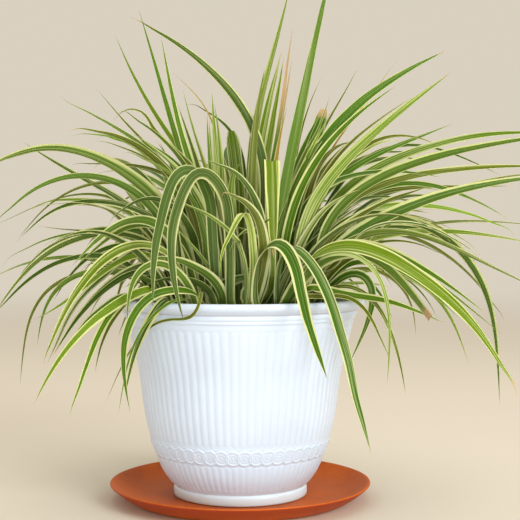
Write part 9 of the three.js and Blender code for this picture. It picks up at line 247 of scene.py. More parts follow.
        (19.7, 'o', 0.20, 0.20, 0, 0, 0, [56, 29.4, 176, 11.2, 1.62, 56, 29.4, 179.1, 11.3, 1.73, 61.6, 32.2, 190, 12.7, 2.01, 66.1, 33.4, 198.2, 14.6, 2.19, 76.3, 30.9, 213.8, 19.8, 2.51, 82.3, 32.4, 220.8, 23.2, 2.66, 92.8, 38.7, 230.6, 29.4, 2.7, 104.4, 45.2, 238.9, 33.5, 2.7, 117.2, 51.1, 245.9, 34.6, 2.68, 130.9, 56.5, 251.3, 35.5, 2.56, 145.2, 61.7, 254.9, 36.2, 2.36, 157, 65.8, 256.3, 36.5, 2.15, 168.8, 69.9, 256.3, 37.1, 1.9, 180.5, 74, 254.7, 38, 1.61, 192, 78.1, 251.7, 39.1, 1.28, 203, 82, 247.1, 40.5, 0.92, 223.6, 89.4, 234.8, 43.1, 0.11, 225.1, 90, 232.1, 43.2, 0]),
        (21.2, 'g', 0.08, 0.08, 0, 0, 0, [58.6, 30.4, 176, 12.3, 1.57, 58.6, 30.4, 178.3, 12.7, 1.68, 63.7, 36, 192.2, 19.3, 2.12, 66.6, 37.8, 198.1, 25.1, 2.28, 68.8, 37.9, 202.1, 30.6, 2.39, 72.6, 36.4, 207.6, 40.6, 2.53, 78.7, 35.6, 214.1, 54.8, 2.62, 84, 37.3, 218.1, 64.5, 2.62, 91.3, 41.2, 221.7, 74.5, 2.62, 99.2, 45.2, 223.7, 80.7, 2.61, 107.5, 48.8, 224.1, 85.3, 2.54, 115.9, 52.1, 222.8, 89.6, 2.41, 123.9, 55.1, 219.9, 93.6, 2.24, 131.3, 57.9, 215.5, 97.1, 2.03, 138, 60.5, 209.9, 100, 1.77, 143.9, 62.8, 203.4, 102.2, 1.48, 150.1, 65.3, 194.3, 104.1, 1.07, 155.4, 67.6, 184.5, 105.3, 0.61, 160.7, 70, 172.2, 106.4, 0]),
    ]),
    'leaf_fan_left_03': (-61.8, 16.3, [
        (127.2, 'g', 0.32, 0.37, 0, 0, 0, [-63.7, 18.8, 176, -0.5, 3, -63.7, 18.8, 179.3, -0.6, 3, -77.2, 27.6, 204, -2.6, 4.9, -83.9, 32.3, 214.2, -3.7, 5.35, -88.6, 37.8, 220.9, -4.5, 5.66, -95.7, 49.6, 229.9, -5.7, 5.74, -103.4, 62.3, 236.8, -7, 5.74, -111.8, 75.5, 241.7, -8.1, 5.7, -120.9, 88.9, 244.5, -9.3, 5.45, -129.2, 99, 245.2, -10.2, 5.12, -137.8, 108.8, 244.2, -11, 4.69, -145.9, 118.6, 241.2, -11.9, 4.18, -153.2, 128.3, 236.1, -12.7, 3.58, -159.5, 137.6, 229.4, -13.5, 2.91, -164.8, 146.4, 221.2, -14.2, 2.16, -174.5, 164.4, 200, -15.7, 0.24, -175.1, 165.8, 197.1, -15.7, 0]),
        (164.3, 'g', 0.23, 0.23, 0, 0, 0, [-59.5, 15.6, 176, -12, 2.02, -59.5, 15.6, 179.7, -12.2, 2.16, -63.4, 21.2, 196.7, -15.4, 2.59, -66.3, 23.3, 207.2, -18.3, 2.81, -71.4, 24.3, 220.9, -22.9, 3.08, -78.4, 24.9, 233.8, -28.4, 3.33, -87.9, 26.3, 244.9, -34.5, 3.38, -96.5, 28, 251.6, -38.7, 3.38, -105.9, 30.3, 256.9, -41.3, 3.38, -119.4, 33.7, 261.7, -42.3, 3.37, -136.9, 38.4, 264.9, -41.6, 3.24, -154.6, 43.2, 265.7, -40.3, 3.01, -175.8, 48.9, 264.1, -38.9, 2.61, -193.3, 53.6, 260.8, -37.7, 2.2, -210.2, 58.2, 255.5, -36.6, 1.71, -223.2, 61.8, 249.6, -35.7, 1.27, -250.6, 69.4, 232.6, -34, 0.14, -252.4, 70, 229.5, -34, 0]),
        (169.9, 'o', 0.22, 0.22, 0, 0, 0, [-63.9, 14.4, 176, -13.4, 1.57, -65.9, 17.1, 212.6, -20.3, 2.12, -68, 18.2, 235.4, -27, 2.38, -71.5, 18.4, 258.1, -34.3, 2.62, -76.2, 19.1, 275.9, -40.3, 2.62, -83.1, 21.1, 292.8, -44.3, 2.62, -90, 22.9, 304.5, -45.4, 2.62, -98.4, 24.5, 315.3, -45.8, 2.6, -111.8, 26.4, 327.7, -45.9, 2.51, -127.1, 28.3, 337.7, -45.4, 2.37, -143.8, 30.6, 345, -44.3, 2.19, -161.4, 33.2, 349.6, -42.9, 1.96, -179.4, 36.1, 351.5, -41.5, 1.7, -197.5, 39, 350.9, -39.9, 1.4, -215.4, 42, 348.2, -38.3, 1.07, -237.4, 45.7, 342.7, -36.2, 0.61, -259.1, 49.3, 336.1, -34.5, 0.11, -263.2, 50, 334.1, -34.4, 0]),
        (169.7, 'o', 0.02, 0.02, 0, 0, 0, [-62.5, 14.2, 176, -13.5, 1.5, -62.8, 14.9, 205.8, -19.2, 1.97, -64.4, 16.4, 235.4, -29, 2.32, -66.6, 15.8, 252.3, -35.4, 2.49, -70.8, 14.9, 268.7, -42.1, 2.49, -77.8, 14.8, 284.2, -47.4, 2.49, -85.3, 15.6, 294.5, -49.7, 2.49, -94.6, 17.2, 303.1, -51.3, 2.48, -105.2, 19.7, 309.5, -52.3, 2.42, -112.9, 21.6, 312.6, -52.9, 2.37, -120.9, 23.6, 314.8, -53.4, 2.3, -137.4, 27.4, 316.3, -54.5, 2.14, -153.9, 30.8, 314.5, -55.7, 1.93, -162, 32.3, 312.4, -56.4, 1.81, -173.8, 34.5, 308.1, -57.5, 1.62, -188.6, 37.2, 300.2, -59.1, 1.34, -205.3, 40.1, 287.3, -61.3, 0.94, -219.7, 42.7, 272, -63.6, 0.49, -230.4, 44.6, 258.9, -65, 0.1, -232.4, 45, 255.1, -65.1, 0]),
    ]),
    'leaf_fan_front_right_02': (35.1, -54.6, [
        (-28.1, 'g', 0.30, 0.30, 0, 1, 0, [34.2, -54.1, 176, -14.6, 3, 34.2, -54.1, 179.1, -14.9, 3, 36, -58.7, 183, -16.4, 3.08, 39.3, -67.7, 191.2, -21.5, 5.8, 42.3, -74.2, 197.5, -26.3, 6.56, 44.7, -77.7, 202.1, -29.7, 6.87, 47.7, -79.7, 207.2, -33.4, 7.17, 51.2, -78.9, 212.3, -37.2, 7.45, 56.4, -75.1, 219.3, -43.4, 7.7, 60.4, -74, 224, -47.6, 7.7, 69, -75.4, 233, -55.1, 7.7, 76.4, -76, 238.8, -58.6, 7.7, 81.6, -76.8, 242.1, -60.1, 7.69, 86.8, -78.9, 244.7, -61.1, 7.6, 92, -82, 246.5, -61.5, 7.5, 99.9, -86.9, 248, -61.3, 7.36, 108.2, -91.3, 247.8, -60.5, 7.22, 116.5, -95.2, 245.8, -59.5, 7.08, 124.3, -99.1, 242.3, -58.5, 6.94, 133.7, -104.3, 235.9, -57, 6.75, 142.1, -109.3, 228.1, -55.3, 6.57, 149.8, -114, 219.4, -53.6, 6.38, 160.6, -120.6, 205.5, -50.8, 6.1, 172.6, -128, 188.8, -48.3, 5.77]),
        (-20.6, 'd', 0.40, 0.43, 0, 0, 0, [37.6, -53.2, 176, -1, 3, 37.6, -53.2, 179.2, -1.1, 3, 44.2, -53.6, 194, -3, 4.46, 49.9, -55.5, 209.1, -5.4, 5.07, 54.6, -56, 221.2, -7.2, 5.52, 60.2, -56.2, 232.9, -8.9, 5.81, 65.2, -57.1, 241.2, -10, 5.81, 70.9, -58.5, 249, -11, 5.81, 79.6, -61.3, 258.2, -12.1, 5.81, 89.3, -64.7, 266.1, -13, 5.74, 99.8, -68.6, 272.7, -13.7, 5.51, 110.9, -72.9, 277.7, -14.1, 5.18, 122.6, -77.7, 281.1, -14.2, 4.74, 134.4, -82.8, 282.4, -14.1, 4.22, 146.2, -88.1, 281.7, -13.8, 3.62, 157.6, -93.5, 278.8, -13.2, 2.94, 168.5, -98.9, 274, -12.5, 2.19, 178.6, -104.1, 267.8, -11.7, 1.36, 190.7, -110.4, 259, -10.8, 0.24, 192.3, -111.4, 256.4, -10.8, 0]),
        (-53.5, 'b', 0.22, 0.12, 0, 0, 0, [37, -57.2, 176, 10.9, 3, 37, -57.6, 180.1, 10.8, 3, 37, -59.9, 183.6, 10.8, 3, 35.5, -66.5, 199.3, 13.3, 3.99, 35, -72.1, 210.6, 17.2, 4.21, 35.9, -80, 225.4, 21.6, 4.49, 37.6, -86.8, 235.9, 24.5, 4.71, 41.1, -94.4, 245.3, 28.1, 4.85, 45.7, -99.7, 249.8, 29.5, 4.88, 48.7, -102.4, 250.9, 29.4, 4.89, 52, -104.9, 250.6, 28.8, 4.91, 55.2, -107.1, 248.9, 28, 4.92, 60.9, -110.1, 243.6, 27, 4.95, 70.9, -112.5, 230.3, 29.1, 5.01, 78.4, -115.3, 215.6, 30.8, 5.07, 84.3, -119.7, 200.5, 31, 4.97, 91, -127.5, 177.5, 30.6, 4.67, 97.3, -135.4, 154.4, 29.9, 4.38, 104.2, -147.3, 119.2, 27.7, 3.09, 110.3, -155.7, 96.2, 25.7, 1.79, 116.3, -164.2, 73.2, 24.1, 0]),
        (-44.8, 'p', 0.15, 0.15, 0, 0, 0, [32.4, -51.9, 176, 14.2, 1.61, 32.4, -51.9, 179.8, 14.4, 1.72, 39.1, -59, 195.8, 18.1, 2.06, 41.7, -62.4, 201.9, 20.3, 2.18, 45.5, -69.5, 209.9, 23.9, 2.34, 48.2, -74.9, 214.8, 26.5, 2.45, 51.5, -79.6, 219.8, 29.3, 2.55, 56, -81.5, 225.3, 32.1, 2.65, 64, -80.8, 233.1, 36.6, 2.69, 66.6, -81.9, 235.3, 38, 2.69, 70.7, -87.5, 238.5, 40.6, 2.69, 77.5, -101.2, 242.8, 43.4, 2.69, 82.6, -106.1, 244.8, 43.5, 2.69, 89.1, -109.3, 246.2, 42.9, 2.68, 96.1, -111.7, 246.4, 41.7, 2.65, 106.1, -116.2, 244.3, 38.4, 2.58, 114.5, -121.7, 239.3, 34.5, 2.48, 119.2, -125.4, 234.8, 32.1, 2.39, 123.1, -128.9, 229.4, 30.1, 2.3, 127.7, -133.5, 220.2, 28, 2.14, 131.6, -138.3, 206.5, 26.5, 1.89, 133.5, -141.8, 192.1, 26.4, 1.6, 134, -144.4, 177.3, 27, 1.28, 133.3, -146.8, 158.7, 28.4, 0.83, 131.1, -150, 128.9, 30.4, 0]),
    ]),
    'leaf_fan_back_02': (11.2, 65, [
        (99.2, 'd', 0.28, 0.28, 0, 0, 0, [11.3, 66.7, 176, -0.5, 3, 11.3, 66.8, 185.2, -0.2, 3.05, 10.6, 68.9, 194.1, 0.3, 4.75, 7.2, 79.9, 212.2, 1.4, 5.64, 4.9, 87.9, 232, 2, 6.19, 2.7, 96.2, 251.7, 2.1, 6.19, 0.8, 103.8, 268.4, 1.9, 6.11, -0.9, 111.8, 285, 1, 5.7, -2.9, 124.6, 309.4, -1.6, 4.65, -4.2, 136.8, 330.6, -5.2, 3.32, -4.6, 149.9, 351.4, -9.5, 1.68, -4.2, 162, 369.2, -12.6, 0]),
        (81.1, 'g', 0.11, 0.11, 0, 0, 0, [11, 64, 176, -0, 3, 11, 64, 180.1, -0, 3, 14.7, 86.1, 209.2, -0.1, 4.85, 15.7, 94.6, 217.9, -0.1, 5.18, 16.8, 104.5, 225, -0.1, 5.5, 19.2, 126.5, 235.6, 0.1, 5.69, 21, 149.5, 243.9, 0.4, 5.69, 23.1, 165.2, 247.7, 0.8, 5.65, 25.1, 173, 248.8, 1, 5.57, 27.7, 180.7, 248.9, 1.3, 5.46, 30.3, 188.4, 247.8, 1.5, 5.32, 32.5, 196, 245.8, 1.8, 5.16, 35.8, 210.8, 239.8, 2.5, 4.76, 38.1, 224.7, 231.5, 3.3, 4.27, 39.9, 237.2, 221.2, 4.1, 3.7, 41.2, 248.1, 209.1, 5.1, 3.05, 42.5, 259.5, 192.2, 6.4, 2.14, 44.1, 275.6, 159.3, 8.5, 0.23, 44.1, 276.3, 155.3, 8.6, 0]),
        (29.7, 'd', 0.33, 0.33, 0, 0, 0, [9, 65.7, 176, 9.4, 3, 9.5, 66, 185, 10.5, 3.01, 10.1, 66.4, 189.4, 11.5, 3.89, 12.5, 68, 197.8, 14, 4.16, 19.1, 73.5, 213.5, 20, 4.65, 24.3, 79.1, 230.4, 26.4, 5.09, 27.9, 80.9, 238.7, 29.7, 5.31, 32.4, 82.3, 246.5, 33, 5.51, 41.5, 86.4, 261.1, 39.6, 5.59, 55.8, 95, 282.4, 47.3, 5.59, 69.3, 103.2, 298.5, 50.9, 5.55, 84.2, 112.1, 312.8, 53.8, 5.3, 100.5, 121.7, 325.1, 56.4, 4.88, 114.4, 129.7, 333.4, 58.3, 4.45, 129, 137.9, 340, 59.9, 3.93, 144.2, 146.3, 345.1, 60.7, 3.33, 159.8, 154.7, 348.4, 60.6, 2.66, 175.7, 163.1, 349.9, 60.1, 1.91, 191.7, 171.3, 349.6, 59.4, 1.1, 211.8, 181.2, 346.8, 58.8, 0]),
        (59.9, 'g', 0.31, 0.33, 0, 0, 0, [9.7, 63, 176, 2.7, 3, 9.7, 63, 180.5, 2.8, 3, 12.5, 69.8, 196.6, 4.2, 3.93, 17.9, 86.4, 223.2, 8, 4.71, 21.7, 93.9, 234.5, 9.9, 5.01, 25, 98.8, 241.3, 11.3, 5.2, 30.6, 107.3, 249.7, 13.4, 5.27, 40.5, 123.3, 261.5, 16.7, 5.27, 49.7, 139.5, 273.9, 18.9, 5.27, 57.2, 153, 282.9, 20.5, 5.17, 65.1, 167.1, 290.4, 22.5, 4.94, 75.6, 185.5, 297.4, 25.7, 4.51, 84.5, 200.6, 300.9, 28.6, 4.08, 93.6, 215.9, 302.5, 30.5, 3.57, 102.9, 231.1, 302.1, 31.2, 2.99, 112.4, 246, 299.5, 31.6, 2.34, 121.8, 260.5, 294.9, 32, 1.62, 131, 274.2, 288.1, 32.3, 0.84, 139.9, 287.2, 279.7, 32.4, 0]),
        (81.6, 'o', 0.32, 0.29, 0, 0, 0, [10.6, 61.2, 176, 1, 3, 10.6, 61.2, 180.3, 1.2, 3, 16.8, 82.9, 211.8, 5.3, 4.36, 20.4, 97.3, 227.4, 7.7, 4.85, 22.6, 106.9, 235.8, 9, 5.11, 23.9, 113.9, 240.7, 9.9, 5.11, 25.5, 125.2, 246.6, 11, 5.11, 26.8, 141.6, 251.9, 12.4, 5.11, 27.3, 163.1, 255.4, 13.7, 5.07, 28.5, 184.6, 257.2, 14.6, 4.85, 31.9, 201.2, 257.4, 15, 4.55, 36.6, 217.5, 255.1, 15.2, 4.17, 39.8, 229.5, 251.5, 15.1, 3.84, 42.9, 244.8, 244.3, 14.8, 3.32, 44.8, 259.2, 235, 14.3, 2.74, 45.8, 272.5, 224.1, 13.6, 2.1, 46.4, 290.7, 205.8, 12.4, 1.01, 46.5, 302.2, 193, 11.6, 0.21, 46.4, 304.3, 189.2, 11.6, 0]),
        (46.2, 'g', 0.28, 0.30, 0, 0, 0, [14, 64.7, 176, -1, 2.91, 14, 64.7, 179.3, -1.1, 3, 16.3, 65.8, 189, -2, 3.5, 19.4, 68.6, 201.7, -3.9, 3.94, 23.8, 75.1, 216.3, -6.1, 4.42, 29.7, 83.2, 229.6, -8.1, 4.85, 35, 91.6, 238.5, -9.4, 4.85, 42.4, 103.8, 247.3, -10.8, 4.85, 50.4, 112.6, 253.3, -11.5, 4.84, 61.9, 123, 259.1, -12, 4.66, 71.3, 131.9, 262.1, -12.1, 4.4, 80.8, 141.3, 263.2, -11.8, 4.06, 90.1, 150.7, 262.5, -11.2, 3.64, 99.5, 159.9, 260, -10.4, 3.16, 108.6, 168.7, 255.9, -9.3, 2.61, 119.7, 178.9, 248.7, -7.6, 1.83, 138.7, 195.4, 232.3, -4.6, 0.2, 140.4, 196.8, 229.9, -4.5, 0]),
    ]),
    'leaf_fan_front_left_04': (-52.9, -41, [
        (-144.6, 'g', 0.27, 0.31, 0, 0, 0, [-51, -39.6, 176, 10, 2.27, -51.2, -40.7, 184.8, 10.8, 2.27, -51.7, -43, 196.4, 13.1, 4.13, -52.8, -46.6, 213.8, 22.4, 4.77, -55.3, -46.7, 231.4, 39.5, 5.23, -59.1, -47, 245.7, 52.5, 5.23, -62.4, -47.9, 253.9, 58.3, 5.23, -66.7, -49.8, 261.4, 62.5, 5.23, -71.9, -53.1, 267.9, 66.4, 5.16, -77.9, -57.5, 272.8, 71.1, 5.02, -84.5, -62.4, 276, 76.7, 4.82, -94.1, -69.2, 277.5, 84.1, 4.47, -101.4, -74.2, 276.6, 89, 4.16, -110.8, -80.6, 273.3, 94.1, 3.67, -119.5, -86.6, 267.9, 97.8, 3.11, -129.4, -93.8, 259.5, 100.5, 2.32, -140.1, -102.1, 248, 102.2, 1.23, -150.2, -110, 235.7, 103.1, 0]),
        (-144.1, 'd', 0.38, 0.33, 0, 0, 0, [-49.9, -38.8, 176, -0.3, 2.72, -49.9, -38.8, 178.1, -0.4, 2.91, -50.9, -43.1, 187.9, -1, 3.49, -52.1, -47.8, 197.5, -1.8, 3.96, -52.9, -50.7, 205.5, -2.4, 4.31, -53.8, -52.4, 216.1, -3.1, 4.54, -54.8, -53.1, 228.9, -3.7, 4.54, -56, -54.1, 241.7, -4.1, 4.51, -56.9, -56.4, 252.2, -4.2, 4.31, -58, -58.9, 262.5, -4.2, 3.97, -59.3, -58.6, 268.8, -4.1, 3.71, -61.5, -56.9, 277, -3.8, 3.3, -63.5, -56.2, 285.3, -3.5, 2.83, -68.5, -55.9, 304, -2.5, 1.55, -74, -56.3, 322.5, -1.4, 0]),
        (-147.1, 'p', 0.09, 0.09, 0, 0, 0, [-53.3, -41.2, 176, -15.6, 1.8, -53.3, -41.2, 179.1, -16.1, 1.92, -53.8, -49.8, 191.7, -22.5, 2.3, -54.8, -55.3, 202.5, -29.8, 2.56, -56.5, -57.4, 211.3, -35.7, 2.73, -60.4, -58.3, 222.8, -43.8, 2.96, -64.9, -58.9, 230.7, -49.9, 3, -71.1, -60.2, 237.3, -55.4, 3, -78.7, -62.6, 241.9, -59.2, 3, -86.9, -65.9, 243.9, -61, 3, -92.5, -68.4, 244, -61.5, 2.99, -100.6, -72.5, 242.5, -61.6, 2.94, -113, -79.4, 237, -60.3, 2.76, -126.4, -87.6, 227.7, -58.6, 2.45, -143.3, -98.5, 213.8, -58, 1.87, -158.2, -108.4, 202, -58.2, 1.23, -171.5, -117.3, 193.1, -58.6, 0.59, -183, -125, 186.8, -58.9, 0]),
        (-151.5, 'o', 0.12, 0.12, 0, 0, 0, [-55.8, -42.5, 176, -14.4, 1.73, -55.8, -42.5, 178.2, -14.7, 1.84, -59.7, -43.3, 185.8, -17.7, 2.14, -65.8, -44.2, 194.6, -23.7, 2.45, -72.2, -44.9, 200.3, -29.2, 2.68, -79.5, -47.1, 204.2, -35.1, 2.88, -84.3, -51.2, 205.6, -39.5, 2.88, -90.4, -60.1, 206.3, -43.9, 2.88, -97.5, -71, 205.2, -40.9, 2.86, -101.7, -75.5, 203.1, -38.6, 2.79, -106.5, -76.7, 199, -36.8, 2.69, -113.3, -76.1, 190.6, -34.7, 2.46, -118.2, -76.5, 183.5, -33.5, 2.23, -122.3, -77.6, 176, -32.5, 1.95, -129.2, -81.2, 158.2, -30.8, 1.18, -132.1, -83.4, 145.8, -29.9, 0.57, -134, -85, 135.3, -29.5, 0]),
    ]),
    'leaf_fan_right_06': (67.7, -5.6, [
        (11.6, 'd', 0.34, 0.33, 0, 0, 0, [64, -6.4, 176, 14.4, 3, 64, -6.4, 179.4, 14.8, 3, 71.3, -1.4, 201.7, 24.2, 4.09, 73.8, -0.9, 208, 27.7, 4.3, 76.4, -1.7, 214.3, 31.4, 4.5, 82.3, -4.7, 226.3, 39.1, 4.88, 85.9, -5.5, 232.1, 43.2, 5.04, 89.9, -5.3, 237.6, 47.2, 5.04, 96.6, -3.3, 245.1, 52.9, 5.04, 106.6, 0.6, 253.6, 58.1, 5.04, 117.9, 4.2, 260.4, 60.4, 5.03, 130.2, 7.4, 265.4, 61.4, 4.89, 143.1, 10.3, 268.7, 61.6, 4.65, 159.7, 13.7, 270.3, 61.4, 4.22, 173.1, 16.4, 269.5, 60.9, 3.79, 186.3, 18.9, 266.7, 60.2, 3.28, 198.9, 21.5, 262.2, 59.3, 2.71, 210.9, 23.9, 256.1, 58.3, 2.07, 225.1, 26.7, 247, 56.7, 1.18, 241.2, 30, 234.8, 55.4, 0]),
        (5.0, 'l', 0.21, 0.21, 0, 0, 0, [66.7, -5.7, 176, 14.6, 2.82, 66.7, -5.7, 180.1, 14.9, 3, 69.8, -7.8, 191.7, 17.2, 3.39, 76.2, -8.5, 211, 23.6, 3.91, 81.3, -10.6, 221.9, 28, 4.19, 87.9, -12.2, 232, 32.8, 4.46, 93.2, -11.7, 238.2, 36.1, 4.63, 102.3, -9.3, 246, 40.9, 4.69, 112.3, -6.3, 252.2, 45.2, 4.69, 127, -2.6, 258.3, 48.2, 4.69, 142.5, 0.1, 262.3, 48.3, 4.68, 162.5, 2.6, 265.1, 47.5, 4.51, 182.7, 4.5, 266.4, 46.5, 4.18, 207, 6.7, 266.4, 45.1, 3.63, 227.3, 8.4, 265.2, 43.9, 3.05, 251.4, 10.5, 262.3, 42.2, 2.23, 275.4, 12.6, 258.3, 40.4, 1.27, 303.2, 15, 252.4, 38.8, 0]),
        (-7.7, 'l', 0.08, 0.08, 0, 0, 0, [66.5, -6.1, 176, -4.2, 2.55, 67.3, -6.2, 184.8, -4.8, 2.85, 70.1, -6.5, 193, -5.8, 3.07, 75.2, -6.9, 200, -7.1, 3.27, 84.1, -7.5, 209.9, -9.3, 3.54, 94.6, -6.9, 224.6, -12.2, 3.88, 100.6, -6.6, 231.5, -13.6, 4.04, 110.7, -8.2, 240.1, -15.8, 4.26, 123.6, -12.8, 251.3, -18.4, 4.26, 129.6, -13.8, 257.9, -19.5, 4.26, 139.2, -14, 267.7, -20.6, 4.26, 153.4, -15.2, 278.6, -21.4, 4.25, 172.3, -17.5, 290.4, -21.8, 4.09, 192.1, -20, 300.4, -21.8, 3.79, 208.6, -22.1, 307.1, -21.5, 3.48, 225.4, -24.5, 312.6, -20.9, 3.09, 242.6, -27, 316.9, -20.1, 2.65, 264.4, -30.4, 320.5, -18.9, 2.02, 282, -33.4, 322.1, -17.7, 1.46, 299.6, -36.5, 322.3, -16.3, 0.84, 321.6, -40.6, 321, -15.2, 0]),
        (-0.4, 'd', 0.30, 0.35, 0, 0, 0, [65.5, -4.5, 176, 4, 2.49, 66.4, -4.6, 186.5, 5.1, 2.99, 68.2, -4.8, 194.2, 6.6, 3.27, 77.7, -6.2, 215.3, 11.6, 4.01, 78.8, -8.4, 223.8, 14, 4.14, 80.4, -11, 230.6, 15.6, 4.14, 85.2, -12.2, 238.5, 16.8, 4.14, 91.6, -11.7, 245.5, 17.5, 4.14, 109, -9.2, 258.4, 18.8, 3.93, 119.6, -8.6, 266.1, 19.5, 3.62, 130.7, -8.7, 273.2, 20.2, 3.21, 142.5, -8.6, 279.1, 20.9, 2.7, 154.9, -8.2, 283.6, 21.5, 2.1, 165.1, -7.7, 286, 22, 1.56, 178.2, -6.7, 287.6, 22.6, 0.82, 191.3, -5.3, 287.9, 23, 0]),
        (11.7, 'd', 0.20, 0.20, 0, 0, 0, [69.9, -7.4, 176, 14.2, 2.3, 69.9, -7.4, 179.1, 14.6, 2.45, 69.9, -9.8, 188, 17.4, 2.76, 70.1, -11, 197.1, 21.9, 3.02, 71.7, -8.6, 218.3, 33.9, 3.56, 73, -9.3, 227.4, 39.4, 3.77, 75.9, -11.4, 239.1, 47, 3.83, 79.2, -12.8, 247.6, 51.9, 3.83, 83.5, -13.3, 255.7, 55.2, 3.83, 88.9, -12.4, 263.1, 57.2, 3.83, 95.1, -9.8, 269.4, 58.7, 3.78, 104.1, -4.7, 275.9, 60.5, 3.63, 114.1, 0.5, 280.7, 61.7, 3.41, 122.4, 3.5, 283.2, 62.2, 3.2, 134.2, 6.6, 284.9, 62.6, 2.87, 143.2, 8.5, 285, 62.8, 2.59, 155.2, 10.8, 283.9, 63.1, 2.17, 178.9, 15.3, 279.5, 63.3, 1.18, 199.6, 19.4, 275.6, 63.4, 0.16, 202.6, 20, 275.7, 63.4, 0]),
        (21.9, 'o', 0.19, 0.19, 0, 0, 0, [70.7, -4.4, 176, -15.1, 1.41, 70.7, -4.4, 178.7, -15.5, 1.51, 74.4, -4.2, 188.8, -19.5, 1.76, 79.8, -3.3, 201.1, -27.2, 2.01, 85.4, -1, 209.9, -34, 2.19, 92.3, 2.6, 217.4, -41.1, 2.36, 100.5, 6.5, 223.2, -47.9, 2.36, 109.7, 10.2, 227.1, -52.4, 2.36, 119.7, 13.9, 228.8, -53.5, 2.36, 132.3, 18.4, 228, -53.2, 2.29, 142.1, 21.8, 225.1, -51.8, 2.17, 153.3, 26, 219.1, -48.2, 1.97, 163.1, 29.8, 210.7, -44.2, 1.71, 169.6, 32.6, 202.5, -41.2, 1.47, 174.5, 34.9, 193.3, -38.5, 1.19, 177.8, 36.8, 183.3, -36.1, 0.89, 180, 38.6, 170.1, -33.6, 0.47, 180.8, 39.8, 159.5, -32.3, 0.1, 180.2, 40, 156.8, -32.2, 0]),
    ]),
    'leaf_fan_back_left_05': (-46.8, 50.6, [
        (127.5, 'd', 0.36, 0.39, 0, 0, 0, [-48.8, 49.6, 176, 0.3, 3, -48.8, 49.6, 179.1, 0.4, 3, -51.5, 54.1, 193.5, 1.1, 4.7, -56.4, 60.6, 213.4, 2.2, 5.58, -59.3, 65.5, 224.3, 2.7, 6.03, -61.1, 71.6, 234.8, 3.2, 6.12, -62.5, 80.2, 247.4, 3.6, 6.12, -64.2, 90.6, 258.4, 3.9, 6.1, -66.8, 99.8, 266.1, 4, 5.93, -69.2, 104.2, 269.7, 4, 5.8, -72.5, 108, 273, 3.9, 5.64, -79.2, 113.1, 276.7, 3.8, 5.34, -86.6, 118.2, 278.3, 3.6, 4.99, -98.8, 127.7, 278.6, 3.1, 4.3, -107.7, 136.1, 277.8, 2.6, 3.64, -116, 144.8, 275.5, 1.9, 2.91, -124.1, 153.2, 271.7, 1.2, 2.09, -139.8, 169, 261.2, -0.1, 0.25, -141.5, 170.5, 259.2, -0.2, 0]),
        (122.9, 'o', 0.30, 0.28, 0, 0, 0, [-48.6, 53.3, 176, 0.1, 3, -48.6, 53.3, 179.7, 0.1, 3, -57.8, 65.5, 204.9, 0.2, 4.34, -64.7, 75.1, 219.1, 0.3, 4.85, -71.1, 84.1, 228.8, 0.3, 5.21, -78.6, 94.3, 236.5, 0.2, 5.21, -84.9, 102.3, 240.6, 0.1, 5.21, -91.9, 110.6, 242.9, -0.1, 5.21, -101.4, 121.7, 243.1, -0.4, 5.17, -109.2, 133.9, 241.7, -0.8, 5, -115, 147.7, 240.6, -1.3, 4.73, -119.1, 158, 238.9, -1.7, 4.46, -123.6, 167.6, 235.6, -2.2, 4.15, -129.7, 179, 228.5, -3, 3.66, -135.6, 188.8, 219.2, -3.8, 3.1, -142.2, 198.9, 205.2, -4.9, 2.31, -148.7, 208.5, 186.4, -6.4, 1.22, -153.4, 215.5, 170, -7.4, 0.21, -153.9, 216.1, 166.4, -7.5, 0]),
        (138.6, 'o', 0.37, 0.31, 0, 0, 0, [-44, 50.7, 176, -3.1, 3, -44.6, 51.3, 189.7, -4.5, 3.64, -47.2, 53.8, 199.2, -6.4, 3.99, -56.3, 63.1, 215.1, -10.4, 4.6, -64.6, 71.7, 227.4, -13.8, 5.05, -72.3, 78.8, 236.3, -16.5, 5.05, -80.8, 86.9, 243.3, -18.7, 5.05, -90, 95.7, 248.7, -20.2, 5.05, -102, 107.1, 253.1, -21.4, 4.9, -112, 116.5, 254.6, -21.6, 4.65, -124.7, 128.1, 254.2, -20.6, 4.22, -137.3, 139.5, 251.2, -18.8, 3.67, -150, 149.8, 246.2, -16.4, 3.01, -160.1, 157.4, 240.8, -14.2, 2.4, -169.6, 164.6, 233.4, -11.7, 1.73, -178.6, 170.6, 224.5, -9.1, 1, -187.6, 177.1, 212, -6.9, 0]),
        (125.1, 'd', 0.35, 0.36, 0, 0, 0, [-47.7, 48.3, 176, -4.7, 2.71, -48.6, 49.3, 189.5, -5.8, 3.14, -51, 52, 202.6, -7.9, 3.46, -56.1, 58.3, 224, -12.1, 3.94, -60.3, 65.8, 244.7, -16.8, 4.37, -64.5, 70.1, 256.8, -19.8, 4.51, -72.3, 77, 272, -23.8, 4.51, -81.7, 87.7, 289.7, -27.7, 4.51, -91.7, 100.1, 305.9, -30.6, 4.45, -100.4, 111.2, 317.3, -33, 4.28, -112, 126.5, 329.5, -36.4, 3.94, -121.6, 139.7, 337.3, -39.7, 3.59, -131.3, 153.8, 343.2, -43.6, 3.17, -141.1, 168.6, 347.2, -47.9, 2.69, -150.7, 183.9, 349.2, -50.8, 2.14, -160, 199.5, 349, -51.8, 1.54, -168.7, 215.2, 346.6, -52.1, 0.89, -178.9, 234.7, 340.9, -52.3, 0]),
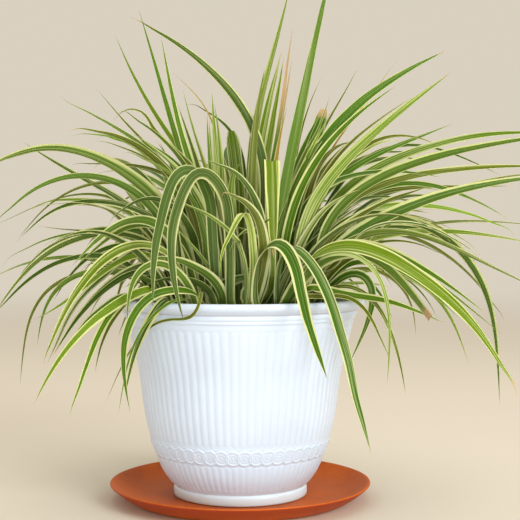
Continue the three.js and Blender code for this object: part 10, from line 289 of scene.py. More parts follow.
        (147.2, 'p', 0.08, 0.08, 0, 0, 0, [-47.1, 48.2, 176, -9.5, 1.73, -48.4, 50.5, 201.2, -12.5, 2.22, -50.2, 53, 226.3, -17.9, 2.57, -53, 53.7, 251.5, -24.2, 2.88, -56, 55.7, 268, -28.6, 2.88, -60.2, 59.4, 284, -32, 2.88, -65.8, 64, 299.2, -33.7, 2.88, -73, 69.3, 313.5, -35, 2.83, -79.5, 73.8, 323.5, -36.3, 2.74, -89.3, 80.1, 335.6, -38.3, 2.57, -103.3, 88.9, 348.8, -41.5, 2.3, -115.6, 96.4, 357.6, -44.5, 2.03, -128.8, 104.3, 364.6, -47.7, 1.72, -142.7, 112.6, 369.5, -50.1, 1.37, -157, 121.1, 372.2, -51.2, 0.99, -186.2, 138, 373.3, -52, 0.12, -189.8, 140, 372.4, -52.1, 0]),
        (161.3, 'o', 0.18, 0.18, 0, 0, 0, [-44.5, 49.8, 176, -12.2, 1.58, -44.5, 49.8, 179.3, -12.5, 1.68, -52.3, 53.8, 204.5, -20.2, 2.19, -57.3, 56.7, 216.5, -25.5, 2.4, -63.3, 59.9, 228, -31.5, 2.59, -68.7, 62.7, 235.9, -36.3, 2.63, -74.9, 66.3, 242.9, -41, 2.63, -81.8, 70.2, 248.9, -44.5, 2.63, -89.6, 74.2, 253.8, -46.4, 2.63, -98.2, 77.5, 257.8, -47.4, 2.61, -104.3, 79.2, 259.9, -47.7, 2.58, -117.1, 81.2, 262.9, -47.4, 2.46, -130.1, 83.2, 264.7, -46.3, 2.3, -149.6, 87.6, 266.1, -44.2, 1.98, -175.2, 94.8, 267.3, -40.8, 1.41, -197.4, 101.9, 268.9, -37.4, 0.81, -222.6, 110, 272, -34.3, 0]),
    ]),
    'leaf_fan_front_03': (0.3, -69.9, [
        (-116.4, 'd', 0.25, 0.12, 0, 0, 0, [-1.8, -69.2, 176, 4.6, 2.71, -2, -69.7, 180.3, 4.8, 2.71, -4, -73.5, 188.2, 5.5, 3.15, -7.7, -77.8, 200.5, 6.6, 4.29, -8.2, -80.6, 209, 7.6, 4.44, -8.1, -82.5, 217.7, 8.9, 4.59, -7.9, -82.6, 231, 12, 4.82, -8.8, -76.4, 261.4, 21.8, 5.22, -9.1, -76.6, 270.3, 25, 5.25, -9.8, -78.6, 278.9, 28.6, 5.29, -12.4, -85.3, 295.2, 37.1, 5.35, -17.1, -90.9, 306.3, 46.6, 5.39, -24.3, -97.7, 315.3, 63.6, 5.44, -30.4, -102.8, 319, 80.7, 5.44, -33.9, -105.6, 319.4, 90.2, 5.38, -37.3, -108.2, 318.6, 99.5, 5.33, -40.3, -110.8, 316.5, 108.1, 5.28, -42.8, -113.1, 313.6, 115.5, 5.23, -46.6, -117.3, 306.8, 126.2, 5.12, -53.6, -125.8, 287.5, 139.1, 4.86, -58.1, -132.8, 266.9, 144.9, 4.49, -58.7, -138, 249.9, 147.1, 3.82, -56.5, -144.4, 228.7, 148.3, 2.98, -52.3, -150.9, 207.8, 148.7, 1.6, -46.4, -157.3, 187.3, 148.8, 0]),
        (-90.4, 'p', 0.29, 0.32, 0, 0, 0, [-0.8, -72.9, 176, -0, 2.33, -0.6, -73, 178.6, 0.1, 2.49, 2.6, -74, 185.7, 0.4, 2.8, 9.6, -75.8, 196.8, 1.2, 3.23, 11.6, -76.7, 201.6, 1.6, 3.39, 12.6, -78.1, 209.2, 2.1, 3.62, 13.4, -81.3, 224.5, 3.1, 3.89, 14, -84.3, 237.2, 4.3, 3.89, 13.1, -89, 252.1, 6, 3.88, 12, -94.5, 263.9, 6.1, 3.73, 9.6, -104, 276.1, 3.2, 3.4, 7.4, -109.3, 281.4, 6.4, 3.17, 6.3, -111.2, 282.8, 8.8, 3.09, 4.6, -113.1, 283.3, 10.9, 3.01, 2.8, -114.5, 282.1, 11.5, 2.92, -0.1, -115.3, 277.9, 7.1, 2.73, -2.5, -114.2, 273.5, 0.2, 2.53, -7.9, -109.9, 262.4, -2.4, 1.97, -13.5, -108.7, 250.7, -3, 1.33, -15.9, -109.7, 240.6, -5.4, 0.77, -16.3, -111.7, 227.7, -7.9, 0]),
        (-154.5, 'p', 0.18, 0.42, 0, 0, 0, [2.3, -68.5, 176, 11, 1.55, 4.7, -70.4, 192, 14, 1.99, 6.6, -72.5, 205.3, 18.4, 2.26, 7.2, -76.6, 223.8, 26.2, 2.59, 6, -79.8, 234.1, 30.9, 2.59, 4.4, -82, 241.8, 33.6, 2.59, 2.9, -81.7, 246.8, 34.6, 2.59, 0.3, -79.3, 254.2, 35.2, 2.59, -0.2, -80.6, 255.6, 35.3, 2.58, -0.4, -82.7, 256.2, 35.5, 2.57, -1.1, -105.8, 258.1, 37.4, 2.39, -1.6, -108.2, 258.7, 37.9, 2.35, -2.6, -109.9, 260.1, 38.3, 2.31, -4.4, -109.4, 262.2, 38.8, 2.26, -11, -103.4, 269.2, 40.9, 2.06, -14.9, -101.9, 272.7, 42.2, 1.95, -23.6, -101.8, 279.1, 44.8, 1.69, -28.2, -101.2, 281.8, 46.3, 1.54, -37.4, -96.9, 286.2, 49.3, 1.23, -42.3, -95.5, 288.3, 50.8, 1.06, -49.7, -96.3, 291.5, 53.1, 0.8, -66.8, -101.1, 298.5, 57.3, 0.11, -68.9, -102.5, 299.3, 57.5, 0]),
    ]),
    'leaf_fan_back_right_03': (47.6, 52.5, [
        (19.9, 'o', 0.34, 0.34, 0, 0, 0, [50.6, 53.6, 176, 1, 3, 50.6, 53.6, 179.7, 1.1, 3, 56.6, 56, 192.9, 2.5, 4.1, 62.9, 58.9, 205.9, 4.5, 4.58, 68.4, 60.1, 215.4, 5.9, 4.92, 74.3, 58.7, 224.6, 7.3, 5.23, 82.8, 54.8, 235.9, 9.1, 5.51, 92.5, 52.8, 246.7, 10.7, 5.51, 100.4, 53.9, 254.4, 11.8, 5.51, 108.4, 56.8, 261.3, 12.8, 5.51, 116.9, 60.4, 267.4, 13.8, 5.47, 129, 65.4, 274, 14.9, 5.29, 141.9, 70.6, 279, 15.8, 5, 154.9, 76.6, 282.3, 16.6, 4.61, 170.9, 85.4, 284.1, 17.3, 4.01, 183.7, 92.6, 283.6, 17.7, 3.43, 196.5, 99.5, 281.2, 17.9, 2.79, 209, 106.1, 277.3, 18.1, 2.08, 236.1, 120.2, 264.7, 18.1, 0.23, 238.6, 121.7, 262.4, 18.1, 0]),
        (26.5, 'g', 0.10, 0.10, 0, 0, 0, [50.4, 53.8, 176, 2.4, 2.93, 50.7, 54, 186, 2.3, 3.22, 51.4, 54.5, 189.2, 2.2, 3.52, 54.5, 56.7, 194.7, 2.2, 3.75, 59, 59.8, 198.5, 2.1, 3.96, 69, 66.7, 204.2, 2.3, 4.36, 85, 77.5, 217.4, 3.1, 4.88, 97.7, 85.7, 224.5, 4, 4.88, 108.6, 92.4, 228.3, 4.2, 4.88, 122.9, 100.7, 230.9, 3.6, 4.82, 134.6, 107.1, 231, 2.8, 4.63, 149.4, 114.5, 228.8, 2, 4.27, 161.1, 119.8, 225.1, 1.5, 3.88, 172.4, 124.5, 219.8, 1.1, 3.43, 183.2, 128.5, 212.9, 0.9, 2.91, 193.2, 131.7, 204.6, 0.7, 2.32, 202.2, 134.2, 195, 0.6, 1.67, 209.9, 135.9, 184.2, 0.5, 0.96, 217.7, 137.2, 169.5, 0.5, 0]),
        (11.9, 'o', 0.27, 0.26, 0, 0, 0, [47.3, 51.4, 176, 5.2, 2.91, 47.3, 51.4, 179.5, 5.3, 3, 51.1, 52.8, 192.9, 6.1, 3.62, 54, 55, 198.8, 6.7, 3.84, 60.8, 59.5, 205.9, 7.7, 4.14, 66.1, 60.9, 210.4, 8.5, 4.33, 68.8, 60.7, 212.7, 8.9, 4.43, 79.3, 56.8, 221.7, 10.7, 4.79, 84.3, 55.4, 226.5, 11.6, 4.86, 90.5, 55.6, 235.4, 13, 4.86, 96.2, 57.6, 244.1, 14, 4.86, 103.6, 60.5, 250.7, 14.3, 4.86, 112.2, 63.1, 256.3, 14.2, 4.84, 124.2, 65.4, 263.3, 14, 4.71, 136.8, 67.1, 269.3, 13.5, 4.48, 146.8, 69.1, 272, 13.1, 4.24, 160.3, 73.1, 273.3, 12.6, 3.86, 177.3, 77.6, 273.4, 12, 3.29, 194.5, 81, 271.8, 11.5, 2.61, 204.6, 83.4, 269.5, 11.2, 2.15, 217.4, 86.7, 264.8, 10.9, 1.49, 229.7, 89.7, 258.6, 10.5, 0.77, 241.5, 92.4, 251.3, 10.3, 0]),
        (24.5, 'd', 0.18, 0.18, 0, 0, 0, [45.4, 51.5, 176, 11.4, 2.51, 45.4, 51.5, 179.9, 11.7, 2.68, 49.8, 58.4, 214.1, 19.8, 3.57, 51.6, 60.1, 225.6, 23.4, 3.82, 56.2, 62.2, 248.5, 31.2, 4.19, 61.5, 62.6, 267.3, 37.3, 4.19, 65.6, 63.6, 278.2, 39.3, 4.19, 72.2, 66.8, 292, 40.4, 4.18, 78.1, 69.9, 301.7, 41, 4.11, 87.3, 74.5, 313.5, 41.9, 3.92, 97.8, 79.3, 324, 43, 3.66, 112.4, 85.4, 335.4, 44.6, 3.24, 125.1, 90.6, 342.9, 45.9, 2.84, 138.6, 96.2, 348.5, 46.5, 2.38, 152.7, 102.1, 351.8, 46.1, 1.86, 167.1, 108.2, 352.8, 45.3, 1.29, 192.3, 118.7, 350.8, 44.2, 0.17, 195.4, 120, 348.9, 44.1, 0]),
        (20.6, 'o', 0.15, 0.15, 0, 0, 0, [48, 52.6, 176, 13.2, 1.75, 48, 52.6, 180.9, 13.6, 1.87, 60.1, 62, 217.2, 24.9, 2.43, 69.6, 66.3, 239.4, 34.2, 2.72, 76.5, 69.9, 252, 40.1, 2.88, 87.3, 75.4, 267.6, 48.4, 2.92, 96.8, 78.9, 278.2, 54, 2.92, 111.5, 83.3, 290.6, 59, 2.92, 123.7, 86.9, 298.1, 61.3, 2.91, 136.7, 90.7, 303.9, 62.8, 2.86, 150.3, 94.5, 308.2, 63.7, 2.77, 164.3, 98.2, 311.2, 63.8, 2.65, 183.2, 103.2, 313.5, 63.4, 2.44, 206.5, 110.9, 314.8, 62.3, 2.12, 233.9, 122, 315.6, 60.4, 1.65, 256.7, 131.2, 316.1, 58.4, 1.2, 284.3, 141.6, 316.6, 55.6, 0.58, 307.4, 150, 317.1, 54, 0]),
        (43.7, 'o', 0.13, 0.13, 0, 0, 0, [44.9, 49.9, 176, 7.8, 1.35, 44.9, 49.9, 180.2, 8, 1.44, 45.3, 52.4, 183.7, 8.3, 1.5, 46.6, 60.2, 198.7, 10.4, 1.72, 47.7, 64.1, 210.7, 12.6, 1.87, 50.8, 68.4, 240, 18.5, 2.17, 53.6, 74.5, 260.1, 23.2, 2.25, 57.1, 81, 280.1, 26.7, 2.25, 63.3, 86.4, 308.6, 28.3, 2.22, 69, 90.5, 328.7, 29.2, 2.1, 75.7, 95.6, 348.2, 30.5, 1.92, 85.5, 102.5, 370.6, 32.2, 1.63, 99.1, 111.1, 395.7, 34.2, 1.21, 115.4, 121.1, 423.7, 35.6, 0.61, 128.7, 130, 448.8, 36.1, 0]),
    ]),
    'leaf_fan_right_07': (57.9, -44, [
        (-10.6, 'b', 0.41, 0.16, 0, 0, 0, [58.3, -44.1, 176, -18.5, 3, 58.4, -44.2, 180.6, -18.9, 3, 58.9, -48.4, 182.7, -19.5, 3.06, 60.1, -55.9, 188.6, -21.7, 4.64, 61.8, -61.7, 195.7, -24.6, 4.94, 64.4, -64, 204.2, -27.9, 5.22, 73.2, -64.9, 225.6, -37, 5.86, 77.6, -63.4, 233.5, -40.9, 6.1, 79.9, -61.2, 236.9, -42.9, 6.22, 84.5, -54.8, 242.6, -47, 6.43, 89.5, -48.3, 247.5, -51, 6.43, 95.6, -44, 253, -54.8, 6.43, 102.8, -43.5, 258.7, -57.9, 6.43, 117.7, -47.9, 269, -60.6, 6.43, 137.1, -54.5, 279.9, -60.4, 6.35, 157.5, -60.5, 289.2, -59.7, 6.02, 178.7, -65.6, 297.1, -59.1, 5.5, 200.5, -70.1, 303.7, -58.6, 4.83, 227.2, -75.3, 310, -58.1, 3.83, 249.7, -79.5, 313.9, -57.7, 2.85, 281.4, -85.6, 317.3, -57.3, 1.27, 299.6, -89.1, 318.8, -57.1, 0.26, 304.1, -90, 318.3, -57.1, 0]),
        (-11.5, 'l', 0.12, 0.12, 0, 0, 0, [54.2, -43.2, 176, -13.8, 2.84, 54.2, -43.2, 180.3, -14, 3, 55.1, -46.7, 182.6, -14.5, 3, 56.6, -52.8, 188.7, -15.8, 3.41, 58.6, -58.1, 195.3, -17.7, 3.63, 59.8, -59.9, 199, -18.8, 3.73, 61.2, -60.9, 202.8, -19.9, 3.83, 64.4, -61.4, 210.7, -22.3, 4.03, 70, -60.7, 222.1, -26.2, 4.31, 74.4, -59.7, 229.3, -28.8, 4.49, 84.8, -55.2, 242.1, -34.4, 4.73, 91, -53.6, 247.7, -37.1, 4.73, 97.8, -53.2, 252.8, -39.5, 4.73, 112.8, -54.1, 260.6, -41.8, 4.73, 120.8, -55.1, 263.4, -41.8, 4.73, 133.1, -57.4, 265.9, -41.2, 4.69, 145.5, -60.2, 266.7, -40.4, 4.59, 157.9, -63.1, 265.7, -39.7, 4.42, 170.1, -65.9, 263.3, -39, 4.21, 182.1, -68.5, 259.5, -38.3, 3.95, 205.1, -73.4, 249.6, -37.2, 3.32, 231.2, -78.9, 236.3, -36, 2.39, 257.3, -84.4, 223.1, -35, 1.28, 283.5, -90, 210.1, -34.3, 0]),
        (-10.9, 'g', 0.12, 0.12, 0, 0, 0, [57, -43.8, 176, 13.3, 2.02, 57, -43.8, 179.7, 13.4, 2.16, 57.5, -46.3, 182.5, 13.6, 2.26, 58.5, -50.3, 189, 14.4, 2.43, 59.9, -52.2, 196.1, 15.4, 2.59, 62.7, -52.3, 206.8, 17.4, 2.81, 66.7, -53.3, 217.3, 19.9, 3.01, 70.2, -52.5, 223.9, 21.7, 3.14, 74.4, -51.3, 230, 23.7, 3.27, 79.1, -53.1, 235.5, 25.8, 3.38, 83.8, -57.2, 239.9, 28, 3.38, 89.6, -60.2, 243.7, 30, 3.38, 92.9, -60.5, 245.3, 30.9, 3.38, 99.9, -59.3, 247.8, 32.1, 3.38, 107.1, -58, 249.3, 32.4, 3.38, 114.6, -57.8, 249.7, 32.1, 3.38, 125.7, -58.8, 248.7, 31.2, 3.35, 140, -60.5, 244.7, 30, 3.24, 153.5, -62.5, 238.8, 29.3, 3.06, 166.4, -64.7, 231.5, 28.9, 2.82, 181.9, -67.5, 221.4, 28.9, 2.45, 199.7, -70.9, 208.2, 29.7, 1.91, 222.5, -75.5, 189.5, 31.7, 1.04, 245, -80, 170.3, 33.7, 0]),
        (-30.3, 'o', 0.18, 0.18, 0, 0, 0, [60.4, -45.1, 176, 13.9, 1.71, 60.4, -45, 178.7, 14.1, 1.82, 60.9, -47.2, 180.1, 14.5, 1.91, 63.4, -55.4, 187.2, 17.3, 2.19, 66.2, -61, 193.1, 20.2, 2.37, 68.7, -63.6, 197.3, 22.5, 2.49, 73.3, -66.6, 203.5, 26.1, 2.65, 80.7, -71.1, 210.2, 31.5, 2.85, 87.6, -74, 213.5, 35.6, 2.85, 95.5, -75.6, 215.1, 38.9, 2.85, 103.7, -76.1, 214.6, 39.8, 2.85, 113.9, -77.1, 210.9, 37.7, 2.84, 120.6, -78.6, 206.3, 35.6, 2.79, 127.8, -81.4, 198.7, 33.7, 2.67, 133.6, -84.5, 189.8, 32.9, 2.49, 139.2, -88.1, 177.8, 33.3, 2.21, 143.6, -91.3, 165.2, 34.8, 1.86, 147.8, -94.5, 149.6, 37.5, 1.36, 151, -97.2, 133.7, 41, 0.77, 153.9, -100, 114.9, 44.3, 0]),
    ]),
    'leaf_fan_back_03': (-13.2, 72.5, [
        (102.0, 'l', 0.08, 0.08, 0, 0, 0, [-12.4, 68.8, 176, 0.4, 3, -12.4, 68.8, 179.4, 0.5, 3, -14.2, 77.4, 193.7, 1.2, 4.99, -15.1, 83.5, 201.7, 1.8, 5.4, -15.9, 91.1, 208.4, 2.3, 5.79, -16.3, 96.7, 212, 2.6, 6.04, -16.4, 105.9, 216.3, 2.9, 6.4, -14.1, 128.3, 223.3, 3.3, 6.49, -13.3, 134.4, 226, 3.3, 6.49, -13.2, 140, 229.8, 3.2, 6.49, -14.7, 144.5, 234.5, 3.1, 6.49, -19.8, 150.2, 241, 2.8, 6.41, -24, 154.8, 243.7, 2.4, 6.3, -27.5, 160.4, 244.6, 2.1, 6.16, -31.4, 169.7, 243.7, 1.3, 5.89, -34.6, 182.2, 240.1, 0.1, 5.43, -37.9, 197.2, 233.1, -1.7, 4.72, -40.3, 208.3, 225.8, -3.5, 4.05, -42.7, 218.3, 217, -5.5, 3.29, -44.9, 227.1, 207, -7.7, 2.45, -49.4, 243.7, 182.1, -12.4, 0.27, -49.7, 244.6, 178.8, -12.6, 0]),
        (124.9, 'd', 0.33, 0.39, 0, 0, 0, [-11.6, 74, 176, 0.3, 3, -11.6, 74, 180.1, 0.3, 3, -17.8, 84.2, 196.6, 0.8, 4.85, -20.5, 89.2, 202.5, 1.1, 5.13, -25, 97.9, 209.9, 1.5, 5.52, -39.5, 122.5, 226, 2.4, 6.32, -51.6, 143.6, 241, 3.1, 6.32, -57.2, 152.9, 246.6, 3.3, 6.32, -65.7, 165.9, 252, 3.6, 6.24, -74.7, 179.2, 254.5, 3.8, 6, -84.1, 192.6, 254.3, 3.9, 5.63, -93.5, 205.7, 251.9, 4, 5.16, -103, 218.3, 247.5, 4.1, 4.6, -112.3, 230.2, 241.3, 4, 3.94, -121.4, 241.3, 233.5, 4, 3.2, -130.2, 251.6, 224.3, 3.8, 2.38, -149.2, 272.5, 200.7, 3.5, 0.26, -151, 274.2, 197.5, 3.5, 0]),
        (108.3, 'g', 0.36, 0.38, 0, 0, 0, [-14.2, 75.5, 176, 0.5, 3, -14.2, 75.5, 179.5, 0.6, 3, -20.3, 99.4, 199.2, 2.6, 5.15, -22.8, 111, 206.6, 3.5, 5.63, -25, 123.8, 212, 4.5, 6.04, -27.4, 140.8, 215.7, 5.5, 6.04, -30.2, 154.8, 216.8, 6.3, 6.04, -34.4, 164.4, 216.7, 6.9, 6.04, -43.4, 178.9, 214.1, 7.6, 5.87, -48.7, 191.3, 210.4, 8.2, 5.57, -52.7, 203.6, 204.9, 8.6, 5.17, -56.4, 214.9, 197.5, 9, 4.68, -60.1, 225.1, 188.5, 9.3, 4.09, -63.5, 233.9, 178.2, 9.5, 3.42, -67.6, 243.3, 164, 9.7, 2.48, -71.9, 252.5, 145.5, 9.8, 1.19, -74.6, 258.1, 132.9, 9.8, 0.25, -75, 258.8, 129.5, 9.8, 0]),
        (119.3, 'g', 0.29, 0.30, 0, 0, 0, [-12.7, 71.6, 176, -0.2, 3, -12.7, 71.6, 179.3, -0.2, 3, -16.4, 83.1, 190.2, -0.5, 3.92, -21.5, 97.2, 202.9, -1.1, 4.55, -25.8, 107.1, 210.1, -1.4, 4.94, -34.4, 122.1, 219.3, -2, 5.1, -44.9, 135.3, 229.1, -2.5, 5.1, -49.4, 142.7, 233.6, -2.8, 5.09, -52.9, 151.4, 236.6, -3, 5, -57, 163.7, 238.3, -3.4, 4.78, -60.5, 172.9, 238.2, -3.7, 4.55, -65.9, 184.6, 236.4, -4.1, 4.17, -72.1, 195.6, 233, -4.5, 3.71, -78.7, 205.8, 228.1, -4.8, 3.18, -85.4, 215.1, 222, -5.2, 2.59, -92.2, 223.6, 214.7, -5.6, 1.92, -106.9, 240.6, 195.8, -6.4, 0.21, -108.3, 241.9, 193.2, -6.4, 0]),
    ]),
    'leaf_fan_front_left_05': (-39.7, -63.1, [
        (-147.1, 'l', 0.30, 0.34, 0, 0, 0, [-40, -65.9, 176, -14.4, 3, -40, -65.9, 179.7, -14.6, 3, -43.5, -64, 197.6, -18.6, 4.1, -47, -64.3, 211.8, -23.6, 4.55, -50.5, -66.4, 222, -27.7, 4.87, -56.5, -71.8, 234.2, -33.8, 5.27, -64.4, -79, 244.2, -40.2, 5.34, -69.2, -82.9, 248.1, -43.1, 5.34, -74.5, -87, 251.2, -45.3, 5.34, -83, -93.3, 253.9, -47.1, 5.34, -89, -97.5, 254.5, -47.5, 5.34, -95.1, -101.6, 254, -47.5, 5.3, -104.2, -107.1, 251.4, -47, 5.18, -115.7, -113.6, 245.1, -45.7, 4.92, -126, -119.4, 236.4, -44.9, 4.57, -137, -125.9, 223.2, -45.4, 4.01, -146.3, -132, 208.7, -47.1, 3.33, -155.7, -138.7, 190, -50.3, 2.37, -164.7, -145.7, 167, -55.1, 1.05, -169.3, -149.5, 153.6, -57.2, 0.22, -169.7, -150, 150, -57.4, 0]),
        (-131.6, 'g', 0.39, 0.37, 0, 0, 0, [-37.2, -60.3, 176, 8.9, 2.28, -37.2, -60.3, 178.2, 9.2, 2.28, -39.1, -66.2, 190, 14.2, 3.28, -41.2, -71.6, 199.6, 22.5, 3.7, -44.9, -77.9, 210.7, 38, 4.15, -49.3, -83.3, 219.4, 50.6, 4.15, -54.2, -86.8, 225.9, 59, 4.15, -60.5, -89.3, 231.5, 67.2, 4.14, -68.1, -91.9, 235.3, 77.7, 4.03, -74.2, -94.3, 236.4, 87.3, 3.88, -80.2, -97.2, 235.8, 97.3, 3.7, -85.5, -100.4, 233.5, 106.3, 3.47, -89.9, -103.8, 229.8, 113.7, 3.21, -94.2, -108.3, 223.5, 120.5, 2.81, -96.9, -112.8, 216.3, 124.6, 2.35, -98.4, -117.1, 208.7, 126.9, 1.84, -99.2, -123.6, 197, 128.4, 0.97, -99, -130, 185.3, 129.3, 0]),
        (-149.9, 'o', 0.14, 0.14, 0, 0, 0, [-42.5, -64.7, 176, -14.3, 1.01, -42.9, -65.9, 179.1, -14.5, 1.07, -42.7, -69.1, 180.2, -15, 1.12, -41, -84.1, 188.3, -19.4, 1.33, -34.9, -107.4, 204.2, -27.7, 1.56, -32.3, -125.7, 212.7, -29.7, 1.68, -32.3, -127.8, 212.6, -29.6, 1.68, -32.5, -130.3, 211, -29.7, 1.68, -34, -136.5, 203.5, -30.3, 1.68, -36.2, -138.1, 197.5, -30.7, 1.68, -37.9, -137.4, 194.6, -30.8, 1.68, -41.9, -134, 190.5, -31, 1.67, -48.9, -127.3, 188, -31.2, 1.64, -61.5, -116.1, 186.5, -31.3, 1.55, -71.5, -107.4, 183.8, -30.8, 1.44, -76.4, -103.5, 181.4, -30.6, 1.37, -81.3, -100.3, 178.1, -30.4, 1.3, -88.4, -97.5, 171.6, -30.3, 1.18, -94.8, -96.8, 163.8, -30.3, 1.05, -102, -98.4, 152.6, -30.3, 0.85, -109.3, -102.2, 137.9, -30.3, 0.57, -120.6, -110, 110.8, -30.3, 0]),
        (-126.9, 'g', 0.13, 0.13, 0, 0, 0, [-39.1, -62.3, 176, -15, 0.84, -39.2, -62.6, 178.7, -15.3, 0.9, -40, -69.6, 182.4, -17.9, 1.01, -41.5, -81.3, 192.9, -26.6, 1.19, -42.9, -88.1, 197.1, -31.5, 1.28, -47.1, -106.1, 203.8, -40.8, 1.4, -49.7, -110.7, 205, -41.6, 1.4, -54, -113.5, 204.8, -41.6, 1.4, -63.7, -115.2, 200.7, -39.7, 1.4, -74.2, -117.7, 192.7, -36.4, 1.38, -82.9, -120.9, 183, -34.1, 1.31, -89.6, -125, 172.2, -32.7, 1.2, -94.4, -129.8, 160.6, -32, 1.05, -98.4, -135.7, 146.2, -31.7, 0.83, -101.1, -141, 131.2, -32, 0.57, -103.3, -145.9, 116, -32.6, 0.28, -104.9, -150, 103.3, -33, 0]),
    ]),
    'leaf_fan_right_08': (72.8, 19.9, [
        (-9.6, 'b', 0.31, 0.28, 0, 0, 0, [74.3, 21.3, 176, -12.1, 3, 75, 21.2, 184.9, -13.9, 3, 75.9, 21, 190.7, -16.2, 4.26, 79.2, 19.9, 205.1, -23.2, 5.02, 82.9, 17.3, 216.1, -29.1, 5.48, 86.7, 14, 223.3, -33.7, 5.81, 92.2, 11.9, 229.8, -38.2, 5.89, 96.2, 12.6, 234, -41, 5.89, 99.3, 14.7, 238.6, -43.3, 5.89, 101.4, 16.9, 243.6, -44.8, 5.89, 104.4, 18, 251.8, -45.7, 5.89, 107.6, 16.8, 256.5, -45.8, 5.87, 113.2, 13.4, 262.5, -45.6, 5.77, 116.3, 11.9, 267.3, -45.4, 5.65, 121.5, 11.8, 278, -44.6, 5.34, 128.3, 13, 287.6, -43.6, 4.93, 132.9, 12.6, 291.3, -42.9, 4.68, 140.6, 10.6, 295.2, -41.8, 4.28, 154.4, 6.9, 299.4, -39.6, 3.51, 165.8, 4.8, 301.7, -37.5, 2.8, 183.3, 2.1, 302.5, -34.1, 1.6, 195, 0.5, 301.1, -31.8, 0.71, 203.6, -0.7, 299.2, -30.9, 0]),
        (18.8, 'p', 0.19, 0.19, 0, 0, 0, [73.2, 20.1, 176, 11.5, 2.84, 73.2, 20.1, 180.6, 11.7, 3, 77, 19.9, 203, 14.4, 3.63, 82, 17.7, 225.1, 18.8, 4.12, 89.4, 12.8, 246, 24.7, 4.57, 93.4, 10.8, 254, 27.5, 4.73, 98.1, 9.8, 261.6, 30.5, 4.73, 103.6, 11, 268.7, 33.6, 4.73, 109.5, 14.6, 274.7, 36.5, 4.73, 115.3, 19.8, 279.4, 38.9, 4.73, 124.5, 28.4, 284.8, 41.5, 4.73, 138.1, 39.3, 290, 43.6, 4.66, 145.6, 44.1, 291.9, 44.3, 4.59, 157.5, 50.7, 293.7, 44.9, 4.42, 174.1, 57.9, 294.6, 45.9, 4.13, 195.7, 65, 293.6, 47.6, 3.66, 226.1, 73.7, 289.1, 50.8, 2.81, 251.4, 81.3, 282.3, 54.2, 1.94, 267.7, 86.5, 276, 56.8, 1.28, 291.4, 94.1, 264.9, 60, 0.19, 293.8, 95, 261.2, 60.2, 0]),
        (5.0, 'l', 0.24, 0.24, 0, 0, 0, [70.2, 21.9, 176, 14.1, 2.3, 70, 22.8, 192.3, 15.2, 3.25, 70.1, 25.4, 214, 18.3, 3.68, 71.6, 25.7, 235.7, 25, 4.07, 74.3, 26.7, 251.8, 34.2, 4.34, 79, 29.4, 267.2, 45.6, 4.6, 85.8, 30.5, 282, 57.1, 4.66, 94.7, 29.5, 295.6, 67, 4.66, 105.6, 28.4, 307.7, 74.4, 4.66, 122.6, 28.2, 321.4, 79.1, 4.66, 146.2, 29.4, 335, 80.5, 4.52, 171.1, 31.3, 345.7, 81.4, 4.23, 202.1, 33.9, 355.8, 82.4, 3.71, 228.5, 36, 362.2, 83.3, 3.16, 255.3, 38.3, 366.3, 84.5, 2.5, 282.4, 40.5, 368, 85.7, 1.76, 331.3, 44.6, 366.4, 88.6, 0.19, 336.5, 45, 364.9, 88.8, 0]),
        (30.8, 'o', 0.39, 0.42, 0, 0, 0, [72.9, 19, 176, 9, 2.78, 73.9, 19.8, 187.6, 10.6, 3.23, 76.6, 22.1, 194.4, 12.6, 3.46, 81.1, 25.5, 199.8, 15, 3.66, 86.3, 29.1, 204.5, 17.4, 3.86, 91.6, 31.9, 210.1, 20, 4.05, 98.5, 35.5, 220, 23.9, 4.32, 103.8, 41.5, 229, 28, 4.57, 111.6, 51.7, 237.4, 33.5, 4.64, 121.3, 60.8, 246.5, 38.3, 4.64, 129.2, 65.5, 254.6, 40.7, 4.64, 140.3, 70.9, 264.1, 43, 4.61, 146, 74.6, 267.9, 44.1, 4.54, 155, 81.1, 272, 45.9, 4.4, 168, 89.6, 275.1, 47.6, 4.13, 185, 99.5, 276.9, 47.6, 3.69, 198.8, 107.2, 276.3, 46.6, 3.26, 212, 115, 273, 45.3, 2.76, 225.1, 122.6, 267.4, 43.8, 2.2, 239.1, 127.4, 260.7, 42.1, 1.59, 251.9, 130.1, 252.6, 40.2, 0.92, 265.4, 133.7, 238.9, 38.7, 0]),
        (10.7, 'o', 0.10, 0.38, 0, 0, 0, [69, 19.2, 176, 13.2, 2.3, 69, 19.2, 181.4, 13.4, 2.3, 70.5, 15.9, 202.4, 15.5, 3.09, 72.3, 15.2, 218.4, 18.4, 3.37, 73.9, 13.7, 228.8, 21.5, 3.54, 75.9, 10.3, 238.8, 26.2, 3.7, 79.9, 3.5, 253, 35.7, 3.94, 83.7, 0.8, 262.6, 43.1, 4.09, 88.7, 1.2, 272, 50.6, 4.15, 94.4, 4.6, 280.4, 57.7, 4.15, 104, 12.1, 291, 67, 4.15, 115, 19.7, 299.8, 73.7, 4.15, 127.6, 26.2, 307.3, 77.4, 4.15, 146.3, 32.8, 315.4, 79.5, 4.06, 171.3, 39.1, 322.7, 81.2, 3.82, 197.1, 44.4, 327.6, 82.5, 3.47, 233.7, 51.1, 332.1, 83.7, 2.81, 270.5, 57.8, 334.5, 84.9, 1.97, 307.4, 64.4, 334.9, 86.5, 0.97, 333.7, 69.1, 334.3, 88.6, 0.17, 338.9, 70, 333.1, 88.9, 0]),
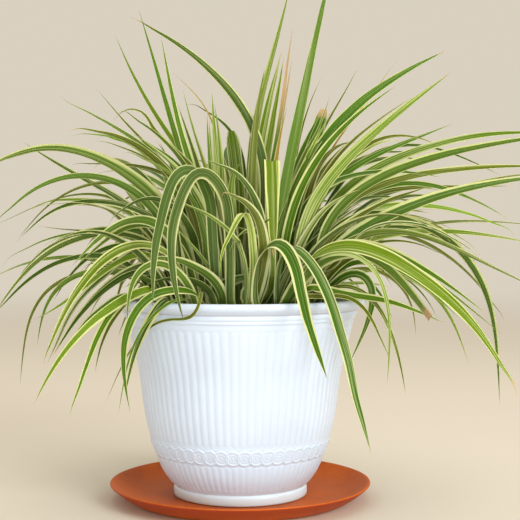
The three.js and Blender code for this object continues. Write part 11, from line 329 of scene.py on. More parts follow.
        (19.4, 'p', 0.12, 0.12, 0, 0, 0, [75.8, 21, 176, -15.2, 1.79, 75.8, 21, 179.5, -15.5, 1.91, 91.2, 27.3, 202.4, -25.7, 2.48, 100.8, 30.8, 212.2, -32.4, 2.72, 112, 34.5, 219.9, -39.4, 2.94, 121.4, 37.4, 223.9, -44.7, 2.98, 134.6, 41.6, 226.5, -50.5, 2.98, 148.1, 45.9, 226.2, -53, 2.98, 161.2, 50.2, 223.4, -52.8, 2.96, 173.8, 54.4, 218.6, -51.1, 2.86, 188.7, 59.4, 210.4, -47.7, 2.66, 202.1, 64, 199.9, -43.9, 2.37, 211.5, 67.4, 189.9, -40.8, 2.1, 219.6, 70.4, 178.7, -37.8, 1.78, 228, 73.6, 163.4, -34.2, 1.32, 234.8, 76.4, 147.4, -30.9, 0.81, 243.2, 80, 124.4, -27.8, 0]),
    ]),
    'leaf_fan_back_left_06': (-67.9, 34.9, [
        (143.2, 'o', 0.30, 0.29, 0, 0, 0, [-69.3, 36.8, 176, -4.3, 2.46, -71.1, 38.4, 187.1, -6.8, 3.05, -72.7, 39.8, 191.1, -8.4, 3.24, -76, 42.8, 196.2, -11, 3.49, -87.5, 52.9, 206.3, -18.5, 4.1, -99.2, 63, 216.3, -25.2, 4.1, -105.3, 68.3, 220.5, -27.4, 4.1, -113.4, 75.3, 224.7, -29.9, 3.98, -124, 83.2, 228.6, -32.6, 3.65, -133.2, 89.8, 230.3, -34.6, 3.26, -141.8, 97.2, 229.9, -35.5, 2.77, -149.8, 107.8, 228, -36.1, 2.08, -153, 110.8, 228.9, -36.2, 1.82, -157.3, 112.7, 230.4, -36.3, 1.54, -162.4, 113.6, 231.4, -36.3, 1.26, -167.2, 113.9, 230.8, -36.4, 0.96, -171.1, 114.5, 228.5, -36.4, 0.65, -177.2, 117.5, 222.5, -36.4, 0]),
        (154.1, 'p', 0.12, 0.12, 0, 0, 0, [-64.5, 33.2, 176, -10.9, 1.91, -64.5, 33.2, 179.8, -11.1, 2.04, -81, 41.5, 198.9, -16.6, 2.58, -91.5, 46.4, 208.8, -21.6, 2.84, -103, 52, 217, -27.5, 3.08, -115.2, 58.2, 223.7, -34.2, 3.18, -127.9, 64.7, 228.9, -40.6, 3.18, -141, 71.3, 232.9, -44.4, 3.18, -157.8, 79.6, 236.4, -46.3, 3.14, -171.4, 86.2, 237.9, -46.8, 3.02, -188.5, 94.5, 238.5, -47.2, 2.78, -205.6, 102.7, 237.4, -47.7, 2.46, -219.2, 109.1, 235.5, -48.4, 2.15, -232.7, 115.5, 232.4, -49.2, 1.8, -249.2, 123.4, 227.3, -50.3, 1.31, -268.6, 132.5, 219.4, -51.9, 0.63, -284.3, 140, 211.8, -52.8, 0]),
        (163.6, 'o', 0.17, 0.17, 0, 0, 0, [-68.3, 35, 176, -11.4, 1.62, -68.3, 35, 180.2, -11.5, 1.73, -72.3, 38.7, 200.7, -13.7, 2.07, -75.7, 40.1, 217.3, -16.6, 2.3, -81.2, 40.4, 237.8, -21.2, 2.56, -88.9, 42.3, 257.4, -26.9, 2.7, -97.3, 44.9, 271.9, -31.4, 2.7, -105.1, 47.4, 281.6, -33.4, 2.7, -117.6, 51.3, 292.3, -34.6, 2.69, -128.3, 54.4, 298.4, -35.2, 2.64, -139.8, 57.8, 302.7, -35.2, 2.56, -155.8, 62.4, 305.5, -34.6, 2.41, -168.1, 65.9, 305.6, -34, 2.26, -184.3, 70.5, 303.6, -33.2, 2.03, -200.1, 74.9, 299.6, -32.7, 1.76, -219.5, 80.4, 292.8, -32.2, 1.37, -245.8, 87.8, 281.4, -31.8, 0.73, -268.2, 94, 271, -31.6, 0.11, -271.6, 95, 268.7, -31.6, 0]),
        (163.6, 'o', 0.16, 0.16, 0, 0, 0, [-67, 34.6, 176, 15.1, 1.43, -67, 34.6, 179.9, 15.4, 1.53, -77.3, 33.6, 191.5, 19.4, 1.78, -85.5, 34.5, 199.9, 23.8, 1.94, -91.3, 36.3, 204.8, 27, 2.03, -100.6, 39.8, 211, 32.1, 2.17, -117.4, 46.3, 218.6, 41, 2.38, -135.4, 52.5, 222.6, 49.5, 2.38, -154.1, 58.3, 223.4, 53.7, 2.38, -172.6, 63.6, 220.7, 54.2, 2.35, -186.9, 67.6, 215.8, 53.2, 2.26, -200, 71.3, 208.2, 51, 2.13, -208.7, 73.8, 200.8, 49.2, 2, -216, 76.1, 191.9, 47.6, 1.85, -223.6, 78.5, 178.5, 46, 1.61, -227.7, 79.9, 167.6, 45.1, 1.42, -231.5, 81.5, 152.5, 44.2, 1.13, -234, 82.7, 137.1, 43.8, 0.82, -238.1, 85, 102.3, 43.7, 0]),
    ]),
    'leaf_fan_front_right_03': (26.8, -72.4, [
        (-59.3, 'b', 0.36, 0.30, 0, 0, 0, [28.5, -75.2, 176, 9.9, 3, 28.2, -75.4, 179.2, 9.5, 3, 25.2, -77.4, 184.9, 8.7, 3, 18.7, -79.5, 192.9, 11.2, 4.68, 15.2, -81, 198.5, 15.9, 4.93, 14.3, -82.7, 204.9, 21, 5.11, 15.4, -89.1, 227.4, 32.9, 5.7, 18, -93.4, 239.8, 39.6, 5.82, 24.1, -98.5, 250.5, 45.5, 5.89, 28.6, -101.4, 254.5, 45.6, 5.93, 31.4, -103, 255.5, 44.8, 5.94, 34.3, -104.7, 255.8, 43.5, 5.96, 37.1, -106.4, 255.1, 42, 5.98, 43.9, -111.2, 249.7, 38.8, 6.03, 47.1, -114.2, 244.6, 38.1, 6.06, 50.8, -118.4, 236.3, 37.8, 5.93, 56.4, -128.1, 211.9, 37.4, 5.46, 62.7, -139, 184.5, 37.3, 4.44, 69.3, -147.7, 163.8, 36.8, 3.13, 78.4, -159.3, 137.4, 35.7, 0]),
    ]),
    'leaf_fan_back_right_04': (29.4, 72.3, [
        (61.6, 'd', 0.40, 0.38, 0, 0, 0, [29.6, 72.7, 176, -1, 3, 29.6, 72.7, 179, -1.1, 3, 35.7, 80.3, 194.3, -3.4, 4.27, 41, 87, 206.9, -5.8, 4.83, 46.8, 94.1, 218.9, -8, 5.33, 51.8, 100.9, 227.5, -9.6, 5.41, 55.8, 106.9, 233.1, -10.8, 5.41, 61.2, 115.8, 239.1, -12.1, 5.41, 66.8, 125.7, 243.4, -13.3, 5.37, 72.3, 136.2, 245.9, -14.3, 5.19, 77.8, 146.9, 246.5, -15.2, 4.9, 83.1, 157.8, 245.2, -15.8, 4.52, 88, 168.4, 242.2, -16.3, 4.06, 92.5, 178.5, 237.4, -16.6, 3.52, 96.6, 188, 231.1, -16.7, 2.9, 101, 198.8, 221.5, -16.7, 2.04, 107.5, 216, 201.3, -16.5, 0.22, 107.9, 217.3, 198.6, -16.4, 0]),
        (84.7, 'l', 0.12, 0.12, 0, 0, 0, [29.1, 68.5, 176, 0.8, 3, 29.1, 68.5, 179.7, 0.9, 3, 30.3, 78.7, 207, 3.9, 4.23, 31, 85.9, 219.7, 5.5, 4.64, 31.6, 95.1, 231, 7.1, 5.02, 32.2, 106.1, 240.6, 8.6, 5.09, 33.2, 118.5, 248.4, 10.1, 5.09, 34.8, 131.8, 254.2, 11.4, 5.09, 36.9, 145.9, 257.4, 12.7, 5.02, 39.2, 160.1, 257.7, 13.8, 4.83, 41.1, 177.8, 254.9, 15.1, 4.45, 41.5, 203.1, 249.1, 16.6, 3.7, 42, 220.1, 242.5, 17.4, 3.03, 43, 232.5, 234.7, 18.1, 2.42, 44.2, 243.5, 225.2, 18.6, 1.74, 47, 262.5, 203.2, 19.4, 0.21, 47.2, 264, 199.8, 19.4, 0]),
        (31.8, 'o', 0.30, 0.33, 0, 0, 0, [26.2, 72.9, 176, -0.2, 2.77, 26.2, 72.9, 180.4, -0.2, 2.96, 35.3, 75.4, 195.2, -0.5, 3.45, 42.3, 78.2, 206, -0.8, 3.75, 63.4, 87.6, 232.4, -1.5, 4.48, 88.9, 93.8, 262, -2.3, 4.62, 94.6, 96.4, 268.1, -2.5, 4.62, 100.2, 100.2, 273.6, -2.6, 4.62, 105.8, 104.9, 278.5, -2.8, 4.61, 114.4, 112.7, 284.8, -3, 4.53, 126.6, 123.3, 291.6, -3.3, 4.33, 143.2, 136.2, 298, -3.6, 3.96, 160.7, 148.8, 301.9, -3.9, 3.47, 175.1, 158.8, 303, -4.2, 3.01, 189.5, 168.9, 302.4, -4.4, 2.48, 207.2, 181.4, 299.3, -4.6, 1.74, 238.1, 203.8, 289.2, -5, 0.19, 241.1, 206.2, 287, -5, 0]),
    ]),
    'leaf_fan_left_04': (-71.3, -33.8, [
        (-172.1, 'd', 0.30, 0.33, 0, 0, 0, [-74.5, -34.2, 176, 0.5, 2.91, -76.4, -34.5, 191.4, 1.4, 3.73, -79, -35.1, 204.1, 2.6, 4.23, -82.7, -36.3, 216.5, 3.7, 4.7, -86.8, -37.4, 225.9, 4.6, 4.85, -93.6, -38, 237, 5.7, 4.85, -100.3, -38.5, 244.8, 6.6, 4.85, -108.1, -39.1, 251.6, 7.4, 4.79, -116.9, -40.1, 257.2, 8.2, 4.6, -126.4, -41.3, 261.2, 8.9, 4.32, -136.4, -42.7, 263.5, 9.6, 3.96, -146.6, -44.2, 264.1, 10.3, 3.53, -156.8, -45.6, 262.9, 11, 3.03, -166.7, -47, 260.2, 11.7, 2.46, -176.1, -48.3, 256, 12.3, 1.83, -187.2, -49.9, 249.4, 13, 0.96, -195.7, -51, 243.7, 13.5, 0.2, -197.4, -51.2, 241.7, 13.5, 0]),
    ]),
    'leaf_fan_right_09': (76.3, -23.5, [
        (-3.9, 'g', 0.35, 0.12, 0, 0, 0, [76.7, -23.5, 176, -18.3, 3, 76.7, -23.5, 181.1, -18.6, 3, 74.9, -19, 200.8, -22.1, 4.34, 74.4, -18.6, 210.9, -24.7, 4.61, 74.1, -19.6, 221, -27.6, 4.85, 74.8, -21.9, 236, -32.4, 5.2, 76.3, -22.9, 246, -35.8, 5.43, 78.7, -22.9, 255.9, -39.4, 5.64, 84.2, -22.2, 270, -45, 5.83, 91.9, -22.4, 283.1, -50.4, 5.83, 101.7, -23.7, 294.7, -54.2, 5.83, 113, -25, 304.8, -55.5, 5.83, 129.8, -26.6, 315.9, -55.2, 5.79, 147.9, -28.3, 324.9, -54.6, 5.6, 166.8, -29.8, 332.2, -54.1, 5.29, 191, -31.5, 339.6, -53.9, 4.76, 220.5, -33.4, 346.6, -54.1, 3.95, 250.3, -35.4, 352.2, -54.7, 2.95, 285.4, -37.7, 357.3, -55.8, 1.58, 320.6, -40, 361, -56.8, 0]),
        (-2.1, 'b', 0.35, 0.32, 0, 0, 0, [75.3, -23.5, 176, -14.7, 3, 75.3, -23.5, 181.3, -15, 3, 78.2, -22.8, 202.4, -18.4, 4.27, 81.3, -23.5, 218.1, -22.3, 4.65, 84.2, -23.9, 228.4, -25.1, 4.89, 88.1, -23.7, 238.3, -28, 5.11, 93.1, -23.5, 247.7, -31.1, 5.33, 99.3, -24, 256.3, -34.2, 5.55, 106.7, -25, 263.9, -37.4, 5.73, 119.9, -26.2, 272.7, -42.1, 5.73, 129.9, -26.3, 276.5, -44.8, 5.73, 140.3, -26.2, 278.7, -46.7, 5.73, 151, -26.1, 279.1, -47.7, 5.73, 161.5, -26.4, 278, -47.9, 5.73, 171.9, -26.8, 275.5, -47.7, 5.72, 181.8, -27.3, 271.7, -47.3, 5.66, 191.3, -27.6, 266.8, -46.9, 5.56, 200.2, -27.9, 261, -46.5, 5.44, 208.5, -28.2, 254.3, -46, 5.28, 216.1, -28.4, 246.8, -45.5, 5.11, 229, -28.8, 229.9, -44.5, 4.68, 238.8, -29.1, 211, -43.3, 4.17, 245.4, -29.4, 190.8, -41.8, 3.57, 249.4, -29.6, 169.9, -40.2, 2.9, 252, -29.8, 143.3, -38.2, 1.96, 254.4, -30, 95.4, -35.5, 0]),
        (-16.0, 'd', 0.34, 0.27, 0, 0, 0, [72.6, -22.5, 176, 0.3, 2.99, 72.6, -22.5, 179, 0.3, 3, 81.1, -20.7, 197.9, 1, 4.04, 90.4, -18.8, 216.4, 1.7, 4.73, 96.3, -18.5, 226.7, 1.9, 4.98, 102.7, -19.4, 236.7, 2, 4.98, 112.9, -21.9, 251.1, 1.7, 4.98, 124.3, -26.3, 264.1, 1, 4.84, 134.9, -31.2, 273.4, 0, 4.52, 146.3, -36.1, 281.5, -1.3, 4.07, 158.8, -40, 288.6, -3, 3.5, 169.2, -43.2, 293.2, -4.5, 2.97, 179.9, -47.1, 296.7, -6.2, 2.37, 190.6, -51.6, 299.1, -8, 1.71, 212, -61.7, 301.7, -11.4, 0.2, 214.5, -63.3, 301.3, -11.5, 0]),
        (-9.1, 'g', 0.18, 0.18, 0, 0, 0, [79.4, -24, 176, 13.9, 2.43, 79.4, -24.1, 179, 14.1, 2.59, 79.4, -26.7, 180.4, 14.4, 2.71, 79.4, -46.3, 194.4, 21.1, 3.45, 80, -49.7, 199.3, 23.3, 3.61, 80.5, -50.1, 202.2, 24.5, 3.69, 81.9, -47.8, 207.5, 27, 3.85, 85.4, -39.6, 215.8, 32.2, 4.05, 89.6, -34.4, 221.6, 36.1, 4.05, 93.4, -32.2, 225.6, 38.2, 4.05, 100.3, -30.3, 230.8, 39.7, 4.05, 108.3, -28.8, 234.6, 39.7, 4.05, 116.9, -27.5, 236.7, 39.4, 4, 122.8, -27.4, 237.2, 39.2, 3.93, 131.5, -29.1, 236.7, 39, 3.79, 142.6, -32.6, 234.1, 39.1, 3.54, 150.6, -34.7, 230.9, 39.3, 3.31, 161, -36.9, 225.4, 39.9, 2.95, 170.8, -38.6, 219, 40.7, 2.53, 182.5, -40.4, 209.9, 42.1, 1.92, 195.7, -42.6, 198.2, 44.2, 1.1, 210.5, -45, 183.7, 46.2, 0]),
    ]),
    'leaf_fan_back_left_07': (-40.8, 69.6, [
        (121.1, 'l', 0.03, 0.03, 0, 0, 0, [-40.3, 68.7, 176, -0.6, 3, -40.3, 68.8, 179.7, -0.7, 3, -45.8, 82.1, 196.3, -2.1, 4.19, -49.6, 91.5, 207, -3.2, 4.63, -52.6, 99.7, 213.6, -3.9, 4.94, -56, 112.9, 219.1, -4.6, 5.3, -60.4, 134, 223.9, -5.2, 5.3, -64.4, 151.5, 227.7, -5.2, 5.3, -67.1, 157.9, 229.9, -5, 5.29, -69.2, 160.6, 231.3, -4.9, 5.27, -75, 164.2, 233.6, -4.6, 5.19, -81.8, 166.7, 234.4, -4.2, 5.09, -85, 168.6, 234.3, -4, 5.03, -90.3, 173.6, 233.3, -3.5, 4.89, -100.9, 187.9, 228.9, -1.7, 4.44, -112.6, 204.5, 220.5, 1.1, 3.73, -120.2, 214.7, 213, 3.3, 3.16, -129.3, 226.3, 202.1, 6.6, 2.35, -139.8, 238.7, 187.2, 10.9, 1.25, -148.2, 248.5, 174.1, 13.8, 0.22, -149.7, 250, 171.1, 14, 0]),
        (142.4, 'o', 0.10, 0.10, 0, 0, 0, [-37.8, 67.2, 176, -1.2, 3, -37.8, 67.3, 179.5, -1.4, 3, -45.1, 74.8, 193.9, -3.7, 4.06, -52.8, 82.4, 208, -6.6, 4.61, -59.6, 89.2, 218.4, -8.9, 5.01, -66.8, 97.3, 227.5, -11, 5.28, -72.3, 104.6, 233.1, -12.4, 5.28, -75.8, 110, 236, -13.3, 5.28, -82.7, 121.7, 240.1, -14.9, 5.28, -90.3, 133, 243.2, -16.3, 5.24, -98, 139.6, 246.4, -17.2, 5.13, -104.1, 142.7, 248.5, -17.7, 5.01, -110.7, 144.8, 250.2, -18.2, 4.87, -121, 147.5, 251, -18.7, 4.61, -131.1, 150.5, 249.6, -19.1, 4.31, -140.4, 154.6, 246.6, -19.3, 3.97, -151.6, 161, 240.7, -19.5, 3.44, -161.9, 167.5, 233.4, -19.4, 2.84, -173.6, 175.1, 222.5, -19.1, 1.99, -192.7, 187, 199.8, -18.1, 0.22, -194.3, 187.8, 196.7, -18.1, 0]),
        (129.6, 'o', 0.39, 0.39, 0, 0, 0, [-43.6, 69.5, 176, 0.1, 2.8, -43.7, 69.5, 179.7, 0.2, 2.98, -47.7, 73.4, 200.9, 0.5, 3.68, -50.4, 77.4, 210.7, 0.8, 3.98, -53.4, 83.3, 219.5, 1, 4.25, -57.1, 93.6, 229.1, 1.4, 4.6, -64.2, 118.2, 243.7, 2.2, 4.66, -68.4, 126.8, 249.5, 2.5, 4.66, -72.6, 131.1, 253.8, 2.7, 4.66, -75.3, 132, 256.1, 2.8, 4.65, -78.1, 131.3, 258.2, 3, 4.63, -80.5, 129.1, 260, 3.1, 4.6, -82.2, 125.9, 261.4, 3.2, 4.57, -84.4, 118.5, 263.8, 3.5, 4.48, -85.8, 111.1, 266.6, 3.8, 4.36, -87.4, 104.7, 270.7, 4.1, 4.23, -88.8, 102.8, 273.5, 4.2, 4.16, -90.5, 102.7, 276.6, 4.4, 4.08, -92.4, 104.4, 279.5, 4.5, 3.99, -94.3, 107, 281.8, 4.7, 3.9, -99.3, 116.5, 286.4, 5.2, 3.61, -104.6, 125.9, 289.4, 5.7, 3.28, -110.3, 135.2, 291.1, 6.2, 2.91, -116.2, 144.4, 291.7, 6.8, 2.5, -122.2, 153.6, 291.3, 7.4, 2.07, -129.8, 165.9, 289.1, 8.2, 1.43, -142.2, 187.4, 282.7, 9.3, 0.19, -143.6, 190.2, 280.9, 9.4, 0]),
        (126.5, 'd', 0.38, 0.45, 0, 0, 0, [-40.9, 69.8, 176, -2, 2.7, -41.4, 70.5, 184.2, -2.8, 3, -42.4, 72.1, 189.4, -3.7, 3.36, -44.2, 75, 193.7, -4.8, 3.56, -46.6, 78.8, 196.8, -5.9, 3.75, -57.6, 95.8, 205.6, -10.6, 4.45, -67.4, 110.5, 213.6, -14.3, 4.51, -73.4, 119.2, 216.9, -16, 4.51, -81.3, 130.3, 219.6, -17.4, 4.45, -86.2, 136.9, 220.3, -17.8, 4.33, -91.4, 143.4, 220.1, -17.7, 4.16, -99.1, 150.9, 217.8, -17, 3.86, -107.9, 157.4, 216, -16, 3.49, -113.9, 163.1, 216.6, -15, 3.17, -116.9, 167.7, 217, -14.2, 2.93, -119.1, 172.8, 216.3, -13.4, 2.68, -121.3, 177.5, 214.5, -12.5, 2.42, -131.5, 191.4, 206, -8.9, 1.39, -135, 198.2, 202.8, -7.2, 0.89, -139.6, 204.8, 201, -5.8, 0.37, -143.7, 208.6, 199.8, -5.4, 0]),
        (143.1, 'l', 0.07, 0.07, 0, 0, 0, [-42.5, 72.9, 176, 4.9, 2.59, -42.9, 73.3, 188.3, 5.6, 3.11, -44.5, 74.9, 194.1, 6.3, 3.31, -45.8, 76.2, 196.5, 6.6, 3.4, -49.2, 79.4, 200.6, 7.4, 3.59, -56.8, 86.8, 206.9, 9.1, 3.93, -64, 93.7, 214.3, 10.9, 4.25, -71.9, 101, 220.2, 12.6, 4.31, -82.7, 110.8, 225.3, 13.8, 4.31, -91.9, 118.8, 227.6, 13.4, 4.31, -103.8, 128.6, 228, 12.3, 4.18, -113.5, 136.2, 226.5, 10.9, 3.97, -125.5, 145, 222.5, 8.2, 3.61, -134.8, 151.4, 217.6, 5.9, 3.24, -146, 158.5, 209.6, 3.1, 2.69, -154.3, 163.3, 201.7, 0.8, 2.18, -163.7, 168.1, 190.5, -1.9, 1.48, -170.2, 171.1, 180.4, -3.9, 0.85, -176.9, 173.8, 166.7, -5.5, 0]),
    ]),
    'leaf_fan_front_left_06': (-17.1, -79.6, [
        (-136.6, 'g', 0.19, 0.37, 0, 0, 0, [-19.3, -82, 176, -14.6, 2.99, -19.3, -82, 178.9, -14.9, 3, -26.4, -87.3, 190.4, -19.4, 3.83, -33.4, -91.5, 202.2, -26.2, 4.35, -36.4, -94, 206.4, -29.1, 4.54, -41.5, -99.8, 210.5, -33.8, 4.83, -49.5, -108.2, 212.8, -40, 4.98, -63.5, -118.6, 212.9, -44.7, 4.98, -72.5, -125.6, 210.6, -41.5, 4.98, -80.5, -132.5, 205.9, -36.9, 4.88, -87.3, -138.7, 198.9, -32.8, 4.67, -92.6, -144, 190.1, -29.7, 4.36, -96.4, -148.2, 179.9, -27.6, 3.97, -98.7, -151.4, 169, -26.1, 3.5, -99.5, -153.8, 157.7, -25.1, 2.97, -99, -156.1, 143.4, -24.2, 2.21, -97.1, -157.8, 129.1, -23.5, 1.35, -93.3, -160, 109.3, -22.7, 0]),
    ]),
    'leaf_fan_back_right_05': (67.1, 47.7, [
        (70.2, 'g', 0.28, 0.27, 0, 0, 0, [65.3, 49.5, 176, 1.4, 3, 65.5, 49.4, 184.7, 1.2, 3, 66.4, 48.5, 199, 0.9, 4.14, 65.5, 49.7, 207.5, 0.8, 4.45, 64.9, 52.7, 216.4, 0.7, 4.75, 65.5, 54.5, 222.2, 0.7, 4.94, 67.8, 59.6, 238.6, 0.7, 5.1, 69.2, 64.6, 251.9, 0.2, 5.1, 70.8, 69.5, 265.3, -0.9, 5.07, 73.8, 77, 283.7, -2.6, 4.7, 76.7, 88, 303.9, -4.3, 3.95, 81.3, 100.5, 322.7, -5.6, 2.89, 87.2, 114.7, 339.9, -6.5, 1.57, 94.5, 130.3, 355.1, -7.1, 0]),
        (31.8, 'd', 0.12, 0.12, 0, 0, 0, [70.4, 49.1, 176, 4.3, 2.6, 70.5, 49.2, 186.7, 5.2, 3.02, 72.5, 51.1, 196.9, 7, 3.33, 79.4, 57.3, 212.1, 10.4, 3.78, 89.2, 66, 237.3, 16.2, 4.34, 96.8, 72.4, 251.9, 19.8, 4.34, 103.8, 78.1, 262.9, 21.8, 4.34, 113.7, 85.8, 275.4, 23.5, 4.28, 122.6, 92.3, 284.5, 24.8, 4.11, 134.7, 100.8, 294.3, 26.5, 3.79, 145.3, 107.6, 300.8, 27.8, 3.45, 156.6, 114.4, 306.2, 29.1, 3.05, 168.5, 121, 310.2, 30.1, 2.58, 184.2, 128.8, 313.3, 30.8, 1.92, 197.1, 134.5, 314.2, 31, 1.33, 210.4, 139.6, 313.6, 31.1, 0.69, 223.7, 144.1, 311.5, 31.1, 0]),
        (15.5, 'g', 0.17, 0.31, 0, 0, 0, [63.4, 46.6, 176, 12, 2.25, 63.4, 46.6, 180.7, 12.1, 2.38, 68.1, 47, 203.6, 14.2, 2.88, 73.2, 42.2, 226.1, 20.3, 3.27, 75.8, 40.9, 235, 25.2, 3.42, 78.9, 41, 243.8, 31.5, 3.56, 84.4, 43.2, 256.6, 42, 3.75, 93.3, 48.8, 272.1, 55.6, 3.75, 98.5, 52.1, 279.2, 61.3, 3.75, 107.2, 57.6, 288.8, 68, 3.75, 120.7, 64.8, 299.7, 72.9, 3.74, 136, 71.4, 308.2, 76, 3.64, 148.8, 75.1, 313, 78.2, 3.51, 166.7, 78.7, 316.8, 81.1, 3.28, 185.1, 82.6, 317.6, 84, 2.98, 203.2, 86.9, 315.8, 86.6, 2.63, 221, 91.4, 311.6, 88.9, 2.23, 242.4, 97, 304, 91, 1.66, 263.2, 102.5, 294.6, 92.5, 1.02, 291.4, 110, 279.6, 93.8, 0]),
        (20.5, 'd', 0.18, 0.18, 0, 0, 0, [68.8, 48.3, 176, 11.4, 1.94, 72.2, 49.5, 222, 16.9, 2.69, 74.1, 51.7, 237.1, 19.8, 2.88, 76.6, 57.8, 251, 23.2, 3.07, 81.1, 68.5, 267.9, 28.4, 3.23, 84.1, 72.6, 276.8, 31.2, 3.23, 85.9, 74, 281.4, 32.6, 3.23, 92, 75.3, 295.4, 36.1, 3.23, 99.5, 74.5, 308.8, 38.5, 3.23, 105.2, 74, 317.3, 39.7, 3.23, 111.7, 74, 325.3, 40.9, 3.21, 118.7, 74.7, 332.7, 42.2, 3.16, 130.5, 77, 342.4, 44.6, 3.06, 143.3, 80.6, 350, 47, 2.93, 152.4, 83.4, 353.9, 48.3, 2.82, 161.8, 86.5, 356.7, 49.5, 2.7, 176.2, 91.4, 358.9, 50.9, 2.5, 195.6, 98.1, 358.6, 53.1, 2.19, 214.7, 104.8, 355.2, 55.5, 1.83, 233.4, 111.3, 349.7, 58.2, 1.43, 256.2, 119.2, 341.1, 61.9, 0.88, 287.6, 130, 327.4, 65.9, 0]),
        (17.4, 'o', 0.17, 0.17, 0, 0, 0, [66.1, 47.4, 176, 13.3, 1.42, 66.1, 47.4, 180.5, 13.6, 1.51, 80.2, 49.4, 203, 20.7, 1.87, 90.7, 53.1, 217, 27.3, 2.06, 102.5, 57.8, 229.5, 34.6, 2.25, 115.7, 62.8, 240.3, 42.5, 2.37, 130.1, 67.9, 249.6, 50.2, 2.37, 145.3, 73, 257.3, 55.2, 2.37, 161.2, 78.1, 263.7, 57.6, 2.36, 177.4, 83.3, 268.8, 58.7, 2.3, 194.1, 88.5, 272.6, 59.2, 2.18, 210.9, 93.7, 275.2, 59.4, 2.02, 232.1, 100.2, 277, 59.4, 1.78, 253.4, 106.8, 277.4, 59.2, 1.48, 279, 114.5, 276.6, 58.7, 1.05, 304.5, 122.3, 274.8, 58, 0.56, 330, 130, 272.1, 57.5, 0]),
        (22.2, 'o', 0.06, 0.06, 0, 0, 0, [70, 48.9, 176, -15.7, 1.4, 70, 48.9, 180.6, -16.1, 1.49, 76.8, 54.3, 196.8, -20.9, 1.74, 84.2, 58.2, 213.2, -28.1, 1.94, 93.3, 61.6, 228.8, -35.8, 2.13, 104.7, 65.7, 242.7, -43.8, 2.3, 111.3, 68.1, 248.6, -47.8, 2.33, 118.5, 70.7, 253.7, -51.6, 2.33, 130.2, 75.1, 259.5, -56.4, 2.33, 142.7, 79.8, 262.9, -59.2, 2.33, 159.8, 86.3, 264, -60.2, 2.33, 176.9, 92.9, 261.5, -59.9, 2.26, 197.3, 100.8, 254.7, -57.6, 2.12, 216.6, 108.4, 244.7, -54.1, 1.91, 234.6, 115.5, 232.4, -50.6, 1.64, 251.3, 122.2, 218, -46.9, 1.32, 266.5, 128.3, 201.8, -43, 0.96, 277.5, 132.9, 187.8, -39.6, 0.63, 292.9, 139.4, 165.9, -35.3, 0.1, 293.8, 140, 161.4, -35.1, 0]),
    ]),
    'leaf_fan_back_left_08': (-82.5, 10.3, [
        (133.0, 'o', 0.34, 0.36, 0, 0, 0, [-80.8, 8.5, 176, 0.4, 3, -80.8, 8.5, 179.5, 0.5, 3, -84.9, 13.5, 192, 1.1, 4.83, -90.3, 19.4, 211.4, 2.4, 5.65, -91.9, 22.1, 217.7, 2.8, 5.91, -94.3, 27.4, 226.5, 3.4, 6.27, -99.1, 38, 239.6, 4.5, 6.48, -105.5, 48.6, 252.1, 5.6, 6.48, -115.3, 60.7, 266.2, 6.8, 6.43, -124.5, 71.8, 276.2, 7.8, 6.14, -134.1, 84.3, 283.9, 8.9, 5.66, -142.6, 94.3, 288.8, 9.7, 5.15, -152, 104, 292.6, 10.5, 4.55, -162.3, 113.3, 295, 11.3, 3.86, -173.1, 122.1, 296.1, 12.1, 3.08, -184.4, 130.4, 295.9, 12.8, 2.22, -207.5, 146.1, 293.1, 14.2, 0.27, -210.5, 147.5, 291.8, 14.2, 0]),
        (119.7, 'l', 0.12, 0.12, 0, 0, 0, [-81.2, 11.1, 176, -1.6, 2.78, -81.5, 11.5, 187.7, -2.7, 3.34, -82.6, 13.1, 199.2, -4.6, 3.76, -86.5, 17.7, 218.5, -7.9, 4.4, -88.3, 18.3, 223.8, -8.8, 4.57, -89.7, 18, 229.3, -9.7, 4.63, -90, 17.9, 238.5, -10.9, 4.63, -90.1, 20.1, 248.3, -12, 4.63, -91.5, 22.2, 254.5, -12.6, 4.63, -93.8, 24.9, 260, -13.2, 4.63, -96.1, 28.6, 264.2, -13.7, 4.62, -99, 36.9, 271.3, -14.5, 4.5, -99.9, 39.6, 276.1, -14.8, 4.4, -101.3, 42.5, 284.3, -15.3, 4.2, -102.8, 45.4, 289.1, -15.6, 4.05, -105.8, 51.8, 294.2, -16.1, 3.78, -113, 63.2, 300.6, -16.7, 3.26, -119.6, 73.9, 308, -16.9, 2.63, -124.6, 83.1, 313.3, -16.8, 2.05, -132.1, 97.7, 319.2, -16.8, 1.09, -139.5, 113.2, 322.8, -16.8, 0]),
        (173.4, 'd', 0.13, 0.13, 0, 0, 0, [-85.6, 10.6, 176, -13.6, 2.25, -85.6, 10.6, 179.2, -13.9, 2.4, -87.9, 8.6, 191.8, -16.9, 2.8, -91.3, 8.2, 204.2, -21.6, 3.12, -95.2, 9.8, 212.8, -25.9, 3.35, -102.6, 12.2, 223.1, -32.3, 3.63, -112.3, 13.8, 231.4, -39.4, 3.75, -123.6, 15.2, 237.3, -45.6, 3.75, -136, 16.6, 240.7, -48.6, 3.75, -148.7, 18, 241.9, -49.4, 3.73, -161.5, 19.5, 241.1, -50, 3.6, -177.1, 21.2, 237.8, -51.2, 3.34, -189.2, 22.6, 233.5, -52.4, 3.07, -203.5, 24.2, 226.1, -54.3, 2.64, -216.7, 25.7, 217.1, -56.5, 2.13, -228.8, 27.2, 206.6, -59, 1.54, -240, 28.5, 195.1, -61.7, 0.88, -250.8, 29.8, 183.2, -63.9, 0.15, -252.3, 30, 180.4, -64.1, 0]),
    ]),
    'leaf_fan_front_right_04': (54.4, -63.9, [
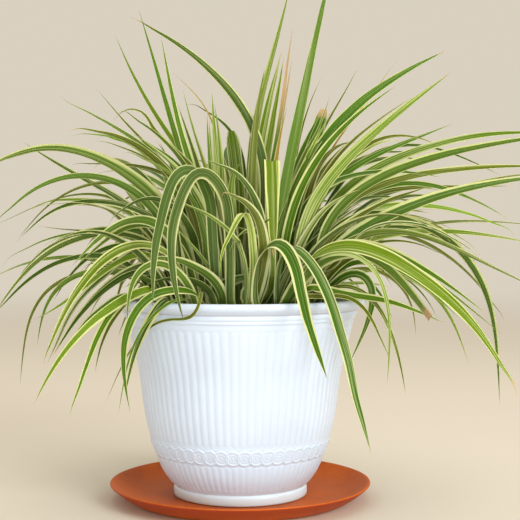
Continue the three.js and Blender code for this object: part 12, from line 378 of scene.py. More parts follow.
        (-33.5, 'l', 0.18, 0.18, 0, 0, 0, [54.7, -64.1, 176, 17.6, 3, 54.7, -64.1, 180.7, 17.9, 3, 54.3, -68, 183.3, 18.5, 3.09, 53.3, -78, 193.2, 21.6, 5.22, 53.1, -84.2, 200.4, 24.4, 5.53, 53.6, -89.3, 208.3, 27.5, 5.83, 55, -93.1, 216.8, 30.8, 6.11, 56.2, -94.5, 221.2, 32.5, 6.25, 59.8, -94.9, 230, 36, 6.52, 62.1, -93.8, 234, 37.8, 6.65, 67.7, -90.1, 241, 41.4, 6.91, 71.1, -88.5, 243.9, 43.3, 7, 74.9, -87.7, 246.6, 45.1, 7, 79, -88.1, 248.8, 47, 7, 87.3, -91.8, 251.8, 50.4, 7, 95.5, -96.8, 253.1, 53.1, 7, 103.9, -101.1, 253.1, 54.7, 7, 116.7, -106.5, 250.8, 54.9, 7, 132.8, -114, 244.8, 52.5, 6.91, 151.1, -124.3, 234.4, 48.7, 6.56, 171.5, -136.9, 219.5, 45.2, 5.86, 190.2, -149.1, 202.4, 42.5, 4.92, 204.3, -158.9, 186.3, 40.6, 3.97, 216.6, -168, 168.5, 38.9, 2.87, 225.3, -174.7, 153.3, 37.7, 1.9, 237.3, -184.3, 129.6, 36.6, 0.29, 237.7, -185, 125, 36.5, 0]),
        (-17.0, 'g', 0.31, 0.34, 0, 0, 0, [57.4, -64.8, 176, 14.6, 2.78, 57.8, -65.1, 178.7, 14.9, 2.96, 63.7, -70.7, 189.3, 19.4, 3.56, 65.6, -74.1, 195.9, 23.3, 3.86, 65.1, -81, 201.8, 27.6, 4.13, 62.7, -100.8, 212.2, 37, 4.63, 62.8, -102, 213.7, 40.3, 4.63, 63.7, -101.7, 214.9, 41.9, 4.63, 65.7, -98.9, 214.9, 43.4, 4.63, 67.9, -96.8, 214.7, 44.7, 4.63, 72.5, -93.9, 214.1, 46.8, 4.63, 77.4, -92, 213.3, 48, 4.63, 100.7, -87.1, 208.4, 48.7, 4.45, 111.2, -86.3, 206.5, 48.9, 4.2, 129.7, -88.8, 203.7, 49.4, 3.58, 145.1, -91.9, 199.9, 50.2, 2.89, 159.9, -95.9, 194.7, 51.1, 2.05, 174.3, -100.3, 188.9, 52.1, 1.09, 186.2, -104.2, 183.8, 52.9, 0.19, 188.7, -105, 183.4, 52.9, 0]),
        (-18.2, 'g', 0.15, 0.42, 0, 0, 0, [50.8, -62.7, 176, 15.2, 2.67, 50.8, -62.7, 179.6, 15.6, 2.84, 52.6, -66.2, 193.4, 19.8, 3.31, 54.5, -67, 204, 24.4, 3.6, 57.3, -65.2, 214.2, 29.4, 3.88, 59.7, -64.5, 220.9, 32.9, 4.05, 62.7, -65.3, 227.4, 36.5, 4.22, 66.3, -66.7, 233.5, 40.1, 4.38, 73.1, -68.3, 241.6, 45.6, 4.44, 81.3, -70.2, 248.2, 50.4, 4.44, 90.1, -74.5, 252.7, 53.4, 4.44, 102.3, -81.6, 255.6, 54.6, 4.44, 112.4, -85.2, 255.7, 54.5, 4.38, 126.1, -88.4, 253.3, 54.1, 4.21, 139.3, -91.6, 248.8, 53.5, 3.96, 151.9, -95.4, 242.9, 52.6, 3.63, 166.9, -100.2, 234.3, 51.2, 3.12, 184.2, -105.9, 222.9, 49.1, 2.39, 200.9, -111.6, 210.5, 46.6, 1.52, 225.1, -120, 190.9, 43.5, 0]),
        (-33.9, 'o', 0.23, 0.23, 0, 0, 0, [53.6, -63.3, 176, 15, 1.62, 53.8, -63.5, 178.4, 15.3, 1.73, 56.9, -66.9, 184.2, 17.9, 1.95, 58.7, -69.9, 187.7, 20.5, 2.07, 60.2, -74, 190.4, 23.4, 2.19, 61.8, -88.8, 196, 33, 2.51, 60.2, -104.1, 205.4, 44.7, 2.7, 60.7, -108.3, 207.1, 47.5, 2.7, 61.8, -110, 207.6, 48.6, 2.7, 64.2, -110.3, 207.6, 49.5, 2.7, 66.6, -109.5, 207.5, 50.2, 2.7, 79.5, -101.4, 207, 50.3, 2.68, 90.9, -96.8, 207.1, 47.7, 2.56, 95.7, -96, 206.6, 46, 2.49, 100.4, -96, 205.5, 44.1, 2.41, 107, -97.6, 202.6, 41, 2.26, 114, -101.3, 196.8, 36.8, 2.03, 120.6, -105.9, 187.6, 32.1, 1.68, 129.5, -113, 168.6, 25.6, 0.93, 137.8, -120, 149.4, 21.2, 0]),
    ]),
    'leaf_fan_back_04': (3.1, 84.6, [
        (119.0, 'd', 0.34, 0.39, 0, 0, 0, [3.8, 82.5, 176, -0.3, 3, 3.7, 82.8, 183.8, 0.1, 3, 3.2, 84.4, 195.5, 1.1, 4.28, 1.9, 90.4, 214.1, 3, 4.9, 2.6, 96, 232.9, 4.7, 5.46, 1.3, 99.4, 244.1, 5.6, 5.75, -4.5, 108.5, 265, 7.1, 5.75, -8.6, 117.8, 281.8, 8.5, 5.75, -13.1, 128.5, 297.6, 9.7, 5.63, -17.4, 138.1, 309.2, 10.3, 5.38, -23.7, 151.3, 322.3, 10.5, 4.92, -29.7, 162.7, 331.3, 10.1, 4.45, -36.4, 174.6, 339, 9.2, 3.89, -43.9, 186.9, 345.2, 7.9, 3.26, -52.3, 199.4, 349.7, 6.2, 2.55, -61.4, 211.9, 352.4, 5, 1.77, -71.1, 224.2, 353.3, 4.5, 0.92, -81.4, 236, 352.5, 4.3, 0]),
        (75.2, 'o', 0.13, 0.13, 0, 0, 0, [3.9, 87.7, 176, 0.2, 3, 3.9, 87.8, 180.5, 0.2, 3, 5.1, 91.1, 183.3, 0.3, 3, 12.9, 111.5, 206, 1, 4.57, 18.3, 124.3, 217.3, 1.4, 5.01, 23.5, 134.7, 224.3, 1.6, 5.32, 30.5, 144.5, 230.3, 1.9, 5.49, 36.3, 150.1, 234.3, 2, 5.49, 45.3, 157.6, 241, 2.2, 5.49, 50.3, 163.6, 245.5, 2.4, 5.49, 52.2, 167.1, 247.5, 2.4, 5.49, 54.5, 175.2, 250.5, 2.5, 5.49, 55.9, 188.5, 252.7, 2.6, 5.46, 57.1, 210.9, 252.4, 2.7, 5.21, 59.1, 233.1, 249.5, 2.7, 4.8, 61.8, 254.7, 244, 2.7, 4.25, 64.2, 271.4, 237.6, 2.5, 3.72, 66.4, 287.2, 229.4, 2.3, 3.11, 68.6, 305.9, 217, 2, 2.25, 70.4, 326.7, 200, 1.6, 1.08, 71.4, 340.1, 188, 1.4, 0.22, 71.3, 342.9, 184.4, 1.4, 0]),
        (97.2, 'l', 0.29, 0.35, 0, 0, 0, [1.7, 86.5, 176, 0.2, 3, 1.7, 86.9, 189.2, 0.8, 3.77, 1.4, 89.2, 197.7, 1.5, 4.03, 0.3, 97.1, 213.4, 3.1, 4.51, -1.1, 107.2, 237.7, 5.4, 5.14, -2.2, 115.3, 253.3, 6.7, 5.41, -3.8, 127, 271.9, 8.1, 5.41, -5.3, 137.8, 285.7, 9.2, 5.41, -7.3, 152.8, 301.7, 10.6, 5.34, -9, 166.1, 313.1, 11.3, 5.13, -11.3, 184, 325.6, 11.9, 4.73, -13.3, 199.4, 334, 12, 4.31, -15.4, 215.5, 340.7, 11.8, 3.8, -17.4, 232.3, 345.8, 11.7, 3.22, -20.1, 253.8, 349.7, 15.3, 2.4, -22.1, 271.2, 350.7, 22.5, 1.66, -24.2, 288.7, 349.8, 27.2, 0.86, -26.2, 305.9, 347, 28.1, 0]),
        (101.6, 'l', 0.32, 0.33, 0, 0, 0, [3.8, 80.9, 176, -0.1, 3, 3.8, 80.9, 180.2, -0.1, 3, 1, 97.7, 209.3, -0.4, 4.21, -0.6, 107.8, 222.7, -0.6, 4.62, -2.4, 119.3, 234.9, -0.9, 4.99, -4.6, 132.4, 245.3, -1.3, 5.06, -7.7, 146.7, 253.6, -1.8, 5.06, -10.7, 158.2, 257.9, -2.2, 5.06, -15.4, 174.1, 260.7, -2.9, 5.03, -21.4, 194.2, 260, -3.9, 4.8, -24.3, 210.6, 257.8, -4.9, 4.51, -26.3, 239.6, 252, -6.8, 3.8, -27.6, 251.5, 247.9, -7.7, 3.43, -28.7, 259.1, 244.5, -8.4, 3.16, -31.5, 273.3, 235.7, -9.8, 2.56, -34.8, 285.8, 224.9, -11.3, 1.91, -39.1, 299.4, 209.5, -13.2, 1, -42.6, 309.7, 196.5, -14.3, 0.21, -43.2, 311.3, 192.7, -14.4, 0]),
        (105.8, 'g', 0.33, 0.35, 0, 0, 0, [0.5, 85.8, 176, 0.5, 2.82, 0.5, 85.8, 180.3, 0.5, 3, -0.5, 97.1, 193.3, 1.2, 3.5, -0.8, 106.5, 202.2, 1.9, 3.81, -0.7, 117.3, 209.4, 2.6, 4.1, -0.4, 136.3, 219.6, 3.6, 4.54, -0.8, 143.7, 224.1, 4, 4.69, -2.4, 153.8, 232, 4.5, 4.69, -6.7, 170.3, 245.3, 5.2, 4.69, -8.2, 177.7, 249.5, 5.4, 4.69, -9.8, 189.7, 254.1, 5.6, 4.68, -12.2, 206.5, 258.3, 5.9, 4.56, -15.6, 218.7, 260.6, 5.9, 4.39, -22.3, 234.4, 262.6, 5.9, 4.1, -30, 249.8, 262.5, 5.7, 3.73, -35.8, 261.3, 260.6, 5.4, 3.41, -42.8, 276.2, 255.6, 5, 2.93, -49.3, 290.5, 248.4, 4.4, 2.38, -55.3, 304, 239.3, 3.7, 1.77, -68.4, 331.8, 215.5, 2.2, 0.19, -69.7, 334.1, 212.1, 2.2, 0]),
        (89.7, 'l', 0.38, 0.39, 0, 0, 0, [3.1, 83.6, 176, 1, 2.63, 3.1, 83.6, 180.4, 1.2, 2.81, 1.4, 103.1, 209.8, 4.7, 3.65, 0.2, 117.5, 226.5, 7.1, 4.09, -0.7, 130.9, 238, 9, 4.39, -1.6, 145.8, 247.3, 10.6, 4.39, -2.5, 166.1, 255.9, 12.5, 4.39, -3.2, 187.6, 261, 14, 4.36, -3.6, 205.1, 262.3, 14.9, 4.21, -3.7, 222.7, 261, 15.7, 3.98, -3.5, 240, 257.1, 16.2, 3.67, -3, 256.4, 250.7, 16.5, 3.3, -2.2, 271.8, 242, 16.5, 2.86, -1.1, 285.8, 231.3, 16.5, 2.36, 0.6, 301.2, 215.7, 16.1, 1.65, 2.1, 312.1, 201.8, 15.7, 1.03, 3.9, 324.8, 183.9, 15.3, 0.18, 4.3, 326.3, 179.8, 15.2, 0]),
    ]),
    'leaf_fan_front_left_07': (-60, -60.9, [
        (-139.5, 'd', 0.29, 0.32, 0, 0, 0, [-58.9, -62.8, 176, 0.7, 3, -58.9, -62.8, 178.7, 0.8, 3, -65.8, -67.7, 201.9, 3.5, 5.29, -70.9, -69.8, 214.5, 5.1, 5.89, -75.8, -72.2, 224, 6.3, 6.21, -82.9, -77.2, 234.7, 7.6, 6.21, -91.1, -82.7, 244.2, 8.7, 6.21, -100.2, -88.6, 252.6, 9.6, 6.08, -107.8, -94.1, 258.2, 10.1, 5.81, -115.4, -100.8, 262.5, 10.5, 5.42, -123, -108.2, 265.4, 10.7, 4.94, -130.7, -115.9, 266.9, 10.7, 4.36, -138.3, -123.8, 266.8, 10.6, 3.7, -145.8, -131.7, 265.2, 10.3, 2.95, -153, -139.4, 262.5, 10, 2.13, -166.8, -154.6, 254.6, 9.3, 0.25, -168.2, -156.3, 253, 9.2, 0]),
        (-130.7, 'l', 0.19, 0.43, 0, 0, 0, [-57.5, -58, 176, -15, 2.87, -57.6, -58, 179.4, -15.3, 3, -68.9, -57.7, 196.7, -22, 3.78, -75.6, -56.6, 204.3, -26.6, 4.08, -77.9, -56.7, 206.6, -28.2, 4.17, -80, -57.9, 208.7, -29.8, 4.27, -81.2, -60.4, 210, -31.5, 4.36, -81.6, -63.6, 210.7, -33.1, 4.45, -80.8, -94.3, 212.9, -43, 4.78, -82.3, -100, 213, -43.7, 4.78, -84.7, -102, 212.5, -43.8, 4.78, -96.7, -106.6, 208, -43.2, 4.78, -107.4, -112.9, 202.2, -41.8, 4.72, -121, -125.2, 192.7, -39.2, 4.41, -134.9, -140.5, 180.3, -35.7, 3.8, -145.4, -153.4, 168.1, -32.6, 3.11, -154.7, -165.7, 154.3, -29.5, 2.27, -162.8, -177.3, 139.3, -26.7, 1.3, -171, -190, 120.6, -24.3, 0]),
        (-121.6, 'd', 0.39, 0.42, 0, 0, 0, [-61.7, -63.6, 176, -14.7, 2.67, -61.7, -63.6, 178.2, -15, 2.85, -60.4, -70.9, 189.1, -20.9, 3.51, -60.4, -75.5, 193.8, -25.1, 3.79, -61, -80.9, 197.6, -29.2, 4.05, -62.3, -88.8, 201.3, -32, 4.39, -64, -99.7, 204.2, -27.9, 4.45, -65.3, -104.1, 204.5, -26.1, 4.45, -67.5, -107.5, 203.4, -24.8, 4.45, -69, -108.5, 202.2, -24.1, 4.45, -71.9, -109.3, 199, -22.6, 4.45, -77.1, -109, 191.8, -19.8, 4.39, -86.8, -105.2, 175, -16.3, 3.89, -89.5, -105, 169.1, -15.9, 3.63, -92, -105.9, 163, -15.5, 3.34, -94.6, -108.4, 155, -14.7, 2.89, -97.1, -113, 145.3, -13.1, 2.25, -99.5, -120.3, 132, -10.2, 1.21, -101.2, -128, 118.8, -8, 0]),
        (-134.3, 'g', 0.40, 0.43, 0, 0, 0, [-59.3, -60.2, 176, -14.1, 2.45, -59.3, -60.2, 178.8, -14.4, 2.61, -64.9, -66.8, 189.6, -17.9, 3.13, -69.5, -69.9, 195.8, -21.1, 3.4, -78, -72.7, 202.4, -26.1, 3.72, -85.5, -74.7, 205.4, -30.1, 3.95, -92.8, -78.5, 206.5, -34, 4.08, -98.9, -84.1, 205.9, -36.6, 4.08, -103.6, -90.6, 204, -36.3, 4.08, -109, -99.4, 199.8, -32.4, 4.08, -112.9, -105.3, 195.5, -29.5, 4.05, -117.9, -112.2, 188.4, -27.1, 3.92, -122.5, -118.1, 180.1, -26, 3.7, -126.6, -123.1, 171.1, -25.6, 3.42, -134.2, -132.7, 149.3, -26.6, 2.54, -140.1, -140.5, 129.3, -28.9, 1.54, -146.7, -149.3, 106.9, -31.8, 0.17, -147.1, -150, 104.2, -31.9, 0]),
    ]),
}


# ------------------------------------------------------------------ helpers
def lin(*c):
    """sRGB 0..255 to linear."""
    c = np.array(c, float) / 255.0
    return np.where(c <= 0.04045, c / 12.92, ((c + 0.055) / 1.055) ** 2.4)


def smooth_step(a, b, x):
    t = np.clip((np.asarray(x, float) - a) / (b - a), 0, 1)
    return t * t * (3 - 2 * t)


def hermite(t, V, s):
    """Smooth curve through the rows of V at the knots t, read at s."""
    V = np.asarray(V, float)
    one = V.ndim == 1
    if one:
        V = V[:, None]
    d = np.diff(V, axis=0) / np.diff(t)[:, None]
    m = np.empty_like(V)
    m[0], m[-1] = d[0], d[-1]
    if len(t) > 2:
        a, b = np.diff(t)[:-1, None], np.diff(t)[1:, None]
        m[1:-1] = (d[:-1] * b + d[1:] * a) / (a + b)
    i = np.clip(np.searchsorted(t, s, side="right") - 1, 0, len(t) - 2)
    h = (t[i + 1] - t[i])[:, None]
    x = ((s - t[i])[:, None]) / h
    out = (2 * x**3 - 3 * x**2 + 1) * V[i] + (x**3 - 2 * x**2 + x) * h * m[i] + (3 * x**2 - 2 * x**3) * V[i + 1] + (x**3 - x**2) * h * m[i + 1]
    return out[:, 0] if one else out


def mesh_object(name, verts, faces, material, values=(), uv=None, smooth=True, sharp=None):
    """A mesh in metres from vertices in millimetres. values are per-vertex attributes: (name, type, array)."""
    me = bpy.data.meshes.new(name)
    me.from_pydata((np.asarray(verts) * MM).tolist(), [], faces)
    for label, kind, data in values:
        data = np.asarray(data, np.float32)
        attribute = me.attributes.new(label, kind, "POINT")
        if kind == "FLOAT_COLOR":
            data = np.hstack([data, np.ones((len(data), 1), np.float32)])
            attribute.data.foreach_set("color", data.ravel())
        elif kind == "FLOAT_VECTOR":
            attribute.data.foreach_set("vector", data.ravel())
        else:
            attribute.data.foreach_set("value", data.ravel())
    if uv is not None:
        layer = me.uv_layers.new(name="OFBake")
        layer.uv.foreach_set("vector", np.asarray(uv, np.float32).ravel())
    me.polygons.foreach_set("use_smooth", [smooth] * len(me.polygons))
    if sharp is not None:
        pairs = np.empty(len(me.edges) * 2, np.int32)
        me.edges.foreach_get("vertices", pairs)
        pairs = pairs.reshape(-1, 2)
        a, b = sharp[pairs[:, 0]], sharp[pairs[:, 1]]
        me.edges.foreach_set("use_edge_sharp", (a > 0) & (a == b))
    me.materials.append(material)
    me.update()
    ob = bpy.data.objects.new(name, me)
    bpy.context.scene.collection.objects.link(ob)
    return ob


class Shader:
    """Builds a node material from short calls."""

    def __init__(self, name):
        self.mat = bpy.data.materials.new(name)
        self.mat.use_nodes = True
        self.t = self.mat.node_tree
        self.bsdf = self.t.nodes["Principled BSDF"]

    def node(self, kind, ins=None, **props):
        n = self.t.nodes.new(kind)
        for k, v in props.items():
            setattr(n, k, v)
        for k, v in (ins or {}).items():
            self.put(n.inputs[k], v)
        return n

    def put(self, socket, v):
        if isinstance(v, bpy.types.NodeSocket):
            self.t.links.new(v, socket)
        elif isinstance(v, (tuple, list, np.ndarray)) and len(v) == 3 and socket.type == "RGBA":
            socket.default_value = (*[float(x) for x in v], 1.0)
        else:
            socket.default_value = v

    def m(self, op, a, b=0.0, c=0.0, clamp=False):
        n = self.node("ShaderNodeMath", {0: a, 1: b, 2: c}, operation=op, use_clamp=clamp)
        return n.outputs[0]

    def attr(self, name, out="Fac"):
        return self.node("ShaderNodeAttribute", attribute_name=name).outputs[out]

    def vscale(self, v, by):
        return self.node("ShaderNodeVectorMath", {0: v, 1: by}, operation="MULTIPLY").outputs[0]

    def noise(self, v, scale=1.0, detail=2.0, rough=0.5, out="Fac"):
        n = self.node("ShaderNodeTexNoise", {"Vector": v, "Scale": scale, "Detail": detail, "Roughness": rough})
        return n.outputs[out]

    def range(self, v, a, b, c=0.0, d=1.0, smooth=True):
        n = self.node("ShaderNodeMapRange", {"Value": v, "From Min": a, "From Max": b, "To Min": c, "To Max": d})
        n.interpolation_type = "SMOOTHSTEP" if smooth else "LINEAR"
        return n.outputs[0]

    def mix(self, f, a, b, blend="MIX"):
        n = self.node("ShaderNodeMix", data_type="RGBA", blend_type=blend)
        self.put(n.inputs[0], f)
        self.put(n.inputs[6], a)
        self.put(n.inputs[7], b)
        return n.outputs[2]

    def bump(self, height, strength, distance):
        n = self.node("ShaderNodeBump", {"Height": height, "Strength": strength, "Distance": distance})
        self.t.links.new(n.outputs[0], self.bsdf.inputs["Normal"])


# ------------------------------------------------------------------ leaf material
def leaf_material():
    s = Shader("leaf_blade")
    u = s.attr("across")
    au = s.m("ABSOLUTE", u)
    sep = s.node("ShaderNodeSeparateXYZ", {0: s.attr("margin", "Vector")})
    right = s.m("GREATER_THAN", u, 0.0)
    width = s.m("ADD", s.m("MULTIPLY", sep.outputs[0], s.m("SUBTRACT", 1.0, right)), s.m("MULTIPLY", sep.outputs[1], right))
    strip = s.attr("strip", "Vector")           # across and along in centimetres, and a number of the leaf's own
    slow = s.noise(s.vscale(strip, (0.25, 0.30, 7.0)), 1.0, 3.0, 0.6)
    # cream margin, its inner edge a little uneven
    edge = s.m("SUBTRACT", 1.0, s.m("MULTIPLY", width, s.m("ADD", 0.70, s.m("MULTIPLY", slow, 0.6))))
    hair = s.noise(s.vscale(strip, (9.0, 0.09, 3.0)), 1.0, 1.0, 0.4)
    ragged = s.m("MULTIPLY", s.m("SUBTRACT", hair, 0.5), 0.30)
    margin = s.range(s.m("ADD", au, ragged), s.m("SUBTRACT", edge, 0.06), s.m("ADD", edge, 0.06))
    margin = s.m("MULTIPLY", margin, s.m("GREATER_THAN", width, 0.01))
    # fine parallel veins and the lighter lines between them
    vein = s.m("SINE", s.m("ADD", s.m("MULTIPLY", u, 40.0), s.m("MULTIPLY", slow, 3.0)))
    fine = s.noise(s.vscale(strip, (14.0, 0.12, 5.0)), 1.0, 2.0, 0.6)
    lines = s.noise(s.vscale(strip, (7.5, 0.05, 9.0)), 1.0, 1.0, 0.5)
    pale_line = s.m("MULTIPLY", s.range(s.m("ADD", lines, s.m("MULTIPLY", sep.outputs[2], 0.07)), 0.58, 0.67), sep.outputs[2])
    tone = s.attr("tone", "Color")
    cream = s.attr("cream", "Color")
    shade = s.m("ADD", 0.80, s.m("ADD", s.m("MULTIPLY", fine, 0.30), s.m("MULTIPLY", vein, 0.035)))
    mottle = s.noise(s.vscale(strip, (0.8, 0.45, 4.0)), 1.0, 4.0, 0.65)
    shade = s.m("MULTIPLY", shade, s.m("ADD", 0.82, s.m("MULTIPLY", mottle, 0.36)))
    grey = s.node("ShaderNodeCombineColor", {0: shade, 1: shade, 2: shade}).outputs[0]
    green = s.mix(1.0, tone, grey, "MULTIPLY")
    midrib = s.m("MULTIPLY", s.m("SUBTRACT", 1.0, s.range(au, 0.02, 0.10)), 0.30)
    green = s.mix(midrib, green, s.mix(0.5, tone, cream))
    green = s.mix(s.m("MULTIPLY", pale_line, 0.75), green, cream)
    soft = s.mix(s.m("MULTIPLY", s.m("SUBTRACT", fine, 0.35), 0.5, clamp=True), cream, tone)
    colour = s.mix(margin, green, soft)
    under = s.m("MULTIPLY", s.attr("under"), 0.12)
    colour = s.mix(under, colour, s.mix(0.45, tone, cream))
    s.put(s.bsdf.inputs["Base Color"], colour)
    s.put(s.bsdf.inputs["Roughness"], s.m("ADD", 0.36, s.m("MULTIPLY", mottle, 0.24)))
    s.bsdf.inputs["Specular IOR Level"].default_value = 0.16
    s.bsdf.inputs["Subsurface Weight"].default_value = 0.16
    s.bsdf.inputs["Subsurface Radius"].default_value = (0.0016, 0.0022, 0.0007)
    s.bsdf.inputs["Subsurface Scale"].default_value = 1.0
    s.bump(s.m("ADD", s.m("MULTIPLY", vein, 0.5), fine), 0.5, 0.00018)
    return s.mat


LEAF = leaf_material()

GREENS = {
    "g": (76, 114, 0), "d": (54, 86, 0), "b": (64, 104, 10), "l": (98, 126, 8), "o": (88, 98, 0),
    "p": (106, 138, 18), "y": (164, 124, 40),
}
CREAM = (214, 218, 157)
TAN = (206, 172, 128)
SHEATH = (140, 164, 70)
COLUMNS = np.array([-1, -0.92, -0.78, -0.6, -0.4, -0.2, 0, 0.2, 0.4, 0.6, 0.78, 0.92, 1.0])


def leaf_parts(row, seed):
    """Vertices, ring size and attributes of one leaf: a thin folded blade, closed all round."""
    heading, colour, ml, mr, dry, cut, folded, flat = row
    r = np.random.default_rng(seed)
    st = np.array(flat, float).reshape(-1, 5)
    t = np.r_[0, np.cumsum(np.linalg.norm(np.diff(st[:, :3], axis=0), axis=1))]
    n = max(18, int(t[-1] / 5.0))
    s = t[-1] * (1 - (1 - np.linspace(0, 1, n + 1)) ** 1.12)
    P = hermite(t, st[:, :3], s)
    roll = np.radians(hermite(t, st[:, 3], s))
    half = np.maximum(np.interp(s, t, st[:, 4]) * 0.35 + hermite(t, st[:, 4], s) * 0.65, 0.06)
    along, length = s, t[-1]
    v = s / length
    T = np.gradient(P, axis=0)
    T /= np.linalg.norm(T, axis=1)[:, None]
    a = math.radians(heading)
    side = np.cross([0, 0, 1.0], [math.cos(a), math.sin(a), 0])
    S0 = side[None] - T * (T @ side)[:, None]
    S0 /= np.linalg.norm(S0, axis=1)[:, None]
    N0 = np.cross(T, S0)
    S = S0 * np.cos(roll)[:, None] + N0 * np.sin(roll)[:, None]
    N = np.cross(T, S)
    # folded section: the fold is deep in the sheath, opens along the arch and flattens to the tip
    fold = 0.26 * (1.45 - 0.55 * smooth_step(0.0, 0.25, v) - 0.30 * smooth_step(0.7, 1.0, v))
    if folded:
        fold = 0.30 + 0 * v
    ph = r.uniform(0, 6.28, 4)
    wave_l = np.sin(along / r.uniform(13, 22) + ph[0]) * 0.6 + np.sin(along / r.uniform(6, 9) + ph[1]) * 0.25
    wave_r = np.sin(along / r.uniform(13, 22) + ph[2]) * 0.6 + np.sin(along / r.uniform(6, 9) + ph[3]) * 0.25
    ripple = np.minimum(0.055 * half, 0.4) * smooth_step(0.1, 0.35, v)
    widen = 1 + 0.025 * np.sin(along / 17.0 + ph[1]) + 0.015 * np.sin(along / 7.0 + ph[2])
    U = COLUMNS[None, :]
    au = np.abs(U)
    H = -(fold * half)[:, None] * (1 - au**1.3) + (ripple * wave_l)[:, None] * np.where(U < 0, au**2, 0) + (ripple * wave_r)[:, None] * np.where(U > 0, au**2, 0)
    H = H - 0.05 * half[:, None] * au**4
    thick = (0.50 - 0.26 * au**2) * (0.35 + 0.65 * np.clip(half / 3.0, 0, 1))[:, None] + 0.9 * np.exp(-along / 20.0)[:, None] * (1 - 0.6 * au)
    W = (half * widen)[:, None] * U
    top = P[:, None] + S[:, None] * W[..., None] + N[:, None] * H[..., None]
    low = top - N[:, None] * thick[..., None]
    ring = np.concatenate([top, low[:, ::-1]], axis=1)          # columns, then back along the underside
    k = ring.shape[1]
    cols = np.r_[COLUMNS, COLUMNS[::-1]]
    under = np.r_[np.zeros(len(COLUMNS)), np.ones(len(COLUMNS))]
    # colours along the leaf
    g = lin(*GREENS[colour])
    g = g * r.uniform(0.86, 1.14) * (1 + r.uniform(-0.07, 0.07, 3) * np.array([1.0, 0.4, 0.9]))
    cream = lin(*CREAM) * r.uniform(0.86, 1.03) * np.array([1, 1, r.uniform(0.82, 1.05)])
    pale_share = {"p": 0.9, "l": 0.55, "o": 0.35}.get(colour, r.uniform(0.05, 0.5))
    base = (1 - smooth_step(0.0, 38.0, along))[:, None] * 0.75
    tone = g[None] * (1 - base) + lin(*SHEATH)[None] * base
    tone = tone * (1 + 0.10 * (v - 0.5))[:, None]
    tip_dry = dry if dry > 0 else (r.uniform(0.02, 0.05) if r.random() < 0.45 else 0.0)
    if tip_dry > 0:
        d = smooth_step(1 - tip_dry * 1.25, 1 - tip_dry * 0.55, v)[:, None]
        tone = tone * (1 - d) + lin(*TAN)[None] * r.uniform(0.7, 1.0) * d
        creams = cream[None] * (1 - d) + lin(*TAN)[None] * 0.95 * d
    else:
        creams = np.repeat(cream[None], len(v), 0)
    fade = smooth_step(0.02, 0.12, v)
    rows = len(v)
    full = lambda x: np.repeat(np.asarray(x)[:, None], k, 1).reshape(rows * k, -1)
    values = {
        "across": np.repeat(cols[None], rows, 0).ravel(),
        "under": np.repeat(under[None], rows, 0).ravel(),
        "strip": np.stack([(half[:, None] * cols[None] / 10).ravel(), np.repeat(along / 10, k), np.full(rows * k, (seed % 97) * 1.37)], 1),
        "margin": np.stack([np.repeat(ml * fade, k), np.repeat(mr * fade, k), np.full(rows * k, pale_share)], 1),
        "tone": full(tone), "cream": full(creams),
    }
    return ring.reshape(-1, 3), rows, k, values


def crown_parts(x, y, seed):
    """The pale rosette base: closed sheaths packed round each other."""
    r = np.random.default_rng(seed)
    z = np.array([172.6, 174.0, 176.5, 179.5, 182.5, 185.0, 187.0, 188.2])
    rad = np.array([3.6, 5.4, 6.6, 6.9, 6.2, 4.9, 3.2, 0.8])
    k = 30
    a = np.arange(k) / k * 2 * math.pi
    ph = r.uniform(0, 6.28)
    lobe = 1 + 0.10 * np.abs(np.sin(2.5 * a + ph)) ** 0.7 - 0.05
    R = rad[:, None] * lobe[None] * (1 + 0.03 * np.sin(a[None] * 9 + z[:, None] * 0.4))
    V = np.stack([x + R * np.cos(a)[None], y + R * np.sin(a)[None], np.repeat(z[:, None], k, 1)], -1)
    rows = len(z)
    tone = lin(*SHEATH)[None] * (0.75 + 0.35 * (z - z[0]) / 16)[:, None]
    full = lambda q: np.repeat(q[:, None], k, 1).reshape(rows * k, -1)
    values = {
        "across": np.repeat((np.cos(a * 5) * 0.9)[None], rows, 0).ravel(), "under": np.zeros(rows * k),
        "strip": np.stack([np.tile(a * 0.6, rows), np.repeat(z / 10, k), np.full(rows * k, seed % 89)], 1),
        "margin": np.tile([0.0, 0.0, 0.5], (rows * k, 1)), "tone": full(tone), "cream": full(np.repeat(lin(*CREAM)[None], rows, 0)),
    }
    return V.reshape(-1, 3), rows, k, values


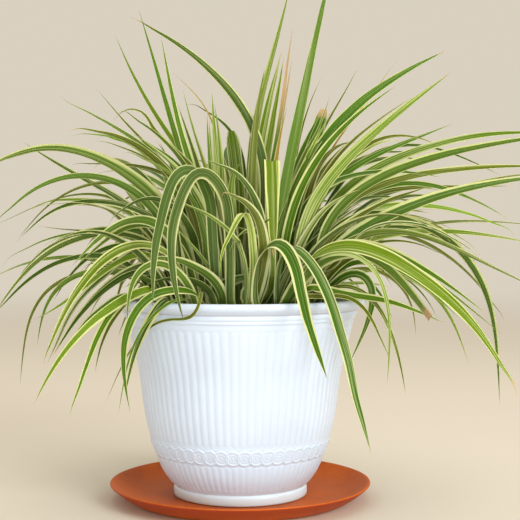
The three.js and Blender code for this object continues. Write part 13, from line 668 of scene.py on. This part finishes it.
def fan_object(node, spec, index):
    cx, cy, leaves = spec
    parts = [leaf_parts(row, 1000 + index * 10 + i) for i, row in enumerate(leaves)]
    parts.append(crown_parts(cx, cy, 5000 + index))
    lengths = [1.0] * len(parts)
    verts, faces, uv, start = [], [], [], 0
    sharp = []
    labels = {name: [] for name in ("across", "under", "strip", "margin", "tone", "cream")}
    for j, (V, rows, k, values) in enumerate(parts):
        leaf = j < len(leaves)
        low, high = (j + 0.04) / len(parts), (j + 0.96) / len(parts)
        verts.append(V)
        i = np.arange(rows - 1)[:, None] * k
        c = np.arange(k)[None]
        c2 = (c + 1) % k
        quads = np.stack([start + i + c, start + i + c2, start + i + k + c2, start + i + k + c], -1).reshape(-1, 4)
        faces.append(quads)
        ua, ub = np.arange(rows - 1)[:, None] / (rows - 1), (np.arange(rows - 1)[:, None] + 1) / (rows - 1)
        ua, ub = 0.01 + 0.98 * ua + 0 * c, 0.01 + 0.98 * ub + 0 * c
        va, vb = low + (high - low) * c / k + 0 * i, low + (high - low) * (c + 1) / k + 0 * i
        uv.append(np.stack([np.stack([ua, va], -1), np.stack([ua, vb], -1), np.stack([ub, vb], -1), np.stack([ub, va], -1)], -2).reshape(-1, 2))
        half = k // 2
        if leaf:
            for row, flip in ((0, True), (rows - 1, False)):
                q = [[start + row * k + b, start + row * k + b + 1, start + row * k + (k - 2 - b), start + row * k + (k - 1 - b)] for b in range(half - 1)]
                q = np.array(q)
                faces.append(q[:, ::-1] if flip else q)
                e = 0.01 if row == 0 else 0.99
                w = 0.004 if row == 0 else -0.004
                uv.append(np.array([[[e, low + (high - low) * b / k], [e, low + (high - low) * (b + 1) / k], [e + w, low + (high - low) * (b + 1) / k], [e + w, low + (high - low) * b / k]] for b in range(half - 1)]).reshape(-1, 2))
            mark = np.zeros(k, int)
            mark[[0, half - 1, half, k - 1]] = [1, 2, 3, 4]
            sharp.append(np.tile(mark, rows))
        else:
            for row, flip in ((0, True), (rows - 1, False)):
                ids = start + row * k + np.arange(k)
                faces.append([ids[::-1].tolist() if flip else ids.tolist()])
                a = np.arange(k) / k * 2 * math.pi
                mid = 0.02 if row == 0 else 0.98
                uv.append(np.stack([mid + 0.008 * np.cos(a), (low + high) / 2 + 0.008 * np.sin(a)], -1))
            sharp.append(np.zeros(rows * k, int))
        for name in labels:
            labels[name].append(values[name])
        start += rows * k
    all_faces = []
    for f in faces:
        all_faces += f.tolist() if isinstance(f, np.ndarray) else f
    kinds = {"across": "FLOAT", "under": "FLOAT", "strip": "FLOAT_VECTOR", "margin": "FLOAT_VECTOR", "tone": "FLOAT_COLOR", "cream": "FLOAT_COLOR"}
    values = [(name, kinds[name], np.concatenate(labels[name])) for name in labels]
    ob = mesh_object(node.replace("leaf_fan", "foliage"), np.concatenate(verts), all_faces, LEAF, values, np.concatenate(uv), sharp=np.concatenate(sharp))
    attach(ob, "root")
    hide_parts(node)
    return ob


for index, (node, spec) in enumerate(FANS.items()):
    fan_object(node, spec, index)


# ------------------------------------------------------------------ turned surfaces
def rows_mesh(rows):
    """rows: (r array, z array), each with 200 * 2**i samples; neighbours differ by at most one doubling."""
    verts, faces, starts, total = [], [], [], 0
    for r, z in rows:
        n = len(r)
        a = np.arange(n) / n * 2 * math.pi
        verts.append(np.stack([r * np.cos(a), r * np.sin(a), z], 1))
        starts.append(total)
        total += n
    for i in range(len(rows) - 1):
        na, nb = len(rows[i][0]), len(rows[i + 1][0])
        A, B = starts[i], starts[i + 1]
        if na == nb:
            c = np.arange(na)
            c2 = (c + 1) % na
            faces += np.stack([A + c, A + c2, B + c2, B + c], 1).tolist()
        elif nb == 2 * na:
            for c in range(na):
                c2 = (c + 1) % na
                faces += [[A + c, B + 2 * c + 1, B + 2 * c], [A + c, A + c2, B + 2 * c + 1], [A + c2, B + (2 * c + 2) % nb, B + 2 * c + 1]]
        else:
            for c in range(nb):
                c2 = (c + 1) % nb
                faces += [[A + 2 * c, A + 2 * c + 1, B + c], [A + 2 * c + 1, B + c2, B + c], [A + 2 * c + 1, A + (2 * c + 2) % na, B + c2]]
    return np.concatenate(verts), faces, starts


# ------------------------------------------------------------------ pot
CREST = np.array([
    (14.6, 65.3), (17.6, 69), (22.6, 73), (27.6, 76.5), (32.6, 79.2), (37.6, 81.5), (42.6, 83.3), (47.6, 85.3), (52.6, 87.3), (57.6, 89),
    (67.6, 91.3), (77.6, 93.7), (87.6, 95.6), (97.6, 97.1), (107.6, 98.3), (117.6, 99.5), (127.6, 101), (137.6, 102.9), (147.6, 105.3),
    (157.6, 107.9), (167.6, 110.5), (177.6, 113.0), (184, 115.0),
])
RIBS, RINGS = 80, 50
BAND = (45.3, 63.2)


def crest(z):
    return hermite(CREST[:, 0], CREST[:, 1], np.asarray(z, float))


def rib_row(z, n, z0, z1, deep):
    r = float(crest([z])[0])
    phi = (np.arange(n) / n * RIBS) % 1.0
    half = math.pi * r / RIBS
    e = max(0.0, (z - (z1 - half)) / half, ((z0 + half) - z) / half)
    x = np.abs(2 * phi - 1)
    inside = np.clip(0.55 * (1 - x**2) + 0.225 * (1 + np.cos(math.pi * x)) - e**2, 0, 1)
    plain = 0.55 * float(smooth_step(0.7, 1.1, e))
    shape = np.maximum(inside, plain)
    return r - deep + deep * shape, np.full(n, z), shape


def band_row(z, n):
    """Interlaced rings round the pot, each with a smaller ring and a boss inside, with one faint cord along the top edge."""
    r = float(crest([z])[0])
    mid, mean = 54.0, 87.6
    pitch = 2 * math.pi * mean / RINGS
    s = np.arange(n) / n * 2 * math.pi * mean
    dz = z - mid
    ground = np.zeros(n)
    line = np.zeros(n)
    for k in (-1, 0, 1, 2):
        c = np.floor(s / pitch) + k
        dx = s - c * pitch
        rho = np.hypot(dx, dz)
        ang = np.arctan2(dz, dx)
        ground = np.maximum(ground, 1 - smooth_step(7.4, 8.6, rho))
        ring = np.exp(-(((rho - 6.6) / 1.0) ** 2)) * (1 + 0.08 * np.sin(2 * ang))
        inner = 0.42 * np.exp(-(((rho - 3.5) / 0.9) ** 2))
        boss = 0.45 * np.exp(-((rho / 1.2) ** 2))
        line = np.maximum(line, np.maximum(ring, np.maximum(inner, boss)))
    cord = 0.5 * np.exp(-(((z - 62.4 + 0.35 * np.sin(s / pitch * 4 * math.pi)) / 0.7) ** 2))
    relief = np.maximum(0.36 * ground + 0.64 * line, cord)
    return r - 0.65 + 0.95 * relief, np.full(n, z), np.clip(0.45 + 0.55 * relief, 0, 1)


def flat_row(r, z, n, tone=1.0):
    return np.full(n, float(r)), np.full(n, float(z)), np.full(n, float(tone))


def pot_object():
    rows = [flat_row(r, z, 200) for r, z in (
        (58, 9.5), (59, 8.7), (59.5, 4.7), (60.1, 4.35), (65.2, 4.3), (66.1, 4.5), (66.6, 5.1), (66.75, 7.5), (66.6, 11.9), (66.2, 12.9))]
    # the lower tones on these two rows bring painted shade onto the step above the foot
    rows += [flat_row(65.4, 13.7, 200, 0.6), flat_row(65.0, 14.3, 400, 0.45)]
    for z in (15.2, 16.4, 17.6, 18.8, 20.0, 21.4, 23.2, 26.5, 30.5, 34.5, 38.5, 40.6, 41.8, 42.8, 43.7, 44.5):
        rows.append(rib_row(z, 800, 17.0, 45.2, 0.44))
    for z in np.linspace(*BAND, 30):
        rows.append(band_row(float(z), 1600))
    for z in (64.2, 65.2, 66.2, 67.4, 69.4, 74.0, 82.0, 90.0, 98.0, 106.0, 114.0, 122.0, 130.0, 138.0, 146.0, 154.0, 162.0, 168.0, 170.4, 172.0, 173.2, 174.2, 175.0, 175.8, 176.6):
        rows.append(rib_row(z, 800, 64.6, 175.4, 0.52))
    # tones under 1 bring in painted shade; -0.8 and -0.4 paint the dark line in the groove under the rim band
    for r, z, tone in (
        (112.75, 177.6, 1), (113.2, 179.4, 1), (113.7, 180.8, 0.8), (114.9, 181.5, 1), (115.4, 182.4, 1), (114.9, 183.3, 0.85), (115.4, 184.3, 0.85), (116.5, 185.2, 1),
        (117.0, 186.2, 1), (117.1, 188.4, 0.9), (116.8, 189.2, -0.8), (117.4, 190.1, -0.4), (120.4, 191.3, 0.8), (122.2, 192.3, 1), (123.9, 193.6, 1), (125.2, 195.0, 1), (126.0, 196.6, 1),
        (126.3, 198.1, 1), (126.1, 199.3, 1), (125.2, 200.2, 1), (123.8, 200.6, 1), (121.4, 200.6, 1), (119.8, 200.3, 1), (118.6, 199.5, 1), (118.0, 198.4, 1)):
        rows.append(flat_row(r, z, 400, tone))
    for r, z in ((117.2, 196.5), (115.6, 193), (114, 189.6), (112.6, 185), (111.4, 180), (108.6, 170), (102.4, 147.6), (97.9, 127.6), (92.4, 87.6), (85.8, 57.6), (73, 27.6), (66, 18), (60, 14), (57, 13)):
        rows.append(flat_row(r, z, 200, 0.8))
    verts, faces, starts = rows_mesh([(r, z) for r, z, _ in rows])
    relief = np.concatenate([tone for _, _, tone in rows])
    # base plate with its drainage holes
    outline = np.arange(200) / 200 * 2 * math.pi
    holes = [(38 * math.cos(i / 5 * 2 * math.pi), 38 * math.sin(i / 5 * 2 * math.pi)) for i in range(5)]
    extra, plate = [], []
    count = len(verts)
    rims = []
    for z, first, radius in ((9.5, 0, 58.0), (13.0, starts[-1], 57.0)):
        flat2, where = [], []
        for i, a in enumerate(outline):
            flat2.append(Vector((radius * math.cos(a), radius * math.sin(a))))
            where.append(first + i)
        edges = [(i, (i + 1) % 200) for i in range(200)]
        level = []
        for hx, hy in holes:
            b = len(flat2)
            for i in range(32):
                a = i / 32 * 2 * math.pi
                flat2.append(Vector((hx + 5 * math.cos(a), hy + 5 * math.sin(a))))
                extra.append((hx + 5 * math.cos(a), hy + 5 * math.sin(a), z))
                where.append(count)
                count += 1
            edges += [(b + i, b + (i + 1) % 32) for i in range(32)]
            level.append([where[b + i] for i in range(32)])
        rims.append(level)
        out = geometry.delaunay_2d_cdt(flat2, edges, [], 2, 1e-7)
        for f in out[2]:
            ids = [where[out[3][i][0]] for i in f]
            plate.append(ids[::-1] if z < 10 else ids)
    for lower, upper in zip(*rims):
        for i in range(32):
            j = (i + 1) % 32
            plate.append([lower[i], lower[j], upper[j], upper[i]])
    verts = np.concatenate([verts, np.array(extra)])
    relief = np.concatenate([relief, np.full(len(extra), 0.8)])
    s = Shader("white_moulded_plastic")
    pos = s.node("ShaderNodeNewGeometry").outputs["Position"]
    rel = s.attr("relief")
    cloud = s.noise(pos, 14.0, 4.0, 0.6)
    speck = s.noise(pos, 420.0, 3.0, 0.6)
    height = s.node("ShaderNodeSeparateXYZ", {0: pos}).outputs[2]
    white = s.mix(s.range(cloud, 0.35, 0.7), lin(212, 226, 246), lin(207, 221, 241))
    # painted shade: rib grooves and low-tone rows are darkened towards grey, partly as shade in the recesses and
    # partly as uneven grime from the cloud noise
    grime_and_groove_shade = s.m("MULTIPLY", s.m("SUBTRACT", 1.0, s.range(rel, 0.05, 0.75)), s.m("ADD", 0.03, s.m("MULTIPLY", cloud, 0.14)))
    # painted light: the lower body is tinted lighter and cooler, countering the warm light bounced up from the saucer
    # and floor
    low = s.m("MULTIPLY", s.m("SUBTRACT", 1.0, s.range(height, 0.006, 0.085)), 0.90)
    dirt = s.m("MULTIPLY", s.range(s.noise(pos, 190.0, 3.0, 0.6), 0.56, 0.68), s.m("SUBTRACT", 1.0, s.range(height, 0.015, 0.030)))
    dirt = s.m("MULTIPLY", s.m("MULTIPLY", dirt, s.range(height, 0.0125, 0.0140)), s.m("SUBTRACT", 1.0, s.range(rel, 0.15, 0.9)))
    splash = s.m("MULTIPLY", s.range(s.noise(pos, 240.0, 3.0, 0.6), 0.64, 0.72), s.range(height, 0.186, 0.198))
    colour = s.mix(grime_and_groove_shade, white, lin(176, 176, 184))
    colour = s.mix(low, colour, lin(210, 235, 255))
    # painted light: the foot and the band just above it are tinted lighter and cooler, countering the warm bounce from
    # the saucer
    foot_painted_light = s.m("SUBTRACT", 1.0, s.range(height, 0.013, 0.024))
    colour = s.mix(s.m("MULTIPLY", foot_painted_light, 0.90), colour, lin(222, 242, 255))
    # painted shadow: a dark grey line in the groove under the rim band, on the rows given negative tones
    groove_shadow = s.m("SUBTRACT", 1.0, s.range(rel, -0.7, 0.1))
    colour = s.mix(s.m("MULTIPLY", groove_shadow, 0.60), colour, lin(172, 166, 172))
    colour = s.mix(s.m("MULTIPLY", dirt, 0.40), colour, lin(132, 104, 96))
    colour = s.mix(s.m("MULTIPLY", splash, 0.55), colour, lin(140, 112, 84))
    s.put(s.bsdf.inputs["Base Color"], colour)
    s.put(s.bsdf.inputs["Roughness"], s.m("ADD", 0.26, s.m("MULTIPLY", cloud, 0.22)))
    s.bsdf.inputs["Subsurface Weight"].default_value = 0.06
    s.bsdf.inputs["Subsurface Radius"].default_value = (0.002, 0.002, 0.002)
    s.bsdf.inputs["Subsurface Scale"].default_value = 1.0
    s.bump(s.m("ADD", speck, s.m("MULTIPLY", cloud, 0.6)), 0.12, 0.0004)
    ob = mesh_object("pot_moulded", verts, faces + plate, s.mat, [("relief", "FLOAT", relief)])
    return ob


pot = pot_object()
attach(pot, "root")
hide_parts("pot")


# ------------------------------------------------------------------ saucer
def saucer_object():
    n = 256
    section = [
        (0.01, 0), (40, 0), (80, 0), (104, 0), (106.6, 0.05), (107.4, 0.35), (110.5, 1.7), (114, 3.5), (118, 6.0), (121.6, 8.5), (125.6, 11.8), (128.9, 14.5), (129.8, 15.4), (130.0, 16.1), (129.7, 16.7),
        (128.8, 17.0), (127.9, 16.85), (126.9, 16.3), (124.8, 14.6), (121.5, 12.3), (118, 10.1), (114, 8.1), (110, 6.6), (105, 5.3), (100, 4.4), (96, 4.05),
        (90, 3.95), (84, 4.0), (78, 3.95), (72, 4.0), (66, 3.95), (60, 4.0), (40, 4), (20, 4), (0.01, 4)]
    rows = []
    a = np.arange(n) / n * 2 * math.pi
    for r, z in section:
        wob = 0.16 * np.sin(2 * a + 0.7) * smooth_step(100, 130, r) + 0.10 * np.sin(5 * a + 2.0) * smooth_step(112, 130, r)
        rows.append((np.full(n, float(r)), np.full(n, float(z)) + (wob if z > 2 else 0 * wob)))
    verts, faces, starts = rows_mesh(rows)
    faces += [list(range(starts[0], starts[0] + n))[::-1], list(range(starts[-1], starts[-1] + n))]
    s = Shader("terracotta")
    pos = s.node("ShaderNodeNewGeometry").outputs["Position"]
    sep = s.node("ShaderNodeSeparateXYZ", {0: pos})
    rad = s.m("SQRT", s.m("ADD", s.m("MULTIPLY", sep.outputs[0], sep.outputs[0]), s.m("MULTIPLY", sep.outputs[1], sep.outputs[1])))
    cloud = s.noise(pos, 22.0, 5.0, 0.62)
    grain = s.noise(pos, 900.0, 3.0, 0.7)
    fleck = s.noise(pos, 260.0, 2.0, 0.5)
    turn = s.m("SINE", s.m("ADD", s.m("MULTIPLY", rad, 2600.0), s.m("MULTIPLY", cloud, 6.0)))
    colour = s.mix(s.range(cloud, 0.3, 0.72), lin(184, 80, 12), lin(204, 98, 20))
    colour = s.mix(s.m("MULTIPLY", s.range(fleck, 0.60, 0.74), 0.35), colour, lin(132, 54, 18))
    colour = s.mix(s.m("MULTIPLY", s.range(grain, 0.55, 0.8), 0.25), colour, lin(206, 124, 62))
    # darker on the floor inside a radius of about 88 mm, round the pot's foot
    inner_floor_dark = s.m("SUBTRACT", 1.0, s.range(s.m("ADD", rad, s.m("MULTIPLY", cloud, 0.03)), 0.078, 0.098))
    colour = s.mix(s.m("MULTIPLY", inner_floor_dark, 0.35), colour, lin(124, 52, 16))
    # painted shade: the outer wall, from radius 108 mm out, is darkened towards deep brown where it faces downward
    outer_wall_shade = s.m("MULTIPLY", s.range(rad, 0.108, 0.128), s.m("LESS_THAN", s.node("ShaderNodeSeparateXYZ", {0: s.node("ShaderNodeNewGeometry").outputs["Normal"]}).outputs[2], 0.0))
    colour = s.mix(s.m("MULTIPLY", outer_wall_shade, 0.80), colour, lin(150, 46, 14))
    s.put(s.bsdf.inputs["Base Color"], colour)
    s.bsdf.inputs["Specular IOR Level"].default_value = 0.25
    s.put(s.bsdf.inputs["Roughness"], s.m("ADD", 0.40, s.m("MULTIPLY", cloud, 0.28)))
    s.bump(s.m("ADD", s.m("MULTIPLY", turn, 0.35), s.m("ADD", grain, s.m("MULTIPLY", cloud, 1.2))), 0.35, 0.00035)
    return mesh_object("saucer_turned", verts, faces, s.mat)


saucer = saucer_object()
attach(saucer, "root")
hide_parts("saucer")


# ------------------------------------------------------------------ potting mix
def lattice(x, y, seed):
    """Smooth repeatable noise on a plane, about -1..1."""
    r = np.random.default_rng(seed)
    out = np.zeros_like(x)
    for k in range(9):
        a, f, p = r.uniform(0, 2 * math.pi), 0.09 * 1.42**k, r.uniform(0, 2 * math.pi)
        out += np.sin(x * math.cos(a) * f + y * math.sin(a) * f + p + 1.7 * np.sin(y * f * 0.6 + p)) / 1.25**k
    return out / 2.6


def soil_object():
    n = 400
    a = np.arange(n) / n * 2 * math.pi
    rows = []
    for r in np.linspace(0.4, 110.6, 84):
        x, y = r * np.cos(a), r * np.sin(a)
        z = 180.0 + 1.1 * lattice(x, y, 3) + 0.6 * lattice(x * 3.1, y * 3.1, 4) + 0.5 * smooth_step(95, 110, r)
        rows.append((np.full(n, r), z))
    for r, z in ((110.3, 178.5), (107.2, 168), (101.6, 147.4), (97.0, 127.4), (91.6, 87.4), (85.0, 57.6), (72.2, 27.8), (65.0, 18.4), (58, 13.9), (30, 13.5), (0.4, 13.5)):
        rows.append((np.full(n, float(r)), np.full(n, float(z))))
    verts, faces, starts = rows_mesh(rows)
    faces = [f[::-1] for f in faces]
    faces += [list(range(starts[0], starts[0] + n)), list(range(starts[-1], starts[-1] + n))[::-1]]
    # loose crumbs
    phi = (1 + 5**0.5) / 2
    ico = np.array([(-1, phi, 0), (1, phi, 0), (-1, -phi, 0), (1, -phi, 0), (0, -1, phi), (0, 1, phi), (0, -1, -phi), (0, 1, -phi), (phi, 0, -1), (phi, 0, 1), (-phi, 0, -1), (-phi, 0, 1)])
    ico /= np.linalg.norm(ico[0])
    tri = [(0, 11, 5), (0, 5, 1), (0, 1, 7), (0, 7, 10), (0, 10, 11), (1, 5, 9), (5, 11, 4), (11, 10, 2), (10, 7, 6), (7, 1, 8), (3, 9, 4), (3, 4, 2), (3, 2, 6), (3, 6, 8), (3, 8, 9), (4, 9, 5), (2, 4, 11), (6, 2, 10), (8, 6, 7), (9, 8, 1)]
    # one subdivision of the crumb
    points, cache, small = [tuple(p) for p in ico], {}, []
    def middle(i, j):
        key = (min(i, j), max(i, j))
        if key not in cache:
            p = (np.array(points[i]) + np.array(points[j])) / 2
            points.append(tuple(p / np.linalg.norm(p)))
            cache[key] = len(points) - 1
        return cache[key]
    for i, j, k in tri:
        p, q, w = middle(i, j), middle(j, k), middle(k, i)
        small += [(i, p, w), (j, q, p), (k, w, q), (p, q, w)]
    points = np.array(points)
    small = np.array(small)
    crowns = np.array([(s[0], s[1]) for s in FANS.values()])
    count, extra, more = len(verts), [], []
    made = 0
    while made < 900:
        r, t = 108 * math.sqrt(rng.random()), rng.uniform(0, 2 * math.pi)
        x, y = r * math.cos(t), r * math.sin(t)
        if np.min(np.hypot(crowns[:, 0] - x, crowns[:, 1] - y)) < 7.5:
            continue
        size = rng.uniform(0.5, 1.25) * (2.0 if rng.random() < 0.10 else 1.0)
        stretch = np.array([rng.uniform(0.8, 1.5), rng.uniform(0.7, 1.1), rng.uniform(0.55, 0.95)]) * size
        dent = 1 + 0.22 * np.sin(points @ rng.normal(size=(3, 3)) * 2.4 + rng.uniform(0, 6, 3)).mean(1)
        p = points * dent[:, None] * stretch
        c, s = math.cos(t * 7), math.sin(t * 7)
        p = p @ np.array([[c, s, 0], [-s, c, 0], [0, 0, 1]])
        extra.append(p + np.array([x, y, 180.6 + 0.35 * size]))
        more.append(small + count)
        count += len(points)
        made += 1
    verts = np.concatenate([verts] + extra)
    faces += np.concatenate(more).tolist()
    s = Shader("potting_mix")
    pos = s.node("ShaderNodeNewGeometry").outputs["Position"]
    big, fine = s.noise(pos, 120.0, 4.0, 0.65), s.noise(pos, 700.0, 3.0, 0.7)
    colour = s.mix(s.range(big, 0.35, 0.68), lin(38, 28, 21), lin(74, 54, 38))
    colour = s.mix(s.m("MULTIPLY", s.range(fine, 0.58, 0.75), 0.5), colour, lin(112, 88, 62))
    s.put(s.bsdf.inputs["Base Color"], colour)
    s.put(s.bsdf.inputs["Roughness"], s.m("ADD", 0.82, s.m("MULTIPLY", fine, 0.15)))
    s.bump(s.m("ADD", big, s.m("MULTIPLY", fine, 0.5)), 0.8, 0.0012)
    return mesh_object("potting_mix", verts, faces, s.mat)


soil = soil_object()
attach(soil, "root")
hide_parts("soil")

# ------------------------------------------------------------------ floor, light
PALE = lin(222, 214, 200)
SKY = lin(240, 230, 212)
SKY_STRENGTH = 0.80


def floor_object():
    n = 96
    a = np.arange(n) / n * 2 * math.pi
    verts, faces = [(0, 0, -0.4)], []
    radii = (150, 400, 900, 2000, 5000, 15000)
    for r in radii:
        verts += [(r * math.cos(t), r * math.sin(t), -0.4) for t in a]
    faces += [[0, 1 + i, 1 + (i + 1) % n] for i in range(n)]
    for k in range(len(radii) - 1):
        b, c = 1 + k * n, 1 + (k + 1) * n
        faces += [[b + i, c + i, c + (i + 1) % n, b + (i + 1) % n] for i in range(n)]
    s = Shader("pale_floor")
    pos = s.node("ShaderNodeNewGeometry").outputs["Position"]
    cloud = s.noise(pos, 3.0, 3.0, 0.5)
    s.put(s.bsdf.inputs["Base Color"], s.mix(cloud, PALE * 0.97, PALE * 1.02))
    s.bsdf.inputs["Roughness"].default_value = 0.85
    s.bsdf.inputs["Specular IOR Level"].default_value = 0.2
    sep = s.node("ShaderNodeSeparateXYZ", {0: pos})
    rad = s.m("SQRT", s.m("ADD", s.m("MULTIPLY", sep.outputs[0], sep.outputs[0]), s.m("MULTIPLY", sep.outputs[1], sep.outputs[1])))
    glow = s.node("ShaderNodeEmission", {"Color": SKY, "Strength": SKY_STRENGTH})
    blend = s.node("ShaderNodeMixShader", {0: s.range(rad, 0.5, 4.5), 1: s.bsdf.outputs[0], 2: glow.outputs[0]})
    s.t.links.new(blend.outputs[0], s.t.nodes["Material Output"].inputs["Surface"])
    return mesh_object("floor", verts, faces, s.mat, smooth=False)


floor_object()

world = bpy.data.worlds.new("studio")
bpy.context.scene.world = world
world.use_nodes = True
background = world.node_tree.nodes["Background"]
background.inputs["Color"].default_value = (*[float(v) for v in SKY], 1.0)
background.inputs["Strength"].default_value = SKY_STRENGTH


def area(name, place, target, size, power, colour):
    data = bpy.data.lights.new(name, "AREA")
    data.shape = "RECTANGLE"
    data.size, data.size_y = size
    data.energy = power
    data.color = colour
    ob = bpy.data.objects.new(name, data)
    ob.location = place
    ob.rotation_euler = (Vector(target) - Vector(place)).to_track_quat("-Z", "Y").to_euler()
    bpy.context.scene.collection.objects.link(ob)
    return ob


area("key", (1.45, -1.60, 1.10), (0, 0, 0.20), (1.1, 1.1), 33.0, (1.0, 0.985, 0.95))
area("fill", (-0.20, -2.3, 0.14), (0, 0, 0.10), (1.2, 0.3), 20.0, (0.86, 0.93, 1.0))
area("top", (0.0, 0.5, 2.1), (0, 0, 0.3), (1.6, 1.6), 15.0, (1.0, 0.99, 0.97))

bpy.context.scene.view_settings.view_transform = "Standard"
bpy.context.scene.view_settings.look = "None"
